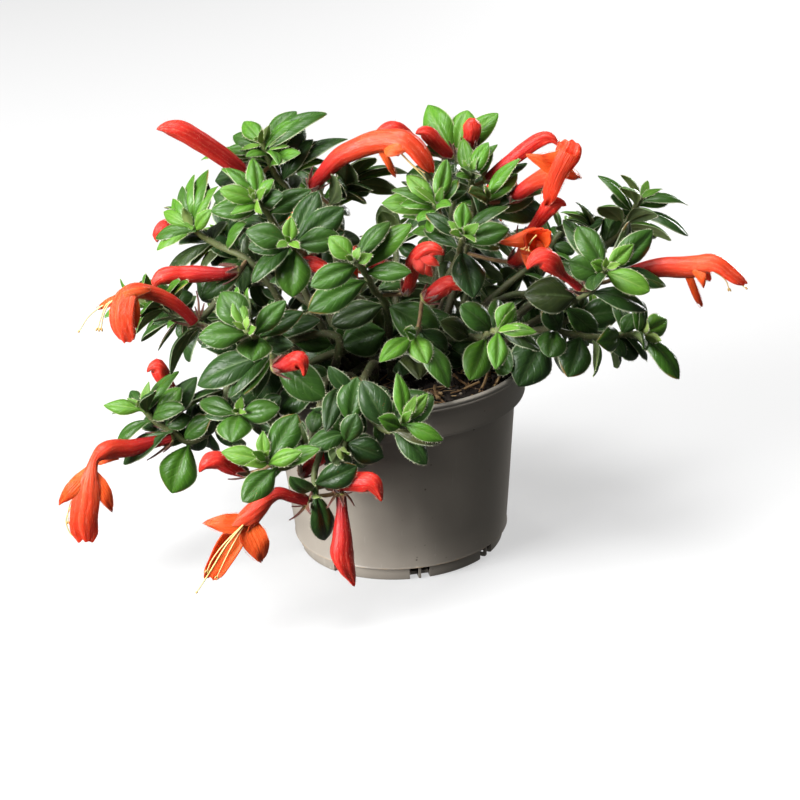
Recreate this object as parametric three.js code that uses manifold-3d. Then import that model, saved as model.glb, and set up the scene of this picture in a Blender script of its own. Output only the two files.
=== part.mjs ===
// A trailing goldfish plant with its leafy shoots, flowers and buds, growing in a round plastic nursery pot.
// Units: mm. +Z is up, the pot stands on z = 0 and its axis is the Z axis.
import * as THREE from "three";
import { mergeVertices } from "three/addons/utils/BufferGeometryUtils.js";
import Module from "manifold-3d";

// ---- driving dimensions, mm ----
const RIM_R = 60; // outer radius of the pot at its lip: a 12 cm pot
const POT_H = 87.3; // height of the pot
const BAND_Z = 71.6; // underside of the rim band
const BAND_R = 58.6; // outer radius of the band at its underside
const BODY_TOP_R = 54.2; // outer radius of the tapered body just under the band
const BODY_LOW_R = 48.4; // outer radius of the body at the top of the base ring
const RING_H = 6.7; // height of the inset base ring
const RING_R = 46.3; // outer radius of the base ring
const WALL = 1.4; // wall thickness of the pot
const FLOOR_T = 1.6; // thickness of the pot's floor
const POT_SEG = 44; // facets round the pot
const NOTCHES = 8; // drainage notches in the base ring
const NOTCH_W = 9; // width of a notch
const NOTCH_IN = 41; // a notch starts at this radius
const NOTCH_TOP = 5.9; // top of a notch
const SOIL_Z = 82; // mean level of the growing mix
const SOIL_SEG = 24; // facets round the growing mix
const GAP = 0.35; // clearance between neighbouring solids
const LEAF_T = 1.6; // thickness of a leaf blade at its middle
const PETAL_T = 1.1; // thickness of a corolla lobe at its middle
const CALYX_R = 2.1; // radius of the ring from which the calyx lobes spread
const CALYX_T = 0.9; // thickness of a calyx lobe
const THREAD_R = 0.55; // radius of style and filaments
const STALK_R = 1.0; // radius of a flower stalk
const STEM_SIDES = 4; // facets round a stem
const COROLLA_SIDES = 6; // facets round a corolla

// ---- stems: shoot, axis points from the root (or from the fork) to the tip, radii. Rows of one shoot are joined ----
const STEMS = [
  ["shoot_01", [[-18.24,8.4,76],[-18.54,8.54,85.04],[-26.24,12.09,101.16],[-40.01,19.95,153.54],[-42.79,20.15,162.22],[-47.31,17.49,169.52],[-51.67,12,186.06]], [1.95,1.95,1.95,1.57,1.49,1.42,1.15]],
  ["shoot_02", [[-19.8,-3.36,76],[-20.06,-3.4,84.85],[-28.28,-4.79,100.61],[-40.41,-5.35,134.18],[-46.07,-7.04,151.01],[-48.57,-11.09,158.38],[-50.69,-17.04,164.62],[-54.37,-22,171.02]], [1.95,1.95,1.88,1.63,1.49,1.41,1.33,1.15]],
  ["shoot_03", [[-26,-8.08,76],[-26.46,-8.03,85.22],[-42.02,-6.47,108.46],[-55.42,-6.54,133.11],[-61.8,-5.29,139.71],[-69.99,-2.41,143.17],[-78.03,-1.04,147.7],[-84.6,-2,154.2]], [1.95,1.95,1.78,1.58,1.5,1.42,1.34,1.15]],
  ["shoot_04", [[-14.98,-5.88,76],[-15.28,-6,85.26],[-22.08,-8.6,102.41],[-34.01,-11.63,137.56],[-36.27,-16.34,145.02],[-39.54,-50,160.5]], [1.95,1.95,1.91,1.64,1.58,1.15]],
  ["shoot_05", [[-0.82,-10.92,76],[-0.83,-11.1,85.09],[-1,-13.37,93.91],[-1.4,-23.49,119.29],[-2.99,-28.66,126.54],[-6,-35.25,132.06],[-10.97,-55.23,150.04],[-13.87,-62,155.41]], [1.95,1.95,1.89,1.7,1.64,1.57,1.33,1.15]],
  ["shoot_06", [[-7.15,-4.11,76],[-8.35,-5.29,102.74],[-9.74,-6.52,111.47],[-12.94,-9.19,119.29],[-19.53,-14.17,122.02],[-26.79,-19.3,121.13],[-47.52,-35.09,114.83],[-53.55,-41.54,114.01],[-57.33,-64.89,125.95],[-58.83,-72,131.15]], [1.95,1.95,1.95,1.94,1.88,1.82,1.63,1.56,1.33,1.15]],
  ["shoot_07", [[10.8,0.84,76],[11.03,0.86,85.35],[24.98,3.36,139.74],[25.64,-0.13,148.2],[21.33,-22,165.23]], [1.95,1.95,1.58,1.5,1.15]],
  ["shoot_08", [[14.87,-3.89,76],[14.83,-4.04,85.37],[15.2,-7.63,103.7],[26.38,-12.19,129.09],[29.98,-15.31,137.14],[31,-22.37,142.95],[31.56,-38.23,152.88],[31.48,-45,159.37]], [1.95,1.95,1.84,1.65,1.58,1.5,1.34,1.15]],
  ["shoot_09", [[16.25,1.68,76],[16.6,1.72,85.34],[26.97,3.11,111.52],[37.75,4.59,147.51],[39,2.16,156.36],[37.06,-8,172.06]], [1.95,1.95,1.78,1.5,1.42,1.15]],
  ["shoot_10", [[5.24,-11.76,76],[5.31,-11.91,84.94],[6.21,-13.94,93.62],[7.91,-17.64,101.57],[10.96,-23.15,107.93],[12.32,-30.53,112.47],[9.11,-48,114.76]], [1.76,1.69,1.63,1.56,1.49,1.42,1.15]],
  ["shoot_11", [[16.42,-10.08,76],[16.71,-10.26,85.33],[19.49,-11.97,94.14],[24.77,-15.13,100.99],[32.97,-19.34,102.66],[39.75,-25.23,104.56],[42.93,-41.38,113.48],[44.81,-50,116.72]], [1.84,1.78,1.71,1.65,1.58,1.5,1.34,1.15]],
  ["shoot_12", [[36.79,-9.51,76],[37.2,-9.4,84.68],[50.8,-6.03,95.49],[57.8,-7.12,100.81],[70.64,-14.32,110.81],[87.6,-28.23,125.94],[90.24,-33.78,132.36],[91.01,-40,138.68]], [1.95,1.94,1.82,1.76,1.63,1.41,1.33,1.15]],
  ["shoot_13", [[35.93,2.18,76],[36.21,2.2,84.54],[41.84,2.54,91.09],[96.82,5.49,133.53],[108.24,11.49,145.01],[112.54,12,152.47]], [1.95,1.95,1.95,1.48,1.32,1.15]],
  ["shoot_14", [[29.21,-8.52,76],[29.59,-8.82,84.7],[35.11,-13.32,90.04],[41.95,-16.99,94.45],[57.61,-18.65,102.89],[66.33,-19.28,104.51],[75.11,-20.02,102.93],[92.2,-17.52,98.88],[101.11,-16.89,99.45],[109.95,-18,99.62]], [1.95,1.94,1.88,1.82,1.69,1.63,1.56,1.42,1.33,1.15]],
  ["shoot_15", [[-28.03,-28.53,76],[-27.96,-28.75,84.74],[-22.71,-40.46,107.8],[-22.54,-44.54,115.55],[-29.79,-43.03,116.99],[-44.81,-36.15,110.93],[-49.77,-40.5,110.04],[-50.06,-58,112]], [1.95,1.91,1.73,1.67,1.61,1.47,1.41,1.15]],
  ["shoot_16", [[-22.57,-18.43,76],[-22.19,-18.23,84.43],[-15.23,-14.49,88.11],[6.68,-2.81,95.78],[-0.57,-6.89,98.1],[-15.9,-15.38,99.34],[-38.84,-27.9,96.5],[-46.1,-32.08,93.89],[-50.83,-36.84,88.65],[-55.06,-39.26,81.49],[-60.67,-45.14,80.07],[-64.14,-52.34,83.56],[-66.34,-58,89.82]], [1.95,1.95,1.95,1.95,1.95,1.87,1.68,1.62,1.55,1.48,1.41,1.32,1.15]],
  ["shoot_17", [[-35.08,-5.88,76],[-35.28,-5.91,84.88],[-38.49,-6.45,93.11],[-45.74,-7.67,97.94],[-54.27,-9.1,100.02],[-62.81,-10.52,98.6],[-68.52,-11.29,91.9],[-79.72,-12.86,67.66],[-85.05,-14.66,60.92],[-92.59,-18.48,59.96],[-105.52,-21.61,71.68],[-110.58,-22,78.96]], [1.95,1.95,1.95,1.95,1.94,1.88,1.81,1.63,1.56,1.49,1.33,1.15]],
  ["shoot_18", [[-8.79,-27.02,76],[-9.36,-27.53,84.87],[-22.17,-38.89,91.92],[-26.88,-45.02,96.93],[-29.65,-52.2,97.25],[-33.66,-64.48,84.09],[-37.22,-67.09,75.98],[-42.16,-73.87,72.19],[-49.43,-79.45,72.32],[-54.84,-82,78.71]], [1.95,1.95,1.82,1.76,1.7,1.57,1.49,1.42,1.33,1.15]],
  ["shoot_19", [[-9.55,-37.17,76],[-9.9,-37.35,84.91],[-14.57,-39.96,92.15],[-18.8,-45.47,97.81],[-22.11,-53.41,98.36],[-24.31,-61.79,95.98],[-26.51,-69,91.92],[-32.08,-74.64,75.69],[-34.78,-78.81,68.17],[-34.56,-82,59.81]], [1.94,1.88,1.82,1.76,1.7,1.63,1.57,1.42,1.33,1.15]],
  ["shoot_20", [[-8.29,-18.62,76],[-8.26,-19.15,85.18],[-7.88,-24.68,92.67],[-8.34,-32.36,97.83],[-9.98,-41.37,99.63],[-12.08,-50.44,99.12],[-14.25,-58.69,95.53],[-12.93,-67.9,95.79],[-9.51,-73.65,89.8],[-2.8,-76.51,85.08],[3.57,-78,90.81]], [1.95,1.9,1.83,1.77,1.7,1.63,1.56,1.49,1.41,1.32,1.15]],
  ["shoot_21", [[-10.43,3.36,76],[-10.61,3.42,85.06],[-15.35,4.91,102.52],[-24.79,6.48,146.89],[-24.73,8.1,155.72],[-13.35,18,165.55]], [1.95,1.95,1.83,1.49,1.42,1.15]],
  ["shoot_22", [[-25.32,15.4,76],[-25.5,15.64,85.14],[-27.39,18.5,93.68],[-31.19,22.04,101.24],[-37.52,25.65,106.83],[-66.8,39.99,123.92],[-78,48,136]], [1.95,1.9,1.84,1.77,1.71,1.42,1.15]],
  ["shoot_23", [[-15.2,27.52,76],[-15.43,27.94,85.14],[-21.16,38.32,99.33],[-36.21,65.58,119.58],[-42,78,132]], [1.9,1.84,1.71,1.42,1.15]],
  ["shoot_24", [[1.68,30.13,76],[1.71,30.67,85.33],[2.02,36.24,92.93],[2.47,44.2,97.97],[3.99,71.39,106.11],[4,86,118]], [1.85,1.78,1.72,1.65,1.42,1.15]],
  ["shoot_25", [[17.34,28.31,76],[17.6,28.74,85.16],[20.43,33.37,92.72],[23.98,39.15,99.12],[28.09,45.82,104.15],[41.25,67.35,116.22],[48,80,128]], [1.91,1.84,1.78,1.71,1.65,1.42,1.15]],
  ["shoot_26", [[30.08,18.38,76],[30.29,18.5,84.54],[39.94,24.4,97.51],[45.93,28.05,102.57],[72.4,44.25,117.93],[77.75,47.83,123.71],[84,52,128]], [1.93,1.87,1.74,1.68,1.41,1.32,1.15]],
  ["shoot_27", [[-29.55,20.57,76],[-29.72,20.69,85],[-32.36,22.53,93.37],[-38.65,26.9,97.86],[-45.96,31.99,99.32],[-53.31,37.1,98.49],[-72.42,50.42,85.04],[-77.92,55.89,89.38],[-84,62,92]], [1.95,1.89,1.82,1.76,1.7,1.63,1.42,1.33,1.15]],
  ["shoot_28", [[13.71,33.29,76],[13.75,33.4,84.58],[14.83,36.01,92.67],[17.45,42.39,97.54],[20.65,50.14,99.41],[23.91,58.07,99.04],[26.75,64.94,94.84],[31.55,76.55,83.05],[34.36,83.48,79.36],[37,90.29,83.69],[40,98,86]], [1.95,1.92,1.86,1.8,1.74,1.68,1.62,1.48,1.41,1.32,1.15]],
  ["shoot_09", [[37.59,4.64,146.83],[42.43,-5.12,153.65],[43.7,-14,162.87]], [1.48,1.37,1.15]],
  ["shoot_09", [[38.76,-0,159.67],[36.92,3.17,165.51],[35.43,10.18,166.36],[33.64,15.46,169.99],[31.86,16,176.93]], [1.5,1.44,1.38,1.29,1.15]],
  ["shoot_13", [[82.29,4.12,122.59],[88.87,8.86,126.57],[92.48,17.06,126.97],[93.21,25.41,129.5],[90.82,30,136.77]], [1.56,1.49,1.41,1.33,1.15]],
  ["shoot_06", [[-54.76,-43.88,114.67],[-62.44,-47.34,118.32],[-70.86,-44.05,120.49],[-78.72,-39.09,121.13],[-92.57,-26.78,123.33],[-99.69,-22,126.83]], [1.71,1.65,1.58,1.5,1.34,1.15]],
  ["shoot_20", [[-14.1,-61.8,95.51],[-15.56,-67.13,96],[-22.29,-78,78.28]], [1.5,1.45,1.15]],
  ["shoot_24", [[3.33,59.68,103.04],[-0.02,68.15,101.77],[-4.67,75.34,98.89],[-24.3,81.85,81.11],[-26.17,89.43,85.32],[-28,98,88]], [1.77,1.7,1.64,1.42,1.33,1.15]],
  ["shoot_23", [[-29.57,53.4,110.83],[-31.57,54.6,119.02],[-31.53,51.35,126.47],[-27.58,37.92,136.19],[-26.68,34.29,143.2],[-30,42,158]], [1.73,1.67,1.61,1.47,1.41,1.15]],
  ["shoot_25", [[31.06,50.62,106.86],[33.83,52.62,115.12],[34.53,50.45,123.35],[30.91,37.7,135.33],[29.93,33.66,142.83],[34,42,158]], [1.75,1.69,1.63,1.49,1.41,1.15]],
  ["shoot_26", [[43.75,26.72,100.97],[60.14,33.1,102.24],[81.25,36.18,86.89],[88.32,39.91,90.41],[96,44,92]], [1.75,1.63,1.41,1.33,1.15]],
  ["shoot_22", [[-49.9,31.65,113.98],[-68.42,31.45,114.9],[-88.97,17.68,102.51],[-95.99,19.56,107.91],[-104,22,112]], [1.77,1.64,1.42,1.34,1.15]],
];
// ---- leaves: shoot, base, tip, direction of the upper face, width, order from the shoot tip (0 is the youngest), arch, 1 for a fuller outline ----
const LEAVES = [
  ["shoot_01",[-49.98,13.98,181.16],[-36.35,24.82,195.36],[-0.15,-0.52,0.84],10.63,3,0.12,1],
  ["shoot_01",[-50.12,13.49,182.05],[-23.1,19.14,195.27],[-0.63,-0.4,0.67],13.19,3,0.12,1],
  ["shoot_01",[-50.57,12.96,183.63],[-34.1,15.76,194.58],[-0.44,-0.2,0.88],8.68,3,0.12,1],
  ["shoot_01",[-48.88,14.79,177.94],[-35.5,21.07,191.83],[-0.35,-0.46,0.82],9.23,3,0.12,1],
  ["shoot_01",[-44.32,18.36,166.19],[-29.71,17.58,184.41],[-0.13,-0.6,0.79],9.83,3,0.12,1],
  ["shoot_01",[-44.32,18.63,166.07],[-14.72,23.74,181.97],[-0.17,-0.05,0.98],14.32,3,0.12,1],
  ["shoot_01",[-51.59,12.73,185.11],[-59.57,24.58,192.13],[-0.07,-0.61,0.79],8.4,2,0.1,1],
  ["shoot_01",[-50.71,13.96,182.36],[-64.52,20.11,187.23],[-0.49,-0.33,0.81],8.86,3,0.12,1],
  ["shoot_01",[-50.41,14.7,179.03],[-68.57,14.09,182.29],[0.27,-0.29,0.92],8.46,3,0.12,1],
  ["shoot_01",[-50.05,13.53,179.23],[-58.53,3.39,182.15],[0.36,0.07,0.93],6.21,2,0.1,1],
  ["shoot_01",[-48.25,15.42,174.92],[-35.09,4.61,182.06],[-0.66,-0.19,0.72],8.54,3,0.12,1],
  ["shoot_01",[-50.19,13.51,182.73],[-41.95,10.44,189.09],[-0.61,-0.35,0.71],4.17,1,0.07,0],
  ["shoot_01",[-50.77,12.52,185.37],[-47.86,9.31,194.02],[-0.18,0.8,0.57],4.01,1,0.07,0],
  ["shoot_01",[-51.95,11.71,186.32],[-54.79,8.73,188.94],[-0.53,0.79,0.32],2.21,0,0.04,0],
  ["shoot_01",[-51.09,11.63,185.11],[-50.73,2.66,194.4],[-0.79,0.29,0.54],4.16,1,0.07,0],
  ["shoot_01",[-50.21,14.07,182.31],[-40.19,9.16,184.16],[-0.42,-0.34,0.84],4.55,1,0.07,0],
  ["shoot_01",[-51.65,12.18,184.34],[-61.18,10.42,183.38],[0.28,-0.16,0.95],4.31,1,0.07,0],
  ["shoot_01",[-49.95,13.23,180.83],[-44.27,-2.64,179.65],[0.46,0.1,0.88],6.53,2,0.1,1],
  ["shoot_01",[-44.39,19.74,165.72],[-25.23,19.46,173.65],[-0.47,-0.19,0.86],9.25,3,0.12,1],
  ["shoot_01",[-49.73,15.19,176.59],[-78.97,17.09,177.92],[0.28,-0.07,0.96],12.44,3,0.12,1],
  ["shoot_01",[-43.86,19.29,165.23],[-28.04,20.89,182.7],[-0.74,-0.24,0.62],9.78,3,0.12,1],
  ["shoot_01",[-49.32,15.6,174.98],[-69.96,12.22,176.74],[0.41,0.04,0.91],8.81,3,0.12,1],
  ["shoot_02",[-53.53,-20.45,169.87],[-54.98,-8.22,184.97],[0.43,-0.79,0.43],8.61,2,0.1,1],
  ["shoot_02",[-53.23,-21.07,170.12],[-45.66,-22.44,179.16],[-0.66,-0.62,0.43],6.06,2,0.1,1],
  ["shoot_02",[-54.69,-21.43,170.42],[-68.82,-22.97,176.36],[0.08,-0.9,0.42],7.75,2,0.1,1],
  ["shoot_02",[-49.18,-15.02,162.24],[-30.82,-15.54,171.74],[-0.22,-0.9,0.38],9.12,3,0.12,1],
  ["shoot_02",[-52.19,-17.76,165.93],[-73.61,-18.12,165.46],[-0.16,-0.84,0.52],9.51,3,0.12,1],
  ["shoot_02",[-52.78,-19.86,167.29],[-64.45,-28.38,166.67],[-0.01,-0.27,0.96],6.36,2,0.1,1],
  ["shoot_02",[-51.82,-18.28,167.14],[-48.1,-7.85,173.15],[-0.16,0.09,0.98],7.97,3,0.12,1],
  ["shoot_02",[-52.67,-19.02,167.75],[-68.28,-10.6,181.58],[0.63,-0.27,0.73],9.65,3,0.12,1],
  ["shoot_02",[-54.58,-21.96,171.43],[-56.84,-23.42,176.82],[0.52,-0.85,0.01],3.01,0,0.04,0],
  ["shoot_02",[-53.16,-21.06,170.27],[-48.96,-28.25,177.6],[-0.8,-0.59,-0.09],3.92,1,0.07,0],
  ["shoot_02",[-53.18,-19.89,168.37],[-62.27,-22,172.61],[0.65,-0.15,0.75],3.95,1,0.07,0],
  ["shoot_02",[-53.4,-21.67,169.9],[-50.78,-36.28,169.07],[-0.93,-0.21,0.32],4.39,1,0.07,0],
  ["shoot_02",[-54.28,-22.56,171.06],[-55,-25.83,174.65],[-0.64,0.65,0.42],2.15,0,0.04,0],
  ["shoot_02",[-50.96,-18.35,166.29],[-42.22,-26.95,173.67],[-0.88,-0.37,0.29],8.27,3,0.12,1],
  ["shoot_02",[-52.82,-19.27,168.58],[-66.19,-12.82,182.4],[0.41,-0.3,0.86],9.17,3,0.12,1],
  ["shoot_02",[-47.11,-7.43,153.09],[-63.97,1.08,153.91],[-0.17,-0.42,0.89],8.1,3,0.12,1],
  ["shoot_03",[-84.31,-1.66,153.7],[-96.35,6.61,158.47],[-0.41,-0.7,0.58],6.56,2,0.1,1],
  ["shoot_03",[-83.23,-1.67,152.27],[-100.06,0.42,148.69],[-0.21,-0.42,0.88],8.92,3,0.12,1],
  ["shoot_03",[-83.01,-1.77,151.99],[-99.64,-4.19,144.71],[-0.4,-0.33,0.86],8.64,3,0.12,1],
  ["shoot_03",[-82.18,-2.37,152.02],[-74.06,-9.17,163.32],[-0.7,-0.71,-0.01],6.4,2,0.1,1],
  ["shoot_03",[-83.91,-2.03,153.82],[-86.51,-5.33,163.39],[-0.37,0.91,0.19],4.06,1,0.07,0],
  ["shoot_03",[-81.41,-1.21,151.44],[-81.57,11.31,167.11],[-0.25,-0.66,0.71],8.96,3,0.12,1],
  ["shoot_03",[-82.1,-1.45,152.6],[-75.37,7.42,176.18],[-0.78,-0.48,0.4],11.35,3,0.12,1],
  ["shoot_03",[-80.46,-1.23,150.71],[-75.9,5.9,170.64],[-0.5,-0.71,0.5],9.42,3,0.12,1],
  ["shoot_03",[-81.85,-1.17,151.28],[-96.89,16.43,157.25],[0.39,0.28,0.88],9.55,3,0.12,1],
  ["shoot_03",[-83.29,-1.15,153.06],[-92.14,9.11,163.44],[-0.86,-0.46,0.21],9.55,3,0.12,1],
  ["shoot_03",[-82.59,-0.94,152.27],[-87.44,7.91,169.15],[-0.75,-0.6,0.26],9.73,3,0.12,1],
  ["shoot_03",[-75.55,-0.9,145.82],[-90.93,16.28,141.62],[-0.33,-0.07,0.94],11.06,4,0.1,1],
  ["shoot_03",[-75.74,-1.5,145.55],[-97,-7.17,131.91],[-0.5,-0.18,0.85],12.24,4,0.1,1],
  ["shoot_03",[-73.67,-1.38,144.63],[-86.41,9.32,131.61],[-0.74,-0.07,0.67],9.95,4,0.1,1],
  ["shoot_03",[-82.39,-0.86,152.08],[-81.79,8.73,173.93],[-0.86,-0.43,0.26],10.37,3,0.12,1],
  ["shoot_03",[-68.25,-3.34,143.26],[-59.46,-14.91,157.95],[-0.89,-0.12,0.44],9.91,4,0.1,1],
  ["shoot_03",[-60.26,-5.88,136.96],[-81.81,-9.15,122.84],[-0.39,-0.56,0.73],12.42,4,0.1,1],
  ["shoot_03",[-75.09,-0.87,145.96],[-72.49,19.67,147.43],[-0.49,0,0.87],9.76,4,0.1,1],
  ["shoot_03",[-81.92,-1.28,152.37],[-71.14,-0.58,170.95],[-0.66,-0.44,0.61],8.92,3,0.12,1],
  ["shoot_04",[-39.73,-46.73,158.98],[-57.4,-47.64,165.43],[0.21,-0.86,0.46],10.53,3,0.12,1],
  ["shoot_04",[-39.33,-42.31,156.43],[-56.99,-44.89,157.74],[-0.16,-0.75,0.64],9.32,4,0.1,1],
  ["shoot_04",[-38.31,-38.38,154.46],[-40.44,-47.21,135.47],[-0.13,-0.75,0.65],14.47,3,0.12,1],
  ["shoot_04",[-38.43,-43.8,157.26],[-18.79,-43.93,159.56],[-0.32,-0.91,0.26],10.15,3,0.12,1],
  ["shoot_04",[-39.31,-48.42,160.4],[-38.44,-49.55,171.06],[-0.2,-0.98,-0.09],6.31,1,0.07,0],
  ["shoot_04",[-38.99,-49.77,159.85],[-35.31,-61.31,161.08],[-0.27,-0.04,0.96],3.97,1,0.07,0],
  ["shoot_04",[-40,-48.87,159.63],[-44.99,-55.16,160.24],[0.41,-0.32,0.85],4.02,1,0.07,0],
  ["shoot_04",[-38.16,-41.63,157.19],[-27.24,-30.43,175.37],[-0.16,-0.82,0.55],11.68,4,0.1,1],
  ["shoot_04",[-38.97,-41.39,155.88],[-56.26,-49.98,143.86],[-0.37,-0.4,0.84],10.74,4,0.1,1],
  ["shoot_04",[-32.5,-10.56,130.17],[-51.46,-12.02,130.34],[-0.03,-0.15,0.99],10.24,4,0.1,1],
  ["shoot_04",[-39.72,-50.31,160.84],[-41.64,-53.59,164.39],[0.7,-0.67,-0.24],2.1,0,0.04,0],
  ["shoot_04",[-38.07,-43.12,157.07],[-17.05,-36.76,169.7],[-0.03,-0.89,0.45],12.09,4,0.1,1],
  ["shoot_04",[-37.99,-41.6,156.33],[-17.32,-40.38,160.4],[0.29,-0.7,0.66],10.15,4,0.1,1],
  ["shoot_05",[-13.52,-59.92,154.34],[-23.14,-56.79,164.22],[0.41,-0.9,0.14],9.15,2,0.1,1],
  ["shoot_05",[-13.06,-61.32,155.08],[-10.65,-61.84,160.54],[-0.7,-0.68,-0.22],3.86,1,0.07,0],
  ["shoot_05",[-14.14,-62.32,155.68],[-16.94,-65.66,158.54],[0.77,-0.63,0.02],2.49,0,0.04,0],
  ["shoot_05",[-12.38,-59.88,153.64],[-5.71,-60.97,157.05],[-0.69,-0.7,0.17],4.58,1,0.07,0],
  ["shoot_05",[-12.2,-56.97,151.05],[-31.48,-66,146.55],[0.23,-0.77,0.59],10.46,3,0.12,1],
  ["shoot_05",[-9.06,-44.95,140.13],[-33.93,-53.16,131.1],[0.07,-0.82,0.56],12.76,3,0.12,1],
  ["shoot_05",[-12.36,-59.03,153.6],[1.95,-46.71,165.84],[-0.32,-0.68,0.66],9.1,3,0.12,1],
  ["shoot_05",[-9.33,-51.15,146.95],[10.78,-45.64,163.89],[-0.43,-0.67,0.61],11.38,3,0.12,1],
  ["shoot_05",[-8.96,-50.21,145.5],[9.51,-57.56,147.43],[-0.35,-0.75,0.56],8.57,3,0.12,1],
  ["shoot_05",[-4.61,-34.03,131.58],[8.77,-24.03,130.44],[0.38,-0.14,0.91],8.38,4,0.1,1],
  ["shoot_05",[-10.99,-54,149.93],[-9.82,-41.69,154.89],[-0.6,-0.05,0.8],9.2,4,0.1,1],
  ["shoot_05",[-10.85,-55.25,150.75],[-8.19,-50.58,160.08],[-0.53,-0.03,0.85],9.09,4,0.1,1],
  ["shoot_05",[-2.94,-25.26,121.7],[-25.1,-28.7,115.65],[-0.01,-0.85,0.53],11.81,4,0.1,1],
  ["shoot_05",[-2.38,-18.51,107.13],[-21.51,-23.55,103.81],[0.12,-0.81,0.57],16.83,4,0.1,1],
  ["shoot_05",[-0.69,-24.51,121.16],[20.35,-29.06,108.61],[-0.09,-0.77,0.63],17.49,4,0.1,1],
  ["shoot_05",[-0.06,-19.32,109.5],[28.13,-22.39,112.26],[-0.22,-0.31,0.93],13.44,4,0.1,1],
  ["shoot_06",[-58.6,-68.9,129.56],[-68.6,-59.62,143.55],[-0.07,-0.74,0.67],13.33,3,0.12,1],
  ["shoot_06",[-58.73,-70.45,130.59],[-63.49,-64.94,141.55],[0.26,-0.95,0.19],6.66,1,0.07,0],
  ["shoot_06",[-56.29,-62.35,125.08],[-42.36,-60.29,138.56],[-0.21,-0.91,0.36],8.83,3,0.12,1],
  ["shoot_06",[-58.49,-67.56,127.51],[-78.6,-69.34,127.96],[0.07,-0.8,0.6],10.87,3,0.12,1],
  ["shoot_06",[-57.83,-63.98,125.26],[-78.04,-68.46,123.36],[-0.14,-0.13,0.98],10.15,4,0.1,1],
  ["shoot_06",[-55.51,-54.09,119.42],[-57.46,-71.01,117.1],[0.09,-0.14,0.98],14.48,3,0.12,1],
  ["shoot_06",[-58.74,-72.06,131.58],[-57.51,-72.92,137.31],[-0.53,-0.85,-0.04],2.91,0,0.04,0],
  ["shoot_06",[-57.92,-70.9,129.88],[-54.21,-76.72,133.76],[-0.87,-0.46,0.18],3.95,1,0.07,0],
  ["shoot_06",[-59.15,-72.14,131.45],[-63.67,-74.09,135.68],[0.55,-0.81,0.21],2.49,0,0.04,0],
  ["shoot_06",[-54.69,-52.31,119.99],[-36.13,-50.86,129.93],[-0.26,-0.75,0.6],9.16,3,0.12,1],
  ["shoot_06",[-48.79,-37.79,114.75],[-29.57,-43.38,123.21],[-0.47,-0.43,0.78],10.65,4,0.1,1],
  ["shoot_06",[-52.61,-42.34,114.36],[-40.59,-59.59,118.69],[-0.7,-0.64,0.32],8.7,4,0.1,1],
  ["shoot_06",[-44.36,-33.16,114.76],[-26.09,-36.78,109.37],[-0.39,-0.92,0.06],10.48,4,0.1,1],
  ["shoot_06",[-58.15,-66.39,127.64],[-71.65,-59.23,141.13],[0.73,0.61,0.31],10.75,4,0.1,1],
  ["shoot_06",[-57.59,-63.13,125.71],[-57.8,-55.48,143.61],[-0.93,-0.22,0.31],10.27,4,0.1,1],
  ["shoot_06",[-57.64,-62.32,125.07],[-62.46,-54.86,143.85],[-0.9,-0.42,0.1],10.45,4,0.1,1],
  ["shoot_07",[21.87,-20.43,164.73],[27.29,-10.51,180.56],[0.31,-0.87,0.38],8.2,2,0.1,1],
  ["shoot_07",[21.13,-20.81,164.67],[10.13,-14.46,175.56],[0.3,-0.85,0.43],8.63,2,0.1,1],
  ["shoot_07",[21.73,-17.67,162.06],[3.29,-17.62,170.35],[0.5,-0.31,0.81],8.95,3,0.12,1],
  ["shoot_07",[22.54,-12.24,157.4],[1.7,-13.35,163.8],[0.01,-0.37,0.93],10.71,4,0.1,1],
  ["shoot_07",[23.5,-15.14,159.75],[35.27,-3.69,164.14],[-0.19,-0.17,0.97],7.55,3,0.12,1],
  ["shoot_07",[22.27,-20.87,164.32],[24.72,-20.96,172.03],[-0.07,-0.98,-0.17],3.6,1,0.07,0],
  ["shoot_07",[20.99,-21.99,165.52],[12.7,-21.75,172.55],[0.69,-0.37,0.62],4.56,1,0.07,0],
  ["shoot_07",[21.8,-18.37,163.07],[16.89,-13.44,173.21],[0.84,-0.22,0.49],5.26,2,0.1,1],
  ["shoot_07",[22.4,-17.74,161.72],[27.75,-34.7,167.69],[-0.61,0.22,0.76],6.13,2,0.1,1],
  ["shoot_07",[21.63,-18.14,161.72],[6.78,-20.36,164.5],[0.45,-0.26,0.85],7.74,3,0.12,1],
  ["shoot_07",[23.42,-12.04,156.46],[19.36,-30.8,155.36],[-0.7,0.11,0.7],8.16,3,0.12,1],
  ["shoot_07",[22.22,-16.49,160.57],[13.89,-29.13,159.59],[0,0.15,0.99],8.05,3,0.12,1],
  ["shoot_07",[21.31,-21.12,165.04],[15.46,-0.44,174.36],[0.74,-0.2,0.65],8.45,3,0.12,1],
  ["shoot_07",[22.37,-13.66,159.28],[7.83,-6.37,170.57],[0.51,-0.12,0.85],10.5,4,0.1,1],
  ["shoot_07",[23.57,-7.66,153.38],[7.19,-8.01,155.31],[-0.12,-0.07,0.99],9.08,4,0.1,1],
  ["shoot_07",[22.21,-14.75,159.29],[-1.21,-15.64,164.32],[-0.01,-0.62,0.78],11.43,4,0.1,1],
  ["shoot_07",[22.81,-15.97,161.03],[32.02,-11.74,171.83],[-0.45,-0.12,0.89],9.71,4,0.1,1],
  ["shoot_07",[24.75,3.1,142.66],[11.35,7.69,143.16],[-0.28,-0.08,0.96],9.62,4,0.1,1],
  ["shoot_08",[31.56,-43.03,158.32],[32.94,-36.99,169.48],[0.26,-0.82,0.52],7.61,2,0.1,1],
  ["shoot_08",[31.16,-41.91,157.03],[25.99,-40.95,163.09],[0.49,-0.84,0.22],3.88,1,0.07,0],
  ["shoot_08",[32.18,-42.61,157.24],[38.6,-46.87,163.31],[-0.41,-0.91,0.02],5.08,1,0.07,0],
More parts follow.
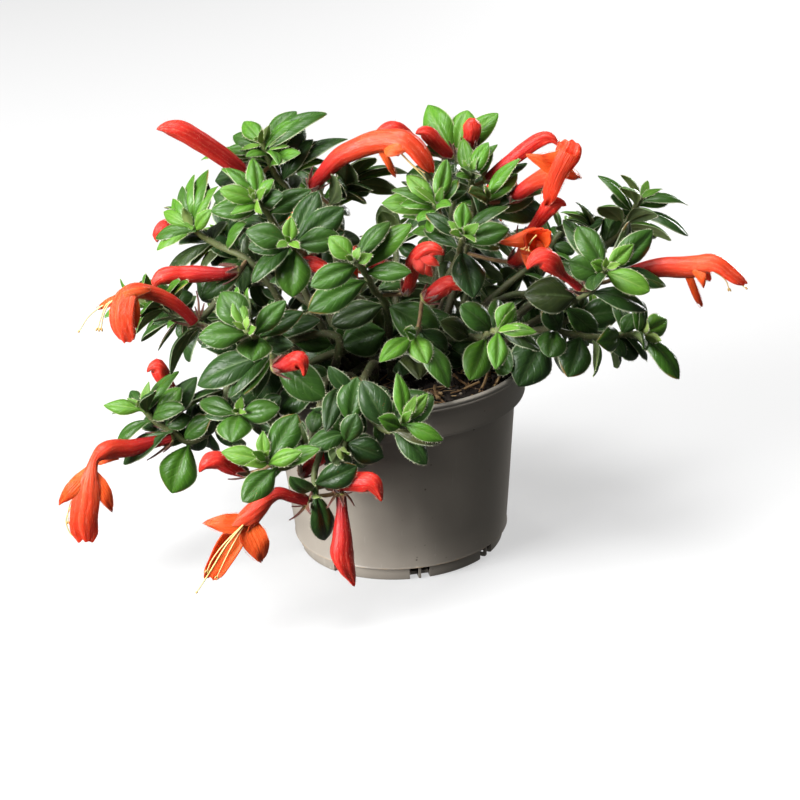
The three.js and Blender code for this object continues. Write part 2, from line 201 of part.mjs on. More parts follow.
  ["shoot_08",[31.03,-43.68,157.29],[26.25,-51.65,161.44],[0.66,-0.44,0.61],3.95,1,0.07,0],
  ["shoot_08",[31.68,-43.44,156.95],[36.07,-56.31,158.36],[0.25,-0.09,0.96],4.16,1,0.07,0],
  ["shoot_08",[32.16,-37.78,152.75],[51.17,-39.08,157.54],[-0.05,-0.89,0.45],9.37,3,0.12,1],
  ["shoot_08",[31.04,-39.32,154.38],[17.12,-34.22,164.49],[0.31,-0.61,0.73],7.83,3,0.12,1],
  ["shoot_08",[30.97,-26.6,144.65],[35.27,-42.84,129.42],[0.18,-0.71,0.68],13.84,3,0.12,1],
  ["shoot_08",[32.15,-37.14,152.81],[52.29,-23.67,162.66],[-0.45,-0.11,0.89],11.72,4,0.1,1],
  ["shoot_08",[31.34,-45.35,159.6],[29.73,-49.3,162.17],[0.91,-0.41,-0.06],1.84,0,0.04,0],
  ["shoot_08",[30.2,-27.11,146.07],[16.82,-10.75,150.71],[-0.02,-0.53,0.85],8.97,4,0.1,1],
  ["shoot_08",[32.31,-37.66,152.42],[47.75,-30.61,147.13],[0.45,-0.37,0.81],8.58,4,0.1,1],
  ["shoot_08",[23.22,-10,122.57],[27.45,6.17,128.92],[0.53,-0.41,0.74],10.64,4,0.1,1],
  ["shoot_09",[37.3,-6.19,170.42],[35.18,5.12,184.97],[-0.28,-0.77,0.57],7.42,2,0.1,1],
  ["shoot_09",[37.5,-6.64,170.95],[45.63,-4.52,185.46],[-0.24,-0.68,0.69],7.85,2,0.1,1],
  ["shoot_09",[37.68,-6.23,169.86],[49.56,-1.59,183.41],[-0.69,-0.4,0.61],6.98,2,0.1,1],
  ["shoot_09",[37.96,-4.88,168.12],[47.59,-0.47,180.38],[-0.23,-0.4,0.89],8.67,3,0.12,1],
  ["shoot_09",[37.45,-7.32,169.59],[35.66,-23.17,178.74],[0.4,0.37,0.84],8.71,3,0.12,1],
  ["shoot_09",[38.22,-2.02,163.56],[43.27,19.9,160.01],[-0.07,0.04,1],9.92,4,0.1,1],
  ["shoot_09",[36.91,-8.04,172.52],[34.51,-9.59,179.95],[-0.44,-0.84,0.3],2.61,0,0.04,0],
  ["shoot_09",[37.68,-7.51,172.04],[40.37,-8.71,180.46],[-0.4,-0.66,0.64],3.38,1,0.07,0],
  ["shoot_09",[36.83,-7.98,171.01],[31.05,-14.44,174.03],[0.48,0.15,0.86],6.27,2,0.1,1],
  ["shoot_09",[37.57,-2.84,165.14],[25.41,6.04,172.24],[0.32,-0.13,0.94],10.14,4,0.1,1],
  ["shoot_09",[38.38,-0,160.95],[39.63,-24.55,159.82],[0.74,-0.17,0.65],9.41,4,0.1,1],
  ["shoot_10",[9.93,-45.67,113.87],[14.34,-58.9,107.03],[-0.03,-0.47,0.88],10.75,2,0.1,1],
  ["shoot_10",[8.63,-47.08,114.35],[-5.26,-60.43,109.45],[0.07,-0.56,0.83],8.59,2,0.1,1],
  ["shoot_10",[9.96,-45,113.87],[23.12,-57.34,95.07],[0.4,-0.61,0.68],11.25,3,0.12,1],
  ["shoot_10",[5.8,-14.24,91.12],[4.18,-29.22,90.12],[-0.17,0.04,0.98],9.64,4,0.1,1],
  ["shoot_10",[12.54,-32.74,112.21],[23.21,-29.61,100.5],[0.28,-0.96,-0.05],11.32,4,0.1,1],
  ["shoot_10",[8.94,-47.62,115.41],[5.46,-58.63,122.58],[0.95,-0.32,-0.02],5.77,2,0.1,1],
  ["shoot_10",[6.07,-14.42,91.13],[11,-45.63,95.06],[0.14,0.2,0.97],12.52,4,0.1,1],
  ["shoot_11",[42.19,-40.53,113.54],[29.93,-43.87,126.88],[0.43,-0.88,0.18],11.24,3,0.12,1],
  ["shoot_11",[44.85,-48.03,116.48],[52.43,-48.67,126.65],[0.25,-0.9,-0.35],4.72,1,0.07,0],
  ["shoot_11",[44.74,-47.23,116.06],[51.93,-43.45,126.63],[-0.05,-0.99,-0.13],9.42,2,0.1,1],
  ["shoot_11",[45.27,-49.35,116.43],[60.6,-53.7,116.59],[-0.32,-0.55,0.78],6.6,2,0.1,1],
  ["shoot_11",[45.41,-49.48,116.62],[53.81,-58.2,120.38],[-0.56,-0.22,0.8],4.08,1,0.07,0],
  ["shoot_11",[44.41,-48.97,115.73],[42.81,-63.45,105.04],[0.22,-0.59,0.77],8.56,2,0.1,1],
  ["shoot_11",[40.03,-27.83,105.08],[32.59,-42.15,92.02],[0.33,-0.72,0.61],13.18,3,0.12,1],
  ["shoot_11",[44.68,-46.97,115.38],[62.03,-52.62,108.24],[0.23,-0.41,0.88],8.49,3,0.12,1],
  ["shoot_11",[43.28,-41.16,114.12],[46.94,-24.39,121.12],[0.43,-0.43,0.8],8.96,4,0.1,1],
  ["shoot_11",[32.82,-20.16,103.3],[21.1,-31.01,114.92],[0.78,-0.58,0.24],9.55,4,0.1,1],
  ["shoot_12",[90.35,-37.98,137.26],[81.18,-28.56,153.66],[0.18,-0.76,0.63],12.02,3,0.12,1],
  ["shoot_12",[89.88,-33.66,133.25],[75.25,-22.23,154.9],[0.56,-0.47,0.69],13.65,4,0.1,1],
  ["shoot_12",[91.26,-37.14,136.46],[112.6,-26.93,149.94],[0.07,-0.97,0.21],11.59,3,0.12,1],
  ["shoot_12",[90.56,-33.53,132.87],[103.1,-23.76,153.13],[0.88,-0.47,0.05],12.67,4,0.1,1],
  ["shoot_12",[91.16,-38.14,137.42],[103.6,-35.93,147.13],[0.05,-0.95,0.31],7.28,1,0.07,0],
  ["shoot_12",[90.3,-38.62,137.81],[84.93,-42.28,142.32],[0.73,-0.68,0.06],5.57,1,0.07,0],
  ["shoot_12",[91.42,-39.45,138.57],[97.38,-40.91,140.39],[-0.61,-0.68,0.41],2.99,0,0.04,0],
  ["shoot_12",[91,-40.36,139.04],[91.22,-43.58,144.85],[0.11,-0.99,-0.01],2.99,0,0.04,0],
  ["shoot_12",[89.85,-34.93,134.12],[76.2,-37.93,141.56],[0.24,-0.94,0.22],11.63,3,0.12,1],
  ["shoot_12",[87.48,-28.68,127.41],[72.41,-20.03,135.52],[0.33,-0.62,0.71],9.03,4,0.1,1],
  ["shoot_12",[91.2,-37.92,136.19],[108.77,-47.12,129.94],[-0.21,-0.83,0.51],10.3,3,0.12,1],
  ["shoot_12",[91.05,-34.03,132.47],[117.27,-35.15,127.52],[0.16,-0.32,0.93],12.63,4,0.1,1],
  ["shoot_12",[90.06,-35.25,132.87],[84.27,-57.47,135.36],[-0.4,0.06,0.92],9.1,4,0.1,1],
  ["shoot_12",[79.42,-22.34,119.66],[57.59,-26.78,124.14],[0.27,-0.83,0.49],15.81,4,0.1,1],
  ["shoot_12",[84.65,-24.82,122.63],[110.77,-21.61,112.02],[0.39,-0.46,0.8],12.44,4,0.1,1],
  ["shoot_12",[75.62,-17.25,114.2],[89.98,-12.12,98.99],[0.35,-0.93,-0.04],9.72,4,0.1,1],
  ["shoot_13",[110.4,11.96,147.98],[126.31,21.38,148.44],[0.36,-0.41,0.83],9.23,3,0.12,1],
  ["shoot_13",[105.14,8.94,141.23],[117.31,-5.53,149.54],[0.41,0.69,0.6],8.95,3,0.12,1],
  ["shoot_13",[108.11,11.85,145.95],[94.3,17.39,161.4],[0.66,-0.3,0.69],9.31,3,0.12,1],
  ["shoot_13",[111.41,11.84,151.57],[103.3,7.22,164.43],[0.62,0.53,0.58],6.31,2,0.1,1],
  ["shoot_13",[111.75,12.27,150.97],[117,22.86,156.41],[0.31,-0.73,0.61],4.03,1,0.07,0],
  ["shoot_13",[112.72,11.93,151.47],[122.96,20.33,153.1],[-0.06,-0.33,0.94],4.22,1,0.07,0],
  ["shoot_13",[109.87,11.33,148.78],[103.53,-1.94,160.88],[0.42,0.49,0.76],8.49,3,0.12,1],
  ["shoot_13",[104.16,8.8,141.59],[92.98,-2.8,153.59],[0.04,0.7,0.72],9.72,4,0.1,1],
  ["shoot_13",[111.41,11,149.82],[133.55,16.25,146.31],[0.22,0.03,0.97],9.72,3,0.12,1],
  ["shoot_13",[109.21,11.5,145.16],[132.36,5.59,135.52],[0.37,-0.05,0.93],12.18,4,0.1,1],
  ["shoot_13",[104.16,8.53,139.95],[123.58,-4.02,137.33],[0.45,0.54,0.71],10.87,4,0.1,1],
  ["shoot_14",[107.15,-17.22,100.01],[104.6,-18.73,118.35],[0.79,-0.54,-0.29],8.61,3,0.12,1],
  ["shoot_14",[107.24,-17.7,100.05],[108.52,-19.12,115.61],[0.79,-0.44,-0.44],8.51,3,0.12,1],
  ["shoot_14",[107.58,-17.04,99.57],[121.3,-8.12,101.82],[0.47,-0.81,0.36],10.23,2,0.1,1],
  ["shoot_14",[109.11,-18.53,99.66],[116.07,-28.71,100.29],[0.61,0.74,-0.3],4.06,1,0.07,0],
  ["shoot_14",[108.75,-17.88,100.17],[109.86,-28.85,110.16],[0.98,0.2,-0.07],3.91,1,0.07,0],
  ["shoot_14",[104.18,-17.86,99.48],[107.18,-36.95,100.13],[0.91,0.16,0.38],8.54,3,0.12,1],
  ["shoot_14",[107.84,-17.53,98.81],[124.38,-24.37,80.23],[0.44,-0.64,0.63],11.25,3,0.12,1],
  ["shoot_14",[100.76,-16.51,98.75],[112.11,-7.24,83.06],[0.84,-0.19,0.5],10.31,4,0.1,1],
  ["shoot_14",[97.84,-17.76,99.59],[87.69,-35.51,103.84],[0.87,-0.45,0.2],10.68,3,0.12,1],
  ["shoot_14",[81.88,-19.7,100.82],[75.02,-35.43,88.35],[0.3,-0.67,0.68],15.08,4,0.1,1],
  ["shoot_14",[70.68,-20.49,103.43],[66.72,-37.5,98.84],[0.3,0.1,0.95],13.28,4,0.1,1],
  ["shoot_14",[66.39,-19.96,103.79],[53.37,-35.95,85.57],[0.28,-0.81,0.51],18.6,4,0.1,1],
  ["shoot_14",[86.89,-18.39,99.2],[85.62,-37.16,88.93],[0.98,0.04,-0.2],9.9,4,0.1,1],
  ["shoot_14",[72.66,-20.37,104.07],[65.74,-27.91,120.16],[0.5,-0.84,-0.21],10.63,4,0.1,1],
  ["shoot_15",[-50.71,-51.49,111.69],[-82.46,-51.56,99.78],[-0.49,-0.59,0.64],15.69,4,0.1,1],
  ["shoot_15",[-50.29,-48.33,110.39],[-62.78,-61.29,98.56],[-0.43,-0.56,0.7],9.74,4,0.1,1],
  ["shoot_15",[-49.29,-49.83,110.81],[-29.24,-60.29,94.58],[-0.3,-0.91,0.27],15.43,4,0.1,1],
  ["shoot_15",[-50.65,-51.01,111.06],[-69.18,-60.17,97.13],[-0.38,-0.21,0.9],12.07,4,0.1,1],
  ["shoot_15",[-50.25,-49.21,110.41],[-58.57,-53.03,93.7],[-0.64,-0.67,0.38],9.24,4,0.1,1],
  ["shoot_16",[-66.18,-55.77,87.31],[-82.87,-44.28,89.1],[-0.14,-0.77,0.62],8.6,3,0.12,1],
  ["shoot_16",[-64.99,-56.01,87.27],[-48.12,-62.34,91.89],[-0.41,-0.81,0.42],10.32,3,0.12,1],
  ["shoot_16",[-65.56,-56.76,87.58],[-68.73,-70.58,81.17],[-0.03,-0.12,0.99],14.62,3,0.12,1],
  ["shoot_16",[-65.69,-57.04,89.58],[-63.69,-59.34,97.03],[-0.24,-0.86,-0.44],3.87,1,0.07,0],
  ["shoot_16",[-66.48,-58.4,90],[-68.03,-62.82,91.95],[0.94,-0.21,0.27],2.14,0,0.04,0],
  ["shoot_16",[-66.18,-58.42,89.96],[-62.14,-63.13,90.97],[-0.6,-0.64,0.48],2.16,0,0.04,0],
  ["shoot_16",[-61.54,-48.5,81],[-51.85,-64,83.35],[-0.83,-0.54,-0.14],8.99,4,0.1,1],
  ["shoot_16",[-64.82,-52.36,83.71],[-80.7,-50.18,85.03],[-0.18,-0.1,0.98],9.16,4,0.1,1],
  ["shoot_16",[-57.01,-42.06,81.36],[-47.77,-52.1,93.18],[-0.76,-0.66,0.02],9.15,4,0.1,1],
  ["shoot_17",[-110.13,-21.87,77.7],[-127.53,-19.58,79.63],[-0.46,-0.6,0.66],6.97,2,0.1,1],
  ["shoot_17",[-109.43,-21.88,76.59],[-123.96,-22.03,76.3],[-0.04,0.06,1],6.25,2,0.1,1],
  ["shoot_17",[-110.23,-21.42,77.53],[-117.21,-18.87,82.28],[-0.14,-0.73,0.66],3.84,1,0.07,0],
  ["shoot_17",[-110.3,-22.7,78.95],[-112.13,-24.23,82.84],[-0.61,0.79,0.08],3.12,0,0.04,0],
  ["shoot_17",[-109.42,-21.51,78.19],[-106.76,-19.24,89.73],[-0.25,-0.9,0.36],4.74,1,0.07,0],
  ["shoot_17",[-109.9,-21.45,77.48],[-116.61,-7.68,81.05],[-0.41,-0.5,0.77],5.98,2,0.1,1],
  ["shoot_17",[-108.61,-22.64,75.79],[-103.52,-32.77,90.02],[-0.65,0.55,0.52],8.6,3,0.12,1],
  ["shoot_17",[-108.2,-21.3,75.99],[-94.11,-12.99,91.21],[-0.8,-0.43,0.42],10.03,3,0.12,1],
  ["shoot_17",[-105.24,-21.04,72.11],[-103.97,-11.57,84.27],[-0.68,-0.29,0.67],10.1,4,0.1,1],
  ["shoot_17",[-104.9,-21.77,72.01],[-92.56,-23.43,87.62],[-0.51,-0.82,0.25],9.68,4,0.1,1],
  ["shoot_17",[-100.96,-20.96,68.67],[-86.25,-13.89,88.46],[-0.46,-0.62,0.64],12.11,4,0.1,1],
  ["shoot_17",[-106.21,-22.28,72.99],[-90.73,-34.7,82.73],[-0.7,-0.34,0.63],9.2,3,0.12,1],
  ["shoot_17",[-106.81,-21.42,72.33],[-124.48,-17.03,56.48],[-0.18,-0.38,0.91],8.89,3,0.12,1],
  ["shoot_17",[-100.24,-20.15,66.04],[-121.78,-17.95,50.47],[-0.39,-0.45,0.81],12.2,4,0.1,1],
  ["shoot_17",[-93.39,-19.25,61.52],[-80.34,-27.92,74.57],[-0.72,-0.61,0.32],9.68,4,0.1,1],
  ["shoot_17",[-91.54,-18.05,59.25],[-100.78,-24.89,38.2],[-0.13,-0.93,0.36],16.71,4,0.1,1],
  ["shoot_17",[-88.57,-16.04,61.21],[-89.79,-5.31,73.16],[-0.64,-0.51,0.58],9.78,4,0.1,1],
  ["shoot_17",[-82.7,-13.5,62.68],[-83.39,1.25,47.51],[-0.51,-0.63,-0.59],9.87,4,0.1,1],
  ["shoot_18",[-53.9,-82.37,77.07],[-72.31,-79.96,81.06],[0.09,-0.86,0.5],7.99,2,0.1,1],
  ["shoot_18",[-54.33,-81.19,78.47],[-54.65,-78.72,89.11],[-0.29,-0.96,0.02],6.31,1,0.07,0],
  ["shoot_18",[-52.56,-80.85,76.7],[-40.54,-71.95,92.93],[-0.07,-0.84,0.54],13.05,3,0.12,1],
  ["shoot_18",[-52.43,-81.27,76.53],[-38.74,-88.55,82.98],[-0.54,-0.75,0.4],7.16,2,0.1,1],
  ["shoot_18",[-49.34,-80.11,73.01],[-31.5,-84.33,82.05],[-0.49,-0.42,0.77],8.95,3,0.12,1],
  ["shoot_18",[-38.98,-70.02,75.26],[-38.61,-77.29,90.65],[-0.67,-0.64,-0.38],9.04,4,0.1,1],
  ["shoot_18",[-54.37,-81.95,78.16],[-59.12,-87.67,83.92],[0.87,-0.5,0.05],3.94,1,0.07,0],
  ["shoot_18",[-53.2,-81.39,76.43],[-62.49,-90.01,78.65],[0.61,-0.49,0.62],4.18,1,0.07,0],
  ["shoot_18",[-53.49,-80.94,76.58],[-69.64,-72.81,75.79],[0.26,-0.06,0.96],7.62,3,0.12,1],
  ["shoot_18",[-51.01,-80.39,73.53],[-64.08,-93.77,64.43],[0.14,-0.75,0.65],11.83,3,0.12,1],
  ["shoot_18",[-46.1,-76.68,71.49],[-59.98,-77.4,60.73],[-0.67,-0.1,0.74],10.09,4,0.1,1],
  ["shoot_18",[-54.61,-82.18,79.07],[-52.25,-85.06,83.14],[-0.33,-0.86,-0.39],2.1,0,0.04,0],
  ["shoot_19",[-34.44,-80.64,64.99],[-16.7,-86.44,74.51],[-0.33,-0.94,0.03],11.44,3,0.12,1],
  ["shoot_19",[-34.61,-80.62,62.73],[-32.27,-76.71,36.69],[0.32,-0.91,-0.26],10.25,3,0.12,1],
  ["shoot_19",[-34.65,-81.49,60.64],[-36.14,-81.17,47.99],[0.57,-0.8,-0.16],5.83,2,0.1,1],
  ["shoot_19",[-34.91,-81.85,61.48],[-32.56,-94.61,64.92],[-0.11,-0.27,-0.95],3.96,1,0.07,0],
  ["shoot_19",[-35.22,-81.04,63.08],[-44.01,-94.45,75.19],[0.15,-0.71,-0.68],8.46,3,0.12,1],
  ["shoot_20",[1.99,-77.45,89.84],[1.6,-70.03,108.01],[0.54,-0.79,0.29],7.91,2,0.1,1],
  ["shoot_20",[2.72,-77.59,90.03],[13.93,-73.39,99.67],[-0.06,-0.96,0.26],6.3,1,0.07,0],
  ["shoot_20",[2.71,-77.98,90.16],[7.02,-82.32,96.35],[-0.57,-0.82,-0.04],3.45,1,0.07,0],
  ["shoot_20",[2.98,-77.87,89.72],[19.14,-81.75,82.04],[-0.06,-0.8,0.6],7.23,2,0.1,1],
  ["shoot_20",[-1.71,-77.15,85.45],[11.88,-85.16,73.03],[0.16,-0.51,0.85],10.95,3,0.12,1],
  ["shoot_20",[0.66,-77.73,88.67],[-6.97,-88.42,96.29],[0.81,-0.58,0.11],7.15,2,0.1,1],
  ["shoot_20",[-2.81,-76.96,86.09],[-12.88,-72.66,106.45],[0.08,-0.97,0.24],12.5,4,0.1,1],
  ["shoot_20",[-9.41,-73.21,89.18],[-7.3,-65.27,75.03],[0.83,-0.46,-0.32],7.56,3,0.12,1],
  ["shoot_20",[-1.93,-77.67,85.66],[18.21,-78.99,80.19],[0.38,-0.46,0.81],10.31,4,0.1,1],
  ["shoot_20",[-12.24,-52.13,97.14],[-7.42,-66.56,86.71],[-0.44,-0.74,0.5],9.89,4,0.1,1],
  ["shoot_20",[3.85,-78.17,91.15],[9.04,-77.68,101.01],[-0.04,-0.98,0.18],4.6,1,0.07,0],
  ["shoot_21",[-18.82,12.7,161.21],[-14.85,1.55,177.58],[0.58,0.71,0.41],10.94,4,0.1,1],
  ["shoot_21",[-15.17,15.68,163.9],[-3.11,2.99,178.94],[-0.21,0.66,0.72],9.94,3,0.12,1],
  ["shoot_21",[-14.77,16.06,163.62],[10.72,13.9,168.16],[-0.18,0.6,0.78],11.26,3,0.12,1],
  ["shoot_21",[-14.92,15.96,163.41],[7.39,14.2,159.21],[0.16,0.85,0.49],9.81,3,0.12,1],
  ["shoot_21",[-19.61,11.62,159.74],[-5.18,-3.87,166.65],[0.12,0.62,0.78],9.07,3,0.12,1],
  ["shoot_21",[-19.81,11.46,159.6],[-8.6,-2.65,161.37],[0.5,0.44,0.75],10.07,4,0.1,1],
  ["shoot_21",[-24.02,8.52,157.08],[-20.29,-5.42,173.57],[0.76,0.64,-0.1],10.74,4,0.1,1],
  ["shoot_21",[-21.44,10.31,159.06],[-19.48,-10.83,173.89],[0.91,0.28,0.3],8.37,3,0.12,1],
  ["shoot_09",[44.02,-13.23,162.72],[58.5,-10.17,179.09],[-0.56,-0.31,0.76],8.9,2,0.1,1],
  ["shoot_09",[43.9,-12.76,161.98],[57.44,-8.01,171.72],[0.1,-0.31,0.95],10.47,3,0.12,1],
  ["shoot_09",[43.32,-7.42,156.21],[70.66,-6.08,163.72],[-0.05,-0.18,0.98],12.39,3,0.12,1],
  ["shoot_09",[43.21,-6.48,155.23],[68.24,2.44,153.46],[0.07,-0.79,0.61],14.08,4,0.1,1],
  ["shoot_09",[43.09,-5.88,155.1],[64.49,-1.38,160.07],[0.36,-0.59,0.73],11.42,4,0.1,1],
  ["shoot_09",[43.17,-6.97,155.9],[53.56,2.85,153.84],[0.81,-0.15,0.57],8.08,3,0.12,1],
  ["shoot_09",[42.64,-12.29,160.78],[35.34,-30.17,171.66],[0.85,0.03,0.52],8.53,3,0.12,1],
  ["shoot_09",[43.15,-14.11,163.16],[42.51,-21.36,171.82],[0.73,0.5,0.47],3.91,1,0.07,0],
  ["shoot_09",[42.87,-7.07,156.67],[61.88,0.44,174.02],[-0.51,0.01,0.86],14.11,4,0.1,1],
  ["shoot_09",[32.49,16.05,174.03],[21.31,32.89,193.05],[-0.45,-0.72,0.53],13.37,3,0.12,1],
  ["shoot_09",[32.87,15.98,173.9],[38.35,26.52,191.46],[-0.28,-0.74,0.61],13.37,3,0.12,1],
  ["shoot_09",[33.04,15.79,174.05],[51.32,18.06,191.66],[-0.19,-0.72,0.67],11.17,3,0.12,1],
  ["shoot_09",[32.83,15.06,174.12],[17.59,4.61,180.86],[0.02,0.93,0.38],8.65,3,0.12,1],
  ["shoot_09",[33.54,13.73,169.15],[22.37,-7.9,172.11],[0.21,0.09,0.97],10.09,4,0.1,1],
  ["shoot_13",[92.16,26.38,132.21],[84.59,17.43,149.56],[0.75,0.25,0.61],9.49,3,0.12,1],
  ["shoot_13",[90.93,29.18,135.88],[85.5,28.69,142.23],[0.46,0.72,0.53],3.79,1,0.07,0],
  ["shoot_13",[91.37,28.81,135.73],[96.01,15.22,142.63],[0.5,0.71,0.5],3.86,1,0.07,0],
  ["shoot_13",[91.12,28.06,134.33],[78.31,23.37,143.52],[0.23,0.38,0.89],8.97,3,0.12,1],
  ["shoot_13",[92.47,25.38,130.08],[79.62,20.98,140.83],[0.14,0.57,0.81],10.52,4,0.1,1],
  ["shoot_13",[93.09,24.11,130.02],[94,2.34,144.71],[-0.67,0.46,0.59],10.3,4,0.1,1],
  ["shoot_13",[92.6,25.03,129.87],[75.37,15.13,139.49],[0.15,0.77,0.62],10.42,4,0.1,1],
  ["shoot_06",[-91.27,-26.77,123.17],[-91.73,-7.84,126.79],[0.01,-0.19,0.98],13.07,3,0.12,1],
  ["shoot_06",[-96.31,-24.88,125.16],[-104.55,-40.5,128.92],[-0.7,0.26,0.66],8.57,3,0.12,1],
  ["shoot_06",[-97.31,-23.97,126.25],[-100.58,-43.26,147.1],[-0.85,0.48,-0.2],8.94,3,0.12,1],
  ["shoot_06",[-98.15,-23.44,126.25],[-112.67,-33.45,142.48],[-0.79,-0.22,-0.57],10.69,3,0.12,1],
  ["shoot_06",[-96.29,-24.96,124.55],[-107.73,-40.14,120.17],[-0.75,0.45,0.49],8.46,3,0.12,1],
  ["shoot_06",[-99.57,-22.56,126.56],[-121.02,-33.69,125.89],[0.12,0.07,0.99],11.18,3,0.12,1],
  ["shoot_06",[-82.54,-36.07,120.96],[-93.75,-47.1,103.72],[-0.86,0.43,0.28],10.8,4,0.1,1],
  ["shoot_06",[-91.96,-27.8,124.06],[-83.09,-47.62,144.12],[-0.78,0.29,0.55],9.98,4,0.1,1],
  ["shoot_06",[-93.31,-26.56,124.26],[-86.38,-47.44,144.67],[-0.86,0.24,0.45],9.93,4,0.1,1],
  ["shoot_06",[-89.81,-30.19,122.46],[-100.83,-33.38,122.45],[-0.22,0.75,0.62],2.47,5,0.03,0],
  ["shoot_06",[-89.27,-30.08,122.13],[-99.73,-34.83,109.71],[-0.75,0.48,0.45],3.47,5,0.03,0],
  ["shoot_06",[-87.84,-31,121.86],[-88.11,-30.95,108.94],[-0.92,0.4,0.02],2.66,5,0.03,0],
  ["shoot_06",[-87.05,-32.66,122.12],[-92.63,-37.94,124.61],[-0.46,0.73,0.51],1.76,5,0.03,0],
  ["shoot_06",[-80.3,-38.76,121.3],[-85.22,-45.7,123.55],[-0.37,0.79,0.49],1.74,5,0.03,0],
  ["shoot_06",[-80.5,-38.44,120.99],[-86.88,-42.81,119.78],[-0.59,0.7,0.39],1.74,5,0.03,0],
  ["shoot_06",[-80.39,-38.11,120.63],[-86.71,-39.62,113.14],[-0.6,0.72,0.36],2.09,5,0.03,0],
  ["shoot_20",[-20.78,-76.27,80.9],[-5.71,-76.43,73.31],[-0.42,-0.78,0.47],11.41,3,0.12,1],
  ["shoot_20",[-20.38,-73.67,83.53],[-36.52,-80.97,80.95],[-0.17,-0.68,0.71],10.15,3,0.12,1],
  ["shoot_20",[-20.72,-76.4,82.05],[-15.56,-80.59,95.21],[-0.25,-0.95,-0.2],9.5,3,0.1,1],
  ["shoot_20",[-19.11,-73.47,85.21],[-8.1,-71.62,76.57],[0.04,-0.86,-0.5],9,4,0.1,1],
  ["shoot_20",[-21.83,-77.76,79.8],[-22.99,-92.41,80.59],[-0.74,0.07,-0.67],4.22,1,0.07,0],
  ["shoot_20",[-21.78,-77.62,79.86],[-19.09,-91.55,82.79],[-0.57,-0.18,-0.81],4.04,1,0.07,0],
  ["shoot_20",[-14.82,-64.92,96.71],[-26.07,-67.4,111.65],[-0.37,-0.89,-0.26],8.92,4,0.1,1],
  ["shoot_20",[-21.81,-77.79,79.9],[-26.71,-93.46,80.05],[-0.79,0.09,-0.6],6.71,2,0.1,1],
  ["shoot_22",[-77.4,47.04,135.68],[-80.33,45.76,139.2],[-0.31,-0.66,0.68],2.47,0,0.1,0],
  ["shoot_22",[-76.84,47.83,135.51],[-76.14,52.45,138.56],[0.29,0.8,0.52],2.51,0,0.1,0],
  ["shoot_22",[-77.93,47.68,135.01],[-86.85,51.56,134],[-0.02,0.2,0.98],5.65,1,0.1,0],
  ["shoot_22",[-76.83,47.74,135.58],[-75.34,55.03,142.41],[-0.97,0.15,0.17],5.55,1,0.1,0],
  ["shoot_22",[-74.79,45.75,133.35],[-74.18,36.8,141.6],[-0.47,0.81,0.36],6.97,2,0.1,0],
  ["shoot_22",[-74.7,46.15,133.46],[-71.92,60.19,135.66],[-0.42,-0.17,0.89],8.66,2,0.1,0],
  ["shoot_22",[-71.85,43.5,130.23],[-56.6,42.89,142.15],[-0.81,0.57,0.15],12,3,0.1,0],
  ["shoot_22",[-72.91,43.56,129.8],[-91.52,44.48,121.55],[-0.36,0.14,0.92],12.73,3,0.1,0],
  ["shoot_22",[-67.83,41.57,125.4],[-62.11,60.57,130.12],[-0.32,0.15,0.93],12.47,3,0.1,0],
  ["shoot_22",[-63.46,38.02,121.15],[-73.54,30.32,105.82],[-0.69,-0.22,0.69],12.34,4,0.1,0],
  ["shoot_22",[-62.42,37.97,122.24],[-49.46,35.98,135.05],[-0.49,0.76,0.43],12.7,4,0.1,0],
  ["shoot_22",[-55.5,33.47,117.15],[-57.44,17.15,123.07],[-0.68,0.32,0.66],10.92,4,0.1,0],
  ["shoot_22",[-55.13,34.99,116.72],[-47.2,55.96,112.81],[-0.73,0.61,0.3],13.73,4,0.1,0],
  ["shoot_22",[-47.47,30.79,113.7],[-36.45,31.21,128.3],[-0.76,0.32,0.56],11.49,4,0.1,0],
  ["shoot_22",[-48.36,30.65,112.1],[-56.08,28.02,91.98],[-0.9,0.3,0.31],14.02,4,0.1,0],
  ["shoot_22",[-38.75,27.31,107.62],[-32.1,44.44,102.79],[-0.6,0.42,0.68],11.82,4,0.1,0],
  ["shoot_23",[-41.86,76.61,131.17],[-46.57,74.19,132.07],[0.02,-0.45,0.89],2.58,0,0.1,0],
  ["shoot_23",[-41.89,77.18,130.71],[-45.42,80.09,127.69],[0.7,0.68,0.21],2.5,0,0.1,0],
  ["shoot_23",[-41.31,76.9,131.65],[-39.08,78.19,140.5],[-0.67,0.74,0.06],5.22,1,0.1,0],
  ["shoot_23",[-40.34,74.47,129.36],[-36.81,73.28,143.52],[-0.54,0.82,0.2],8.25,2,0.1,0],
  ["shoot_23",[-38.84,71.11,126.03],[-31.78,67.9,143.01],[-0.74,0.6,0.31],10.66,3,0.1,0],
  ["shoot_23",[-36.44,67.59,120.77],[-25.44,83.03,116.12],[-0.28,0.46,0.84],12.02,3,0.1,0],
  ["shoot_23",[-37.43,66.64,121.48],[-50.48,59.21,134.04],[-0.09,0.78,0.62],11.75,3,0.1,0],
  ["shoot_23",[-34.71,62.37,116.35],[-43.45,66.68,100.05],[-0.31,0.81,0.5],12.03,4,0.1,0],
  ["shoot_23",[-33.94,61.93,117.6],[-22.55,54.97,134.93],[-0.45,0.69,0.57],14.64,4,0.1,0],
  ["shoot_23",[-30.97,53.34,111.56],[-35.61,38.47,108.78],[-0.76,0.21,0.61],11.49,4,0.1,0],
  ["shoot_23",[-29.8,55.34,110.99],[-17.58,61.87,94.69],[-0.04,0.94,0.34],14.26,4,0.1,0],
  ["shoot_23",[-25.76,46.92,106.79],[-13.43,41.45,119.76],[-0.4,0.64,0.65],11.57,4,0.1,0],
  ["shoot_23",[-26.98,47.05,105.54],[-39.13,47.35,93.14],[-0.54,0.64,0.55],11.52,4,0.1,0],
  ["shoot_23",[-20.71,39.52,99.68],[-5.25,50.36,93.44],[-0.14,0.64,0.76],13.51,4,0.1,0],
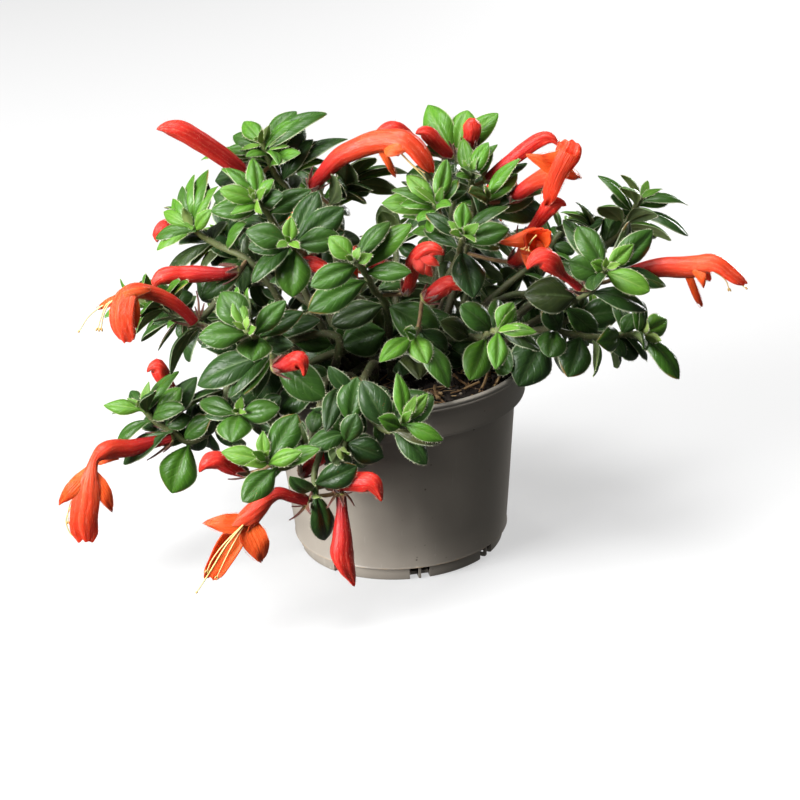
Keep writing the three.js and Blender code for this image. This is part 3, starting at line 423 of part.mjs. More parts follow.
  ["shoot_23",[-21.99,38.28,100.34],[-33.12,22.44,108.15],[-0.13,0.53,0.84],13.83,4,0.1,0],
  ["shoot_24",[3.65,86.25,117.8],[0.06,88.77,115.79],[0.21,-0.62,0.76],2.3,0,0.1,0],
  ["shoot_24",[4.06,86.08,118.45],[4.92,87.15,124.36],[-0.35,0.57,-0.74],2.87,0,0.1,0],
  ["shoot_24",[3.27,85.39,117.62],[-1.95,93,122.35],[0.39,0.14,0.91],5.67,1,0.1,0],
  ["shoot_24",[4.49,84.59,117.43],[11.45,88.48,124.12],[-0.56,0.62,0.55],5.38,1,0.1,0],
  ["shoot_24",[4.07,80.97,114.7],[-1.75,79.33,130.65],[0.22,0.97,0.04],10.15,2,0.1,0],
  ["shoot_24",[4.04,82.72,114.47],[4.35,96.34,111.35],[-0.01,0.22,0.97],9.05,2,0.1,0],
  ["shoot_24",[4.2,78.07,112.59],[21.9,80.83,119.45],[-0.36,0.37,0.86],11.06,3,0.1,0],
  ["shoot_24",[3.86,78.04,112.57],[-12.68,78.28,119.1],[0.21,0.45,0.86],10.57,3,0.1,0],
  ["shoot_24",[4.02,74.91,108.09],[3.51,91.44,96.97],[-0.16,0.42,0.9],12.15,3,0.1,0],
  ["shoot_24",[4.51,66.71,105.03],[26.6,63.91,109.89],[0.33,0.87,0.35],15.76,4,0.1,0],
  ["shoot_24",[3.18,57.48,102.9],[2.04,47.45,114.45],[0.04,0.75,0.66],10.19,4,0.1,0],
  ["shoot_24",[2.87,58.21,101.24],[-2.59,64.29,81.49],[-0.03,0.95,0.3],15.09,4,0.1,0],
  ["shoot_24",[3.49,47.3,99.44],[20.62,43.65,103.06],[0.04,0.8,0.59],11.75,4,0.1,0],
  ["shoot_24",[1.66,47.07,98.77],[-10.19,42.23,92.9],[-0.52,0.74,0.44],9.51,4,0.1,0],
  ["shoot_24",[2.87,38.6,95.27],[16.34,36.83,100.46],[-0.18,0.69,0.7],9.77,4,0.1,0],
  ["shoot_24",[2.71,38.27,95.27],[13.29,30.17,100.48],[0.08,0.61,0.79],9.11,4,0.1,0],
  ["shoot_25",[47.28,78.38,127.18],[49.08,74.47,133.13],[0.35,0.88,0.32],3.98,1,0.1,0],
  ["shoot_25",[45.65,75.62,124.73],[44.47,70.51,135.98],[0.56,0.69,0.46],6.79,2,0.1,0],
  ["shoot_25",[45.67,75.53,124.9],[57.82,70.57,132.08],[0.18,0.93,0.31],7.97,2,0.1,0],
  ["shoot_25",[44.31,73.06,122.46],[41.5,65.85,141.48],[0.51,0.77,0.39],11.56,3,0.1,0],
  ["shoot_25",[42.77,68.63,117.63],[62.99,62.04,119.25],[0.13,0.59,0.8],13.37,3,0.1,0],
  ["shoot_25",[41.39,69.26,117.79],[24.48,79,122.9],[0.48,0.43,0.77],12.82,3,0.1,0],
  ["shoot_25",[39.19,63.99,113.51],[41.41,75.2,93.98],[0.41,0.77,0.49],14.36,4,0.1,0],
  ["shoot_25",[39.42,63.57,114.9],[43.66,59.44,132.8],[0.4,0.44,0.8],11.54,4,0.1,0],
  ["shoot_25",[33.4,56.06,109.41],[15.63,60.16,106.32],[0.07,0.79,0.61],12.7,4,0.1,0],
  ["shoot_25",[34.9,55.34,109.52],[52.32,40.85,108.47],[0.65,0.54,0.53],14.44,4,0.1,0],
  ["shoot_25",[29.85,48.49,106.69],[26.29,38.59,124.47],[0.44,0.74,0.5],13.36,4,0.1,0],
  ["shoot_25",[30.93,48.65,105.74],[49.12,43.58,102.1],[0.32,0.67,0.67],11.64,4,0.1,0],
  ["shoot_25",[23.61,40.41,99.91],[5.27,46.81,98.16],[0.38,0.73,0.57],12.09,4,0.1,0],
  ["shoot_26",[84.47,52.11,128.01],[89.8,53.39,128.1],[-0.46,0.37,0.81],2.43,0,0.1,0],
  ["shoot_26",[84.02,52.32,128.36],[84.24,56,132.41],[0.67,-0.7,-0.24],2.56,0,0.1,0],
  ["shoot_26",[82.71,51.84,127.18],[84.88,61.89,128.4],[0.61,-0.22,0.76],5.81,1,0.1,0],
  ["shoot_26",[83.16,50.8,127.65],[89.63,48.41,133.61],[0.09,0.99,0.11],5.3,1,0.1,0],
  ["shoot_26",[79.48,49.31,125.66],[74.86,55.88,138.54],[0.95,0.16,0.26],9.29,2,0.1,0],
  ["shoot_26",[80.71,49.11,125.11],[95.31,49.33,123.47],[0.09,0.44,0.89],8.19,2,0.1,0],
  ["shoot_26",[77.36,48.23,123.1],[81.19,63.03,122.37],[0.33,0.06,0.94],9.17,3,0.1,0],
  ["shoot_26",[73.54,44.57,118.16],[89.08,41.14,106.86],[0.6,0.33,0.73],10.81,3,0.1,0],
  ["shoot_26",[72.77,44.95,119.5],[67.31,50.15,138.39],[0.85,0.48,0.21],13.17,3,0.1,0],
  ["shoot_26",[66.76,41.42,114],[59.71,58.91,107.14],[0.59,0.61,0.52],13.09,4,0.1,0],
  ["shoot_26",[67.08,40.1,114.97],[68.93,25.71,129.18],[0.64,0.58,0.51],12.63,4,0.1,0],
  ["shoot_26",[60.28,37.41,111.7],[46.41,43.66,128.19],[0.78,0.36,0.52],13.4,4,0.1,0],
  ["shoot_26",[61.34,36.84,110.74],[75.85,27.07,103.62],[0.91,-0.01,0.41],12.12,4,0.1,0],
  ["shoot_26",[51.95,32.76,105.77],[43.13,42.67,94.05],[0.6,0.76,0.26],11.4,4,0.1,0],
  ["shoot_26",[44.38,27.76,102.58],[31.73,33.02,115.52],[0.74,0.31,0.6],12.83,4,0.1,0],
  ["shoot_27",[-84.11,62.42,92.21],[-85.17,66.41,94.24],[-0.89,-0.37,0.27],2.06,0,0.1,0],
  ["shoot_27",[-82.73,60.83,92.08],[-84.08,63.59,100.03],[-0.76,0.56,-0.32],4.81,1,0.1,0],
  ["shoot_27",[-83.28,61.61,91.1],[-88.08,68.9,87.84],[-0.37,0.17,0.92],5.43,1,0.1,0],
  ["shoot_27",[-79.74,58.25,90.83],[-74.4,69.03,98.83],[-0.92,0.21,0.34],8.83,2,0.1,0],
  ["shoot_27",[-78.25,55.46,88.69],[-91.93,57.38,84.75],[-0.18,0.49,0.85],8.18,3,0.1,0],
  ["shoot_27",[-77.34,55.38,89.8],[-76.07,56.23,110.07],[-0.77,0.59,0.24],11.83,3,0.1,0],
  ["shoot_27",[-74.18,51.61,85.42],[-93.81,42.68,84.74],[-0.34,0.7,0.63],13.34,3,0.1,0],
  ["shoot_27",[-73.15,52.29,85.68],[-55.96,64.69,91.23],[-0.65,0.41,0.63],13.23,3,0.1,0],
  ["shoot_27",[-68.45,46.92,88.77],[-75.55,47.06,105.07],[-0.75,0.57,-0.33],11.91,4,0.1,0],
  ["shoot_27",[-67.85,46.93,87.32],[-51.16,41.87,71.75],[-0.48,0.54,-0.69],13.85,4,0.1,0],
  ["shoot_27",[-61.43,43.86,92.76],[-50.67,57.56,102.3],[-0.7,0.69,-0.19],12.8,4,0.1,0],
  ["shoot_27",[-62.46,42.48,92.39],[-72,28.95,98.3],[-0.84,0.48,-0.26],11.46,4,0.1,0],
  ["shoot_27",[-53.96,38.49,97.24],[-44,47.67,85.85],[-0.75,0.64,-0.14],11.51,4,0.1,0],
  ["shoot_27",[-54.83,37.97,98.59],[-61.79,38.45,115.65],[-0.82,0.5,-0.28],10.99,4,0.1,0],
  ["shoot_27",[-47.29,31.61,99.22],[-54.96,15.22,96.72],[-0.87,0.36,0.33],12.92,4,0.1,0],
  ["shoot_27",[-46.37,33.55,99.39],[-38.62,49.52,99.8],[-0.85,0.4,0.35],11.36,4,0.1,0],
  ["shoot_28",[40.15,98.39,86.18],[41.84,102.67,88.22],[0.13,-0.13,0.98],2.16,0,0.1,0],
  ["shoot_28",[40.07,98.4,85.76],[40.78,102.51,83.31],[-0.35,0.9,-0.25],2.28,0,0.1,0],
  ["shoot_28",[38.98,96.77,85.89],[34.77,104.17,90.4],[0.94,0.33,-0.01],5.29,1,0.1,0],
  ["shoot_28",[40.2,96.77,85.49],[48.95,102.25,84.89],[-0.33,0.6,0.73],5.9,1,0.1,0],
  ["shoot_28",[38.06,92.71,85.17],[42.55,96.08,100.09],[0.12,0.96,-0.25],9.05,2,0.1,0],
  ["shoot_28",[37.9,93.64,84.04],[37.94,107.25,76.1],[0.32,0.48,0.82],9.03,2,0.1,0],
  ["shoot_28",[37.28,89.29,82.95],[58.02,91.56,80.09],[-0.17,0.03,0.98],13.07,3,0.1,0],
  ["shoot_28",[36.03,89.43,83.59],[22.51,94.47,96.96],[0.66,0.6,0.44],11.09,3,0.1,0],
  ["shoot_28",[34.7,84.69,79.33],[29.55,97.19,63.64],[0.28,0.79,0.54],12.85,3,0.1,0],
  ["shoot_28",[31.15,77.79,82.26],[10.56,78.02,89.79],[0.32,0.88,-0.36],13.93,4,0.1,0],
  ["shoot_28",[32.42,77.43,81.79],[47.39,62.68,75.92],[0.56,0.73,-0.4],14.16,4,0.1,0],
  ["shoot_28",[29.95,72.26,88.4],[35.68,77.67,103.29],[0.34,0.83,-0.43],10.34,4,0.1,0],
  ["shoot_28",[28.98,71.67,87.21],[16.57,65.68,78.45],[0.1,0.75,-0.65],10,4,0.1,0],
  ["shoot_28",[25.91,64.81,95.85],[12.57,77.3,105.57],[0.46,0.8,-0.39],13.5,4,0.1,0],
  ["shoot_28",[22.16,56.45,99.11],[5.83,55.55,95.59],[-0.08,0.99,0.12],10.71,4,0.1,0],
  ["shoot_28",[23.45,56.29,100.06],[27.32,51.57,115.34],[0.25,0.96,0.11],11.15,4,0.1,0],
  ["shoot_24",[-28.36,98.04,88.26],[-31.65,98.41,90.59],[0.28,0.93,0.25],1.92,0,0.1,0],
  ["shoot_24",[-28.13,96.18,87.72],[-34.57,96.83,89.93],[0.23,0.88,0.42],3.52,1,0.1,0],
  ["shoot_24",[-27.12,96.65,87.75],[-21.5,103,90.44],[-0.76,0.49,0.42],5.09,1,0.1,0],
  ["shoot_24",[-26.81,92.32,86.81],[-30.47,90.62,99.41],[-0.03,0.99,0.12],8.05,2,0.1,0],
  ["shoot_24",[-26.89,93.49,85.9],[-28.6,106.59,78.08],[-0.13,0.5,0.86],9.55,2,0.1,0],
  ["shoot_24",[-25.43,88.96,85.18],[-9.22,94.94,91.64],[-0.48,0.62,0.62],10.85,3,0.1,0],
  ["shoot_24",[-26.78,88.78,84.95],[-44.94,90.29,85.59],[0.24,0.39,0.89],11.8,3,0.1,0],
  ["shoot_24",[-25.28,83.41,81.38],[-29.62,100.28,67.05],[-0.37,0.87,0.34],13.53,3,0.1,0],
  ["shoot_24",[-25.26,83.31,82.62],[-24.67,80.93,100.92],[-0.36,0.88,0.31],12.18,3,0.1,0],
  ["shoot_24",[-20.17,79.87,83.93],[-28.33,61.43,90.59],[-0.89,0.27,-0.36],13.88,4,0.1,0],
  ["shoot_24",[-19.88,80.38,83.79],[-9.97,98.64,78.31],[-0.85,0.35,-0.39],13.27,4,0.1,0],
  ["shoot_24",[-14.34,79,91.04],[-18.92,84.68,103.72],[-0.82,0.33,-0.47],10.37,4,0.1,0],
  ["shoot_24",[-13.68,78.47,89.63],[-1.35,76.16,74.3],[-0.52,0.16,-0.84],11.68,4,0.1,0],
  ["shoot_24",[-6.12,76.78,97.67],[-1.38,96.27,103.85],[-0.59,0.47,-0.66],14.27,4,0.1,0],
  ["shoot_23",[-30.1,40.96,156.64],[-34.03,38.23,156.59],[0.77,-0.48,0.42],2.27,0,0.1,0],
  ["shoot_23",[-29.42,40.89,156.81],[-26.59,36.68,158.74],[-0.74,0.67,-0.05],2.4,0,0.1,0],
  ["shoot_23",[-30.03,40.97,157.21],[-33.76,37.91,163.21],[0.21,0.81,0.54],4.35,1,0.1,0],
  ["shoot_23",[-29.24,41.71,156.95],[-23.88,47.32,160.83],[-0.4,-0.1,0.91],4.66,1,0.1,0],
  ["shoot_23",[-29.64,40.4,154.09],[-39.65,50.24,156.11],[-0.03,-0.1,0.99],8.28,2,0.1,0],
  ["shoot_23",[-27.48,37.92,149.69],[-11.66,50.99,155.25],[-0.28,0.21,0.94],13,3,0.1,0],
  ["shoot_23",[-28.75,37.3,149.57],[-44.75,33.35,150.97],[0.54,0.24,0.81],9.99,3,0.1,0],
  ["shoot_23",[-27.76,35.15,144.56],[-43.26,44.26,147.72],[0.04,0.03,1],12.08,3,0.1,0],
  ["shoot_23",[-26.39,34.36,144.67],[-9.09,24.85,156.38],[-0.37,0.38,0.85],13.25,3,0.1,0],
  ["shoot_23",[-27.83,36.53,137.15],[-46.36,28.55,137.09],[0.23,-0.54,0.81],13.37,4,0.1,0],
  ["shoot_23",[-29.62,43.99,132.67],[-38.38,54.86,148.83],[0.26,-0.73,0.63],13.6,4,0.1,0],
  ["shoot_23",[-28.91,43.35,131.3],[-19.4,36.96,112.47],[0.37,-0.81,0.46],14.47,4,0.1,0],
  ["shoot_23",[-32.45,51.83,125.54],[-49.83,43.87,121.38],[0.06,-0.56,0.83],11.98,4,0.1,0],
  ["shoot_23",[-30.61,51.99,125.77],[-12.15,49.12,126.72],[-0.12,-0.51,0.85],11.38,4,0.1,0],
  ["shoot_25",[33.98,42.31,158.37],[33.81,45.85,162.57],[0.62,-0.59,0.52],2.44,0,0.1,0],
  ["shoot_25",[33.75,42.23,158.34],[30.71,45.03,162.41],[-0.95,0.18,0.26],2.44,0,0.1,0],
  ["shoot_25",[33.15,40.97,156.79],[26.66,40.25,164.23],[0.85,0.51,-0.07],5.16,1,0.1,0],
  ["shoot_25",[33.82,41.68,156.33],[37.54,49.74,155.87],[-0.14,-0.2,0.97],5.09,1,0.1,0],
  ["shoot_25",[32.96,38.74,153.16],[44.08,31.12,154.62],[-0.35,0.77,0.54],8.39,2,0.1,0],
  ["shoot_25",[32.09,39.64,153.46],[24.06,50.68,160.15],[0.6,-0.05,0.8],8.95,2,0.1,0],
  ["shoot_25",[32.35,38.04,149.71],[43.15,50.81,148.17],[-0.03,0.15,0.99],10.23,3,0.1,0],
  ["shoot_25",[31.25,37.19,150.06],[14.91,38.17,161.48],[0.54,0.47,0.7],11.8,3,0.1,0],
  ["shoot_25",[29.74,34.76,145.04],[17.2,48.73,148.31],[0.31,0.06,0.95],11.22,3,0.1,0],
  ["shoot_25",[30.77,34.03,144.93],[48.46,28.66,145.51],[0.05,0.27,0.96],11.36,3,0.1,0],
  ["shoot_25",[30.8,37.08,138.11],[36.39,53.04,146.65],[-0.12,-0.43,0.89],13.2,4,0.1,0],
  ["shoot_25",[30.31,35.72,137.36],[21.32,22.73,124.73],[-0.22,-0.6,0.77],12.88,4,0.1,0],
  ["shoot_25",[31.31,42.17,131.69],[14.8,50.6,132.99],[-0.22,-0.56,0.8],12.01,4,0.1,0],
  ["shoot_25",[32.95,41.57,131.64],[52.4,37.18,131.77],[-0.14,-0.59,0.8],13.4,4,0.1,0],
  ["shoot_25",[34.31,48.37,123.95],[33.51,35.08,121.71],[0.15,-0.4,0.9],9.17,4,0.1,0],
  ["shoot_25",[35.24,49.84,124.25],[50.68,51.22,125.4],[-0.02,-0.5,0.87],9.96,4,0.1,0],
  ["shoot_26",[94.86,43.23,91.27],[97.29,42.99,86.23],[-0.3,0.73,0.62],2.73,0,0.1,0],
  ["shoot_26",[94.6,43.6,92.17],[94.52,46.91,95.92],[0.34,-0.68,0.65],2.44,0,0.1,0],
  ["shoot_26",[95.84,43.94,91.23],[104.02,48.45,87.52],[0.38,0.46,0.8],6.16,1,0.1,0],
  ["shoot_26",[91.85,42.37,91.69],[92.61,55.87,97.9],[0.95,-0.17,0.26],8.52,2,0.1,0],
  ["shoot_26",[87.44,39.51,90.83],[85.94,40.65,108.08],[0.9,0.43,0.05],10.26,3,0.1,0],
  ["shoot_26",[87.83,39.78,89.4],[95.81,48.1,74.53],[0.61,0.23,0.76],12.02,3,0.1,0],
  ["shoot_26",[83.19,36.49,87.06],[93.65,19.55,86.83],[0.73,0.44,0.53],12.39,3,0.1,0],
  ["shoot_26",[82.69,37.71,87.24],[76.34,57.38,91.3],[0.68,0.13,0.72],12.16,3,0.1,0],
  ["shoot_26",[75.41,35.08,90.1],[58.57,36.3,73.99],[0.69,0.14,-0.71],14.96,4,0.1,0],
  ["shoot_26",[76.44,35.09,91.36],[87.78,35.27,105.53],[0.78,0.11,-0.62],11.39,4,0.1,0],
  ["shoot_26",[68.97,35.09,96.49],[71.54,57.53,101.4],[0.21,0.46,-0.86],13.54,4,0.1,0],
  ["shoot_26",[68.75,33.56,96.37],[65.44,11.89,96.47],[0.94,-0.19,-0.29],13.81,4,0.1,0],
  ["shoot_26",[61.45,33.9,100.4],[51.41,37.78,85.09],[0.91,0.25,-0.34],11.81,4,0.1,0],
  ["shoot_22",[-103.16,21.25,111.98],[-106.13,19.48,115.23],[-0.05,-0.87,0.49],2.42,0,0.1,0],
  ["shoot_22",[-102.31,21.49,111.73],[-99.14,20.45,115.63],[0.19,0.93,0.32],2.23,0,0.1,0],
  ["shoot_22",[-103.78,21.95,111.13],[-113.18,24.8,109.23],[-0.17,-0.13,0.98],5.79,1,0.1,0],
  ["shoot_22",[-102.59,21.9,111.82],[-102.48,27.5,119.93],[-0.91,-0.02,-0.41],4.85,1,0.1,0],
  ["shoot_22",[-100.35,20.24,110.45],[-110.56,10.58,115.73],[-0.41,0.73,0.54],9.43,2,0.1,0],
  ["shoot_22",[-99.96,21.4,110.35],[-103.52,35.89,114.32],[-0.72,-0.34,0.6],8.38,2,0.1,0],
  ["shoot_22",[-95.4,19.54,108.26],[-86.66,21.69,122.91],[-0.93,0.29,0.21],10.09,3,0.1,0],
  ["shoot_22",[-96.42,19.49,107.28],[-110.85,20.15,98.24],[-0.29,0.22,0.93],10.46,3,0.1,0],
  ["shoot_22",[-91.84,19.02,104.12],[-89.32,36.46,107.19],[-0.68,-0.03,0.73],10.24,3,0.1,0],
  ["shoot_22",[-92,17.91,103.87],[-95.04,-2.02,110.11],[-0.62,0.32,0.71],12.98,3,0.1,0],
  ["shoot_22",[-84.08,20.37,104.48],[-71.47,30.55,87.55],[-0.59,-0.42,-0.69],15.18,4,0.1,0],
  ["shoot_22",[-77.18,24.73,108.81],[-65.21,16.18,104.54],[-0.62,-0.74,-0.26],10.49,4,0.1,0],
  ["shoot_22",[-78.37,25.88,109.29],[-87.43,42.16,114.46],[-0.88,-0.45,-0.15],12.93,4,0.1,0],
  ["shoot_22",[-71.95,29.92,113.84],[-81.87,24.96,126.71],[-0.65,-0.39,-0.65],11.53,4,0.1,0],
  ["shoot_22",[-70.99,30.26,112.6],[-59.87,33.85,98.31],[-0.93,0.06,-0.36],11.86,4,0.1,0],
  ["shoot_25",[36.17,59.03,112.39],[31.93,54.53,136.03],[0.56,-0.75,0.36],15.76,4,0.1,0],
  ["shoot_01",[-49.07,16.24,172.28],[-61.49,32.29,182.07],[0.13,-0.55,0.82],14.46,4,0.1,0],
  ["shoot_17",[-66.07,-11.21,96.43],[-83.54,-22.11,108.45],[0.64,-0.21,0.74],14.93,4,0.1,0],
  ["shoot_14",[45.91,-18.45,96.3],[54.13,-32.02,88.83],[0.79,0.31,0.53],11.8,4,0.1,0],
  ["shoot_01",[-48.62,15.96,172.18],[-73.91,19.59,167.39],[-0.23,-0.63,0.74],16.13,4,0.1,0],
  ["shoot_23",[-32.51,54.69,118.91],[-50.2,55.81,103.14],[-0.37,-0.76,0.54],16.62,4,0.1,0],
  ["shoot_17",[-58.86,-10.05,100.41],[-63.42,-14.25,108.14],[0.07,-0.89,-0.44],6.24,4,0.1,0],
  ["shoot_20",[-1.27,-76.44,85.43],[9.55,-59.4,89.99],[0.54,-0.78,-0.33],13.07,4,0.1,0],
  ["shoot_22",[-59.11,35.72,120.26],[-61.99,33.88,137.29],[0.15,-0.94,0.3],11.49,4,0.1,0],
  ["shoot_25",[43.33,71.48,119.06],[43.68,76.55,104.43],[0.66,-0.72,-0.23],10.42,4,0.1,0],
  ["shoot_09",[34.59,11.14,166.46],[10.11,14.38,166.99],[-0.01,-0.24,0.97],17.02,4,0.1,0],
  ["shoot_22",[-72.67,44.29,131.52],[-73.51,60.74,147.71],[0.45,-0.58,0.68],15.78,4,0.1,0],
  ["shoot_26",[80.43,36.82,87.74],[88.93,53.47,95.79],[0.14,-0.9,0.42],13.84,4,0.1,0],
  ["shoot_13",[41.4,1.98,92.04],[32.4,-3.89,97.37],[0.6,-0.22,0.77],9.03,4,0.1,0],
  ["shoot_23",[-26.66,36.13,145.92],[-17.17,48.62,142.17],[0.64,0.09,0.76],11.32,4,0.1,0],
  ["shoot_18",[-30.76,-52.89,95.4],[-50.73,-44.64,85.32],[-0.55,-0.53,0.65],15.99,4,0.1,0],
  ["shoot_13",[96.74,6.62,134.24],[103.12,17,145.46],[-0.65,-0.74,0.17],11.01,4,0.1,0],
  ["shoot_09",[20.55,2.78,92.5],[37.26,14.55,100.98],[-0.04,-0.55,0.83],13.97,4,0.1,0],
  ["shoot_17",[-100.73,-20.76,68.24],[-90.08,-20.67,72.56],[0.52,-0.52,0.68],8.06,4,0.1,0],
  ["shoot_16",[-3.54,-9.18,90.82],[4.25,-7.39,90.91],[-0.08,-0.97,-0.23],6.96,4,0.1,0],
  ["shoot_25",[35.75,59.72,112.24],[24.41,68.38,129.57],[0.2,-0.95,0.24],15.23,4,0.1,0],
  ["shoot_25",[31.63,38.8,151.55],[20.58,59.05,158.03],[0.66,-0.63,0.4],15.57,4,0.1,0],
  ["shoot_15",[-48.94,-39.64,109.6],[-56.28,-41.44,87.82],[-0.4,-0.89,0.24],15.14,4,0.1,0],
  ["shoot_22",[-97.52,19.29,108.48],[-105.13,9.81,105.08],[-0.36,-0.78,0.51],8.02,4,0.1,0],
  ["shoot_16",[-52.39,-38.79,84.39],[-51.19,-42.87,72.94],[-0.69,-0.68,0.23],8.82,4,0.1,0],
  ["shoot_13",[102.9,8.3,138.46],[102.81,14.05,128.51],[0.72,0.69,-0.08],8.18,4,0.1,0],
  ["shoot_26",[74.41,45.8,121.31],[55.11,38.22,129.63],[0.48,0.34,0.81],16.02,4,0.1,0],
  ["shoot_24",[-13.34,79.05,90],[3.98,94.17,91.09],[0.31,-0.85,0.41],14.1,4,0.1,0],
  ["shoot_26",[75.9,46.19,120.68],[86.07,47,116.48],[0.32,-0.71,0.63],7.07,4,0.1,0],
  ["shoot_22",[-67.61,39.58,124.54],[-82.93,34.48,136.75],[0.57,-0.33,0.75],13.67,4,0.1,0],
  ["shoot_02",[-51.31,-16.85,164.85],[-72.99,-6.48,168.85],[-0.47,-0.85,0.23],15.41,4,0.1,0],
  ["shoot_25",[38.45,64.06,113.62],[20.9,69.99,108.95],[-0.22,0.11,0.97],13.56,4,0.1,0],
  ["shoot_20",[-19.67,-73.28,84.55],[-15.02,-68.87,65.56],[-0.16,-0.93,-0.34],14.35,4,0.1,0],
  ["shoot_14",[100.67,-16.84,100.11],[105.82,-15.92,108.67],[-0.14,-0.97,0.19],7.12,4,0.1,0],
  ["shoot_24",[-24.14,81.83,80.36],[-15.54,77.47,60.36],[-0.85,0.49,-0.2],15.49,4,0.1,0],
  ["shoot_26",[80.91,35.89,86.03],[91.12,37.12,73.99],[0.72,-0.38,0.57],11.77,4,0.1,0],
  ["shoot_17",[-81,-14.06,67.17],[-86.55,-18.23,62.82],[-0.08,-0.99,0.08],7.08,4,0.1,0],
  ["shoot_26",[61.52,38.16,110.78],[52.07,38.68,101.03],[-0.87,-0.43,0.22],9.84,4,0.1,0],
  ["shoot_18",[-47.41,-76.88,72.33],[-55.1,-74.93,76.9],[0.17,-0.95,0.24],6.95,4,0.1,0],
  ["shoot_24",[4.24,79.17,113.54],[15.96,73.8,108.23],[0.17,-0.48,0.86],9.26,4,0.1,0],
  ["shoot_22",[-71.65,42.38,128.65],[-85.65,43.95,135.54],[-0.02,0.01,1],11.7,4,0.1,0],
  ["shoot_13",[40.35,3.44,90.32],[35.44,12.64,91.34],[0.15,-0.03,0.99],7.53,4,0.1,0],
  ["shoot_16",[-1.15,-7.67,99.36],[-4.17,-16.61,118.02],[-0.74,0.65,0.17],14.42,4,0.1,0],
  ["shoot_26",[60.47,37.7,110.51],[50.21,51.23,99.8],[0.88,0.21,0.42],12.4,4,0.1,0],
  ["shoot_01",[-43.92,19.33,162.64],[-50.04,11.02,148.33],[0.07,-0.88,0.48],12.89,4,0.1,0],
  ["shoot_17",[-35.97,-5.53,89.22],[-30.3,1.87,92.15],[0.11,-0.26,0.96],7.27,4,0.1,0],
  ["shoot_18",[-27.59,-44.1,96.75],[-35.93,-44.24,102.06],[0.22,-0.92,0.33],7.33,4,0.1,0],
  ["shoot_18",[-32.74,-63.06,87.35],[-35.05,-69.64,83.17],[-0.19,-0.83,0.52],8.1,4,0.1,0],
  ["shoot_22",[-73.45,43.8,130.58],[-86.19,37.48,117.12],[-0.79,-0.02,0.61],14.23,4,0.1,0],
  ["shoot_20",[-12.81,-62.29,95.64],[-1.33,-66.61,96.79],[-0.26,-0.53,0.81],8.88,4,0.1,0],
  ["shoot_26",[64.01,39.55,112.29],[62.45,51.26,104.35],[0.19,0.64,0.74],9.14,4,0.1,0],
  ["shoot_22",[-94.4,18.08,106.29],[-110.95,15.06,123.67],[0.73,-0.33,0.6],16.12,4,0.1,0],
  ["shoot_17",[-39.84,-5.69,92.67],[-57.9,0.61,95.96],[0.03,-0.66,0.75],14.83,4,0.1,0],
  ["shoot_27",[-38.66,25.92,96.33],[-30.43,14.57,84.99],[0.45,-0.77,0.45],12.58,4,0.1,0],
  ["shoot_26",[80.07,35.92,86.66],[84.31,39.57,73.1],[0.89,-0.28,-0.36],9.41,4,0.1,0],
  ["shoot_14",[94.94,-17.78,98.53],[100.48,-23.89,91.81],[0.31,-0.52,0.8],7.96,4,0.1,0],
  ["shoot_26",[79.87,35.65,87.08],[77.62,19.99,67.67],[-0.8,0.6,0.06],15.5,4,0.1,0],
  ["shoot_26",[65.1,32.97,98.55],[61.65,22.5,91.89],[0.2,-0.88,0.42],8.91,4,0.1,0],
  ["shoot_01",[-43.57,20.24,161.36],[-56.81,20.42,171.13],[0.59,-0.77,-0.25],11.69,4,0.1,0],
  ["shoot_17",[-74.94,-12.21,80.57],[-95.08,-18.05,73.96],[-0.32,0.46,0.83],15.37,4,0.1,0],
  ["shoot_24",[-25.23,83.52,81.17],[-15.05,88.53,59.71],[-0.91,0.29,-0.31],16.68,4,0.1,0],
  ["shoot_16",[-51.37,-36.35,89.55],[-71.02,-38.6,89.22],[0.11,-0.97,0.23],14.24,4,0.1,0],
  ["shoot_24",[3.18,76.06,109.97],[-15.99,85.98,113.74],[0.56,-0.16,0.82],15.7,4,0.1,0],
  ["shoot_20",[-4.84,-75.26,87.14],[16.22,-69.24,96.53],[0.17,-0.52,0.83],16.52,4,0.1,0],
  ["shoot_24",[-23.71,80.97,81.04],[-25.16,63.28,63.63],[-0.4,-0.47,0.79],15.87,4,0.1,0],
  ["shoot_13",[82.65,3.99,121.87],[87.53,2.19,112.02],[0.83,-0.31,0.47],8.09,4,0.1,0],
  ["shoot_26",[85.26,37.85,87.84],[105.98,42.84,87.73],[0.74,-0.53,0.41],14.06,4,0.1,0],
  ["shoot_11",[18.13,-12.26,90],[22.01,-27.21,96.39],[-0.45,0.18,0.87],11.33,4,0.1,0],
  ["shoot_22",[-24.94,16.79,88.17],[-17.66,21.84,96.51],[0.53,-0.73,0.44],8.8,4,0.1,0],
  ["shoot_12",[59.73,-7.2,101.27],[74.1,-2.63,96.55],[0.41,-0.53,0.74],10.19,4,0.1,0],
  ["shoot_14",[45.71,-18.49,96.5],[50.75,-35.94,92.56],[-0.76,-0.54,0.36],12.78,4,0.1,0],
  ["shoot_23",[-30.03,53.33,109.72],[-37.46,52.28,91.8],[-0.16,0.99,0.01],13.86,4,0.1,0],
  ["shoot_01",[-21.19,9.73,87.96],[-30.34,13.81,87.15],[0.42,-0.82,0.39],7.74,4,0.1,0],
  ["shoot_24",[-15.28,79.19,88.17],[-7.13,88.93,83.99],[-0.01,-0.68,0.73],9.46,4,0.1,0],
  ["shoot_14",[100.28,-16.41,99.83],[100.85,-3.08,110.4],[0.7,-0.46,0.54],11.1,4,0.1,0],
  ["shoot_17",[-79,-11.68,69.35],[-84.68,-3.26,59.71],[-0.2,-0.96,-0.19],9.89,4,0.1,0],
  ["shoot_28",[37.73,90.71,83.49],[49.47,89.22,72.46],[-0.05,-0.22,0.97],10.9,4,0.1,0],
  ["shoot_20",[-14.35,-61.71,94.69],[-18.92,-60.12,79.8],[-0.23,-0.97,0.1],10.64,4,0.1,0],
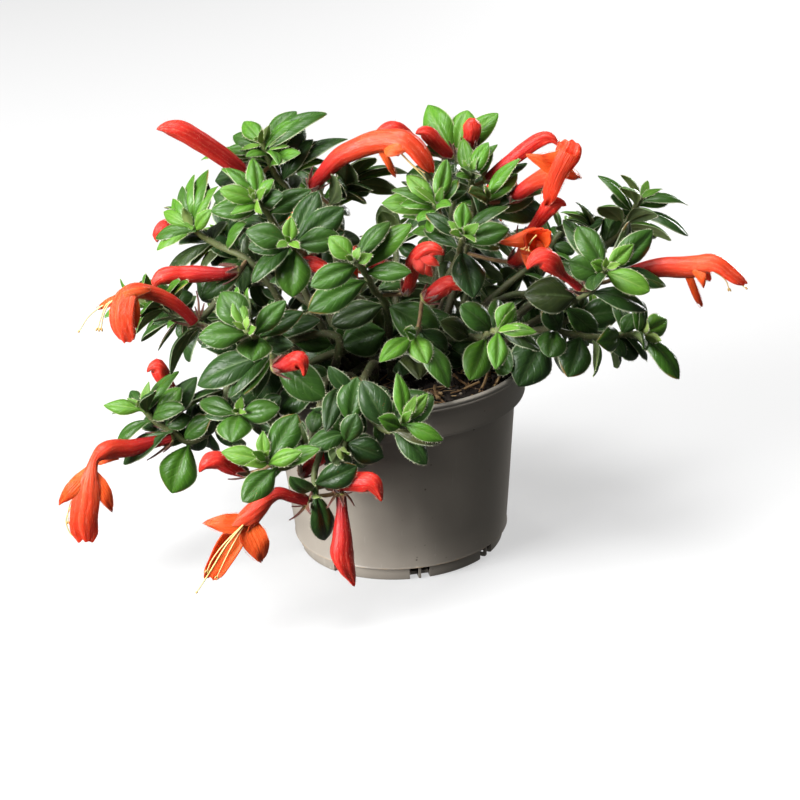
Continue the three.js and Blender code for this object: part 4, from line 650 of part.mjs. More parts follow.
  ["shoot_17",[-97.6,-18.92,64.79],[-104.64,-4.9,63.05],[-0.34,-0.08,0.94],10.62,4,0.1,0],
  ["shoot_25",[33.23,54.39,109.97],[33.35,56.89,121.71],[-0.46,0.88,-0.09],8.54,4,0.1,0],
  ["shoot_22",[-25.69,17.9,89.36],[-21.83,27.85,93.42],[0.28,-0.2,0.94],8.71,4,0.1,0],
  ["shoot_01",[-44.64,19.71,165.92],[-52.16,26.38,172.81],[-0.22,-0.49,0.84],7.58,4,0.1,0],
  ["shoot_23",[-28.05,36.39,146.32],[-39.03,48.62,148.68],[0.53,-0.43,0.73],11.88,4,0.1,0],
  ["shoot_13",[108.24,12.1,145.72],[101.4,21.25,151.71],[0.32,-0.34,0.88],9.35,4,0.1,0],
  ["shoot_22",[-85.39,19.39,103.61],[-94.36,25.93,81.38],[-0.91,-0.29,0.28],16.66,4,0.1,0],
  ["shoot_08",[16.3,-7.12,101.24],[29.15,-5.05,91.7],[0.78,0.17,0.61],12.19,4,0.1,0],
  ["shoot_24",[-15.12,78.87,88.26],[5.63,81.58,85.15],[-0.08,-0.9,0.42],14.22,4,0.1,0],
  ["shoot_22",[-34.41,23.01,102.93],[-46.32,18.23,95.04],[0.07,-0.86,0.5],10.01,4,0.1,0],
  ["shoot_24",[4.04,79.23,113.53],[-1.88,86.41,131.29],[0.24,0.96,-0.1],12.1,4,0.1,0],
  ["shoot_08",[15.79,-5.86,90.37],[30.22,-16.49,88.39],[-0.21,-0.34,0.92],12.02,4,0.1,0],
  ["shoot_01",[-43.04,20.91,162.09],[-47.6,27.5,166.88],[-0.1,-0.63,0.77],7.08,4,0.1,0],
  ["shoot_27",[-31.54,23.24,91.31],[-34.24,32.81,94.98],[-0.02,-0.82,0.58],7.67,4,0.1,0],
  ["shoot_19",[-26.97,-67.55,93.09],[-34.69,-62.84,90.78],[-0.54,-0.41,-0.73],6.27,4,0.1,0],
  ["shoot_25",[41.76,66.8,116.01],[53.35,52.11,110.03],[0.44,-0.02,0.9],12.48,4,0.1,0],
  ["shoot_18",[-20.65,-36.25,90.08],[-29.51,-37.15,87.46],[0.31,-0.85,0.42],6.39,4,0.1,0],
  ["shoot_14",[48.69,-18.14,99.46],[26.34,-15.98,97.62],[-0.22,-0.43,0.88],15.33,4,0.1,0],
  ["shoot_22",[-93.41,18.29,105.05],[-113.23,19.88,93.71],[-0.36,0.34,0.87],15.21,4,0.1,0],
  ["shoot_20",[-14.44,-61.85,94.81],[-24.2,-63.38,74.54],[-0.25,-0.96,0.15],16.02,4,0.1,0],
  ["shoot_18",[-33.96,-65.37,81.11],[-25.92,-68.75,65.84],[-0.66,-0.75,0.04],11.79,4,0.1,0],
  ["shoot_01",[-41.27,20.89,157.46],[-45.93,41.82,162.4],[-0.17,-0.26,0.95],14.53,4,0.1,0],
  ["shoot_27",[-79.84,56.68,89.74],[-102.93,59.22,86.89],[0.01,0.35,0.94],16.88,4,0.1,0],
  ["shoot_01",[-44.5,19.67,165.78],[-51.23,35.1,169.69],[0.08,-0.25,0.96],11.07,4,0.1,0],
  ["shoot_24",[-4.64,73.53,99.32],[-14.19,56.74,97.32],[-0.4,0.23,0.89],12.8,4,0.1,0],
  ["shoot_28",[36.29,90.44,83.82],[16.05,82.87,79.96],[-0.52,0.63,0.58],14.4,4,0.1,0],
  ["shoot_21",[-13.7,3.24,95.47],[-14.18,-7.6,93.49],[-0.12,-0.59,0.8],8.27,4,0.1,0],
  ["shoot_16",[1.47,-5.15,92.76],[-5.35,-1.42,84.29],[-0.51,-0.83,0.22],7.93,4,0.1,0],
  ["shoot_22",[-61.52,32.67,114.78],[-66.69,41.58,105.83],[-0.64,-0.26,0.72],9,4,0.1,0],
  ["shoot_13",[103.35,8.44,138.84],[120.17,24.96,133.04],[0.45,-0.33,0.83],15.41,4,0.1,0],
  ["shoot_17",[-76.05,-11.17,77.32],[-86.68,-7.72,60.02],[-0.23,-0.96,-0.14],15.53,4,0.1,0],
  ["shoot_15",[-26.47,-30.3,90.29],[-21.25,-20.17,89.63],[0.06,0.04,1],8.46,4,0.1,0],
  ["shoot_26",[63.18,34.5,100.32],[52.9,43.77,97.05],[-0.08,0.21,0.97],10.4,4,0.1,0],
  ["shoot_21",[-13.6,4.18,91.76],[-31.78,6.68,89.11],[-0.09,-0.71,0.7],11.88,4,0.1,0],
  ["shoot_26",[62.42,34.07,99.64],[43.93,36.08,88.09],[-0.5,0.07,0.86],15.45,4,0.1,0],
  ["shoot_18",[-28.12,-47.06,96.29],[-33.26,-49.25,89.5],[-0.13,-0.84,0.53],7.4,4,0.1,0],
  ["shoot_28",[34.98,86.24,80.29],[21.48,88.04,74.58],[0.04,-0.67,0.74],9.69,4,0.1,0],
  ["shoot_18",[-39.34,-68.55,74.51],[-44.16,-53.57,82.32],[-0.58,-0.45,0.67],12.82,4,0.1,0],
  ["shoot_08",[13.77,-5.24,92.11],[2.05,-5.53,86.69],[-0.23,-0.55,0.8],9.09,4,0.1,0],
  ["shoot_26",[63.78,33.28,100.81],[62.47,14.03,109.46],[0.95,-0.18,-0.25],13.26,4,0.1,0],
  ["shoot_28",[37.27,91.27,83.28],[38.5,99.2,71.74],[0.48,0.7,0.53],8.93,4,0.1,0],
  ["shoot_26",[73.75,45.91,118.92],[62.8,55.82,100.78],[0.83,0.28,-0.49],15.38,4,0.1,0],
  ["shoot_12",[49.77,-7.33,94.66],[52.27,-16.87,95.36],[0.01,0.07,1],6.64,4,0.1,0],
  ["shoot_17",[-95.8,-18.62,62.16],[-109.22,-8.08,58.37],[-0.49,-0.29,0.82],11.22,4,0.1,0],
  ["shoot_24",[4.16,79.36,113.75],[23.77,89.81,126.04],[-0.75,-0.03,0.67],15.53,4,0.1,0],
  ["shoot_23",[-39.46,72.26,127.14],[-23.27,62.1,140.35],[-0.36,0.47,0.8],13.68,4,0.1,0],
  ["shoot_17",[-92.07,-17.34,59.47],[-105.91,-1.95,61.26],[-0.49,-0.57,0.66],14.64,4,0.1,0],
  ["shoot_25",[44.87,74.05,123.64],[24.31,87.04,130.67],[-0.37,-0.2,0.91],16.86,4,0.1,0],
  ["shoot_06",[-7.15,-3.79,90.96],[-1.19,7.28,96.9],[-0.27,-0.16,0.95],9.77,4,0.1,0],
  ["shoot_22",[-29.9,22.01,98.27],[-37.87,38.95,101.06],[0.2,-0.26,0.94],13.32,4,0.1,0],
  ["shoot_17",[-76.43,-11.44,74.38],[-73.84,0.76,73.95],[-0.86,0.2,0.47],9.05,4,0.1,0],
  ["shoot_28",[29.55,73.87,86.08],[19.41,78.77,85.73],[-0.62,-0.61,0.49],7.42,4,0.1,0],
  ["shoot_19",[-19.27,-45.32,96.49],[-19.59,-40.86,87.64],[-0.68,-0.12,0.73],7.08,4,0.1,0],
  ["shoot_28",[37.98,90.68,83.88],[60.55,87.88,80.78],[0.03,0.07,1],14.31,4,0.1,0],
  ["shoot_02",[-22.15,-2.48,87.85],[-34.05,6.67,97.62],[0.35,-0.47,0.81],12.01,4,0.1,0],
  ["shoot_17",[-80.85,-12.56,65.45],[-75.26,10.71,70.63],[-0.06,0.04,1],15.44,4,0.1,0],
  ["shoot_24",[-14.98,79.38,88.39],[-3.6,89.86,89.49],[0.56,-0.56,0.61],9.73,4,0.1,0],
  ["shoot_25",[32.83,44.12,130.5],[36.14,56.33,137.62],[-0.43,-0.78,0.45],9.15,4,0.1,0],
  ["shoot_26",[75.47,35,90.17],[68.74,24.76,86.41],[0.51,-0.85,0.16],7.85,4,0.1,0],
  ["shoot_22",[-65.86,39.06,122.26],[-78.3,41.99,123.14],[0.07,-0.29,0.95],9.03,4,0.1,0],
  ["shoot_27",[-32.06,23.16,94.68],[-18.74,21.09,91.96],[-0.27,-0.31,0.91],9.71,4,0.1,0],
  ["shoot_20",[-19.93,-73.17,85.04],[-22.75,-59.57,70.8],[0.16,-0.84,-0.52],13.28,4,0.1,0],
  ["shoot_22",[-71.29,43.72,128.02],[-85,61.05,129.47],[0.22,-0.18,0.96],14.65,4,0.1,0],
  ["shoot_08",[14.4,-8.3,101.53],[9.21,-12.36,87.32],[-0.26,-0.7,0.67],11.87,4,0.1,0],
  ["shoot_22",[-66.23,40.14,124.44],[-58.56,44.61,136.82],[-0.14,-0.89,0.44],9.54,4,0.1,0],
  ["shoot_14",[99.73,-16.25,99.05],[87.51,-1.14,90.16],[0.2,0.65,0.74],15.06,4,0.1,0],
  ["shoot_17",[-80.73,-13.05,65.01],[-68.18,-7.16,50.91],[-0.3,-0.75,-0.58],12.33,4,0.1,0],
  ["shoot_22",[-97.19,20.58,108.56],[-100.62,32.07,105.92],[-0.59,0.59,0.55],8.81,4,0.1,0],
  ["shoot_09",[33.95,15.1,168.87],[43.31,20.97,155.05],[-0.15,0.94,0.3],11.6,4,0.1,0],
  ["shoot_22",[-66.63,39.02,123.2],[-66.25,24.09,113.53],[0.26,-0.93,0.27],12.2,4,0.1,0],
  ["shoot_21",[-13.88,5.42,100.7],[-1.44,14.69,110.59],[0.21,-0.83,0.51],11.78,4,0.1,0],
  ["shoot_28",[36.72,91.25,83.69],[26.38,101.65,77.04],[-0.32,0.69,0.65],10.29,4,0.1,0],
  ["shoot_13",[104.86,10.19,140.7],[98.54,11.7,130.42],[-0.3,-0.52,0.8],9.23,4,0.1,0],
  ["shoot_27",[-78.07,56.88,89.99],[-62.74,67.92,92.91],[-0.23,-0.47,0.85],12.24,4,0.1,0],
  ["shoot_26",[83.39,38.16,87.51],[62.4,46.76,81.6],[-0.42,0.17,0.89],15.81,4,0.1,0],
  ["shoot_28",[33.11,80.36,80.08],[34.31,78.62,54.37],[-0.3,-0.95,0.05],15.45,4,0.1,0],
  ["shoot_22",[-65.41,39.47,122.09],[-80.94,52.86,120.59],[-0.44,0.05,0.9],14.86,4,0.1,0],
  ["shoot_26",[73.41,35.64,91.74],[64.21,48.62,93.71],[0.21,0.3,-0.93],11.58,4,0.1,0],
  ["shoot_24",[-25.71,85.12,82.29],[-44.3,101.08,77.91],[-0.24,0.34,0.91],16.7,4,0.1,0],
  ["shoot_24",[-21.08,79.71,84.04],[-41.49,78.21,85.79],[0.17,-0.84,0.52],13.07,4,0.1,0],
  ["shoot_01",[-40.85,20.35,153.34],[-53.54,26.84,143.56],[-0.66,-0.57,0.48],11.6,4,0.1,0],
  ["shoot_24",[-4.46,73.64,98.67],[-15.66,75.01,87.76],[-0.96,-0.23,-0.15],11.12,4,0.1,0],
  ["shoot_14",[94.62,-16.92,98.36],[97.67,-8.19,80.92],[0.83,0.04,0.55],12.35,4,0.1,0],
  ["shoot_23",[-27.76,37.89,137.9],[-35.79,54.89,149.39],[0.28,-0.91,0.3],15.89,4,0.1,0],
  ["shoot_06",[-9.04,-5.83,97.7],[-24.47,-19.06,105.59],[0.59,-0.44,0.68],15.64,4,0.1,0],
  ["shoot_25",[44.82,74.09,123.67],[34.32,85.95,134.82],[0.35,-0.78,0.53],12.37,4,0.1,0],
  ["shoot_25",[32.26,46.13,127.81],[25.53,53.22,121.64],[-0.25,-0.92,-0.31],7.88,4,0.1,0],
  ["shoot_24",[-24.81,81.48,81.77],[-41.08,84.43,87.97],[-0.39,-0.92,0.09],11.94,4,0.1,0],
  ["shoot_05",[-1.6,-16.46,98.22],[-2.21,-20.22,105.24],[-0.7,-0.7,0.13],10.34,4,0.1,0],
  ["shoot_26",[79.82,36.07,86.88],[77.72,45.51,75.93],[0.94,0.08,0.35],10.13,4,0.1,0],
  ["shoot_24",[-25.73,85.17,82.31],[-34.85,74.82,61.36],[-0.98,0.07,0.2],16.73,4,0.1,0],
  ["shoot_02",[-23.28,-5.12,91.53],[-24.11,-14.56,95.24],[-0.8,-0.18,0.58],7.48,4,0.1,0],
  ["shoot_25",[33.91,53,118.14],[14.44,59.51,120.72],[-0.09,-0.58,0.81],12.79,4,0.1,0],
  ["shoot_25",[32.44,44.01,130.52],[26.89,57.77,140.55],[-0.39,-0.61,0.69],11.94,4,0.1,0],
  ["shoot_21",[-19.61,13.36,160.86],[-37.64,22.86,169.56],[0.51,0.19,0.84],14.47,4,0.1,0],
  ["shoot_17",[-83.41,-13.21,62.22],[-94.17,-5.97,52.25],[-0.2,-0.98,-0.06],10.29,4,0.1,0],
  ["shoot_09",[33.96,15.11,168.86],[36.53,28.54,165.73],[0.29,0.16,0.94],8.42,4,0.1,0],
  ["shoot_19",[-29.34,-72.37,81.16],[-20.63,-70.02,65.72],[-0.03,-0.74,-0.68],12.25,4,0.1,0],
  ["shoot_07",[10.66,1.26,88.64],[-10.92,7.4,88.59],[0.09,-0.45,0.89],15.21,4,0.1,0],
  ["shoot_16",[-23.07,-17.83,98.55],[-42.74,-17.95,92.87],[-0.16,-0.8,0.57],15.41,4,0.1,0],
  ["shoot_14",[37.22,-15.63,91.51],[30.92,-22.68,88.19],[0.33,-0.62,0.71],6.64,4,0.1,0],
  ["shoot_25",[31.29,39.19,135.02],[33.36,48.85,141.03],[0.05,-0.54,0.84],8.37,4,0.1,0],
  ["shoot_24",[-25.75,85.16,82.35],[-22.1,83.29,59.43],[-0.94,0.07,0.33],14.54,4,0.1,0],
  ["shoot_26",[74.1,35.89,92.83],[66.94,40,106.07],[0.48,-0.55,0.68],11.3,4,0.1,0],
  ["shoot_26",[65.36,34.42,99.44],[56.3,52.08,108.28],[0.69,0.36,0.63],14.12,4,0.1,0],
  ["shoot_11",[18.59,-10.14,89.38],[30.58,1.22,88.77],[0.03,-0.16,0.99],12.04,4,0.1,0],
  ["shoot_28",[32.88,81.6,79.81],[22.05,82.41,84.64],[0.06,0.83,0.55],7.69,4,0.1,0],
  ["shoot_26",[78.36,48.6,123.62],[82.82,60.86,110.88],[0.47,0.52,0.71],11.18,4,0.1,0],
  ["shoot_22",[-69.36,42.74,127.44],[-54.97,52.9,118.69],[0.56,0.43,0.71],13.91,4,0.1,0],
  ["shoot_02",[-23.71,-2.84,92.46],[-27.23,4.44,101.81],[0.07,-0.84,0.54],9.44,4,0.1,0],
  ["shoot_11",[38.57,-22.85,103.8],[54.12,-22.38,115.34],[-0,-1,0.04],13.45,4,0.1,0],
  ["shoot_23",[-36.44,64.4,118.39],[-39.49,50.86,104.81],[-0.49,-0.48,0.73],14.17,4,0.1,0],
  ["shoot_17",[-35.15,-5.2,87.05],[-23.15,8.22,83.8],[-0.2,-0.22,0.95],13.11,4,0.1,0],
  ["shoot_16",[-3.13,-7.42,99.18],[-6.42,5.39,111.7],[-0.98,0,0.21],13.23,4,0.1,0],
  ["shoot_14",[95.28,-16.9,98.39],[108.4,-10.59,86.96],[0.84,-0.43,0.34],13.58,4,0.1,0],
  ["shoot_26",[74.75,35.49,90.33],[53.67,47.13,93.86],[-0.23,-0.86,0.45],15.13,4,0.1,0],
  ["shoot_26",[65.21,33.64,97.5],[62.9,29.29,82.67],[0.53,-0.78,0.33],11.36,4,0.1,0],
  ["shoot_22",[-70.89,43.11,127.43],[-82.11,55.88,120.94],[-0.04,-0.41,0.91],13.46,4,0.1,0],
  ["shoot_18",[-31.26,-58.97,88.89],[-31.46,-60.92,76.05],[-0.14,-0.95,0.27],8.62,4,0.1,0],
  ["shoot_22",[-65.42,40.29,123.23],[-54.49,43.76,118.43],[0.06,0.32,0.94],9.47,4,0.1,0],
  ["shoot_23",[-29.21,39.86,152.23],[-37.13,54.18,163.08],[0.25,-0.23,0.94],13.16,4,0.1,0],
  ["shoot_01",[-48.67,16.96,173.28],[-45.78,29.9,188.84],[0.01,-0.89,0.46],14.23,4,0.1,0],
  ["shoot_23",[-38.12,67.86,122.84],[-39.45,58.75,116.8],[0.13,-0.41,0.9],8.19,4,0.1,0],
  ["shoot_17",[-93.72,-17.91,60.77],[-92.3,-0.38,55.34],[-0.52,0.52,0.68],12.44,4,0.1,0],
  ["shoot_22",[-74.38,45.62,131.18],[-91.75,60.06,128.78],[-0.1,0.14,0.98],15.32,4,0.1,0],
  ["shoot_17",[-99.21,-19.52,66.72],[-104.32,-14.03,71.73],[-0.72,-0.32,0.61],6.15,4,0.1,0],
  ["shoot_04",[-20.52,-8.45,96.01],[-28.27,-14.68,97.6],[0.33,-0.24,0.91],7.39,4,0.1,0],
  ["shoot_28",[38.04,90.97,84.18],[57.95,95.36,88.56],[0.19,0.54,0.82],13.53,4,0.1,0],
  ["shoot_21",[-18.2,14.35,160.81],[-6.4,34.12,164.52],[0.63,-0.68,0.38],15.83,4,0.1,0],
  ["shoot_26",[88.79,40.7,90.06],[83.63,50.21,73.2],[-0.13,-0.95,-0.29],13.15,4,0.1,0],
  ["shoot_14",[101.01,-16.18,99.12],[109.42,-8.01,95.54],[0.6,-0.03,0.8],8.51,4,0.1,0],
  ["shoot_27",[-32.08,23.62,92.8],[-35.72,40.08,98.07],[-0.2,-0.19,0.96],12.29,4,0.1,0],
  ["shoot_22",[-64.83,39.43,122.04],[-71.99,59.32,118.09],[-0.28,0.37,0.89],14.85,4,0.1,0],
  ["shoot_17",[-97.69,-19.03,64.94],[-111.07,1.67,65.33],[-0.04,-0.5,0.86],17.13,4,0.1,0],
  ["shoot_28",[31.3,77.56,81.86],[15.18,72.93,80.46],[-0.51,0.78,-0.36],10.64,4,0.1,0],
  ["shoot_24",[1.44,37.13,94.41],[-6.39,39.13,104.33],[0.74,0.46,0.49],8.69,4,0.1,0],
  ["shoot_22",[-54.7,34.35,115.76],[-69.59,47.29,113.64],[0.01,-0.35,0.94],13.1,4,0.1,0],
  ["shoot_07",[13.7,1.33,100.15],[-0.88,2.65,101.49],[0.01,-0.65,0.76],10.57,4,0.1,0],
  ["shoot_27",[-78.3,56.44,90.25],[-67.17,51.87,106.3],[-0.61,0.61,0.5],14.02,4,0.1,0],
  ["shoot_28",[15.19,35.17,87.72],[29.3,49.28,93.29],[-0.05,-0.62,0.78],13.36,4,0.1,0],
  ["shoot_13",[103.92,9.49,139.58],[112.88,22.68,144.8],[-0.13,-0.49,0.86],11.84,4,0.1,0],
  ["shoot_25",[30.62,35.1,147.28],[28.94,36.27,172.14],[0.55,-0.35,0.76],17.71,4,0.1,0],
  ["shoot_25",[34.47,52.91,118.23],[28.46,63.75,133.05],[0.65,-0.52,0.55],13.03,4,0.1,0],
  ["shoot_22",[-68.51,32.55,114.59],[-84.54,39.51,108.97],[-0.88,-0.32,0.36],13.52,4,0.1,0],
  ["shoot_27",[-31.67,20.84,91.37],[-41.08,7.82,102.21],[0.96,-0.19,0.22],12.78,4,0.1,0],
  ["shoot_18",[-29.95,-54.81,93.1],[-27.15,-59.25,71.43],[-0.25,-0.95,0.16],15.44,4,0.1,0],
  ["shoot_25",[37.73,62.54,112.54],[23.65,66.62,101.32],[-0.27,0.57,0.77],12.7,4,0.1,0],
  ["shoot_02",[-25.96,-5.05,94.38],[-33.84,-12.47,95.18],[0.64,-0.3,0.7],7.14,4,0.1,0],
  ["shoot_01",[-48.78,15.07,177.79],[-33.87,28.57,187.37],[-0.01,-0.48,0.88],15.6,4,0.1,0],
  ["shoot_21",[-24.34,8.48,153.57],[-18.47,15.26,144.12],[0.89,-0.31,0.33],9.94,4,0.1,0],
  ["shoot_09",[35.02,5.09,137.48],[31.95,15.62,130.56],[0.19,0.58,0.8],9.24,4,0.1,0],
  ["shoot_03",[-47.93,-5.53,118.49],[-55.02,1.9,122.36],[0.49,-0.3,0.82],7.72,4,0.1,0],
  ["shoot_01",[-24.15,9.86,97.05],[-17.44,-3.4,90.19],[0.28,-0.58,0.77],11.66,4,0.1,0],
  ["shoot_24",[-24.87,82.48,80.7],[-35.52,93.34,75.02],[-0.48,0.45,0.76],10.71,4,0.1,0],
  ["shoot_23",[-18.04,30.36,89.76],[-38.44,30.81,92.61],[0.16,-0.31,0.94],13.89,4,0.1,0],
  ["shoot_02",[-48.48,-9.89,157.62],[-53.91,-2.14,161.19],[-0.1,-0.48,0.87],6.69,4,0.1,0],
  ["shoot_24",[-25.74,85.16,82.31],[-27.32,80.42,66.08],[-0.99,0.03,0.12],10.7,4,0.1,0],
  ["shoot_23",[-27.38,37.37,147.86],[-24.25,50.42,147.98],[0.21,-0.02,0.98],9.58,4,0.1,0],
  ["shoot_25",[41.81,67.15,115.68],[56.64,59.9,99.39],[0.67,-0.21,0.71],16.4,4,0.1,0],
  ["shoot_26",[77.91,48.61,123.67],[70.01,63.26,110.13],[0.51,0.35,0.79],13.12,4,0.1,0],
  ["shoot_23",[-29.06,38.94,151.16],[-47.62,55.33,153.29],[-0.06,-0.19,0.98],17.52,4,0.1,0],
  ["shoot_07",[15.09,2.42,104.39],[-3.57,14.87,99.22],[0.08,0.72,0.68],16.25,4,0.1,0],
  ["shoot_13",[52.28,4.14,100.2],[40.78,11.46,93.62],[-0.54,-0.1,0.83],10.76,4,0.1,0],
  ["shoot_24",[-24.08,81.49,80.41],[-14.22,67.9,62.91],[0.06,-0.96,0.28],15.37,4,0.1,0],
  ["shoot_22",[-31.41,20.73,101.39],[-36.64,21.45,109.21],[0.41,-0.67,0.61],8.14,4,0.1,0],
  ["shoot_13",[93.45,20.43,127.21],[106.34,21.96,136.17],[-0.39,-0.76,0.53],10.67,4,0.1,0],
  ["shoot_19",[-21.67,-53.97,97.43],[-13.17,-49.33,91.16],[0.43,-0.9,0.11],8.49,4,0.1,0],
  ["shoot_22",[-93.29,18.28,105.12],[-94.57,13.62,95.29],[-0.57,-0.71,0.41],6.62,4,0.1,0],
  ["shoot_22",[-66.53,40.4,123.26],[-63.47,53.06,110.25],[0.21,0.86,0.47],12.82,4,0.1,0],
  ["shoot_16",[-1.79,-6.6,99.25],[4.08,1.56,103.44],[-0.41,-0.64,0.65],8.2,4,0.1,0],
  ["shoot_24",[-9.77,77.33,92.95],[2.31,70.33,88.96],[0.36,0.03,0.93],10.14,4,0.1,0],
  ["shoot_01",[-48.46,16.68,170.8],[-65.86,23.29,166.53],[-0.39,-0.76,0.53],11.97,4,0.1,0],
  ["shoot_01",[-37.59,17.65,144.32],[-39.1,-0.77,147.97],[-0.17,0.2,0.96],13.01,4,0.1,0],
  ["shoot_01",[-34.83,17.28,130.67],[-51.65,21.99,128.6],[-0.1,0.09,0.99],11.75,4,0.1,0],
  ["shoot_01",[-30.16,15.39,115.35],[-26.32,32.43,115.18],[-0.2,0.06,0.98],10.74,4,0.1,0],
  ["shoot_01",[-25.04,12.14,101.51],[-9.01,12.4,104.22],[-0.17,0.13,0.98],11.05,4,0.1,0],
  ["shoot_02",[-44.28,-6.17,147.65],[-26.64,0.19,155.6],[-0.36,-0.15,0.92],12.06,4,0.1,0],
  ["shoot_02",[-40.43,-6.27,133.58],[-44.11,-24.74,131.51],[-0.25,-0.06,0.97],12.6,4,0.1,0],
  ["shoot_02",[-40.42,-4.42,133.72],[-44.66,16.43,134.69],[-0.23,-0.09,0.97],13.17,4,0.1,0],
  ["shoot_03",[-44.07,-7.46,112.04],[-46.88,-26.39,111.07],[-0.35,0,0.94],12.12,4,0.1,0],
  ["shoot_04",[-36.04,-22.35,148.07],[-21.23,-19.38,157.45],[-0.15,-0.85,0.5],10.67,4,0.1,0],
  ["shoot_04",[-37.59,-22.66,147.36],[-52.51,-25.73,142.8],[-0.01,-0.82,0.58],10.38,4,0.1,0],
  ["shoot_04",[-33.83,-10.99,138.33],[-31.1,-0.29,152.18],[-0.39,-0.69,0.61],11.05,4,0.1,0],
  ["shoot_04",[-28.32,-10.51,124.17],[-13.21,-22.12,130.57],[-0.36,0.04,0.93],13.19,4,0.1,0],
  ["shoot_05",[0.01,-15.98,99.91],[18.53,-24.23,98.53],[-0.04,-0.24,0.97],13.68,4,0.1,0],
  ["shoot_06",[-47.63,-33.93,115.09],[-54.39,-18.41,118.32],[-0.88,-0.43,0.2],11.79,4,0.1,0],
  ["shoot_07",[26.19,1.73,145.05],[42.52,-7.06,141.23],[0.02,-0.36,0.93],11.88,4,0.1,0],
  ["shoot_07",[19.9,2.97,116.9],[30.01,19.41,118.3],[0.07,-0.13,0.99],12.17,4,0.1,0],
  ["shoot_07",[16.48,1.21,102.98],[34.91,-4.42,98.71],[0.3,0.27,0.92],12.82,4,0.1,0],
  ["shoot_07",[12.03,2.22,89.22],[14,16.88,95.7],[0.35,-0.26,0.9],11.71,4,0.1,0],
  ["shoot_08",[27.32,-11.76,129.67],[38.68,-0.91,128.86],[0.28,-0.23,0.93],10.07,4,0.1,0],
  ["shoot_08",[13.99,-7.51,102.66],[-1.35,-10.26,108.9],[0.39,-0.11,0.91],10.71,4,0.1,0],
  ["shoot_09",[37.81,4.99,145.01],[56.57,13.37,139.25],[0.28,0.02,0.96],13.77,4,0.1,0],
  ["shoot_10",[9.65,-20.81,104.02],[17.02,-35.82,95.43],[0.23,-0.4,0.89],13.08,4,0.1,0],
  ["shoot_12",[69.67,-12.96,110.43],[72.46,2.42,121.88],[0.55,-0.56,0.62],12.38,4,0.1,0],
  ["shoot_12",[47.3,-6.16,94],[38.54,0.29,109.8],[0.88,0,0.48],12.48,4,0.1,0],
  ["shoot_13",[93.25,4.48,131.19],[87.51,-11.14,141.31],[0.69,0.2,0.7],11.53,4,0.1,0],
  ["shoot_13",[70.43,4.54,111.96],[80.84,14.43,97.11],[0.77,0.12,0.62],13.07,4,0.1,0],
  ["shoot_14",[50.35,-17.8,100.26],[44.46,-7.04,113.27],[0.82,-0.19,0.53],11.76,4,0.1,0],
  ["shoot_16",[-44.49,-29.99,94.78],[-52.54,-12.95,94.8],[-0.9,-0.43,0.03],13.01,4,0.1,0],
  ["shoot_17",[-65.53,-9.8,96.2],[-64.05,8.81,97.5],[-0.85,0.1,-0.52],11.94,4,0.1,0],
  ["shoot_17",[-65.97,-11.54,96.26],[-74.84,-27.02,99.95],[-0.71,0.25,-0.66],11.53,4,0.1,0],
  ["shoot_17",[-39.31,-5.41,93.67],[-45.01,12.79,91.82],[-0.51,-0.07,0.86],13.11,4,0.1,0],
  ["shoot_18",[-43.91,-74.22,72.25],[-52.02,-57.15,80.05],[-0.81,-0.51,0.28],12.83,4,0.1,0],
  ["shoot_21",[-20,5.64,128.99],[-0.14,6.67,134.64],[-0.27,0.01,0.96],13.44,4,0.1,0],
  ["shoot_21",[-21.81,5.51,128.57],[-39.36,2.73,128.47],[-0.01,0.04,1],10.97,4,0.1,0],
  ["shoot_21",[-18.26,6.37,114.82],[-18.06,24.59,117.16],[-0.18,-0.12,0.98],11.61,4,0.1,0],
  ["shoot_21",[-18.58,4.5,114.96],[-24.89,-11.16,120.66],[0.04,0.22,0.97],11.24,4,0.1,0],
  ["shoot_20",[-18.97,-72.94,88.23],[-14.92,-68.27,106.57],[-0.01,-0.97,0.25],13,4,0.08,1],
  ["shoot_19",[-23.31,-57.94,96.91],[-28.81,-77.51,87.01],[0.2,-0.53,0.82],8.5,4,0.15,1],
];
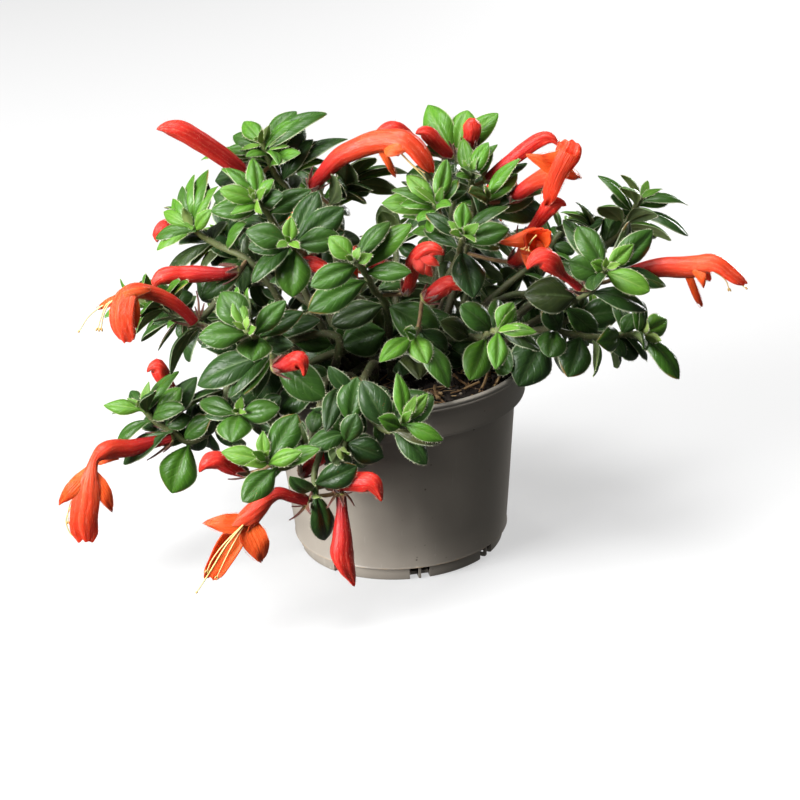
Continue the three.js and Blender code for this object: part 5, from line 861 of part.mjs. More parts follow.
// ---- flowers and buds: corolla axis points, half widths, half depths, directions of the back, lobes, style and filaments, calyx lobes, foot of the stalk ----
const FLOWERS = {
  flower_01: {
    axis: [[-82.21,-46,126.16],[-85.87,-47,131.64],[-90.41,-48,136.26],[-95.82,-49,140.01],[-100.42,-51,142.3],[-104.54,-54,144.04],[-107.96,-58,143.04],[-109.7,-61,138.98],[-110.16,-62,133.24],[-109.39,-62,128.36],[-108.96,-61,125.3]],
    half: [2,2.2,2.6,2.8,3,3.9,4.9,5.4,5.5,5,4],
    deep: [2,2.2,2.6,2.8,3,3,2.2,1.7,1.4,1.1,0.9],
    back: [[0.74,0.36,0.56],[0.71,0.31,0.64],[0.61,0.19,0.77],[0.5,0.09,0.86],[0.41,0.02,0.91],[0.2,-0.11,0.97],[-0.19,-0.48,0.86],[-0.42,-0.81,0.42],[-0.44,-0.89,0.07],[-0.43,-0.88,-0.18],[-0.49,-0.8,-0.33]],
    lobes: [[[-107.93,-51,141.83],[-121.94,-50,135.6],[-0.17,-0.96,0.22],3.2],[[-104.69,-58,142.86],[-104.6,-59,129.61],[0.12,-0.99,0.07],3.2],[[-105.66,-59,144.59],[-97.73,-55,145.34],[0.39,-0.84,0.37],3.4]],
    threads: [[[-110.4,-52,141],[-124.69,-50,133.09],[-129.99,-50,126.25]],[[-111.13,-53,140.96],[-116.89,-52,138.27],[-121.71,-52,127.45]],[[-111.31,-52,140.17],[-115.47,-53,139],[-118.28,-54,134.66],[-120.32,-53,127.75]]],
    calyx: [[[-81.56,-45.82,125.17],[-80.43,-44,139.15],[-0.92,-0.37,0.12],2.6],[[-81.56,-45.82,125.17],[-91.63,-47,127.94],[0.28,-0.1,0.96],2.6],[[-81.56,-45.82,125.17],[-77.91,-40,132.22],[-0.69,-0.34,0.64],2.6],[[-81.56,-45.82,125.17],[-81.36,-45.34,132.74],[-0.94,-0.33,0.04],2.6],[[-81.56,-45.82,125.17],[-83.82,-41.64,131.24],[-0.49,-0.79,0.36],2.6]],
    foot: [-77.39,-40.09,121.2],
  },
  flower_02: {
    axis: [[-99.23,-22,63.51],[-108.41,-24,62.49],[-116.99,-27,61.89],[-123.58,-30,63.11],[-127.91,-34,63.69],[-131.25,-37,61.88],[-133.65,-41,55.25],[-136.34,-42,44.84],[-137.9,-42,38.17],[-138.71,-41,31.42],[-138.89,-40,26.55],[-139.14,-40,24.12]],
    half: [2.1,2.7,3.7,4.2,3.6,2,3.6,6,6.3,6,5.2,4],
    deep: [2.1,2.7,3.6,4,3.5,2,1.6,1.4,1.3,1.1,0.9,0.8],
    back: [[-0.12,0.07,0.99],[-0.1,0.04,0.99],[0.03,0.03,1],[0.14,0.03,0.99],[0,-0.17,0.98],[-0.21,-0.55,0.81],[-0.15,-0.92,0.36],[-0.18,-0.98,0.04],[-0.13,-0.99,-0.05],[-0.06,-0.98,-0.16],[-0.04,-0.99,-0.13],[-0.05,-1,0.01]],
    lobes: [[[-134.54,-39,57.25],[-147.86,-42,43.08],[-0.03,-0.97,0.23],6],[[-132.52,-39,55.7],[-125.55,-42,39.41],[0.21,-0.94,0.26],6],[[-124.78,-30,59.82],[-133.38,-27,56.07],[-0.41,-0.88,0.23],5]],
    threads: [[[-135.3,-37,52.06],[-147.07,-36,32.88],[-145.98,-36,26.46],[-143.61,-36,23.87]],[[-135.3,-37,52.06],[-143.25,-37,42.87],[-146.12,-37,32.34]]],
    calyx: [[[-98.07,-21.75,63.64],[-110.42,-22,66.53],[-0.19,-0.51,-0.84],2.6],[[-98.07,-21.75,63.64],[-106.98,-19,68.4],[-0.52,-0.58,-0.63],2.6],[[-98.07,-21.75,63.64],[-110.47,-24,54.4],[-0.57,-0.17,0.81],2.6],[[-98.07,-21.75,63.64],[-102.62,-28,59.61],[-0.85,0.42,0.31],2.6],[[-98.07,-21.75,63.64],[-105.87,-18.34,64.9],[-0.42,-0.83,-0.36],2.6]],
    foot: [-98.48,-20.31,66],
  },
  flower_03: {
    axis: [[-38.75,-84,58.69],[-49.41,-88,64.83],[-53.95,-90,63.75],[-58.16,-93,60.86],[-62.38,-96,57.53],[-66.18,-99,54.19],[-70.7,-100,48.1],[-74.92,-100,41.46],[-80.37,-98,31.5]],
    half: [2,2.4,2.9,3.8,4.3,4.6,5,4.6,2.6],
    deep: [2,2.4,2.9,3.8,4,2.6,1.6,1.3,0.8],
    back: [[0.31,0.44,0.84],[0,0.44,0.9],[-0.56,0.41,0.72],[-0.71,0.59,0.39],[-0.64,0.77,0.08],[-0.37,0.93,-0.07],[-0.15,0.99,0.03],[-0.07,0.99,0.12],[0.02,0.97,0.25]],
    lobes: [[[-63.22,-97,56.69],[-78.85,-101,58.16],[0.26,-0.87,0.42],7],[[-62.03,-97,56.17],[-58.25,-99,39.08],[0.14,-0.98,0.15],9.5],[[-61.64,-95,57],[-60.69,-97,51.99],[0.08,-0.92,0.38],5]],
    threads: [[[-64.21,-101,57.33],[-71.59,-104,49.68],[-85.45,-101,27.77]],[[-62.97,-100,58.13],[-71.98,-103,50.57],[-80.34,-103,38.23]],[[-64.28,-101,56.43],[-70.1,-104,47.78],[-76.47,-103,35.25]]],
    calyx: [[[-37.75,-83.64,58.14],[-46.13,-88,52.29],[-0.53,-0.12,0.84],2.6],[[-37.75,-83.64,58.14],[-36.76,-90,55.48],[-0.83,-0.32,0.46],2.6],[[-37.75,-83.64,58.14],[-35.92,-84,64.03],[-0.92,-0.29,0.27],2.6],[[-37.75,-83.64,58.14],[-44.59,-82,65.41],[-0.49,-0.82,-0.28],2.6],[[-37.75,-83.64,58.14],[-44.58,-87.62,58.43],[-0.15,0.32,0.94],2.6]],
    foot: [-34.56,-82,59.81],
  },
  flower_04: {
    axis: [[-31.18,8,165.89],[-18.06,-0,181.05],[-10.08,-4,185.77],[-2.7,-6,188.59],[9.2,-10,189.97],[13.7,-11,186.95],[16.87,-12,182.69],[19.25,-12,178.61],[20.41,-12,175.9]],
    half: [2.2,4,4.5,4.8,5.6,6,5.6,4.5,2.8],
    deep: [2.2,4,4.4,4.7,3.5,3,2.6,2,1.2],
    back: [[-0.66,0.29,0.69],[-0.55,0.2,0.81],[-0.41,0.1,0.91],[-0.28,-0.01,0.96],[0.17,-0.29,0.94],[0.55,-0.45,0.7],[0.69,-0.5,0.52],[0.76,-0.51,0.4],[0.78,-0.53,0.34]],
    lobes: [[[2.29,-11,187.56],[8.94,-17,187.61],[-0.63,-0.69,0.35],6],[[3.59,-4,185.93],[9.54,3,182.28],[0.76,-0.66,-0.02],6],[[-0.32,-7,185.23],[5.5,-7,173.43],[0.12,-0.99,0.06],3.4]],
    threads: [[[6.08,-8,186.06],[17.8,-9,172.49],[19.77,-9,168.38],[17.98,-9,166.7]],[[6.08,-8,186.06],[18.69,-10,174.07],[20.17,-10,168.67]]],
    calyx: [[[-31.88,8.45,165.03],[-30.09,8.48,174.82],[0.75,-0.65,-0.14],2.6],[[-31.88,8.45,165.03],[-33,3.4,171.28],[0.96,0.09,0.25],2.6],[[-31.88,8.45,165.03],[-28,1.57,168.31],[0.37,0.56,0.74],2.6],[[-31.88,8.45,165.03],[-23.59,4.21,168.42],[-0.37,0.01,0.93],2.6],[[-31.88,8.45,165.03],[-24.81,8.41,170.44],[-0.31,-0.86,0.4],2.6]],
    foot: [-23.98,8.91,157.14],
  },
  flower_05: {
    axis: [[97.53,-26,128.96],[104.93,-25,130.92],[111.65,-26,132.26],[131.7,-29,133.57],[136.22,-30,135.02],[139.89,-31,134.27],[144.01,-32,131.26],[147.71,-33,128.26],[150.71,-33,125.85]],
    half: [2,2.8,3.7,4.8,5,5,4.9,4.3,2.6],
    deep: [2,2.8,3.7,4.4,3.4,3,2.6,2.2,1.4],
    back: [[-0.28,0.27,0.92],[-0.22,0.28,0.94],[-0.13,0.25,0.96],[-0.17,-0.03,0.98],[-0.12,-0.13,0.98],[0.35,-0.31,0.89],[0.49,-0.41,0.77],[0.52,-0.45,0.73],[0.55,-0.47,0.69]],
    lobes: [[[131.97,-33,132.26],[132.98,-35,126.17],[-0.13,-0.95,0.29],6],[[135.02,-24,129.86],[138.25,-20,122.82],[0.21,-0.89,-0.41],6],[[127.89,-29,128.83],[133.83,-27,113.7],[0.04,-0.99,-0.12],3.4]],
    threads: [[[135.81,-30,132.8],[151.76,-32,123.63]],[[135.81,-30,132.8],[140.78,-31,129.73],[144.69,-31,123.21]]],
    calyx: [[[96.38,-26.16,128.65],[104.26,-25.74,124.78],[0.43,0.14,0.89],2.6],[[96.38,-26.16,128.65],[102.23,-20.55,128.98],[0.63,-0.68,0.36],2.6],[[96.38,-26.16,128.65],[101.57,-23.28,133.4],[0.73,-0.39,-0.56],2.6],[[96.38,-26.16,128.65],[102.91,-28.12,134.38],[0.63,0.58,-0.52],2.6],[[96.38,-26.16,128.65],[103.67,-30.46,129.59],[0.46,0.84,0.27],2.6]],
    foot: [88.92,-30.36,128.42],
  },
  flower_06: {
    axis: [[54.15,-10,161.06],[64.2,-16,170.37],[69.04,-20,173.96],[72.65,-23,177.73],[75.49,-25,181.64],[77.56,-26,185.72],[79.22,-27,191.08]],
    half: [2,3.3,3.9,5.2,6.3,6.2,4.4],
    deep: [2,3.3,3.9,3.7,2.8,2,1.2],
    back: [[-0.53,0.38,0.76],[-0.53,0.2,0.83],[-0.63,0.06,0.78],[-0.8,-0.13,0.58],[-0.82,-0.46,0.34],[-0.72,-0.69,0.14],[-0.45,-0.89,0.1]],
    lobes: [[[72.12,-25,180.95],[61.04,-29,185.3],[0.38,-0.91,0.14],11],[[75.83,-20,176.23],[84.25,-15,170.77],[0.5,-0.87,-0.02],7],[[76.25,-31,184.65],[66.82,-23,160.92],[-0.3,-0.93,-0.2],8]],
    threads: [[[73.55,-17,175.46],[80.84,-12,178.88]],[[73.12,-17,175.04],[80.05,-11,176.86]]],
    calyx: [[[53.34,-9.55,160.31],[54.14,-17.05,164.99],[0.87,0.32,0.36],2.6],[[53.34,-9.55,160.31],[59.06,-13.97,162.65],[-0.04,0.43,0.9],2.6],[[53.34,-9.55,160.31],[61.46,-9.48,162.56],[-0.19,-0.66,0.72],2.6],[[53.34,-9.55,160.31],[58.47,-9.07,166.44],[0.24,-0.96,-0.12],2.6],[[53.34,-9.55,160.31],[54.15,-10.68,169.1],[0.9,-0.41,-0.14],2.6]],
    foot: [43.27,-12.69,161.62],
  },
  flower_07: {
    axis: [[53.96,-0,129.59],[56.81,-4,131.73],[59.1,-10,135.95],[61.16,-26,145.75],[63.83,-31,149.95],[66.19,-34,153.02],[67.4,-35,154.61]],
    half: [2,2.6,3.3,5,5.4,4.2,2.4],
    deep: [2,2.6,3.3,4.4,2.4,1.4,0.9],
    back: [[0.21,0.57,0.79],[0.25,0.61,0.75],[0.35,0.57,0.74],[0.45,0.59,0.67],[0.42,0.74,0.53],[0.38,0.82,0.42],[0.33,0.89,0.31]],
    lobes: [[[60.79,-26,148.01],[48.23,-31,149.9],[0.39,-0.88,0.29],9.5],[[63.68,-26,144.72],[69.36,-29,144.09],[-0.4,-0.83,0.38],6],[[59.04,-25,142.85],[59.47,-29,137.91],[-0.09,-0.78,0.62],5]],
    threads: [[[60.18,-28,146.48],[62.53,-38,153.66]],[[59.44,-26,144.95],[57.21,-34,146.87]],[[59.86,-26,144.93],[59.3,-34,146.32]]],
    calyx: [[[51.87,0.82,128.77],[55.27,-7.71,130.22],[0.75,0.39,0.53],2.6],[[51.87,0.82,128.77],[59.18,-5.88,128.71],[-0.13,-0.15,0.98],2.6],[[51.87,0.82,128.77],[58.45,-1.47,131.69],[-0.34,-0.94,0.02],2.6],[[51.87,0.82,128.77],[56.09,-1.1,136.46],[0.43,-0.79,-0.43],2.6],[[51.87,0.82,128.77],[54.01,-4.72,134.77],[0.83,-0.23,-0.51],2.6]],
    foot: [33.93,4.55,133.59],
  },
  bud_08: {
    axis: [[-57.78,8,171.37],[-67.98,4,182.52],[-80.56,0,193.63],[-85.34,-1,196.8],[-89.4,-2,198.17],[-94.42,-3,198.27]],
    half: [2.2,4,4.4,4.4,3.4,0.7],
    deep: [2.2,4,4.3,4.1,3.2,0.7],
    back: [[0.67,0.28,0.69],[0.61,0.3,0.73],[0.49,0.38,0.78],[0.35,0.38,0.85],[0.13,0.37,0.92],[-0.19,0.28,0.94]],
    lobes: [],
    threads: [],
    calyx: [[[-57.01,8.32,170.51],[-65.15,5.88,171.21],[0.11,-0.09,0.99],2.6],[[-57.01,8.32,170.51],[-61.09,1.45,176.07],[-0.55,0.7,0.46],2.6],[[-57.01,8.32,170.51],[-59.07,5,178.3],[-0.97,0.17,-0.18],2.6],[[-57.01,8.32,170.51],[-60.47,12.01,178.82],[-0.56,-0.82,0.13],2.6],[[-57.01,8.32,170.51],[-64.74,11.22,175.37],[0.01,-0.85,0.53],2.6]],
    foot: [-49.28,15.42,173.87],
  },
  bud_09: {
    axis: [[-64.65,-12,136.45],[-71.52,-14,135.69],[-83.11,-14,136.32],[-88.7,-14,136.62],[-93.78,-15,136.79],[-97.29,-15,136.06],[-99.95,-16,134.28],[-101.53,-16,131.16]],
    half: [2.2,2.7,3.8,3.6,4,4,2.6,0.7],
    deep: [2.2,2.7,3.8,3.6,3.8,3.6,2.2,0.7],
    back: [[-0.17,0.23,0.96],[-0.07,0.28,0.96],[0.05,0.27,0.96],[0.01,0.31,0.95],[-0.1,0.3,0.95],[-0.4,0.21,0.89],[-0.76,0.08,0.64],[-0.89,0,0.45]],
    lobes: [],
    threads: [],
    calyx: [[[-63.51,-11.67,136.58],[-71.63,-14.45,140.35],[-0.41,-0.04,-0.91],2.6],[[-63.51,-11.67,136.58],[-72.91,-9.03,137.95],[-0.3,-0.87,-0.39],2.6],[[-63.51,-11.67,136.58],[-69.51,-10.56,132.04],[-0.54,-0.62,0.57],2.6],[[-63.51,-11.67,136.58],[-71.55,-16.28,131.65],[-0.61,0.28,0.74],2.6],[[-63.51,-11.67,136.58],[-69.62,-17.61,137.46],[-0.67,0.63,-0.39],2.6]],
    foot: [-60.75,-5.61,139.03],
  },
  bud_10: {
    axis: [[7.19,-34,130.37],[12.34,-46,148.51],[15.77,-48,152.51],[19.09,-50,154.31],[21.5,-51,153.65],[23.1,-51,152.26]],
    half: [2.2,4,4.2,3.5,2,0.7],
    deep: [2.2,4,3.9,3.1,1.8,0.7],
    back: [[-0.95,-0.02,0.29],[-0.79,0.23,0.58],[-0.51,0.31,0.8],[-0.06,0.26,0.96],[0.48,0.14,0.87],[0.64,0.2,0.74]],
    lobes: [[[15.22,-51,151.38],[20.8,-53,148.28],[-0.12,-0.92,0.38],4],[[13.49,-50,148.95],[18.17,-52,143.71],[-0.02,-0.94,0.34],4.5],[[11.86,-50,149.47],[14.89,-53,145.11],[-0.13,-0.86,0.5],4.5]],
    threads: [],
    calyx: [[[6.89,-33.34,129.41],[4.82,-39.69,133.79],[0.79,0.16,0.6],2.6],[[6.89,-33.34,129.41],[8.3,-41.14,134.34],[0.29,0.55,0.78],2.6],[[6.89,-33.34,129.41],[11.51,-37.74,133.98],[-0.74,-0.08,0.67],2.6],[[6.89,-33.34,129.41],[11.7,-33.26,136.39],[-0.32,-0.92,0.23],2.6],[[6.89,-33.34,129.41],[6.07,-34.72,137.14],[0.65,-0.76,-0.07],2.6]],
    foot: [-4.04,-30.87,128.52],
  },
  bud_11: {
    axis: [[14.67,-34,126.81],[22.89,-36,132.48],[26.3,-37,134.44],[29.59,-38,133.28],[32.05,-38,131.36]],
    half: [2.6,4,3.6,2.2,0.7],
    deep: [2.6,3.9,3.4,2,0.7],
    back: [[-0.46,0.34,0.82],[-0.4,0.45,0.8],[0,0.37,0.93],[0.49,0.24,0.84],[0.6,0.24,0.77]],
    lobes: [],
    threads: [],
    calyx: [[[13.69,-33.77,126.17],[21.31,-35.2,124.98],[0.14,-0.08,0.99],2.6],[[13.69,-33.77,126.17],[23,-30.2,129.08],[0.15,-0.83,0.54],2.6],[[13.69,-33.77,126.17],[16.56,-32.48,133.19],[0.83,-0.49,-0.25],2.6],[[13.69,-33.77,126.17],[16.11,-38.11,132.35],[0.92,0.37,-0.1],2.6],[[13.69,-33.77,126.17],[20.74,-39.4,130.25],[0.42,0.82,0.4],2.6]],
    foot: [11.38,-34.62,113.18],
  },
  bud_12: {
    axis: [[-94.47,-9,73.57],[-97.78,-7,78.22],[-100.81,-7,84.15],[-102.51,-8,88.94],[-103.86,-9,92.75],[-106.41,-10,92.81],[-107.9,-10,91]],
    half: [2.2,2.6,3.2,4,3.8,1.8,0.7],
    deep: [2.2,2.6,3.2,3.8,3.4,1.6,0.7],
    back: [[0.84,0.21,0.51],[0.85,0.22,0.47],[0.85,0.34,0.41],[0.72,0.58,0.39],[0.42,0.56,0.71],[-0.44,0.32,0.84],[-0.68,0.48,0.56]],
    lobes: [],
    threads: [],
    calyx: [[[-93.81,-9.4,72.65],[-94.36,-10.38,80.87],[-0.76,0.65,0.03],2.6],[[-93.81,-9.4,72.65],[-94.55,-5.12,79.26],[-0.95,-0.29,0.08],2.6],[[-93.81,-9.4,72.65],[-98.17,-3.1,75.99],[-0.2,-0.56,0.8],2.6],[[-93.81,-9.4,72.65],[-101.3,-7.08,75.12],[0.36,0.17,0.92],2.6],[[-93.81,-9.4,72.65],[-99.67,-11.38,80.13],[-0.06,0.97,0.21],2.6]],
    foot: [-98.48,-20.31,66],
  },
  bud_13: {
    axis: [[-63.41,-74,68.29],[-70.48,-76,72.8],[-73.9,-77,76.17],[-77.56,-78,76.37],[-80.54,-79,74.72],[-81.96,-79,72.52]],
    half: [2.2,3.3,4,4,2.3,0.7],
    deep: [2.2,3.3,3.8,3.5,2,0.7],
    back: [[0.38,0.37,0.85],[0.46,0.52,0.72],[0.26,0.53,0.81],[-0.3,0.38,0.88],[-0.67,0.3,0.68],[-0.79,0.34,0.51]],
    lobes: [],
    threads: [],
    calyx: [[[-62.4,-73.72,67.71],[-70.75,-77.47,67.64],[-0.11,0.23,0.97],2.6],[[-62.4,-73.72,67.71],[-66.74,-79.81,71.23],[-0.72,0.65,0.23],2.6],[[-62.4,-73.72,67.71],[-66.67,-77.14,74.18],[-0.86,0.27,-0.43],2.6],[[-62.4,-73.72,67.71],[-67.77,-73,73.54],[-0.54,-0.73,-0.41],2.6],[[-62.4,-73.72,67.71],[-71.39,-71.02,68.41],[-0.17,-0.72,0.67],2.6]],
    foot: [-52.51,-81.52,74.45],
  },
  bud_14: {
    axis: [[-49.2,-62,110.4],[-37.94,-68,115.28],[-36.42,-69,112.94],[-36.67,-69,108.95]],
    half: [2.6,4.2,2.3,0.7],
    deep: [2.6,3.8,2,0.7],
    back: [[-0.13,0.38,0.92],[0.44,0.45,0.78],[0.98,0.01,0.19],[1,0,-0.06]],
    lobes: [],
    threads: [],
    calyx: [[[-50.24,-61.52,110.05],[-45.46,-66.25,116.67],[0.82,0.04,-0.57],2.6],[[-50.24,-61.52,110.05],[-46.74,-69.24,111.8],[0.87,0.44,0.21],2.6],[[-50.24,-61.52,110.05],[-42.49,-65.63,106.23],[0.39,-0.12,0.91],2.6],[[-50.24,-61.52,110.05],[-40.42,-60.9,109.52],[0.08,-0.8,0.59],2.6],[[-50.24,-61.52,110.05],[-44.37,-60.51,114.92],[0.43,-0.83,-0.35],2.6]],
    foot: [-50.06,-58,112],
  },
  bud_15: {
    axis: [[-40.69,-61.33,60.84],[-28.84,-69.33,74.77],[-26.38,-70.33,74.17],[-24.86,-70.33,71.81]],
    half: [2.2,4,2.6,0.7],
    deep: [2.2,3.5,2.2,0.7],
    back: [[-0.62,0.36,0.69],[-0.11,0.56,0.82],[0.61,0.31,0.72],[0.79,0.35,0.51]],
    lobes: [],
    threads: [],
    calyx: [[[-41.39,-60.88,59.98],[-32.96,-59.19,64.91],[-0.14,-0.83,0.53],2.6],[[-41.39,-60.88,59.98],[-40.54,-59.91,67.7],[0.73,-0.68,0],2.6],[[-41.39,-60.88,59.98],[-40.94,-64.6,66.79],[1,0.05,-0.04],2.6],[[-41.39,-60.88,59.98],[-39.02,-67.93,64.64],[0.66,0.56,0.51],2.6],[[-41.39,-60.88,59.98],[-34.19,-65.74,63.43],[-0.29,0.23,0.93],2.6]],
    foot: [-41.09,-72.64,72.6],
  },
  bud_16: {
    axis: [[-29.51,-76,61.79],[-19.27,-82,65.36],[-10.95,-86,66.29],[-8.65,-87,62.98],[-7.62,-87,58.81]],
    half: [2.4,3.9,4.3,2.5,0.7],
    deep: [2.4,3.9,3.9,2.3,0.7],
    back: [[-0.08,0.46,0.88],[0.06,0.5,0.86],[0.56,0.35,0.75],[0.9,0.21,0.37],[0.95,0.23,0.23]],
    lobes: [],
    threads: [],
    calyx: [[[-30.5,-75.43,61.4],[-22.69,-76.43,60.69],[-0.02,-0.68,0.73],2.6],[[-30.5,-75.43,61.4],[-23.94,-73.59,65.62],[0.32,-0.94,-0.09],2.6],[[-30.5,-75.43,61.4],[-25.27,-78.68,67.8],[0.64,-0.33,-0.69],2.6],[[-30.5,-75.43,61.4],[-25.18,-83.51,65.42],[0.85,0.53,-0.07],2.6],[[-30.5,-75.43,61.4],[-24.07,-81.37,61.09],[0.36,0.35,0.86],2.6]],
    foot: [-35.2,-81,63.05],
  },
  bud_17: {
    axis: [[-24.2,-80,59.21],[-24.11,-83,53.25],[-24.41,-86,47.79],[-25.05,-89,36.32],[-23.7,-90,30.68],[-20.86,-90,21.6]],
    half: [2.2,2.4,3.4,5.2,4.2,0.7],
    deep: [2.2,2.4,3.4,4.6,3.6,0.7],
    back: [[0.95,-0.28,0.15],[0.95,-0.29,0.14],[0.94,-0.33,0.09],[0.94,-0.31,0.14],[0.91,-0.3,0.29],[0.92,-0.31,0.25]],
    lobes: [],
    threads: [],
    calyx: [[[-24.22,-79.46,60.28],[-19,-84,55.28],[-0.72,-0.06,-0.69],2.6],[[-24.22,-79.46,60.28],[-27.12,-86,65.37],[-0.05,-0.6,-0.8],2.6],[[-24.22,-79.46,60.28],[-19.58,-80,59.87],[-0.13,-0.44,-0.89],2.6],[[-24.22,-79.46,60.28],[-23.36,-87,56.76],[-0.11,0.41,-0.91],2.6],[[-24.22,-79.46,60.28],[-29.93,-86.04,55.8],[0.59,0.03,-0.8],2.6]],
    foot: [-34.56,-82,59.81],
  },
  bud_18: {
    axis: [[18.25,15,176.13],[9.93,13,186.12],[5.71,12,188.86],[1.37,11,188.92],[-2.15,10,188.04]],
    half: [2.2,3.4,4,2.9,0.8],
    deep: [2.2,3.3,3.6,2.7,0.8],
    back: [[0.68,0.36,0.63],[0.53,0.44,0.72],[0.2,0.41,0.89],[-0.19,0.36,0.92],[-0.32,0.34,0.89]],
    lobes: [],
    threads: [],
    calyx: [[[19.01,15.15,175.21],[12.55,8.14,179.4],[-0.24,0.65,0.72],2.6],[[19.01,15.15,175.21],[16.69,11.64,182.7],[-0.86,0.51,-0.03],2.6],[[19.01,15.15,175.21],[16.59,16.18,182.41],[-0.8,-0.56,-0.19],2.6],[[19.01,15.15,175.21],[13.38,19.14,182.06],[-0.28,-0.91,0.3],2.6],[[19.01,15.15,175.21],[12.29,14.44,178.76],[0.47,-0.11,0.88],2.6]],
    foot: [31.86,16,176.93],
  },
  bud_19: {
    axis: [[29.69,6,176.78],[20.13,3,188.38],[17.17,2,190.14],[15.42,2,189.35]],
    half: [2.2,3.4,2.2,0.8],
    deep: [2.2,3.3,2,0.8],
    back: [[0.64,0.41,0.64],[0.44,0.59,0.68],[0.09,0.45,0.89],[-0.38,0.38,0.84]],
    lobes: [],
    threads: [],
    calyx: [[[30.43,6.25,175.88],[24.86,-1.68,179.31],[-0.32,0.56,0.77],2.6],[[30.43,6.25,175.88],[30.51,2.4,183.56],[-0.97,0.2,0.11],2.6],[[30.43,6.25,175.88],[28.88,7.91,183.29],[-0.77,-0.64,-0.02],2.6],[[30.43,6.25,175.88],[22.16,10.08,180.55],[-0,-0.78,0.63],2.6],[[30.43,6.25,175.88],[21.74,3.12,180.21],[0.39,0.17,0.91],2.6]],
    foot: [31.86,16,176.93],
  },
  bud_20: {
    axis: [[38.58,10,177.85],[38.25,9,182.18],[39.28,7,189.81],[38.9,6,192.76]],
    half: [1.6,3,3.9,1.8],
    deep: [1.6,3,3.6,1.6],
    back: [[-0.01,0.97,0.22],[0.04,0.97,0.22],[-0,0.95,0.3],[-0.04,0.95,0.32]],
    lobes: [],
    threads: [],
    calyx: [[[38.67,10.27,176.68],[40.8,13.26,185.46],[-0.43,-0.81,0.38],2.6],[[38.67,10.27,176.68],[34.58,9.91,183.98],[0.8,-0.41,0.43],2.6],[[38.67,10.27,176.68],[35.4,4.69,183.74],[0.46,0.58,0.67],2.6],[[38.67,10.27,176.68],[40.36,3.4,184.31],[-0.4,0.64,0.66],2.6],[[38.67,10.27,176.68],[42.48,9.49,183.65],[-0.86,-0.26,0.44],2.6]],
    foot: [31.86,16,176.93],
  },
  bud_21: {
    axis: [[44.11,-2,168.09],[50.22,-3,172.98],[61.33,-7,182.42],[66.45,-8,185.95],[70.65,-9,187.33],[73.51,-10,186.15],[74.75,-10,184.33]],
    half: [2,2.7,3.2,3.3,3,1.5,0.7],
    deep: [2,2.7,3.2,3.1,2.7,1.4,0.7],
    back: [[-0.55,0.36,0.76],[-0.53,0.38,0.76],[-0.44,0.49,0.75],[-0.31,0.51,0.8],[0.1,0.42,0.9],[0.61,0.32,0.73],[0.76,0.39,0.52]],
    lobes: [],
    threads: [],
    calyx: [[[43.18,-1.85,167.35],[45.77,-3.93,174.63],[0.94,0.17,-0.28],2.6],[[43.18,-1.85,167.35],[48.84,-6.52,170.22],[0.31,0.74,0.6],2.6],[[43.18,-1.85,167.35],[52.29,-2.59,168.76],[-0.16,-0.12,0.98],2.6],[[43.18,-1.85,167.35],[50.8,3.8,171.2],[0.33,-0.8,0.51],2.6],[[43.18,-1.85,167.35],[46.09,1.42,175.14],[0.8,-0.6,-0.05],2.6]],
    foot: [37.92,-4,166.34],
  },
  bud_22: {
    axis: [[58.09,-8,141.71],[70.69,-17,159.7],[73.19,-18,161.22],[75.23,-19,161.42],[76.49,-19,160.47]],
    half: [1.8,3.9,3.3,1.8,0.7],
    deep: [1.8,3.5,2.9,1.6,0.7],
    back: [[-0.64,0.38,0.67],[-0.44,0.52,0.73],[-0.17,0.39,0.9],[0.28,0.25,0.93],[0.57,0.32,0.75]],
    lobes: [],
    threads: [],
    calyx: [[[57.45,-7.44,140.87],[64.04,-8.18,144.63],[-0.39,-0.74,0.55],2.6],[[57.45,-7.44,140.87],[60.57,-7.51,147.78],[0.36,-0.92,-0.17],2.6],[[57.45,-7.44,140.87],[56.93,-9.65,149.38],[0.9,-0.42,-0.06],2.6],[[57.45,-7.44,140.87],[57.71,-14.07,145.31],[0.84,0.32,0.43],2.6],[[57.45,-7.44,140.87],[64.24,-13.25,142.54],[-0.15,0.11,0.98],2.6]],
    foot: [42.21,-4,152.6],
  },
  bud_23: {
    axis: [[81.94,-32,126.51],[73.66,-36,135.11],[67.58,-40,143.04],[64.2,-41,145.33],[60.75,-42,144.1],[58.52,-43,141.47]],
    half: [1.7,1.9,4.8,4.4,2.8,0.7],
    deep: [1.7,1.9,4.5,4,2.4,0.7],
    back: [[0.62,0.29,0.73],[0.59,0.39,0.71],[0.41,0.58,0.7],[0.03,0.39,0.92],[-0.6,0.2,0.78],[-0.78,0.15,0.61]],
    lobes: [],
    threads: [],
    calyx: [[[82.78,-31.65,125.71],[81.23,-30.73,133.05],[-0.81,-0.57,-0.1],2.6],[[82.78,-31.65,125.71],[75.91,-29.4,129.56],[-0.02,-0.88,0.48],2.6],[[82.78,-31.65,125.71],[75.09,-34.62,128.29],[0.3,0.06,0.95],2.6],[[82.78,-31.65,125.71],[77.31,-39.46,129.26],[-0.44,0.61,0.66],2.6],[[82.78,-31.65,125.71],[80.29,-34.1,134.26],[-0.94,-0.12,-0.31],2.6]],
    foot: [87.45,-28,125.68],
  },
  bud_24: {
    axis: [[-89.06,8,151.18],[-93.31,7,151.74],[-97.25,6,150.9],[-99.99,5,148.62],[-100.24,5,145.87]],
    half: [2.4,3.6,4,2.3,0.7],
    deep: [2.4,3.6,3.7,2.1,0.7],
    back: [[0.03,0.38,0.93],[-0.12,0.38,0.92],[-0.48,0.34,0.81],[-0.86,0.21,0.47],[-0.98,0.17,0.09]],
    lobes: [],
    threads: [],
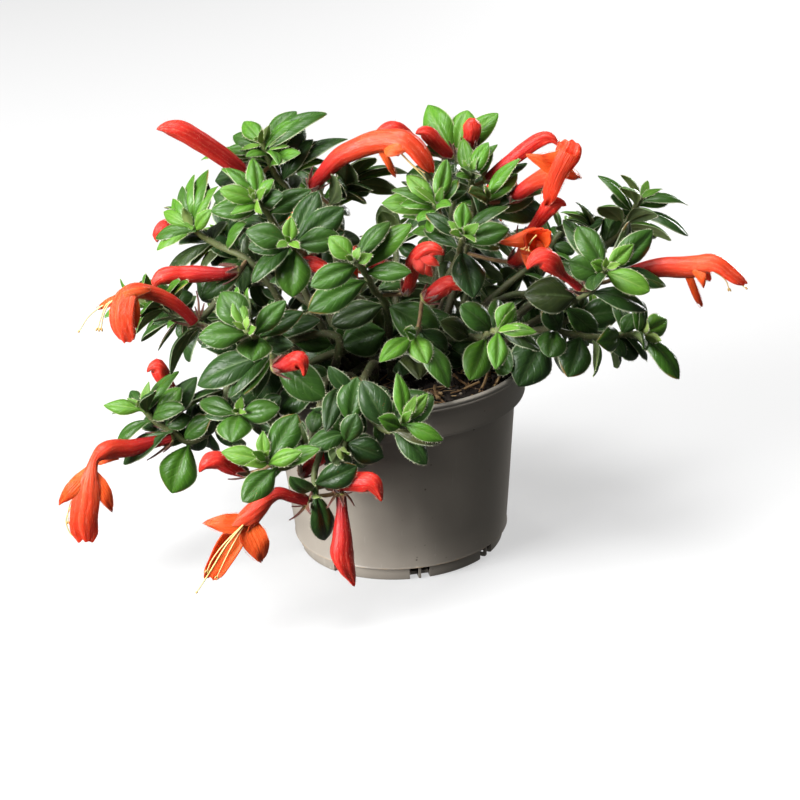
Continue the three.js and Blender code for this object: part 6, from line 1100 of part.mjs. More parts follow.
    calyx: [[[-87.9,8.27,151.03],[-96.08,10.9,152.13],[-0.3,-0.95,0.03],2.6],[[-87.9,8.27,151.03],[-96.47,8.31,147.23],[-0.37,-0.41,0.83],2.6],[[-87.9,8.27,151.03],[-94.56,3.5,147.76],[-0.6,0.35,0.72],2.6],[[-87.9,8.27,151.03],[-92.9,2.37,156.95],[-0.85,0.29,-0.43],2.6],[[-87.9,8.27,151.03],[-95.06,9.98,158.17],[-0.67,-0.5,-0.55],2.6]],
    foot: [-83.47,-1.71,152.9],
  },
  bud_25: {
    axis: [[-36.33,-14,139.26],[-31.55,-17,139.13],[-27.25,-20,138.57],[-23.4,-22,138.15]],
    half: [2.6,3.4,2.5,0.8],
    deep: [2.6,3.4,2.4,0.8],
    back: [[0.17,0.22,0.96],[0.23,0.24,0.94],[0.29,0.3,0.91],[0.28,0.34,0.9]],
    lobes: [],
    threads: [],
    calyx: [[[-37.35,-13.36,139.29],[-32.62,-20.37,137.1],[0.8,0.4,0.44],2.6],[[-37.35,-13.36,139.29],[-30.35,-16.53,134.53],[0.36,-0.45,0.82],2.6],[[-37.35,-13.36,139.29],[-27.88,-14.45,139.28],[-0.11,-0.99,-0.05],2.6],[[-37.35,-13.36,139.29],[-29.18,-16.01,143.72],[0.24,-0.57,-0.79],2.6],[[-37.35,-13.36,139.29],[-33.48,-20.36,141.82],[0.83,0.28,-0.49],2.6]],
    foot: [-34.95,-12.66,140.5],
  },
  flower_26: {
    axis: [[-38.78,74.25,125.7],[-38.78,97.12,129.86],[-38.78,105.18,129.66],[-38.78,111.04,128.27],[-38.78,115.54,124.56],[-38.78,119.59,117.89],[-38.78,121.67,111.51],[-38.78,122.06,107.41]],
    half: [2.2,4.3,4.6,4.6,4.5,4.2,3.2,1.2],
    deep: [2.2,4.3,4.4,3.4,2.6,2.2,1.6,0.8],
    back: [[-0,-0.19,0.98],[-0,-0.07,1],[0,0.11,0.99],[0,0.44,0.9],[0,0.77,0.64],[0,0.91,0.42],[0,0.97,0.23],[0,0.99,0.1]],
    lobes: [[[-35.28,105.5,125.06],[-29.78,107.97,114.58],[0.26,-0.96,-0.09],6.5],[[-42.28,105.5,125.06],[-47.78,107.97,114.58],[-0.2,-0.97,-0.13],6.5],[[-38.78,101.39,124.66],[-38.78,102.98,108.25],[0.04,-0.99,-0.1],3.6]],
    threads: [[[-38.78,110.44,124.32],[-39.28,115.34,116.51],[-39.78,119.34,102.76]],[[-37.78,110.44,124.32],[-37.78,118.4,109.98]],[[-40.28,110.44,124.32],[-40.78,116.43,110.27]]],
    calyx: [[[-38.78,73.07,125.47],[-37.07,79.67,130.1],[-0.41,0.59,-0.69],2.6],[[-38.78,73.07,125.47],[-33.6,78.92,126.36],[-0.75,0.64,0.16],2.6],[[-38.78,73.07,125.47],[-39.27,81.2,123.35],[0.12,0.26,0.96],2.6],[[-38.78,73.07,125.47],[-41.89,81.03,124.21],[0.65,0.36,0.67],2.6],[[-38.78,73.07,125.47],[-41.15,78.54,130.15],[0.46,0.68,-0.57],2.6]],
    foot: [-39.26,72.13,127.3],
  },
  flower_27: {
    axis: [[45.38,76.01,122.9],[52.61,95.88,132.55],[55.3,103.27,134.34],[57.36,108.92,134.44],[59.16,113.88,131.96],[61.06,119.12,126.48],[62.29,122.48,120.81],[62.77,123.79,116.93]],
    half: [2.2,4.3,4.6,4.6,4.5,4.2,3.2,1.2],
    deep: [2.2,4.3,4.4,3.4,2.6,2.2,1.6,0.8],
    back: [[-0.15,-0.4,0.9],[-0.11,-0.29,0.95],[-0.05,-0.13,0.99],[0.07,0.19,0.98],[0.2,0.56,0.81],[0.26,0.73,0.64],[0.3,0.83,0.46],[0.32,0.88,0.34]],
    lobes: [[[59.08,103.43,129.97],[65.95,106.22,120.41],[0.25,-0.96,-0.1],6.5],[[52.5,105.82,129.97],[49.03,112.38,120.41],[-0.38,-0.82,-0.42],6.5],[[54.46,100.98,128.57],[56.37,106.21,113.05],[0.02,-0.95,-0.32],3.6]],
    threads: [[[57.49,109.3,130.46],[59.3,115.73,124.09],[61.32,122.73,111.76]],[[58.43,108.96,130.46],[62.28,119.52,118.52]],[[56.08,109.81,130.46],[58.78,118.68,118.32]]],
    calyx: [[[45,74.99,122.39],[47.72,82.85,122.11],[0.04,0.02,1],2.6],[[45,74.99,122.39],[41.94,82.64,123.96],[0.86,0.26,0.43],2.6],[[45,74.99,122.39],[43.04,80.55,130.31],[0.71,0.65,-0.28],2.6],[[45,74.99,122.39],[48.33,78.92,128.57],[-0.1,0.86,-0.49],2.6],[[45,74.99,122.39],[53.48,80.15,124.71],[-0.55,0.73,0.4],2.6]],
    foot: [45.63,75.55,124.88],
  },
  flower_28: {
    axis: [[1.59,67.38,104.05],[-13.11,84.9,108.21],[-18.29,91.08,108.01],[-22.05,95.57,106.63],[-24.94,99.01,102.92],[-27.55,102.12,96.24],[-28.89,103.71,89.86],[-29.14,104.01,85.76]],
    half: [2.2,4.3,4.6,4.6,4.5,4.2,3.2,1.2],
    deep: [2.2,4.3,4.4,3.4,2.6,2.2,1.6,0.8],
    back: [[0.12,-0.15,0.98],[0.04,-0.05,1],[-0.07,0.09,0.99],[-0.28,0.34,0.9],[-0.5,0.59,0.64],[-0.58,0.69,0.42],[-0.63,0.75,0.23],[-0.64,0.76,0.1]],
    lobes: [[[-15.81,93.57,103.41],[-13.19,99,92.93],[0.24,-0.89,-0.4],6.5],[[-21.17,89.07,103.41],[-26.98,87.43,92.93],[-0.06,-0.98,0.18],6.5],[[-15.85,88.18,103.02],[-16.87,89.39,86.6],[-0.01,-1,-0.07],3.6]],
    threads: [[[-21.67,95.11,102.67],[-25.2,98.54,94.86],[-28.16,101.29,81.11]],[[-20.91,95.75,102.67],[-26.02,101.85,88.33]],[[-22.82,94.15,102.67],[-27.05,98.41,88.63]]],
    calyx: [[[2.35,66.48,103.82],[-2.36,72.66,110.38],[-0.46,0.45,-0.76],2.6],[[2.35,66.48,103.82],[1.91,75.79,105.92],[-1,-0.05,0.03],2.6],[[2.35,66.48,103.82],[-1.59,74.49,101.5],[-0.53,-0.01,0.85],2.6],[[2.35,66.48,103.82],[-7.18,69.83,101.78],[0.16,0.81,0.57],2.6],[[2.35,66.48,103.82],[-5.06,68.9,107.49],[0.16,0.94,-0.3],2.6]],
    foot: [3.74,66.81,104.86],
  },
  bud_29: {
    axis: [[-75.73,56.1,85.94],[-78.24,70.32,87.82],[-79.48,77.36,88.26],[-80.51,83.2,87.37],[-81.13,86.73,84.31],[-81.54,89.07,79.91]],
    half: [2.2,3.8,4.2,4.2,2.6,0.8],
    deep: [2.2,3.8,4.1,3.8,2.4,0.8],
    back: [[0.02,-0.13,0.99],[0.02,-0.09,0.99],[-0.01,0.03,1],[-0.07,0.38,0.92],[-0.14,0.77,0.62],[-0.15,0.87,0.47]],
    lobes: [],
    threads: [],
    calyx: [[[-75.52,54.93,85.79],[-71.93,61.03,89],[-0.76,0.59,-0.26],2.6],[[-75.52,54.93,85.79],[-73.21,64.18,83.04],[-0.67,0.36,0.65],2.6],[[-75.52,54.93,85.79],[-78.89,63.33,83.44],[0.37,0.38,0.85],2.6],[[-75.52,54.93,85.79],[-81.47,62.66,87.98],[0.77,0.63,-0.14],2.6],[[-75.52,54.93,85.79],[-76.53,59.53,92.32],[-0.12,0.8,-0.58],2.6]],
    foot: [-76.3,54.17,87.68],
  },
};


const wasm = await Module();
wasm.setup();
const { Manifold, Mesh } = wasm;

const V = (p) => new THREE.Vector3(p[0], p[1], p[2]);
// a closed three.js geometry as a solid, faces out
function solid(geometry) {
  const g = geometry.clone();
  g.deleteAttribute("normal");
  g.deleteAttribute("uv");
  const merged = mergeVertices(g, 1e-4);
  const tris = new Uint32Array(merged.index.array);
  const make = (t) => new Manifold(new Mesh({ numProp: 3, vertProperties: new Float32Array(merged.attributes.position.array), triVerts: t }));
  const made = make(tris);
  if (made.volume() > 0) return made;
  for (let i = 0; i < tris.length; i += 3) [tris[i + 1], tris[i + 2]] = [tris[i + 2], tris[i + 1]];
  return make(tris);
}
const shell = (verts, tris) => {
  const g = new THREE.BufferGeometry().setFromPoints(verts);
  g.setIndex(tris.flat());
  return solid(g);
};
const join = (list) => (list.length === 1 ? list[0] : Manifold.union(list));

// a closed body swept along axis points: at each an ellipse of half width (sideways) and half depth (towards the back)
function swept(axis, half, deep, back, sides, grow) {
  const n = axis.length, P = axis.map(V), verts = [], tris = [];
  if (grow) {
    P[0].addScaledVector(P[0].clone().sub(P[1]).normalize(), grow);
    P[n - 1].addScaledVector(P[n - 1].clone().sub(P[n - 2]).normalize(), grow);
  }
  const k = grow ? grow / Math.cos(Math.PI / sides) : 0;
  let u = null;
  for (let i = 0; i < n; i++) {
    const t = P[Math.min(n - 1, i + 1)].clone().sub(P[Math.max(0, i - 1)]).normalize();
    u = back ? V(back[i]) : u || new THREE.Vector3(0.31, 0.22, 0.92);
    u = u.clone().addScaledVector(t, -u.dot(t)).normalize();
    const s = new THREE.Vector3().crossVectors(t, u);
    for (let j = 0; j < sides; j++) {
      const a = (2 * Math.PI * (j + 0.5)) / sides;
      verts.push(P[i].clone().addScaledVector(s, (half[i] + k) * Math.cos(a)).addScaledVector(u, (deep[i] + k) * Math.sin(a)));
    }
  }
  for (let i = 0; i < n - 1; i++)
    for (let j = 0; j < sides; j++) {
      const a = i * sides + j, b = i * sides + ((j + 1) % sides), c = a + sides, d = b + sides;
      tris.push([a, d, b], [a, c, d]);
    }
  for (let j = 1; j < sides - 1; j++) tris.push([0, j, j + 1], [(n - 1) * sides, (n - 1) * sides + j + 1, (n - 1) * sides + j]);
  return shell(verts, tris);
}

// a blade: a thin lens from base to tip. kind 1: four outline points, 0: a kite folded along its midrib
function blade(base, tip, normal, width, arch, thick, kind, grow) {
  const b = V(base), v = V(tip).sub(b), L = v.length(), d = v.clone().normalize(), g = grow || 0;
  const n = V(normal).addScaledVector(d, -V(normal).dot(d)).normalize(), s = new THREE.Vector3().crossVectors(n, d).normalize();
  const t = Math.min(thick, 0.3 * width + 0.5) / 2;
  const at = (u, k, h) =>
    b.clone().addScaledVector(v, u).addScaledVector(n, arch * L * 4 * u * (1 - u) + h).addScaledVector(s, (k * width) / 2 + Math.sign(k) * g);
  const e = 1 + (1.4 * g) / L;
  if (kind === 0) {
    const up = t + 1.5 * g, lo = -t - 1.5 * g;
    return shell([at(-0.5 * (e - 1), 0, up * 0.5), at(e, 0, up * 0.5), at(0.55, 1.02, lo), at(0.55, -1.02, lo)], [[0, 2, 1], [0, 1, 3], [0, 3, 2], [1, 2, 3]]);
  }
  const ring = [[0, 0, 0], [0.52, 1, -0.4], [e, 0, 0], [0.52, -1, -0.4]];
  const m = ring.length, tris = [];
  if (!g) {
    const verts = ring.map((r) => at(...r)).concat([at(0.5, 0, t), at(0.5, 0, -t)]);
    for (let i = 0; i < m; i++) {
      const j = (i + 1) % m;
      tris.push([i, m, j], [j, m + 1, i]);
    }
    return shell(verts, tris);
  }
  const verts = ring.map((r) => at(r[0], r[1], r[2] + g)).concat(ring.map((r) => at(r[0], r[1], r[2] - g)), [at(0.5, 0, t + g), at(0.5, 0, -t - g)]);
  for (let i = 0; i < m; i++) {
    const j = (i + 1) % m;
    tris.push([i, 2 * m, j], [m + j, 2 * m + 1, m + i], [i, j, m + j], [i, m + j, m + i]);
  }
  return shell(verts, tris);
}

// a body of revolution about +Z from (radius, height) points
const turned = (profile, seg) => new THREE.LatheGeometry(profile.map(([r, z]) => new THREE.Vector2(r, z)), seg).rotateX(Math.PI / 2);

// ---- pot: tapered body, rim band, inset base ring with drainage notches ----
let pot = solid(
  turned(
    [
      [0, 0], [RING_R, 0], [RING_R, RING_H - 0.6], [BODY_LOW_R, RING_H], [BODY_TOP_R, BAND_Z], [BAND_R, BAND_Z], [RIM_R, POT_H - 0.7], [RIM_R - 0.5, POT_H],
      [RIM_R - WALL - 0.2, POT_H], [BAND_R - WALL, BAND_Z + WALL], [BODY_TOP_R - WALL, BAND_Z + WALL], [BODY_LOW_R - WALL, RING_H + 1.2], [RING_R - WALL, RING_H - 0.4], [RING_R - WALL, FLOOR_T], [0, FLOOR_T],
    ],
    POT_SEG,
  ),
);
for (let i = 0; i < NOTCHES; i++) {
  const notch = new THREE.BoxGeometry(RING_R - NOTCH_IN + 6, NOTCH_W, NOTCH_TOP + 3).translate(NOTCH_IN + (RING_R - NOTCH_IN + 6) / 2, 0, (NOTCH_TOP - 3) / 2);
  pot = pot.subtract(solid(notch.rotateZ((2 * Math.PI * (i + 0.2)) / NOTCHES)));
}
// the room that the pot's wall and the mix in it take, for everything that hangs past the rim
const potRoom = solid(
  turned(
    [
      [0, -GAP], [RING_R + GAP, -GAP], [RING_R + GAP, RING_H - 1], [BODY_LOW_R + GAP, RING_H - 1], [BODY_TOP_R + GAP, BAND_Z - GAP], [BAND_R + GAP, BAND_Z - GAP],
      [RIM_R + GAP, POT_H - 0.7], [RIM_R + GAP, POT_H + GAP], [RIM_R - WALL - 0.2 - GAP, POT_H + GAP], [BAND_R - WALL - GAP, BAND_Z + 8], [0, BAND_Z + 8],
    ],
    POT_SEG,
  ),
);

// ---- shoots, flowers and buds ----
const shootNames = [...new Set(STEMS.map((s) => s[0]))];
const flowerNames = Object.keys(FLOWERS);
const stemOf = (node, grow) => join(STEMS.filter((s) => s[0] === node).map(([, p, r]) => swept(p, r, r, null, STEM_SIDES, grow)));
const leavesOf = (node, grow) =>
  LEAVES.filter((l) => l[0] === node).map(([, b, t, n, w, order, arch, full]) => blade(b, t, n, w, arch, order < 2 ? LEAF_T * 0.8 : LEAF_T, full && w > 13 ? 1 : 0, grow));
const flowerOf = (f, grow) => {
  // the stalk runs on into the corolla
  const neck = V(f.axis[0]).lerp(V(f.axis[1]), -0.12).toArray(), r = STALK_R;
  const parts = [swept([f.foot, neck, ...f.axis], [r, r, ...f.half], [r, r, ...f.deep], [f.back[0], f.back[0], ...f.back], COROLLA_SIDES, grow)];
  for (const [b, t, n, w] of f.lobes) parts.push(blade(b, t, n, w, 0.04, PETAL_T, 1, grow));
  for (const th of f.threads) parts.push(swept(th, th.map(() => THREAD_R), th.map(() => THREAD_R), null, 3, grow));
  parts.push(calyxOf(f, grow));
  return join(parts);
};
// the calyx: narrow lobes that spread from one ring round the foot of the corolla
function calyxOf(f, grow) {
  const g = grow || 0, o = V(f.axis[0]), t = V(f.axis[1]).sub(o).normalize(), e = new THREE.Vector3(0.3, 0.2, 0.93);
  const x = new THREE.Vector3().crossVectors(t, e).normalize(), y = new THREE.Vector3().crossVectors(t, x);
  const tips = f.calyx.map((c) => V(c[1])).map((p) => ({ p, a: Math.atan2(p.clone().sub(o).dot(y), p.clone().sub(o).dot(x)) })).sort((p, q) => p.a - q.a);
  const m = tips.length, verts = [], tris = [], R = Math.max(CALYX_R, f.half[0] * 0.9);
  tips.forEach(({ p, a }, i) => {
    const next = tips[(i + 1) % m].a + (i === m - 1 ? 2 * Math.PI : 0), mid = (a + next) / 2;
    verts.push(p.clone().addScaledVector(p.clone().sub(o).normalize(), g));
    verts.push(o.clone().addScaledVector(x, (R + g) * Math.cos(mid)).addScaledVector(y, (R + g) * Math.sin(mid)).addScaledVector(t, 0.6));
  });
  verts.push(o.clone().addScaledVector(t, -0.5 - g), o.clone().addScaledVector(t, CALYX_T + 1.2 + g));
  for (let i = 0; i < 2 * m; i++) {
    const j = (i + 1) % (2 * m);
    tris.push([2 * m, j, i], [2 * m + 1, i, j]);
  }
  return shell(verts, tris);
}
const shoots = {}, stemRoom = {}, leafRoom = {}, flowers = {}, flowerRoom = {};
for (const n of shootNames) {
  stemRoom[n] = stemOf(n, GAP);
  const room = leavesOf(n, GAP);
  leafRoom[n] = room.length ? join(room) : null;
}
for (const n of flowerNames) flowerRoom[n] = flowerOf(FLOWERS[n], GAP);
const boxesMeet = (a, b) => {
  const p = a.boundingBox(), q = b.boundingBox();
  return [0, 1, 2].every((k) => p.min[k] < q.max[k] && q.min[k] < p.max[k]);
};
const cutBy = (body, rooms) => {
  const near = rooms.filter((t) => t && boxesMeet(body, t));
  return near.length ? body.subtract(join(near)) : body;
};
// keeps the largest connected body
const keepMain = (body) => body.decompose().sort((a, b) => b.volume() - a.volume())[0];
// the same body with its points on a 0.002 mm lattice, coincident points made one, still a single body, and no edge that four faces share
function settled(body) {
  let made = body;
  for (let k = 0; k < 10; k++) {
    const m = keepMain(made.simplify(k ? 0.01 : 0.15)).getMesh(), ids = new Map(), verts = [], to = [], faces = new Map(), uses = new Map();
    for (let i = 0; i < m.numVert; i++) {
      const q = [0, 1, 2].map((c) => Math.round(m.vertProperties[i * m.numProp + c] / 0.002) * 0.002), key = q.map((x) => Math.round(x * 1000)).join();
      if (!ids.has(key)) {
        ids.set(key, verts.length);
        verts.push(V(q));
      }
      to.push(ids.get(key));
    }
    for (let i = 0; i < m.triVerts.length; i += 3) {
      const t = [to[m.triVerts[i]], to[m.triVerts[i + 1]], to[m.triVerts[i + 2]]];
      if (t[0] === t[1] || t[1] === t[2] || t[2] === t[0]) continue;
      // two faces back to back on the same three points cancel
      const key = [...t].sort((p, q) => p - q).join();
      if (faces.has(key)) faces.delete(key);
      else faces.set(key, t);
    }
    const tris = [...faces.values()];
    for (const t of tris)
      t.forEach((p, c) => {
        const q = t[(c + 1) % 3], key = Math.min(p, q) + "_" + Math.max(p, q);
        uses.set(key, (uses.get(key) || 0) + 1);
      });
    made = shell(verts, tris);
    const shared = [...uses].filter(([, count]) => count !== 2).map(([key]) => key.split("_").map((i) => verts[+i]));
    if (shared.length) {
      // a thin sleeve along each shared edge fuses the two sides
      const sleeves = shared.map(([p, q]) => {
        const d = q.clone().sub(p).normalize().multiplyScalar(0.11);
        return swept([p.clone().sub(d).toArray(), q.clone().add(d).toArray()], [0.13, 0.16], [0.15, 0.12], null, 3, 0);
      });
      made = join([made, ...sleeves]);
      continue;
    }
    if (k && made.decompose().length === 1) return made;
  }
  return keepMain(made);
}
flowerNames.forEach((n, i) => {
  flowers[n] = keepMain(cutBy(flowerOf(FLOWERS[n], 0), [potRoom, ...shootNames.map((s) => stemRoom[s]), ...flowerNames.slice(0, i).map((m) => flowerRoom[m])]));
});
shootNames.forEach((n, i) => {
  const leaves = leavesOf(n, 0);
  const rooms = [potRoom, ...shootNames.filter((s) => s !== n).map((s) => stemRoom[s]), ...flowerNames.map((m) => flowerRoom[m]), ...shootNames.slice(0, i).map((s) => leafRoom[s])];
  const kept = leaves.map((l) => keepMain(cutBy(l, rooms))).filter(Boolean);
  shoots[n] = keepMain(join([stemOf(n, 0), ...kept]));
});

// ---- growing mix: a plug that fills the pot, uneven on top, with a hole round every stem ----
const bump = (r, a) => 1.1 * Math.sin(3 * a + r * 0.31) + 0.9 * Math.sin(5 * a - r * 0.2) + 0.5 * Math.cos(9 * a + r);
const mix = turned(
  [
    [0, FLOOR_T + GAP], [NOTCH_IN - 1, FLOOR_T + GAP], [NOTCH_IN - 1, RING_H + 0.4], [BODY_LOW_R - WALL - 1, RING_H + 2.2], [BODY_TOP_R - WALL - 0.6, BAND_Z + WALL + 0.5],
    [BAND_R - WALL - 0.8, BAND_Z + WALL + 0.9], [BAND_R - WALL - 0.6, SOIL_Z - 3.4], [44, SOIL_Z - 0.6], [22, SOIL_Z + 0.8], [0, SOIL_Z + 0.6],
  ],
  SOIL_SEG,
);
const at = mix.attributes.position;
for (let i = 0; i < at.count; i++) {
  const r = Math.hypot(at.getX(i), at.getY(i));
  if (at.getZ(i) > SOIL_Z - 5 && r > 5) at.setZ(i, at.getZ(i) + bump(r, Math.atan2(at.getY(i), at.getX(i))));
}
const soil = keepMain(solid(mix).subtract(join(shootNames.map((n) => stemRoom[n]))));

// ---- the model: the holder and what grows in it ----
const model = new THREE.Group(), holder = new THREE.Group(), plant = new THREE.Group();
model.add(holder, plant);
function put(group, name, body, color, roughness) {
  const m = settled(body).getMesh(), g = new THREE.BufferGeometry();
  g.setAttribute("position", new THREE.BufferAttribute(new Float32Array(m.vertProperties), m.numProp));
  g.setIndex(new THREE.BufferAttribute(new Uint32Array(m.triVerts), 1));
  // each mesh has its own origin, at its first point to the whole millimetre
  const o = new THREE.Vector3(...m.vertProperties.slice(0, 3)).round();
  g.translate(-o.x, -o.y, -o.z);
  g.computeVertexNormals();
  const mesh = new THREE.Mesh(g, new THREE.MeshStandardMaterial({ color, roughness, metalness: 0, flatShading: true }));
  mesh.name = name;
  mesh.position.copy(o);
  group.add(mesh);
}
put(holder, "nursery_pot", pot, 0x6b645b, 0.55);
put(holder, "soil", soil, 0x1d1712, 0.95);
for (const n of shootNames) put(plant, n, shoots[n], 0x2f6b33, 0.4);
for (const n of flowerNames) put(plant, n, flowers[n], 0xc8321c, 0.6);

export default model;
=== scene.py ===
"""A trailing goldfish plant with fleshy paired leaves, open flowers and buds, in a plastic nursery pot.
The stems, leaves and flowers are built as fine meshes from the same lengths and directions as the CAD model's."""
import math

import bmesh
import bpy
import numpy as np
from mathutils import Matrix, Vector


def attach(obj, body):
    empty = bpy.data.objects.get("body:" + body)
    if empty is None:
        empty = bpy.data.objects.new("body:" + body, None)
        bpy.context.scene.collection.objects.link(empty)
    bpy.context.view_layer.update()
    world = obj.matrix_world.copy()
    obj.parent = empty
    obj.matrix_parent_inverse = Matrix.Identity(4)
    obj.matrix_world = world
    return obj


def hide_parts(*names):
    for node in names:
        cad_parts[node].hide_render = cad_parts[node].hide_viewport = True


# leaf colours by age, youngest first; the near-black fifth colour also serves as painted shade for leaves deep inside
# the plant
LC = [(0.138, 0.262, 0.032), (0.086, 0.196, 0.022), (0.070, 0.185, 0.018), (0.041, 0.110, 0.014), (0.017, 0.043, 0.012), (0.085, 0.050, 0.022)]
LEAF_SPEC = 0.28
PC = [(0.242, 0.213, 0.179), (0.294, 0.262, 0.220)]
WORLD = 0.13
EXPOSURE = 0.0
FLOOR_GLOW = 0.535
LIGHTS = [("key", (-1.36, -0.86, 0.72), (0, 0, 0.07), (0.85, 0.85), 74.0),
          ("top", (-0.25, -0.20, 1.80), (0, 0, 0.1), (1.0, 1.0), 44.0),
          ("back", (0.80, 1.25, 0.20), (0, 0, 0.06), (0.6, 0.35), 16.0)]

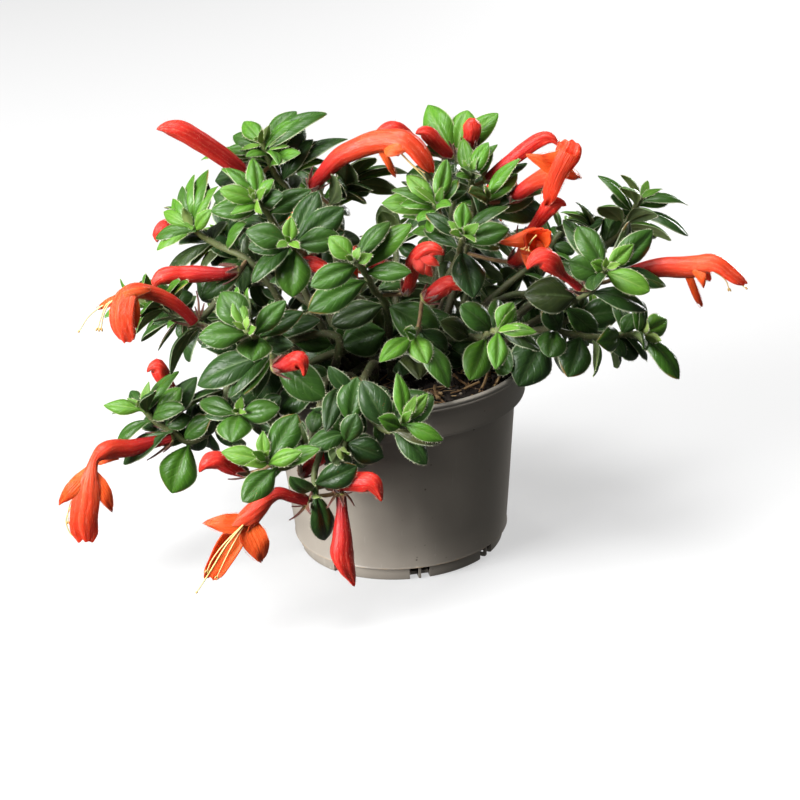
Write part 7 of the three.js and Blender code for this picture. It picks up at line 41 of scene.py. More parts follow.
# stems: shoot, axis points in mm, radii
STEMS = [
    ("shoot_01", [[-18.2,8.4,76],[-18.5,8.5,85],[-22.5,10.4,93],[-26.2,12.1,101.2],[-28.9,13.6,109.8],[-31.1,15.1,118.5],[-33.3,16.5,127.2],[-35.5,17.9,136],[-37.7,19.1,144.8],[-40,19.9,153.5],[-42.8,20.1,162.2],[-47.3,17.5,169.5],[-49.5,14.4,177.6],[-51.7,12,186.1]], [1.95,1.95,1.95,1.95,1.89,1.83,1.76,1.7,1.64,1.57,1.49,1.42,1.33,1.15]),
    ("shoot_02", [[-19.8,-3.4,76],[-20.1,-3.4,84.8],[-24.2,-4.1,92.7],[-28.3,-4.8,100.6],[-31.5,-5,108.9],[-34.6,-5.1,117.3],[-37.5,-5.2,125.7],[-40.4,-5.3,134.2],[-43.2,-5.8,142.6],[-46.1,-7,151],[-48.6,-11.1,158.4],[-50.7,-17,164.6],[-54.4,-22,171]], [1.95,1.95,1.94,1.88,1.82,1.76,1.69,1.63,1.56,1.49,1.41,1.33,1.15]),
    ("shoot_03", [[-26,-8.1,76],[-26.5,-8,85.2],[-31.5,-7.4,93],[-37.1,-6.7,100.5],[-42,-6.5,108.5],[-46.3,-6.6,116.8],[-50.6,-6.7,125.1],[-55.4,-6.5,133.1],[-61.8,-5.3,139.7],[-70,-2.4,143.2],[-78,-1,147.7],[-84.6,-2,154.2]], [1.95,1.95,1.91,1.84,1.78,1.71,1.65,1.58,1.5,1.42,1.34,1.15]),
    ("shoot_04", [[-15,-5.9,76],[-15.3,-6,85.3],[-18.7,-7.3,93.8],[-22.1,-8.6,102.4],[-25.2,-9.1,111.2],[-28.2,-9.4,120],[-31.1,-10.1,128.8],[-34,-11.6,137.6],[-36.3,-16.3,145],[-36.9,-25,148.3],[-37.7,-33.5,152.1],[-38.7,-41.8,156.2],[-39.5,-50,160.5]], [1.95,1.95,1.95,1.91,1.84,1.77,1.71,1.64,1.58,1.5,1.42,1.34,1.15]),
    ("shoot_05", [[-0.8,-10.9,76],[-0.8,-11.1,85.1],[-1,-13.4,93.9],[-1.2,-16.4,102.5],[-1.2,-19.7,111],[-1.4,-23.5,119.3],[-3,-28.7,126.5],[-6,-35.2,132.1],[-7.6,-41.9,138.1],[-9,-48.6,144.1],[-11,-55.2,150],[-13.9,-62,155.4]], [1.95,1.95,1.89,1.83,1.77,1.7,1.64,1.57,1.49,1.42,1.33,1.15]),
    ("shoot_06", [[-7.2,-4.1,76],[-7.2,-4.2,84.9],[-7.7,-4.6,93.8],[-8.3,-5.3,102.7],[-9.7,-6.5,111.5],[-12.9,-9.2,119.3],[-19.5,-14.2,122],[-26.8,-19.3,121.1],[-33.9,-24.4,119.2],[-40.8,-29.6,116.9],[-47.5,-35.1,114.8],[-53.5,-41.5,114],[-55.4,-49.3,117.7],[-55.9,-57,122],[-57.3,-64.9,126],[-58.8,-72,131.2]], [1.95,1.95,1.95,1.95,1.95,1.94,1.88,1.82,1.76,1.69,1.63,1.56,1.49,1.42,1.33,1.15]),
    ("shoot_07", [[10.8,0.8,76],[11,0.9,85.3],[13.7,1.1,94.3],[16.2,1.4,103.4],[18.5,2.2,112.4],[20.9,3.1,121.5],[23.1,3.6,130.6],[25,3.4,139.7],[25.6,-0.1,148.2],[24.1,-7.8,153.4],[22.9,-15.2,159],[21.3,-22,165.2]], [1.95,1.95,1.91,1.84,1.78,1.71,1.65,1.58,1.5,1.42,1.34,1.15]),
    ("shoot_08", [[14.9,-3.9,76],[14.8,-4,85.4],[14.2,-5.7,94.6],[15.2,-7.6,103.7],[18.4,-9.1,112.4],[22.3,-10.4,120.8],[26.4,-12.2,129.1],[30,-15.3,137.1],[31,-22.4,142.9],[31.1,-30.6,147.5],[31.6,-38.2,152.9],[31.5,-45,159.4]], [1.95,1.95,1.91,1.84,1.78,1.71,1.65,1.58,1.5,1.42,1.34,1.15]),
    ("shoot_09", [[16.2,1.7,76],[16.6,1.7,85.3],[20.4,2.1,93.9],[23.9,2.5,102.6],[27,3.1,111.5],[29.9,3.8,120.4],[32.7,4.3,129.4],[35.3,4.7,138.4],[37.8,4.6,147.5],[39,2.2,156.4],[38.2,-2.7,164.3],[37.1,-8,172.1]], [1.95,1.95,1.91,1.85,1.78,1.71,1.65,1.58,1.5,1.42,1.34,1.15]),
    ("shoot_10", [[5.2,-11.8,76],[5.3,-11.9,84.9],[6.2,-13.9,93.6],[7.9,-17.6,101.6],[11,-23.1,107.9],[12.3,-30.5,112.5],[10.4,-39.2,113.8],[9.1,-48,114.8]], [1.76,1.69,1.63,1.56,1.49,1.42,1.33,1.15]),
    ("shoot_11", [[16.4,-10.1,76],[16.7,-10.3,85.3],[19.5,-12,94.1],[24.8,-15.1,101],[33,-19.3,102.7],[39.8,-25.2,104.6],[40.8,-33.3,109.1],[42.9,-41.4,113.5],[44.8,-50,116.7]], [1.84,1.78,1.71,1.65,1.58,1.5,1.42,1.34,1.15]),
    ("shoot_12", [[36.8,-9.5,76],[37.2,-9.4,84.7],[43.5,-7.4,90.5],[50.8,-6,95.5],[57.8,-7.1,100.8],[64.3,-10.3,105.9],[70.6,-14.3,110.8],[76.7,-18.7,115.6],[82.6,-23.2,120.6],[87.6,-28.2,125.9],[90.2,-33.8,132.4],[91,-40,138.7]], [1.95,1.94,1.88,1.82,1.76,1.69,1.63,1.56,1.49,1.41,1.33,1.15]),
    ("shoot_13", [[35.9,2.2,76],[36.2,2.2,84.5],[41.8,2.5,91.1],[48.5,2.9,96.7],[55.2,3.3,102.2],[62,3.5,107.6],[69,3.7,112.8],[76,3.9,118],[83,4.2,123.1],[90,4.6,128.3],[96.8,5.5,133.5],[103,8,139.1],[108.2,11.5,145],[112.5,12,152.5]], [1.95,1.95,1.95,1.93,1.87,1.81,1.75,1.68,1.62,1.56,1.48,1.41,1.32,1.15]),
    ("shoot_14", [[29.2,-8.5,76],[29.6,-8.8,84.7],[35.1,-13.3,90],[42,-17,94.5],[49.5,-18.2,99],[57.6,-18.6,102.9],[66.3,-19.3,104.5],[75.1,-20,102.9],[83.6,-19.1,100.4],[92.2,-17.5,98.9],[101.1,-16.9,99.5],[110,-18,99.6]], [1.95,1.94,1.88,1.82,1.76,1.69,1.63,1.56,1.49,1.42,1.33,1.15]),
    ("shoot_15", [[-28,-28.5,76],[-28,-28.8,84.7],[-26.3,-32.2,92.7],[-24.3,-36.2,100.2],[-22.7,-40.5,107.8],[-22.5,-44.5,115.5],[-29.8,-43,117],[-37.3,-39.3,114.2],[-44.8,-36.1,110.9],[-49.8,-40.5,110],[-49.9,-49.2,111.2],[-50.1,-58,112]], [1.95,1.91,1.85,1.79,1.73,1.67,1.61,1.54,1.47,1.41,1.33,1.15]),
    ("shoot_16", [[-22.6,-18.4,76],[-22.2,-18.2,84.4],[-15.2,-14.5,88.1],[-7.8,-10.5,90.5],[-0.2,-6.5,92.6],[6.7,-2.8,95.8],[-0.6,-6.9,98.1],[-8.2,-11.1,99],[-15.9,-15.4,99.3],[-23.6,-19.7,99.2],[-31.2,-23.8,98.2],[-38.8,-27.9,96.5],[-46.1,-32.1,93.9],[-50.8,-36.8,88.7],[-55.1,-39.3,81.5],[-60.7,-45.1,80.1],[-64.1,-52.3,83.6],[-66.3,-58,89.8]], [1.95,1.95,1.95,1.95,1.95,1.95,1.95,1.93,1.87,1.8,1.74,1.68,1.62,1.55,1.48,1.41,1.32,1.15]),
    ("shoot_17", [[-35.1,-5.9,76],[-35.3,-5.9,84.9],[-38.5,-6.5,93.1],[-45.7,-7.7,97.9],[-54.3,-9.1,100],[-62.8,-10.5,98.6],[-68.5,-11.3,91.9],[-72.5,-11.7,83.9],[-76,-12.2,75.8],[-79.7,-12.9,67.7],[-85,-14.7,60.9],[-92.6,-18.5,60],[-98.7,-20.3,66.1],[-105.5,-21.6,71.7],[-110.6,-22,79]], [1.95,1.95,1.95,1.95,1.94,1.88,1.81,1.75,1.69,1.63,1.56,1.49,1.41,1.33,1.15]),
    ("shoot_18", [[-8.8,-27,76],[-9.4,-27.5,84.9],[-15.7,-32.9,88.9],[-22.2,-38.9,91.9],[-26.9,-45,96.9],[-29.6,-52.2,97.2],[-31.1,-58.3,90.5],[-33.7,-64.5,84.1],[-37.2,-67.1,76],[-42.2,-73.9,72.2],[-49.4,-79.5,72.3],[-54.8,-82,78.7]], [1.95,1.95,1.89,1.82,1.76,1.7,1.64,1.57,1.49,1.42,1.33,1.15]),
    ("shoot_19", [[-9.6,-37.2,76],[-9.9,-37.4,84.9],[-14.6,-40,92.2],[-18.8,-45.5,97.8],[-22.1,-53.4,98.4],[-24.3,-61.8,96],[-26.5,-69,91.9],[-29.1,-72,83.8],[-32.1,-74.6,75.7],[-34.8,-78.8,68.2],[-34.6,-82,59.8]], [1.94,1.88,1.82,1.76,1.7,1.63,1.57,1.49,1.42,1.33,1.15]),
    ("shoot_20", [[-8.3,-18.6,76],[-8.3,-19.1,85.2],[-7.9,-24.7,92.7],[-8.3,-32.4,97.8],[-10,-41.4,99.6],[-12.1,-50.4,99.1],[-14.2,-58.7,95.5],[-12.9,-67.9,95.8],[-9.5,-73.7,89.8],[-2.8,-76.5,85.1],[3.6,-78,90.8]], [1.95,1.9,1.83,1.77,1.7,1.63,1.56,1.49,1.41,1.32,1.15]),
    ("shoot_21", [[-10.4,3.4,76],[-10.6,3.4,85.1],[-13.1,4.2,93.8],[-15.3,4.9,102.5],[-17.5,5.2,111.3],[-19.6,5.4,120.2],[-21.6,5.6,129],[-23.4,5.9,137.9],[-24.8,6.5,146.9],[-24.7,8.1,155.7],[-19,13,160.5],[-13.3,18,165.6]], [1.95,1.95,1.89,1.83,1.76,1.7,1.64,1.57,1.49,1.42,1.33,1.15]),
    ("shoot_22", [[-25.3,15.4,76],[-25.5,15.6,85.1],[-27.4,18.5,93.7],[-31.2,22,101.2],[-37.5,25.6,106.8],[-44.8,29.2,111.2],[-52.3,32.8,115.2],[-59.8,36.4,119.2],[-66.8,40,123.9],[-72,43.7,130.6],[-78,48,136]], [1.95,1.9,1.84,1.77,1.71,1.64,1.57,1.5,1.42,1.33,1.15]),
    ("shoot_23", [[-15.2,27.5,76],[-15.4,27.9,85.1],[-18,32.6,92.7],[-21.2,38.3,99.3],[-24.8,44.8,104.9],[-28.6,51.8,109.7],[-32.5,58.8,114.4],[-36.2,65.6,119.6],[-38.9,71.3,126.4],[-42,78,132]], [1.9,1.84,1.78,1.71,1.65,1.58,1.5,1.42,1.34,1.15]),
    ("shoot_24", [[1.7,30.1,76],[1.7,30.7,85.3],[2,36.2,92.9],[2.5,44.2,98],[3,53.1,101.1],[3.5,62.2,103.8],[4,71.4,106.1],[4,78.2,112.7],[4,86,118]], [1.85,1.78,1.72,1.65,1.58,1.5,1.42,1.34,1.15]),
    ("shoot_25", [[17.3,28.3,76],[17.6,28.7,85.2],[20.4,33.4,92.7],[24,39.1,99.1],[28.1,45.8,104.2],[32.5,53,108.1],[37,60.3,111.8],[41.2,67.3,116.2],[44.4,73.2,122.8],[48,80,128]], [1.91,1.84,1.78,1.71,1.65,1.58,1.5,1.42,1.34,1.15]),
    ("shoot_26", [[30.1,18.4,76],[30.3,18.5,84.5],[34.6,21.1,91.6],[39.9,24.4,97.5],[45.9,28.1,102.6],[52.5,32,106.6],[59.3,36.1,110.1],[66,40.3,113.7],[72.4,44.2,117.9],[77.8,47.8,123.7],[84,52,128]], [1.93,1.87,1.8,1.74,1.68,1.62,1.56,1.48,1.41,1.32,1.15]),
    ("shoot_27", [[-29.6,20.6,76],[-29.7,20.7,85],[-32.4,22.5,93.4],[-38.6,26.9,97.9],[-46,32,99.3],[-53.3,37.1,98.5],[-59.9,41.5,94.1],[-65.9,45.6,88.8],[-72.4,50.4,85],[-77.9,55.9,89.4],[-84,62,92]], [1.95,1.89,1.82,1.76,1.7,1.63,1.57,1.49,1.42,1.33,1.15]),
    ("shoot_28", [[13.7,33.3,76],[13.8,33.4,84.6],[14.8,36,92.7],[17.4,42.4,97.5],[20.6,50.1,99.4],[23.9,58.1,99],[26.8,64.9,94.8],[29.2,70.8,89],[31.6,76.5,83],[34.4,83.5,79.4],[37,90.3,83.7],[40,98,86]], [1.95,1.92,1.86,1.8,1.74,1.68,1.62,1.55,1.48,1.41,1.32,1.15]),
    ("shoot_09", [[37.6,4.6,146.8],[40.5,-0.3,149.9],[42.4,-5.1,153.7],[42.5,-9.5,158.4],[43.7,-14,162.9]], [1.48,1.43,1.37,1.28,1.15]),
    ("shoot_09", [[38.8,-0,159.7],[36.9,3.2,165.5],[35.4,10.2,166.4],[33.6,15.5,170],[31.9,16,176.9]], [1.5,1.44,1.38,1.29,1.15]),
    ("shoot_13", [[82.3,4.1,122.6],[88.9,8.9,126.6],[92.5,17.1,127],[93.2,25.4,129.5],[90.8,30,136.8]], [1.56,1.49,1.41,1.33,1.15]),
    ("shoot_06", [[-54.8,-43.9,114.7],[-62.4,-47.3,118.3],[-70.9,-44,120.5],[-78.7,-39.1,121.1],[-85.8,-33,121.7],[-92.6,-26.8,123.3],[-99.7,-22,126.8]], [1.71,1.65,1.58,1.5,1.42,1.34,1.15]),
    ("shoot_20", [[-14.1,-61.8,95.5],[-15.6,-67.1,96],[-18.1,-71.2,90.7],[-20.2,-74,84.2],[-22.3,-78,78.3]], [1.5,1.45,1.39,1.3,1.15]),
    ("shoot_24", [[3.3,59.7,103],[-0,68.2,101.8],[-4.7,75.3,98.9],[-11.1,77.9,92.9],[-17.5,79.2,86.5],[-24.3,81.8,81.1],[-26.2,89.4,85.3],[-28,98,88]], [1.77,1.7,1.64,1.57,1.49,1.42,1.33,1.15]),
    ("shoot_23", [[-29.6,53.4,110.8],[-31.6,54.6,119],[-31.5,51.4,126.5],[-29.6,44.7,131.4],[-27.6,37.9,136.2],[-26.7,34.3,143.2],[-28.3,38.1,150.6],[-30,42,158]], [1.73,1.67,1.61,1.55,1.47,1.41,1.32,1.15]),
    ("shoot_25", [[31.1,50.6,106.9],[33.8,52.6,115.1],[34.5,50.5,123.3],[32.9,44.2,129.5],[30.9,37.7,135.3],[29.9,33.7,142.8],[31.8,37.6,150.5],[34,42,158]], [1.75,1.69,1.63,1.56,1.49,1.41,1.33,1.15]),
    ("shoot_26", [[43.8,26.7,101],[51.9,30.1,102.3],[60.1,33.1,102.2],[67.5,34.4,97.6],[74,34.9,91.6],[81.2,36.2,86.9],[88.3,39.9,90.4],[96,44,92]], [1.75,1.69,1.63,1.56,1.49,1.41,1.33,1.15]),
    ("shoot_22", [[-49.9,31.6,114],[-59.2,32.1,115],[-68.4,31.4,114.9],[-75.7,27.3,111],[-81.8,22.2,106.1],[-89,17.7,102.5],[-96,19.6,107.9],[-104,22,112]], [1.77,1.71,1.64,1.57,1.5,1.42,1.34,1.15]),
]
# leaves: shoot, base, tip, direction of the upper face, width, order from the tip, tone (d also paints shade on leaves
# deep inside the plant, b paints backlit brightness, g partly paints sheen), arch, 1 for the finer mesh
LEAVES = [
    ("shoot_01", [-50.7,16.5,181.7], [-36.4,24.8,195.4], [-0.15,-0.52,0.84], 10.6, 3, "m", 0.12, 1),
    ("shoot_01", [-50,11.6,181.4], [-23.1,19.1,195.3], [-0.63,-0.4,0.67], 13.2, 3, "m", 0.12, 1),
    ("shoot_01", [-50.5,11.4,183], [-34.1,15.8,194.6], [-0.44,-0.2,0.88], 8.7, 3, "g", 0.12, 1),
    ("shoot_01", [-49.4,14.5,177.3], [-35.5,21.1,191.8], [-0.35,-0.46,0.82], 9.2, 3, "g", 0.12, 1),
    ("shoot_01", [-44.4,18.4,166.1], [-29.7,17.6,184.4], [-0.13,-0.6,0.79], 9.8, 3, "d", 0.12, 1),
    ("shoot_01", [-44.4,18.6,166], [-14.7,23.7,182], [-0.17,-0.05,0.98], 14.3, 3, "d", 0.12, 1),
    ("shoot_01", [-51,11.3,184.6], [-59.6,24.6,192.1], [-0.07,-0.61,0.79], 8.4, 2, "m", 0.1, 1),
    ("shoot_01", [-50.6,13.9,182.3], [-64.5,20.1,187.2], [-0.49,-0.33,0.81], 8.9, 3, "m", 0.12, 1),
    ("shoot_01", [-49.7,14.7,178.9], [-68.6,14.1,182.3], [0.27,-0.29,0.92], 8.5, 3, "g", 0.12, 1),
    ("shoot_01", [-49.6,14,179.1], [-58.5,3.4,182.2], [0.36,0.07,0.93], 6.2, 2, "g", 0.1, 1),
    ("shoot_01", [-49.2,14.5,174.1], [-35.1,4.6,182.1], [-0.66,-0.19,0.72], 8.5, 3, "g", 0.12, 1),
    ("shoot_01", [-50.6,13.7,182.4], [-42,10.4,189.1], [-0.61,-0.35,0.71], 4.2, 1, "y", 0.07, 1),
    ("shoot_01", [-51.2,13,184.2], [-47.9,9.3,194], [-0.18,0.8,0.57], 4, 1, "y", 0.07, 1),
    ("shoot_01", [-51.7,12,186.1], [-54.8,8.7,188.9], [-0.53,0.79,0.32], 2.2, 0, "y", 0.04, 1),
    ("shoot_01", [-51.1,12.3,184.4], [-50.7,2.7,194.4], [-0.79,0.29,0.54], 4.2, 1, "y", 0.07, 1),
    ("shoot_01", [-50.6,14.3,182.2], [-40.2,9.2,184.2], [-0.42,-0.34,0.84], 4.5, 1, "y", 0.07, 1),
    ("shoot_01", [-51.1,12.3,184.4], [-61.2,10.4,183.4], [0.28,-0.16,0.95], 4.3, 1, "y", 0.07, 1),
    ("shoot_01", [-50,13.5,180.8], [-44.3,-2.6,179.7], [0.46,0.1,0.88], 6.5, 2, "g", 0.1, 1),
    ("shoot_01", [-44.5,19.7,165.7], [-25.2,19.5,173.7], [-0.47,-0.19,0.86], 9.2, 3, "g", 0.12, 1),
    ("shoot_01", [-49.3,13.6,176], [-79,17.1,177.9], [0.28,-0.07,0.96], 12.4, 3, "g", 0.12, 1),
    ("shoot_01", [-44.5,21.1,165.3], [-28,20.9,182.7], [-0.74,-0.24,0.62], 9.8, 3, "d", 0.12, 1),
    ("shoot_01", [-49.5,16.8,175.1], [-70,12.2,176.7], [0.41,0.04,0.91], 8.8, 3, "g", 0.12, 1),
    ("shoot_02", [-53.5,-20.6,169.7], [-55,-8.2,185], [0.43,-0.79,0.43], 8.6, 2, "m", 0.1, 1),
    ("shoot_02", [-53.5,-21,169.8], [-45.7,-22.4,179.2], [-0.66,-0.62,0.43], 6.1, 2, "m", 0.1, 1),
    ("shoot_02", [-53.5,-21.3,169.9], [-68.8,-23,176.4], [0.08,-0.9,0.42], 7.8, 2, "y", 0.1, 1),
    ("shoot_02", [-49.8,-15,161.9], [-30.8,-15.5,171.7], [-0.22,-0.9,0.38], 9.1, 3, "m", 0.12, 1),
    ("shoot_02", [-51.3,-17.7,165.9], [-73.6,-18.1,165.5], [-0.16,-0.84,0.52], 9.5, 3, "m", 0.12, 1),
    ("shoot_02", [-51.8,-19.1,167.3], [-64.5,-28.4,166.7], [-0.01,-0.27,0.96], 6.4, 2, "m", 0.1, 1),
    ("shoot_02", [-51.8,-18.4,167.1], [-48.1,-7.8,173.2], [-0.16,0.09,0.98], 8, 3, "d", 0.12, 1),
    ("shoot_02", [-52.8,-18.1,168], [-68.3,-10.6,181.6], [0.63,-0.27,0.73], 9.7, 3, "g", 0.12, 1),
    ("shoot_02", [-54.4,-21.8,171], [-56.8,-23.4,176.8], [0.52,-0.85,0.01], 3, 0, "y", 0.04, 1),
    ("shoot_02", [-53.5,-20.5,169.7], [-49,-28.2,177.6], [-0.8,-0.59,-0.09], 3.9, 1, "y", 0.07, 1),
    ("shoot_02", [-53.7,-18.1,168.9], [-62.3,-22,172.6], [0.65,-0.15,0.75], 4, 1, "y", 0.07, 1),
    ("shoot_02", [-53.5,-21.3,169.9], [-50.8,-36.3,169.1], [-0.93,-0.21,0.32], 4.4, 1, "y", 0.07, 1),
    ("shoot_02", [-54.3,-22.7,171.2], [-55,-25.8,174.7], [-0.64,0.65,0.42], 2.1, 0, "y", 0.04, 1),
    ("shoot_02", [-51.2,-18.1,166.1], [-42.2,-26.9,173.7], [-0.88,-0.37,0.29], 8.3, 3, "d", 0.12, 1),
    ("shoot_02", [-52.6,-19.4,168.4], [-66.2,-12.8,182.4], [0.41,-0.3,0.86], 9.2, 3, "g", 0.12, 1),
    ("shoot_02", [-46.8,-7.6,153.1], [-64,1.1,153.9], [-0.17,-0.42,0.89], 8.1, 3, "d", 0.12, 1),
    ("shoot_03", [-83.1,-5,153.9], [-96.3,6.6,158.5], [-0.41,-0.7,0.58], 6.6, 2, "y", 0.1, 1),
    ("shoot_03", [-82,-4.8,152.7], [-100.1,0.4,148.7], [-0.21,-0.42,0.88], 8.9, 3, "m", 0.12, 1),
    ("shoot_03", [-82.1,-3.7,152.3], [-99.6,-4.2,144.7], [-0.4,-0.33,0.86], 8.6, 3, "y", 0.12, 1),
    ("shoot_03", [-82.3,-2.3,151.9], [-74.1,-9.2,163.3], [-0.7,-0.71,-0.01], 6.4, 2, "y", 0.1, 1),
    ("shoot_03", [-83.2,-4.1,153.6], [-86.5,-5.3,163.4], [-0.37,0.91,0.19], 4.1, 1, "y", 0.07, 1),
    ("shoot_03", [-82.8,2.9,150.3], [-81.6,11.3,167.1], [-0.25,-0.66,0.71], 9, 3, "m", 0.12, 1),
    ("shoot_03", [-82.3,-1.8,151.7], [-75.4,7.4,176.2], [-0.78,-0.48,0.4], 11.3, 3, "g", 0.12, 1),
    ("shoot_03", [-81.4,0.8,149.7], [-75.9,5.9,170.6], [-0.5,-0.71,0.5], 9.4, 3, "d", 0.12, 1),
    ("shoot_03", [-82.8,2.3,150.4], [-96.9,16.4,157.2], [0.39,0.28,0.88], 9.6, 3, "g", 0.12, 1),
    ("shoot_03", [-82.3,-2.3,151.9], [-92.1,9.1,163.4], [-0.86,-0.46,0.21], 9.6, 3, "g", 0.12, 1),
    ("shoot_03", [-82.4,-1.3,151.6], [-87.4,7.9,169.2], [-0.75,-0.6,0.26], 9.7, 3, "m", 0.12, 1),
    ("shoot_03", [-75.2,-1.3,145.9], [-90.9,16.3,141.6], [-0.33,-0.07,0.94], 11.1, 4, "d", 0.1, 1),
    ("shoot_03", [-75.2,-1.3,145.9], [-97,-7.2,131.9], [-0.5,-0.18,0.85], 12.2, 4, "m", 0.1, 1),
    ("shoot_03", [-73.4,-1.6,144.9], [-86.4,9.3,131.6], [-0.74,-0.07,0.67], 9.9, 4, "g", 0.1, 1),
    ("shoot_03", [-82.4,-1.1,151.5], [-81.8,8.7,173.9], [-0.86,-0.43,0.26], 10.4, 3, "g", 0.12, 1),
    ("shoot_03", [-68.6,-2.9,142.6], [-59.5,-14.9,157.9], [-0.89,-0.12,0.44], 9.9, 4, "g", 0.1, 1),
    ("shoot_03", [-59.2,-5.7,137.6], [-81.8,-9.2,122.8], [-0.39,-0.56,0.73], 12.4, 4, "m", 0.1, 1),
    ("shoot_03", [-75.2,-1.3,145.9], [-72.5,19.7,147.4], [-0.49,0,0.87], 9.8, 4, "d", 0.1, 1),
    ("shoot_03", [-82.4,-1.3,151.6], [-71.1,-0.6,170.9], [-0.66,-0.44,0.61], 8.9, 3, "y", 0.12, 1),
    ("shoot_04", [-39.2,-46.7,158.8], [-57.4,-47.6,165.4], [0.21,-0.86,0.46], 10.5, 3, "m", 0.12, 1),
    ("shoot_04", [-38.6,-42.2,156.4], [-57,-44.9,157.7], [-0.16,-0.75,0.64], 9.3, 4, "d", 0.1, 1),
    ("shoot_04", [-38.3,-38.4,154.5], [-40.4,-47.2,135.5], [-0.13,-0.75,0.65], 14.5, 3, "m", 0.12, 1),
    ("shoot_04", [-38.9,-43.8,157.2], [-18.8,-43.9,159.6], [-0.32,-0.91,0.26], 10.2, 3, "m", 0.12, 1),
    ("shoot_04", [-39.4,-48.3,159.6], [-38.4,-49.5,171.1], [-0.2,-0.98,-0.09], 6.3, 1, "y", 0.07, 1),
    ("shoot_04", [-39.4,-48.6,159.7], [-35.3,-61.3,161.1], [-0.27,-0.04,0.96], 4, 1, "y", 0.07, 1),
    ("shoot_04", [-39.4,-48.1,159.6], [-45,-55.2,160.2], [0.41,-0.32,0.85], 4, 1, "y", 0.07, 1),
    ("shoot_04", [-38.7,-42.1,156.3], [-27.2,-30.4,175.4], [-0.16,-0.82,0.55], 11.7, 4, "m", 0.1, 1),
    ("shoot_04", [-38.7,-41.3,156.1], [-56.3,-50,143.9], [-0.37,-0.4,0.84], 10.7, 4, "d", 0.1, 1),
    ("shoot_04", [-31.5,-10.5,130.2], [-51.5,-12,130.3], [-0.03,-0.15,0.99], 10.2, 4, "d", 0.1, 1),
    ("shoot_04", [-39.5,-50,160.5], [-41.6,-53.6,164.4], [0.7,-0.67,-0.24], 2.1, 0, "y", 0.04, 1),
    ("shoot_04", [-38.6,-43.3,156.7], [-17.1,-36.8,169.7], [-0.03,-0.89,0.45], 12.1, 4, "d", 0.1, 1),
    ("shoot_04", [-38.7,-41.6,156.2], [-17.3,-40.4,160.4], [0.29,-0.7,0.66], 10.2, 4, "d", 0.1, 1),
    ("shoot_05", [-13.3,-60,154.1], [-23.1,-56.8,164.2], [0.41,-0.9,0.14], 9.2, 2, "y", 0.1, 1),
    ("shoot_05", [-13.3,-61.3,154.6], [-10.7,-61.8,160.5], [-0.7,-0.68,-0.22], 3.9, 1, "y", 0.07, 1),
    ("shoot_05", [-13.9,-62,155.4], [-16.9,-65.7,158.5], [0.77,-0.63,0.02], 2.5, 0, "y", 0.04, 1),
    ("shoot_05", [-12.7,-59.8,153.5], [-5.7,-61,157.1], [-0.69,-0.7,0.17], 4.6, 1, "y", 0.07, 1),
    ("shoot_05", [-11.6,-56.7,151.2], [-31.5,-66,146.6], [0.23,-0.77,0.59], 10.5, 3, "m", 0.12, 1),
    ("shoot_05", [-8.1,-44.6,140.5], [-33.9,-53.2,131.1], [0.07,-0.82,0.56], 12.8, 3, "m", 0.12, 1),
    ("shoot_05", [-12.7,-59.3,153.3], [1.9,-46.7,165.8], [-0.32,-0.68,0.66], 9.1, 3, "m", 0.12, 1),
    ("shoot_05", [-9.7,-51.2,146.6], [10.8,-45.6,163.9], [-0.43,-0.67,0.61], 11.4, 3, "g", 0.12, 1),
    ("shoot_05", [-9.4,-50,145.5], [9.5,-57.6,147.4], [-0.35,-0.75,0.56], 8.6, 3, "m", 0.12, 1),
    ("shoot_05", [-5.8,-34.9,131.7], [8.8,-24,130.4], [0.38,-0.14,0.91], 8.4, 4, "d", 0.1, 1),
    ("shoot_05", [-11,-54.4,149.8], [-9.8,-41.7,154.9], [-0.6,-0.05,0.8], 9.2, 4, "d", 0.1, 1),
    ("shoot_05", [-11,-55.5,150.2], [-8.2,-50.6,160.1], [-0.53,-0.03,0.85], 9.1, 4, "d", 0.1, 1),
    ("shoot_05", [-1.7,-25.1,122], [-25.1,-28.7,115.7], [-0.01,-0.85,0.53], 11.8, 4, "d", 0.1, 1),
    ("shoot_05", [-1.2,-18.2,107.3], [-21.5,-23.6,103.8], [0.12,-0.81,0.57], 16.8, 4, "d", 0.1, 1),
    ("shoot_05", [-1.7,-24.3,121.8], [20.4,-29.1,108.6], [-0.09,-0.77,0.63], 17.5, 4, "d", 0.1, 1),
    ("shoot_05", [-1.2,-19.2,109.4], [28.1,-22.4,112.3], [-0.22,-0.31,0.93], 13.4, 4, "d", 0.1, 1),
    ("shoot_06", [-58.3,-69.2,129.1], [-68.6,-59.6,143.6], [-0.07,-0.74,0.67], 13.3, 3, "m", 0.12, 1),
    ("shoot_06", [-58.5,-70.7,130.2], [-63.5,-64.9,141.6], [0.26,-0.95,0.19], 6.7, 1, "y", 0.07, 1),
    ("shoot_06", [-56.9,-62.4,124.5], [-42.4,-60.3,138.6], [-0.21,-0.91,0.36], 8.8, 3, "m", 0.12, 1),
    ("shoot_06", [-57.6,-67.5,127.5], [-78.6,-69.3,128], [0.07,-0.8,0.6], 10.9, 3, "m", 0.12, 1),
    ("shoot_06", [-57.2,-63.8,125.3], [-78,-68.5,123.4], [-0.14,-0.13,0.98], 10.2, 4, "d", 0.1, 1),
    ("shoot_06", [-55.3,-52.4,119.7], [-57.5,-71,117.1], [0.09,-0.14,0.98], 14.5, 3, "m", 0.12, 1),
    ("shoot_06", [-58.7,-73.7,131.8], [-57.5,-72.9,137.3], [-0.53,-0.85,-0.04], 2.9, 0, "y", 0.04, 1),
    ("shoot_06", [-58.2,-70.5,129.6], [-54.2,-76.7,133.8], [-0.87,-0.46,0.18], 4, 1, "y", 0.07, 1),
    ("shoot_06", [-58.8,-72,131.2], [-63.7,-74.1,135.7], [0.55,-0.81,0.21], 2.5, 0, "y", 0.04, 1),
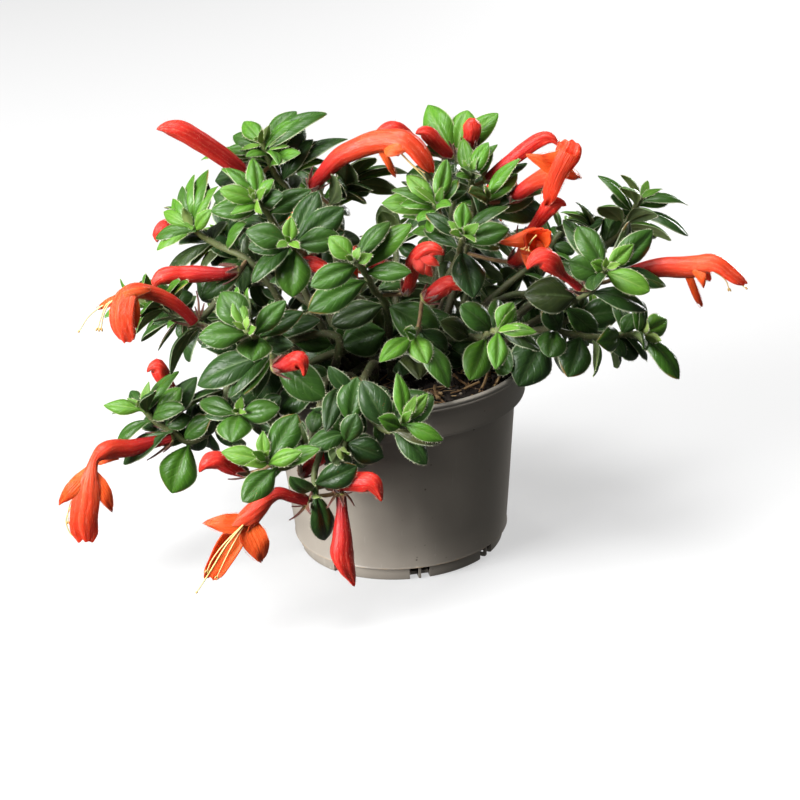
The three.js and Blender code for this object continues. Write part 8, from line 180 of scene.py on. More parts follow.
    ("shoot_06", [-55.3,-52.4,119.7], [-36.1,-50.9,129.9], [-0.26,-0.75,0.6], 9.2, 3, "d", 0.12, 1),
    ("shoot_06", [-50,-37.4,114.2], [-29.6,-43.4,123.2], [-0.47,-0.43,0.78], 10.7, 4, "d", 0.1, 1),
    ("shoot_06", [-53.1,-41.6,114.2], [-40.6,-59.6,118.7], [-0.7,-0.64,0.32], 8.7, 4, "d", 0.1, 1),
    ("shoot_06", [-45.7,-32.9,115.2], [-26.1,-36.8,109.4], [-0.39,-0.92,0.06], 10.5, 4, "d", 0.1, 1),
    ("shoot_06", [-57.3,-66.8,126.8], [-71.7,-59.2,141.1], [0.73,0.61,0.31], 10.8, 4, "g", 0.1, 1),
    ("shoot_06", [-57.6,-63.2,125.5], [-57.8,-55.5,143.6], [-0.93,-0.22,0.31], 10.3, 4, "g", 0.1, 1),
    ("shoot_06", [-57.7,-62.3,125.2], [-62.5,-54.9,143.8], [-0.9,-0.42,0.1], 10.4, 4, "g", 0.1, 1),
    ("shoot_07", [21.6,-20.8,164.1], [27.3,-10.5,180.6], [0.31,-0.87,0.38], 8.2, 2, "m", 0.1, 1),
    ("shoot_07", [21.6,-21.1,164.2], [10.1,-14.5,175.6], [0.3,-0.85,0.43], 8.6, 2, "y", 0.1, 1),
    ("shoot_07", [22.6,-18.5,160.9], [3.3,-17.6,170.3], [0.5,-0.31,0.81], 8.9, 3, "m", 0.12, 1),
    ("shoot_07", [23.2,-12.2,157.2], [1.7,-13.3,163.8], [0.01,-0.37,0.93], 10.7, 4, "g", 0.1, 1),
    ("shoot_07", [22.8,-15.8,159.5], [35.3,-3.7,164.1], [-0.19,-0.17,0.97], 7.5, 3, "d", 0.12, 1),
    ("shoot_07", [21.9,-20.9,163.3], [24.7,-21,172], [-0.07,-0.98,-0.17], 3.6, 1, "y", 0.07, 1),
    ("shoot_07", [21.6,-22.8,164.7], [12.7,-21.8,172.6], [0.69,-0.37,0.62], 4.6, 1, "y", 0.07, 1),
    ("shoot_07", [21.7,-18.3,163.3], [16.9,-13.4,173.2], [0.84,-0.22,0.49], 5.3, 2, "g", 0.1, 1),
    ("shoot_07", [22.6,-17.9,160.8], [27.8,-34.7,167.7], [-0.61,0.22,0.76], 6.1, 2, "m", 0.1, 1),
    ("shoot_07", [22.3,-18,161.6], [6.8,-20.4,164.5], [0.45,-0.26,0.85], 7.7, 3, "g", 0.12, 1),
    ("shoot_07", [23.5,-11.8,156.5], [19.4,-30.8,155.4], [-0.7,0.11,0.7], 8.2, 3, "g", 0.12, 1),
    ("shoot_07", [23,-17.1,159.3], [13.9,-29.1,159.6], [0,0.15,0.99], 8.1, 3, "g", 0.12, 1),
    ("shoot_07", [21.9,-22.5,163.7], [15.5,-0.4,174.4], [0.74,-0.2,0.65], 8.4, 3, "d", 0.12, 1),
    ("shoot_07", [22.8,-13.9,158.9], [7.8,-6.4,170.6], [0.51,-0.12,0.85], 10.5, 4, "d", 0.1, 1),
    ("shoot_07", [24.2,-7.7,153.3], [7.2,-8,155.3], [-0.12,-0.07,0.99], 9.1, 4, "g", 0.1, 1),
    ("shoot_07", [22.8,-14.7,159.2], [-1.2,-15.6,164.3], [-0.01,-0.62,0.78], 11.4, 4, "y", 0.1, 1),
    ("shoot_07", [22.8,-16.8,159.8], [32,-11.7,171.8], [-0.45,-0.12,0.89], 9.7, 4, "g", 0.1, 1),
    ("shoot_07", [25.4,2.9,142.6], [11.3,7.7,143.2], [-0.28,-0.08,0.96], 9.6, 4, "g", 0.1, 1),
    ("shoot_08", [31.5,-43.2,157.9], [32.9,-37,169.5], [0.26,-0.82,0.52], 7.6, 2, "m", 0.1, 1),
    ("shoot_08", [31.6,-42,156.6], [26,-41,163.1], [0.49,-0.84,0.22], 3.9, 1, "y", 0.07, 1),
    ("shoot_08", [31.5,-42.2,156.6], [38.6,-46.9,163.3], [-0.41,-0.91,0.02], 5.1, 1, "y", 0.07, 1),
    ("shoot_08", [31.5,-42.9,156.9], [26.2,-51.6,161.4], [0.66,-0.44,0.61], 4, 1, "y", 0.07, 1),
    ("shoot_08", [31.5,-42.9,156.9], [36.1,-56.3,158.4], [0.25,-0.09,0.96], 4.2, 1, "y", 0.07, 1),
    ("shoot_08", [31.6,-37.7,152.6], [51.2,-39.1,157.5], [-0.05,-0.89,0.45], 9.4, 3, "m", 0.12, 1),
    ("shoot_08", [31.6,-39.5,154], [17.1,-34.2,164.5], [0.31,-0.61,0.73], 7.8, 3, "d", 0.12, 1),
    ("shoot_08", [30.9,-26.4,144.9], [35.3,-42.8,129.4], [0.18,-0.71,0.68], 13.8, 3, "d", 0.12, 1),
    ("shoot_08", [31.6,-37.5,152.5], [52.3,-23.7,162.7], [-0.45,-0.11,0.89], 11.7, 4, "d", 0.1, 1),
    ("shoot_08", [31.5,-45,159.4], [29.7,-49.3,162.2], [0.91,-0.41,-0.06], 1.8, 0, "y", 0.04, 1),
    ("shoot_08", [30.9,-28,145.8], [16.8,-10.8,150.7], [-0.02,-0.53,0.85], 9, 4, "d", 0.1, 1),
    ("shoot_08", [31.6,-38,152.7], [47.8,-30.6,147.1], [0.45,-0.37,0.81], 8.6, 4, "d", 0.1, 1),
    ("shoot_08", [23.1,-10.6,122.3], [27.4,6.2,128.9], [0.53,-0.41,0.74], 10.6, 4, "d", 0.1, 1),
    ("shoot_09", [37.3,-6.2,170.4], [35.2,5.1,185], [-0.28,-0.77,0.57], 7.4, 2, "m", 0.1, 1),
    ("shoot_09", [37.3,-6.7,170.6], [45.6,-4.5,185.5], [-0.24,-0.68,0.69], 7.8, 2, "m", 0.1, 1),
    ("shoot_09", [37.4,-5.3,170.2], [49.6,-1.6,183.4], [-0.69,-0.4,0.61], 7, 2, "m", 0.1, 1),
    ("shoot_09", [37.7,-5,167.8], [47.6,-0.5,180.4], [-0.23,-0.4,0.89], 8.7, 3, "g", 0.12, 1),
    ("shoot_09", [37.4,-7.5,169.7], [35.7,-23.2,178.7], [0.4,0.37,0.84], 8.7, 3, "m", 0.12, 1),
    ("shoot_09", [38.2,-1.6,164.3], [43.3,19.9,160], [-0.07,0.04,1], 9.9, 4, "d", 0.1, 1),
    ("shoot_09", [37.1,-7.9,172], [34.5,-9.6,179.9], [-0.44,-0.84,0.3], 2.6, 0, "y", 0.04, 1),
    ("shoot_09", [37.3,-7.3,170.7], [40.4,-8.7,180.5], [-0.4,-0.66,0.64], 3.4, 1, "y", 0.07, 1),
    ("shoot_09", [37.2,-7.5,170.8], [31.1,-14.4,174], [0.48,0.15,0.86], 6.3, 2, "g", 0.1, 1),
    ("shoot_09", [38.1,-3.3,164.8], [25.4,6,172.2], [0.32,-0.13,0.94], 10.1, 4, "m", 0.1, 1),
    ("shoot_09", [38.7,1.9,160.5], [39.6,-24.6,159.8], [0.74,-0.17,0.65], 9.4, 4, "d", 0.1, 1),
    ("shoot_10", [9.6,-44.7,114.4], [14.3,-58.9,107], [-0.03,-0.47,0.88], 10.8, 2, "y", 0.1, 1),
    ("shoot_10", [9.3,-46.4,114.6], [-5.3,-60.4,109.5], [0.07,-0.56,0.83], 8.6, 2, "m", 0.1, 1),
    ("shoot_10", [9.6,-44.7,114.4], [23.1,-57.3,95.1], [0.4,-0.61,0.68], 11.2, 3, "m", 0.12, 1),
    ("shoot_10", [5.9,-13.6,91.2], [4.2,-29.2,90.1], [-0.17,0.04,0.98], 9.6, 4, "d", 0.1, 1),
    ("shoot_10", [11.8,-33,113], [23.2,-29.6,100.5], [0.28,-0.96,-0.05], 11.3, 4, "d", 0.1, 1),
    ("shoot_10", [9.3,-46.3,114.6], [5.5,-58.6,122.6], [0.95,-0.32,-0.02], 5.8, 2, "m", 0.1, 1),
    ("shoot_10", [5.9,-13.1,91], [11,-45.6,95.1], [0.14,0.2,0.97], 12.5, 4, "d", 0.1, 1),
    ("shoot_11", [42.7,-40.4,113], [29.9,-43.9,126.9], [0.43,-0.88,0.18], 11.2, 3, "m", 0.12, 1),
    ("shoot_11", [44.5,-48,116], [52.4,-48.7,126.7], [0.25,-0.9,-0.35], 4.7, 1, "y", 0.07, 1),
    ("shoot_11", [44.5,-47.3,115.8], [51.9,-43.5,126.6], [-0.05,-0.99,-0.13], 9.4, 2, "m", 0.1, 1),
    ("shoot_11", [44.4,-49.1,116.4], [60.6,-53.7,116.6], [-0.32,-0.55,0.78], 6.6, 2, "y", 0.1, 1),
    ("shoot_11", [44.5,-48.5,116.2], [53.8,-58.2,120.4], [-0.56,-0.22,0.8], 4.1, 1, "y", 0.07, 1),
    ("shoot_11", [44.5,-48.4,116.2], [42.8,-63.5,105], [0.22,-0.59,0.77], 8.6, 2, "m", 0.1, 1),
    ("shoot_11", [40.4,-27.2,105.6], [32.6,-42.1,92], [0.33,-0.72,0.61], 13.2, 3, "g", 0.12, 1),
    ("shoot_11", [44.1,-46.8,115.6], [62,-52.6,108.2], [0.23,-0.41,0.88], 8.5, 3, "d", 0.12, 1),
    ("shoot_11", [43.1,-42,113.8], [46.9,-24.4,121.1], [0.43,-0.43,0.8], 9, 4, "d", 0.1, 1),
    ("shoot_11", [33.4,-19.6,102.7], [21.1,-31,114.9], [0.78,-0.58,0.24], 9.6, 4, "d", 0.1, 1),
    ("shoot_12", [90.8,-38.4,136.6], [81.2,-28.6,153.7], [0.18,-0.76,0.63], 12, 3, "m", 0.12, 1),
    ("shoot_12", [90.3,-34,132.6], [75.2,-22.2,154.9], [0.56,-0.47,0.69], 13.7, 4, "d", 0.1, 1),
    ("shoot_12", [90.8,-37.3,136.2], [112.6,-26.9,149.9], [0.07,-0.97,0.21], 11.6, 3, "m", 0.12, 1),
    ("shoot_12", [90.3,-33.7,132.5], [103.1,-23.8,153.1], [0.88,-0.47,0.05], 12.7, 4, "d", 0.1, 1),
    ("shoot_12", [91,-38.2,137.3], [103.6,-35.9,147.1], [0.05,-0.95,0.31], 7.3, 1, "y", 0.07, 1),
    ("shoot_12", [91,-38.2,137.3], [84.9,-42.3,142.3], [0.73,-0.68,0.06], 5.6, 1, "y", 0.07, 1),
    ("shoot_12", [91.1,-39.4,138.5], [97.4,-40.9,140.4], [-0.61,-0.68,0.41], 3, 0, "y", 0.04, 1),
    ("shoot_12", [91,-40.2,138.8], [91.2,-43.6,144.8], [0.11,-0.99,-0.01], 3, 0, "y", 0.04, 1),
    ("shoot_12", [90.6,-34.8,133.7], [76.2,-37.9,141.6], [0.24,-0.94,0.22], 11.6, 3, "m", 0.12, 1),
    ("shoot_12", [88.2,-29.1,127], [72.4,-20,135.5], [0.33,-0.62,0.71], 9, 4, "d", 0.1, 1),
    ("shoot_12", [90.8,-37.7,136.3], [108.8,-47.1,129.9], [-0.21,-0.83,0.51], 10.3, 3, "y", 0.12, 1),
    ("shoot_12", [90.3,-34,132.6], [117.3,-35.1,127.5], [0.16,-0.32,0.93], 12.6, 4, "d", 0.1, 1),
    ("shoot_12", [90.3,-34.5,132.8], [84.3,-57.5,135.4], [-0.4,0.06,0.92], 9.1, 4, "d", 0.1, 1),
    ("shoot_12", [81.1,-22,119.3], [57.6,-26.8,124.1], [0.27,-0.83,0.49], 15.8, 4, "d", 0.1, 1),
    ("shoot_12", [84.9,-24.8,122.5], [110.8,-21.6,112], [0.39,-0.46,0.8], 12.4, 4, "d", 0.1, 1),
    ("shoot_12", [75.4,-17.3,114.4], [90,-12.1,99], [0.35,-0.93,-0.04], 9.7, 4, "d", 0.1, 1),
    ("shoot_13", [110.5,13.8,147.5], [126.3,21.4,148.4], [0.36,-0.41,0.83], 9.2, 3, "m", 0.12, 1),
    ("shoot_13", [104.7,9.4,141], [117.3,-5.5,149.5], [0.41,0.69,0.6], 8.9, 3, "m", 0.12, 1),
    ("shoot_13", [108.6,11.7,145.4], [94.3,17.4,161.4], [0.66,-0.3,0.69], 9.3, 3, "m", 0.12, 1),
    ("shoot_13", [111.8,12.1,151], [103.3,7.2,164.4], [0.62,0.53,0.58], 6.3, 2, "m", 0.1, 1),
    ("shoot_13", [112,14.1,150.3], [117,22.9,156.4], [0.31,-0.73,0.61], 4, 1, "y", 0.07, 1),
    ("shoot_13", [111.7,11.1,151.3], [123,20.3,153.1], [-0.06,-0.33,0.94], 4.2, 1, "y", 0.07, 1),
    ("shoot_13", [110.3,12.1,148], [103.5,-1.9,160.9], [0.42,0.49,0.76], 8.5, 3, "g", 0.12, 1),
    ("shoot_13", [104.7,9.4,141], [93,-2.8,153.6], [0.04,0.7,0.72], 9.7, 4, "g", 0.1, 1),
    ("shoot_13", [110.8,10.9,149.9], [133.6,16.2,146.3], [0.22,0.03,0.97], 9.7, 3, "m", 0.12, 1),
    ("shoot_13", [108.6,11.7,145.4], [132.4,5.6,135.5], [0.37,-0.05,0.93], 12.2, 4, "d", 0.1, 1),
    ("shoot_13", [103.8,8.7,140], [123.6,-4,137.3], [0.45,0.54,0.71], 10.9, 4, "g", 0.1, 1),
    ("shoot_14", [107.2,-17.2,99.5], [104.6,-18.7,118.3], [0.79,-0.54,-0.29], 8.6, 3, "m", 0.12, 1),
    ("shoot_14", [107,-19.4,100.3], [108.5,-19.1,115.6], [0.79,-0.44,-0.44], 8.5, 3, "d", 0.12, 1),
    ("shoot_14", [107.2,-17.3,99.5], [121.3,-8.1,101.8], [0.47,-0.81,0.36], 10.2, 2, "m", 0.1, 1),
    ("shoot_14", [108.6,-17.7,99.6], [116.1,-28.7,100.3], [0.61,0.74,-0.3], 4.1, 1, "y", 0.07, 1),
    ("shoot_14", [108.7,-16.9,99.3], [109.9,-28.9,110.2], [0.98,0.2,-0.07], 3.9, 1, "y", 0.07, 1),
    ("shoot_14", [104,-16.9,99.5], [107.2,-37,100.1], [0.91,0.16,0.38], 8.5, 3, "g", 0.12, 1),
    ("shoot_14", [107.2,-17.3,99.5], [124.4,-24.4,80.2], [0.44,-0.64,0.63], 11.2, 3, "m", 0.12, 1),
    ("shoot_14", [100.3,-16.9,99.4], [112.1,-7.2,83.1], [0.84,-0.19,0.5], 10.3, 4, "d", 0.1, 1),
    ("shoot_14", [98.3,-17,99.4], [87.7,-35.5,103.8], [0.87,-0.45,0.2], 10.7, 3, "m", 0.12, 1),
    ("shoot_14", [82,-19.5,101], [75,-35.4,88.3], [0.3,-0.67,0.68], 15.1, 4, "m", 0.1, 1),
    ("shoot_14", [71,-19.3,103.8], [66.7,-37.5,98.8], [0.3,0.1,0.95], 13.3, 4, "m", 0.1, 1),
    ("shoot_14", [66.9,-19.3,104.5], [53.4,-36,85.6], [0.28,-0.81,0.51], 18.6, 4, "m", 0.1, 1),
    ("shoot_14", [86.9,-18.3,99.2], [85.6,-37.2,88.9], [0.98,0.04,-0.2], 9.9, 4, "g", 0.1, 1),
    ("shoot_14", [72.9,-20.1,103.6], [65.7,-27.9,120.2], [0.5,-0.84,-0.21], 10.6, 4, "d", 0.1, 1),
    ("shoot_15", [-49.7,-51.5,112.1], [-82.5,-51.6,99.8], [-0.49,-0.59,0.64], 15.7, 4, "m", 0.1, 1),
    ("shoot_15", [-50,-48,110.7], [-62.8,-61.3,98.6], [-0.43,-0.56,0.7], 9.7, 4, "g", 0.1, 1),
    ("shoot_15", [-49.9,-49.5,111.3], [-29.2,-60.3,94.6], [-0.3,-0.91,0.27], 15.4, 4, "m", 0.1, 1),
    ("shoot_15", [-49.8,-50.6,111.7], [-69.2,-60.2,97.1], [-0.38,-0.21,0.9], 12.1, 4, "m", 0.1, 1),
    ("shoot_15", [-49.9,-49.1,111.1], [-58.6,-53,93.7], [-0.64,-0.67,0.38], 9.2, 4, "d", 0.1, 1),
    ("shoot_16", [-65.6,-56.1,87.2], [-82.9,-44.3,89.1], [-0.14,-0.77,0.62], 8.6, 3, "m", 0.12, 1),
    ("shoot_16", [-65.7,-55.8,87.1], [-48.1,-62.3,91.9], [-0.41,-0.81,0.42], 10.3, 3, "m", 0.12, 1),
    ("shoot_16", [-65.6,-56.8,87.5], [-68.7,-70.6,81.2], [-0.03,-0.12,0.99], 14.6, 3, "m", 0.12, 1),
    ("shoot_16", [-66,-56.7,88.4], [-63.7,-59.3,97], [-0.24,-0.86,-0.44], 3.9, 1, "y", 0.07, 1),
    ("shoot_16", [-66.3,-58,89.8], [-68,-62.8,92], [0.94,-0.21,0.27], 2.1, 0, "y", 0.04, 1),
    ("shoot_16", [-66.3,-58.3,89.9], [-62.1,-63.1,91], [-0.6,-0.64,0.48], 2.2, 0, "y", 0.04, 1),
    ("shoot_16", [-62.1,-47.6,80.9], [-51.9,-64,83.3], [-0.83,-0.54,-0.14], 9, 4, "d", 0.1, 1),
    ("shoot_16", [-64.3,-52.4,83.7], [-80.7,-50.2,85], [-0.18,-0.1,0.98], 9.2, 4, "d", 0.1, 1),
    ("shoot_16", [-57.6,-41.2,79.7], [-47.8,-52.1,93.2], [-0.76,-0.66,0.02], 9.2, 4, "d", 0.1, 1),
    ("shoot_17", [-109.5,-23.1,77.7], [-127.5,-19.6,79.6], [-0.46,-0.6,0.66], 7, 2, "y", 0.1, 1),
    ("shoot_17", [-110.1,-18.9,76], [-124,-22,76.3], [-0.04,0.06,1], 6.2, 2, "m", 0.1, 1),
    ("shoot_17", [-109.7,-21.6,77.1], [-117.2,-18.9,82.3], [-0.14,-0.73,0.66], 3.8, 1, "y", 0.07, 1),
    ("shoot_17", [-110.5,-22.8,79.3], [-112.1,-24.2,82.8], [-0.61,0.79,0.08], 3.1, 0, "y", 0.04, 1),
    ("shoot_17", [-109.7,-21.7,77.2], [-106.8,-19.2,89.7], [-0.25,-0.9,0.36], 4.7, 1, "y", 0.07, 1),
    ("shoot_17", [-109.6,-22.1,77.3], [-116.6,-7.7,81], [-0.41,-0.5,0.77], 6, 2, "d", 0.1, 1),
    ("shoot_17", [-108.6,-22.7,75.9], [-103.5,-32.8,90], [-0.65,0.55,0.52], 8.6, 3, "d", 0.12, 1),
    ("shoot_17", [-108.7,-21.6,75.5], [-94.1,-13,91.2], [-0.8,-0.43,0.42], 10, 3, "m", 0.12, 1),
    ("shoot_17", [-105.3,-21.6,71.5], [-104,-11.6,84.3], [-0.68,-0.29,0.67], 10.1, 4, "d", 0.1, 1),
    ("shoot_17", [-105.3,-21.7,71.5], [-92.6,-23.4,87.6], [-0.51,-0.82,0.25], 9.7, 4, "g", 0.1, 1),
    ("shoot_17", [-101.4,-21.2,68.1], [-86.2,-13.9,88.5], [-0.46,-0.62,0.64], 12.1, 4, "d", 0.1, 1),
    ("shoot_17", [-106.4,-22.1,72.8], [-90.7,-34.7,82.7], [-0.7,-0.34,0.63], 9.2, 3, "m", 0.12, 1),
    ("shoot_17", [-106.5,-21.5,72.6], [-124.5,-17,56.5], [-0.18,-0.38,0.91], 8.9, 3, "m", 0.12, 1),
    ("shoot_17", [-98,-23.5,67.4], [-121.8,-17.9,50.5], [-0.39,-0.45,0.81], 12.2, 4, "d", 0.1, 1),
    ("shoot_17", [-93.8,-19,61.1], [-80.3,-27.9,74.6], [-0.72,-0.61,0.32], 9.7, 4, "m", 0.1, 1),
    ("shoot_17", [-91.5,-18,59.4], [-100.8,-24.9,38.2], [-0.13,-0.93,0.36], 16.7, 4, "g", 0.1, 1),
    ("shoot_17", [-88.4,-17.4,59.7], [-89.8,-5.3,73.2], [-0.64,-0.51,0.58], 9.8, 4, "d", 0.1, 1),
    ("shoot_17", [-82.7,-13.7,62.9], [-83.4,1.2,47.5], [-0.51,-0.63,-0.59], 9.9, 4, "d", 0.1, 1),
    ("shoot_18", [-54.2,-82.3,77.1], [-72.3,-80,81.1], [0.09,-0.86,0.5], 8, 2, "y", 0.1, 1),
    ("shoot_18", [-54.3,-81.6,76.8], [-54.6,-78.7,89.1], [-0.29,-0.96,0.02], 6.3, 1, "y", 0.07, 1),
    ("shoot_18", [-53.4,-82,75.5], [-40.5,-72,92.9], [-0.07,-0.84,0.54], 13.1, 3, "m", 0.12, 1),
    ("shoot_18", [-53.4,-82,75.5], [-38.7,-88.5,83], [-0.54,-0.75,0.4], 7.2, 2, "y", 0.1, 1),
    ("shoot_18", [-50.1,-79.9,72.6], [-31.5,-84.3,82], [-0.49,-0.42,0.77], 8.9, 3, "g", 0.12, 1),
    ("shoot_18", [-39,-69.4,73.9], [-38.6,-77.3,90.7], [-0.67,-0.64,-0.38], 9, 4, "d", 0.1, 1),
    ("shoot_18", [-54.2,-82.8,77.4], [-59.1,-87.7,83.9], [0.87,-0.5,0.05], 3.9, 1, "y", 0.07, 1),
    ("shoot_18", [-53.4,-82,75.5], [-62.5,-90,78.7], [0.61,-0.49,0.62], 4.2, 1, "y", 0.07, 1),
    ("shoot_18", [-53.4,-82.7,75.8], [-69.6,-72.8,75.8], [0.26,-0.06,0.96], 7.6, 3, "d", 0.12, 1),
    ("shoot_18", [-49.9,-82,73.6], [-64.1,-93.8,64.4], [0.14,-0.75,0.65], 11.8, 3, "m", 0.12, 1),
    ("shoot_18", [-46.2,-76.7,71.4], [-60,-77.4,60.7], [-0.67,-0.1,0.74], 10.1, 4, "d", 0.1, 1),
    ("shoot_18", [-54.9,-81.9,78.7], [-52.2,-85.1,83.1], [-0.33,-0.86,-0.39], 2.1, 0, "y", 0.04, 1),
    ("shoot_19", [-35.2,-80.4,64.6], [-16.7,-86.4,74.5], [-0.33,-0.94,0.03], 11.4, 3, "d", 0.12, 1),
    ("shoot_19", [-35.1,-83.6,64.3], [-32.3,-76.7,36.7], [0.32,-0.91,-0.26], 10.2, 3, "d", 0.12, 1),
    ("shoot_19", [-35.1,-79,60.1], [-36.1,-81.2,48], [0.57,-0.8,-0.16], 5.8, 2, "d", 0.1, 1),
    ("shoot_19", [-34.9,-81.7,61.5], [-32.6,-94.6,64.9], [-0.11,-0.27,-0.95], 4, 1, "y", 0.07, 1),
    ("shoot_19", [-35.2,-81,63], [-44,-94.5,75.2], [0.15,-0.71,-0.68], 8.5, 3, "d", 0.12, 1),
    ("shoot_20", [2.8,-77.2,88.7], [1.6,-70,108], [0.54,-0.79,0.29], 7.9, 2, "m", 0.1, 1),
    ("shoot_20", [2.8,-78.4,89.1], [13.9,-73.4,99.7], [-0.06,-0.96,0.26], 6.3, 1, "y", 0.07, 1),
    ("shoot_20", [2.8,-78.7,89.3], [7,-82.3,96.3], [-0.57,-0.82,-0.04], 3.5, 1, "y", 0.07, 1),
    ("shoot_20", [2.7,-79,89.4], [19.1,-81.8,82], [-0.06,-0.8,0.6], 7.2, 2, "m", 0.1, 1),
    ("shoot_20", [-1.6,-77.2,85.4], [11.9,-85.2,73], [0.16,-0.51,0.85], 10.9, 3, "m", 0.12, 1),
    ("shoot_20", [1.8,-78,87.3], [-7,-88.4,96.3], [0.81,-0.58,0.11], 7.2, 2, "m", 0.1, 1),
    ("shoot_20", [-2.5,-77.1,85.4], [-12.9,-72.7,106.5], [0.08,-0.97,0.24], 12.5, 4, "d", 0.1, 1),
    ("shoot_20", [-9.5,-73.5,89.7], [-7.3,-65.3,75], [0.83,-0.46,-0.32], 7.6, 3, "m", 0.12, 1),
    ("shoot_20", [-1.6,-77.7,85.6], [18.2,-79,80.2], [0.38,-0.46,0.81], 10.3, 4, "d", 0.1, 1),
    ("shoot_20", [-12.6,-51,98], [-7.4,-66.6,86.7], [-0.44,-0.74,0.5], 9.9, 4, "d", 0.1, 1),
    ("shoot_20", [2.8,-78.3,89.1], [9,-77.7,101], [-0.04,-0.98,0.18], 4.6, 1, "y", 0.07, 1),
    ("shoot_21", [-19,13.2,160.5], [-14.8,1.6,177.6], [0.58,0.71,0.41], 10.9, 4, "d", 0.1, 1),
    ("shoot_21", [-15.5,16,163.5], [-3.1,3,178.9], [-0.21,0.66,0.72], 9.9, 3, "d", 0.12, 1),
    ("shoot_21", [-15.5,16.1,163.5], [10.7,13.9,168.2], [-0.18,0.6,0.78], 11.3, 3, "d", 0.12, 1),
    ("shoot_21", [-15.5,16,163.5], [7.4,14.2,159.2], [0.16,0.85,0.49], 9.8, 3, "d", 0.12, 1),
    ("shoot_21", [-20.2,12.3,159.4], [-5.2,-3.9,166.7], [0.12,0.62,0.78], 9.1, 3, "d", 0.12, 1),
    ("shoot_21", [-20.2,12,159.5], [-8.6,-2.6,161.4], [0.5,0.44,0.75], 10.1, 4, "d", 0.1, 1),
    ("shoot_21", [-24,8.3,157.3], [-20.3,-5.4,173.6], [0.76,0.64,-0.1], 10.7, 4, "d", 0.1, 1),
    ("shoot_21", [-21.5,10.5,158.9], [-19.5,-10.8,173.9], [0.91,0.28,0.3], 8.4, 3, "d", 0.12, 1),
    ("shoot_09", [43.2,-13.4,161.8], [58.5,-10.2,179.1], [-0.56,-0.31,0.76], 8.9, 2, "m", 0.1, 1),
    ("shoot_09", [42.7,-13.7,161.1], [57.4,-8,171.7], [0.1,-0.31,0.95], 10.5, 3, "g", 0.12, 1),
    ("shoot_09", [42.2,-8.7,154.9], [70.7,-6.1,163.7], [-0.05,-0.18,0.98], 12.4, 3, "m", 0.12, 1),
    ("shoot_09", [42.3,-7.5,154.5], [68.2,2.4,153.5], [0.07,-0.79,0.61], 14.1, 4, "d", 0.1, 1),
    ("shoot_09", [42.6,-6,155], [64.5,-1.4,160.1], [0.36,-0.59,0.73], 11.4, 4, "d", 0.1, 1),
    ("shoot_09", [42.8,-5.7,157.6], [53.6,2.9,153.8], [0.81,-0.15,0.57], 8.1, 3, "d", 0.12, 1),
    ("shoot_09", [42.8,-11.8,160.5], [35.3,-30.2,171.7], [0.85,0.03,0.52], 8.5, 3, "m", 0.12, 1),
    ("shoot_09", [43.3,-12.9,161.7], [42.5,-21.4,171.8], [0.73,0.5,0.47], 3.9, 1, "y", 0.07, 1),
    ("shoot_09", [42.5,-7.2,156.3], [61.9,0.4,174], [-0.51,0.01,0.86], 14.1, 4, "d", 0.1, 1),
    ("shoot_09", [32.6,17.3,173.6], [21.3,32.9,193.1], [-0.45,-0.72,0.53], 13.4, 3, "b", 0.12, 1),
    ("shoot_09", [32.7,18.4,173.3], [38.4,26.5,191.5], [-0.28,-0.74,0.61], 13.4, 3, "b", 0.12, 1),
    ("shoot_09", [32.7,17.2,173.6], [51.3,18.1,191.7], [-0.19,-0.72,0.67], 11.2, 3, "b", 0.12, 1),
    ("shoot_09", [32.6,14.9,174.2], [17.6,4.6,180.9], [0.02,0.93,0.38], 8.7, 3, "b", 0.12, 1),
    ("shoot_09", [34,14.5,169], [22.4,-7.9,172.1], [0.21,0.09,0.97], 10.1, 4, "d", 0.1, 1),
    ("shoot_13", [92.8,27.1,130.7], [84.6,17.4,149.6], [0.75,0.25,0.61], 9.5, 3, "d", 0.12, 1),
    ("shoot_13", [91.4,30.2,134.9], [85.5,28.7,142.2], [0.46,0.72,0.53], 3.8, 1, "y", 0.07, 1),
    ("shoot_13", [91.4,30.3,134.9], [96,15.2,142.6], [0.5,0.71,0.5], 3.9, 1, "y", 0.07, 1),
    ("shoot_13", [91.8,28.3,133.8], [78.3,23.4,143.5], [0.23,0.38,0.89], 9, 3, "b", 0.12, 1),
    ("shoot_13", [93.2,25.6,129.4], [79.6,21,140.8], [0.14,0.57,0.81], 10.5, 4, "d", 0.1, 1),
    ("shoot_13", [93.1,24.3,129.9], [94,2.3,144.7], [-0.67,0.46,0.59], 10.3, 4, "d", 0.1, 1),
    ("shoot_13", [93.2,25.4,129.5], [75.4,15.1,139.5], [0.15,0.77,0.62], 10.4, 4, "d", 0.1, 1),
    ("shoot_06", [-91.2,-27.9,123], [-91.7,-7.8,126.8], [0.01,-0.19,0.98], 13.1, 3, "d", 0.12, 1),
    ("shoot_06", [-96.7,-26.4,126.4], [-104.5,-40.5,128.9], [-0.7,0.26,0.66], 8.6, 3, "m", 0.12, 1),
    ("shoot_06", [-97.2,-23,125.2], [-100.6,-43.3,147.1], [-0.85,0.48,-0.2], 8.9, 3, "g", 0.12, 1),
    ("shoot_06", [-97.3,-21.6,124.7], [-112.7,-33.5,142.5], [-0.79,-0.22,-0.57], 10.7, 3, "g", 0.12, 1),
    ("shoot_06", [-95.8,-24.3,124.7], [-107.7,-40.1,120.2], [-0.75,0.45,0.49], 8.5, 3, "g", 0.12, 1),
    ("shoot_06", [-97.9,-18.1,123.4], [-121,-33.7,125.9], [0.12,0.07,0.99], 11.2, 3, "g", 0.12, 1),
    ("shoot_06", [-82.5,-36,121.1], [-93.8,-47.1,103.7], [-0.86,0.43,0.28], 10.8, 4, "m", 0.1, 1),
    ("shoot_06", [-92.3,-27,123.2], [-83.1,-47.6,144.1], [-0.78,0.29,0.55], 10, 4, "g", 0.1, 1),
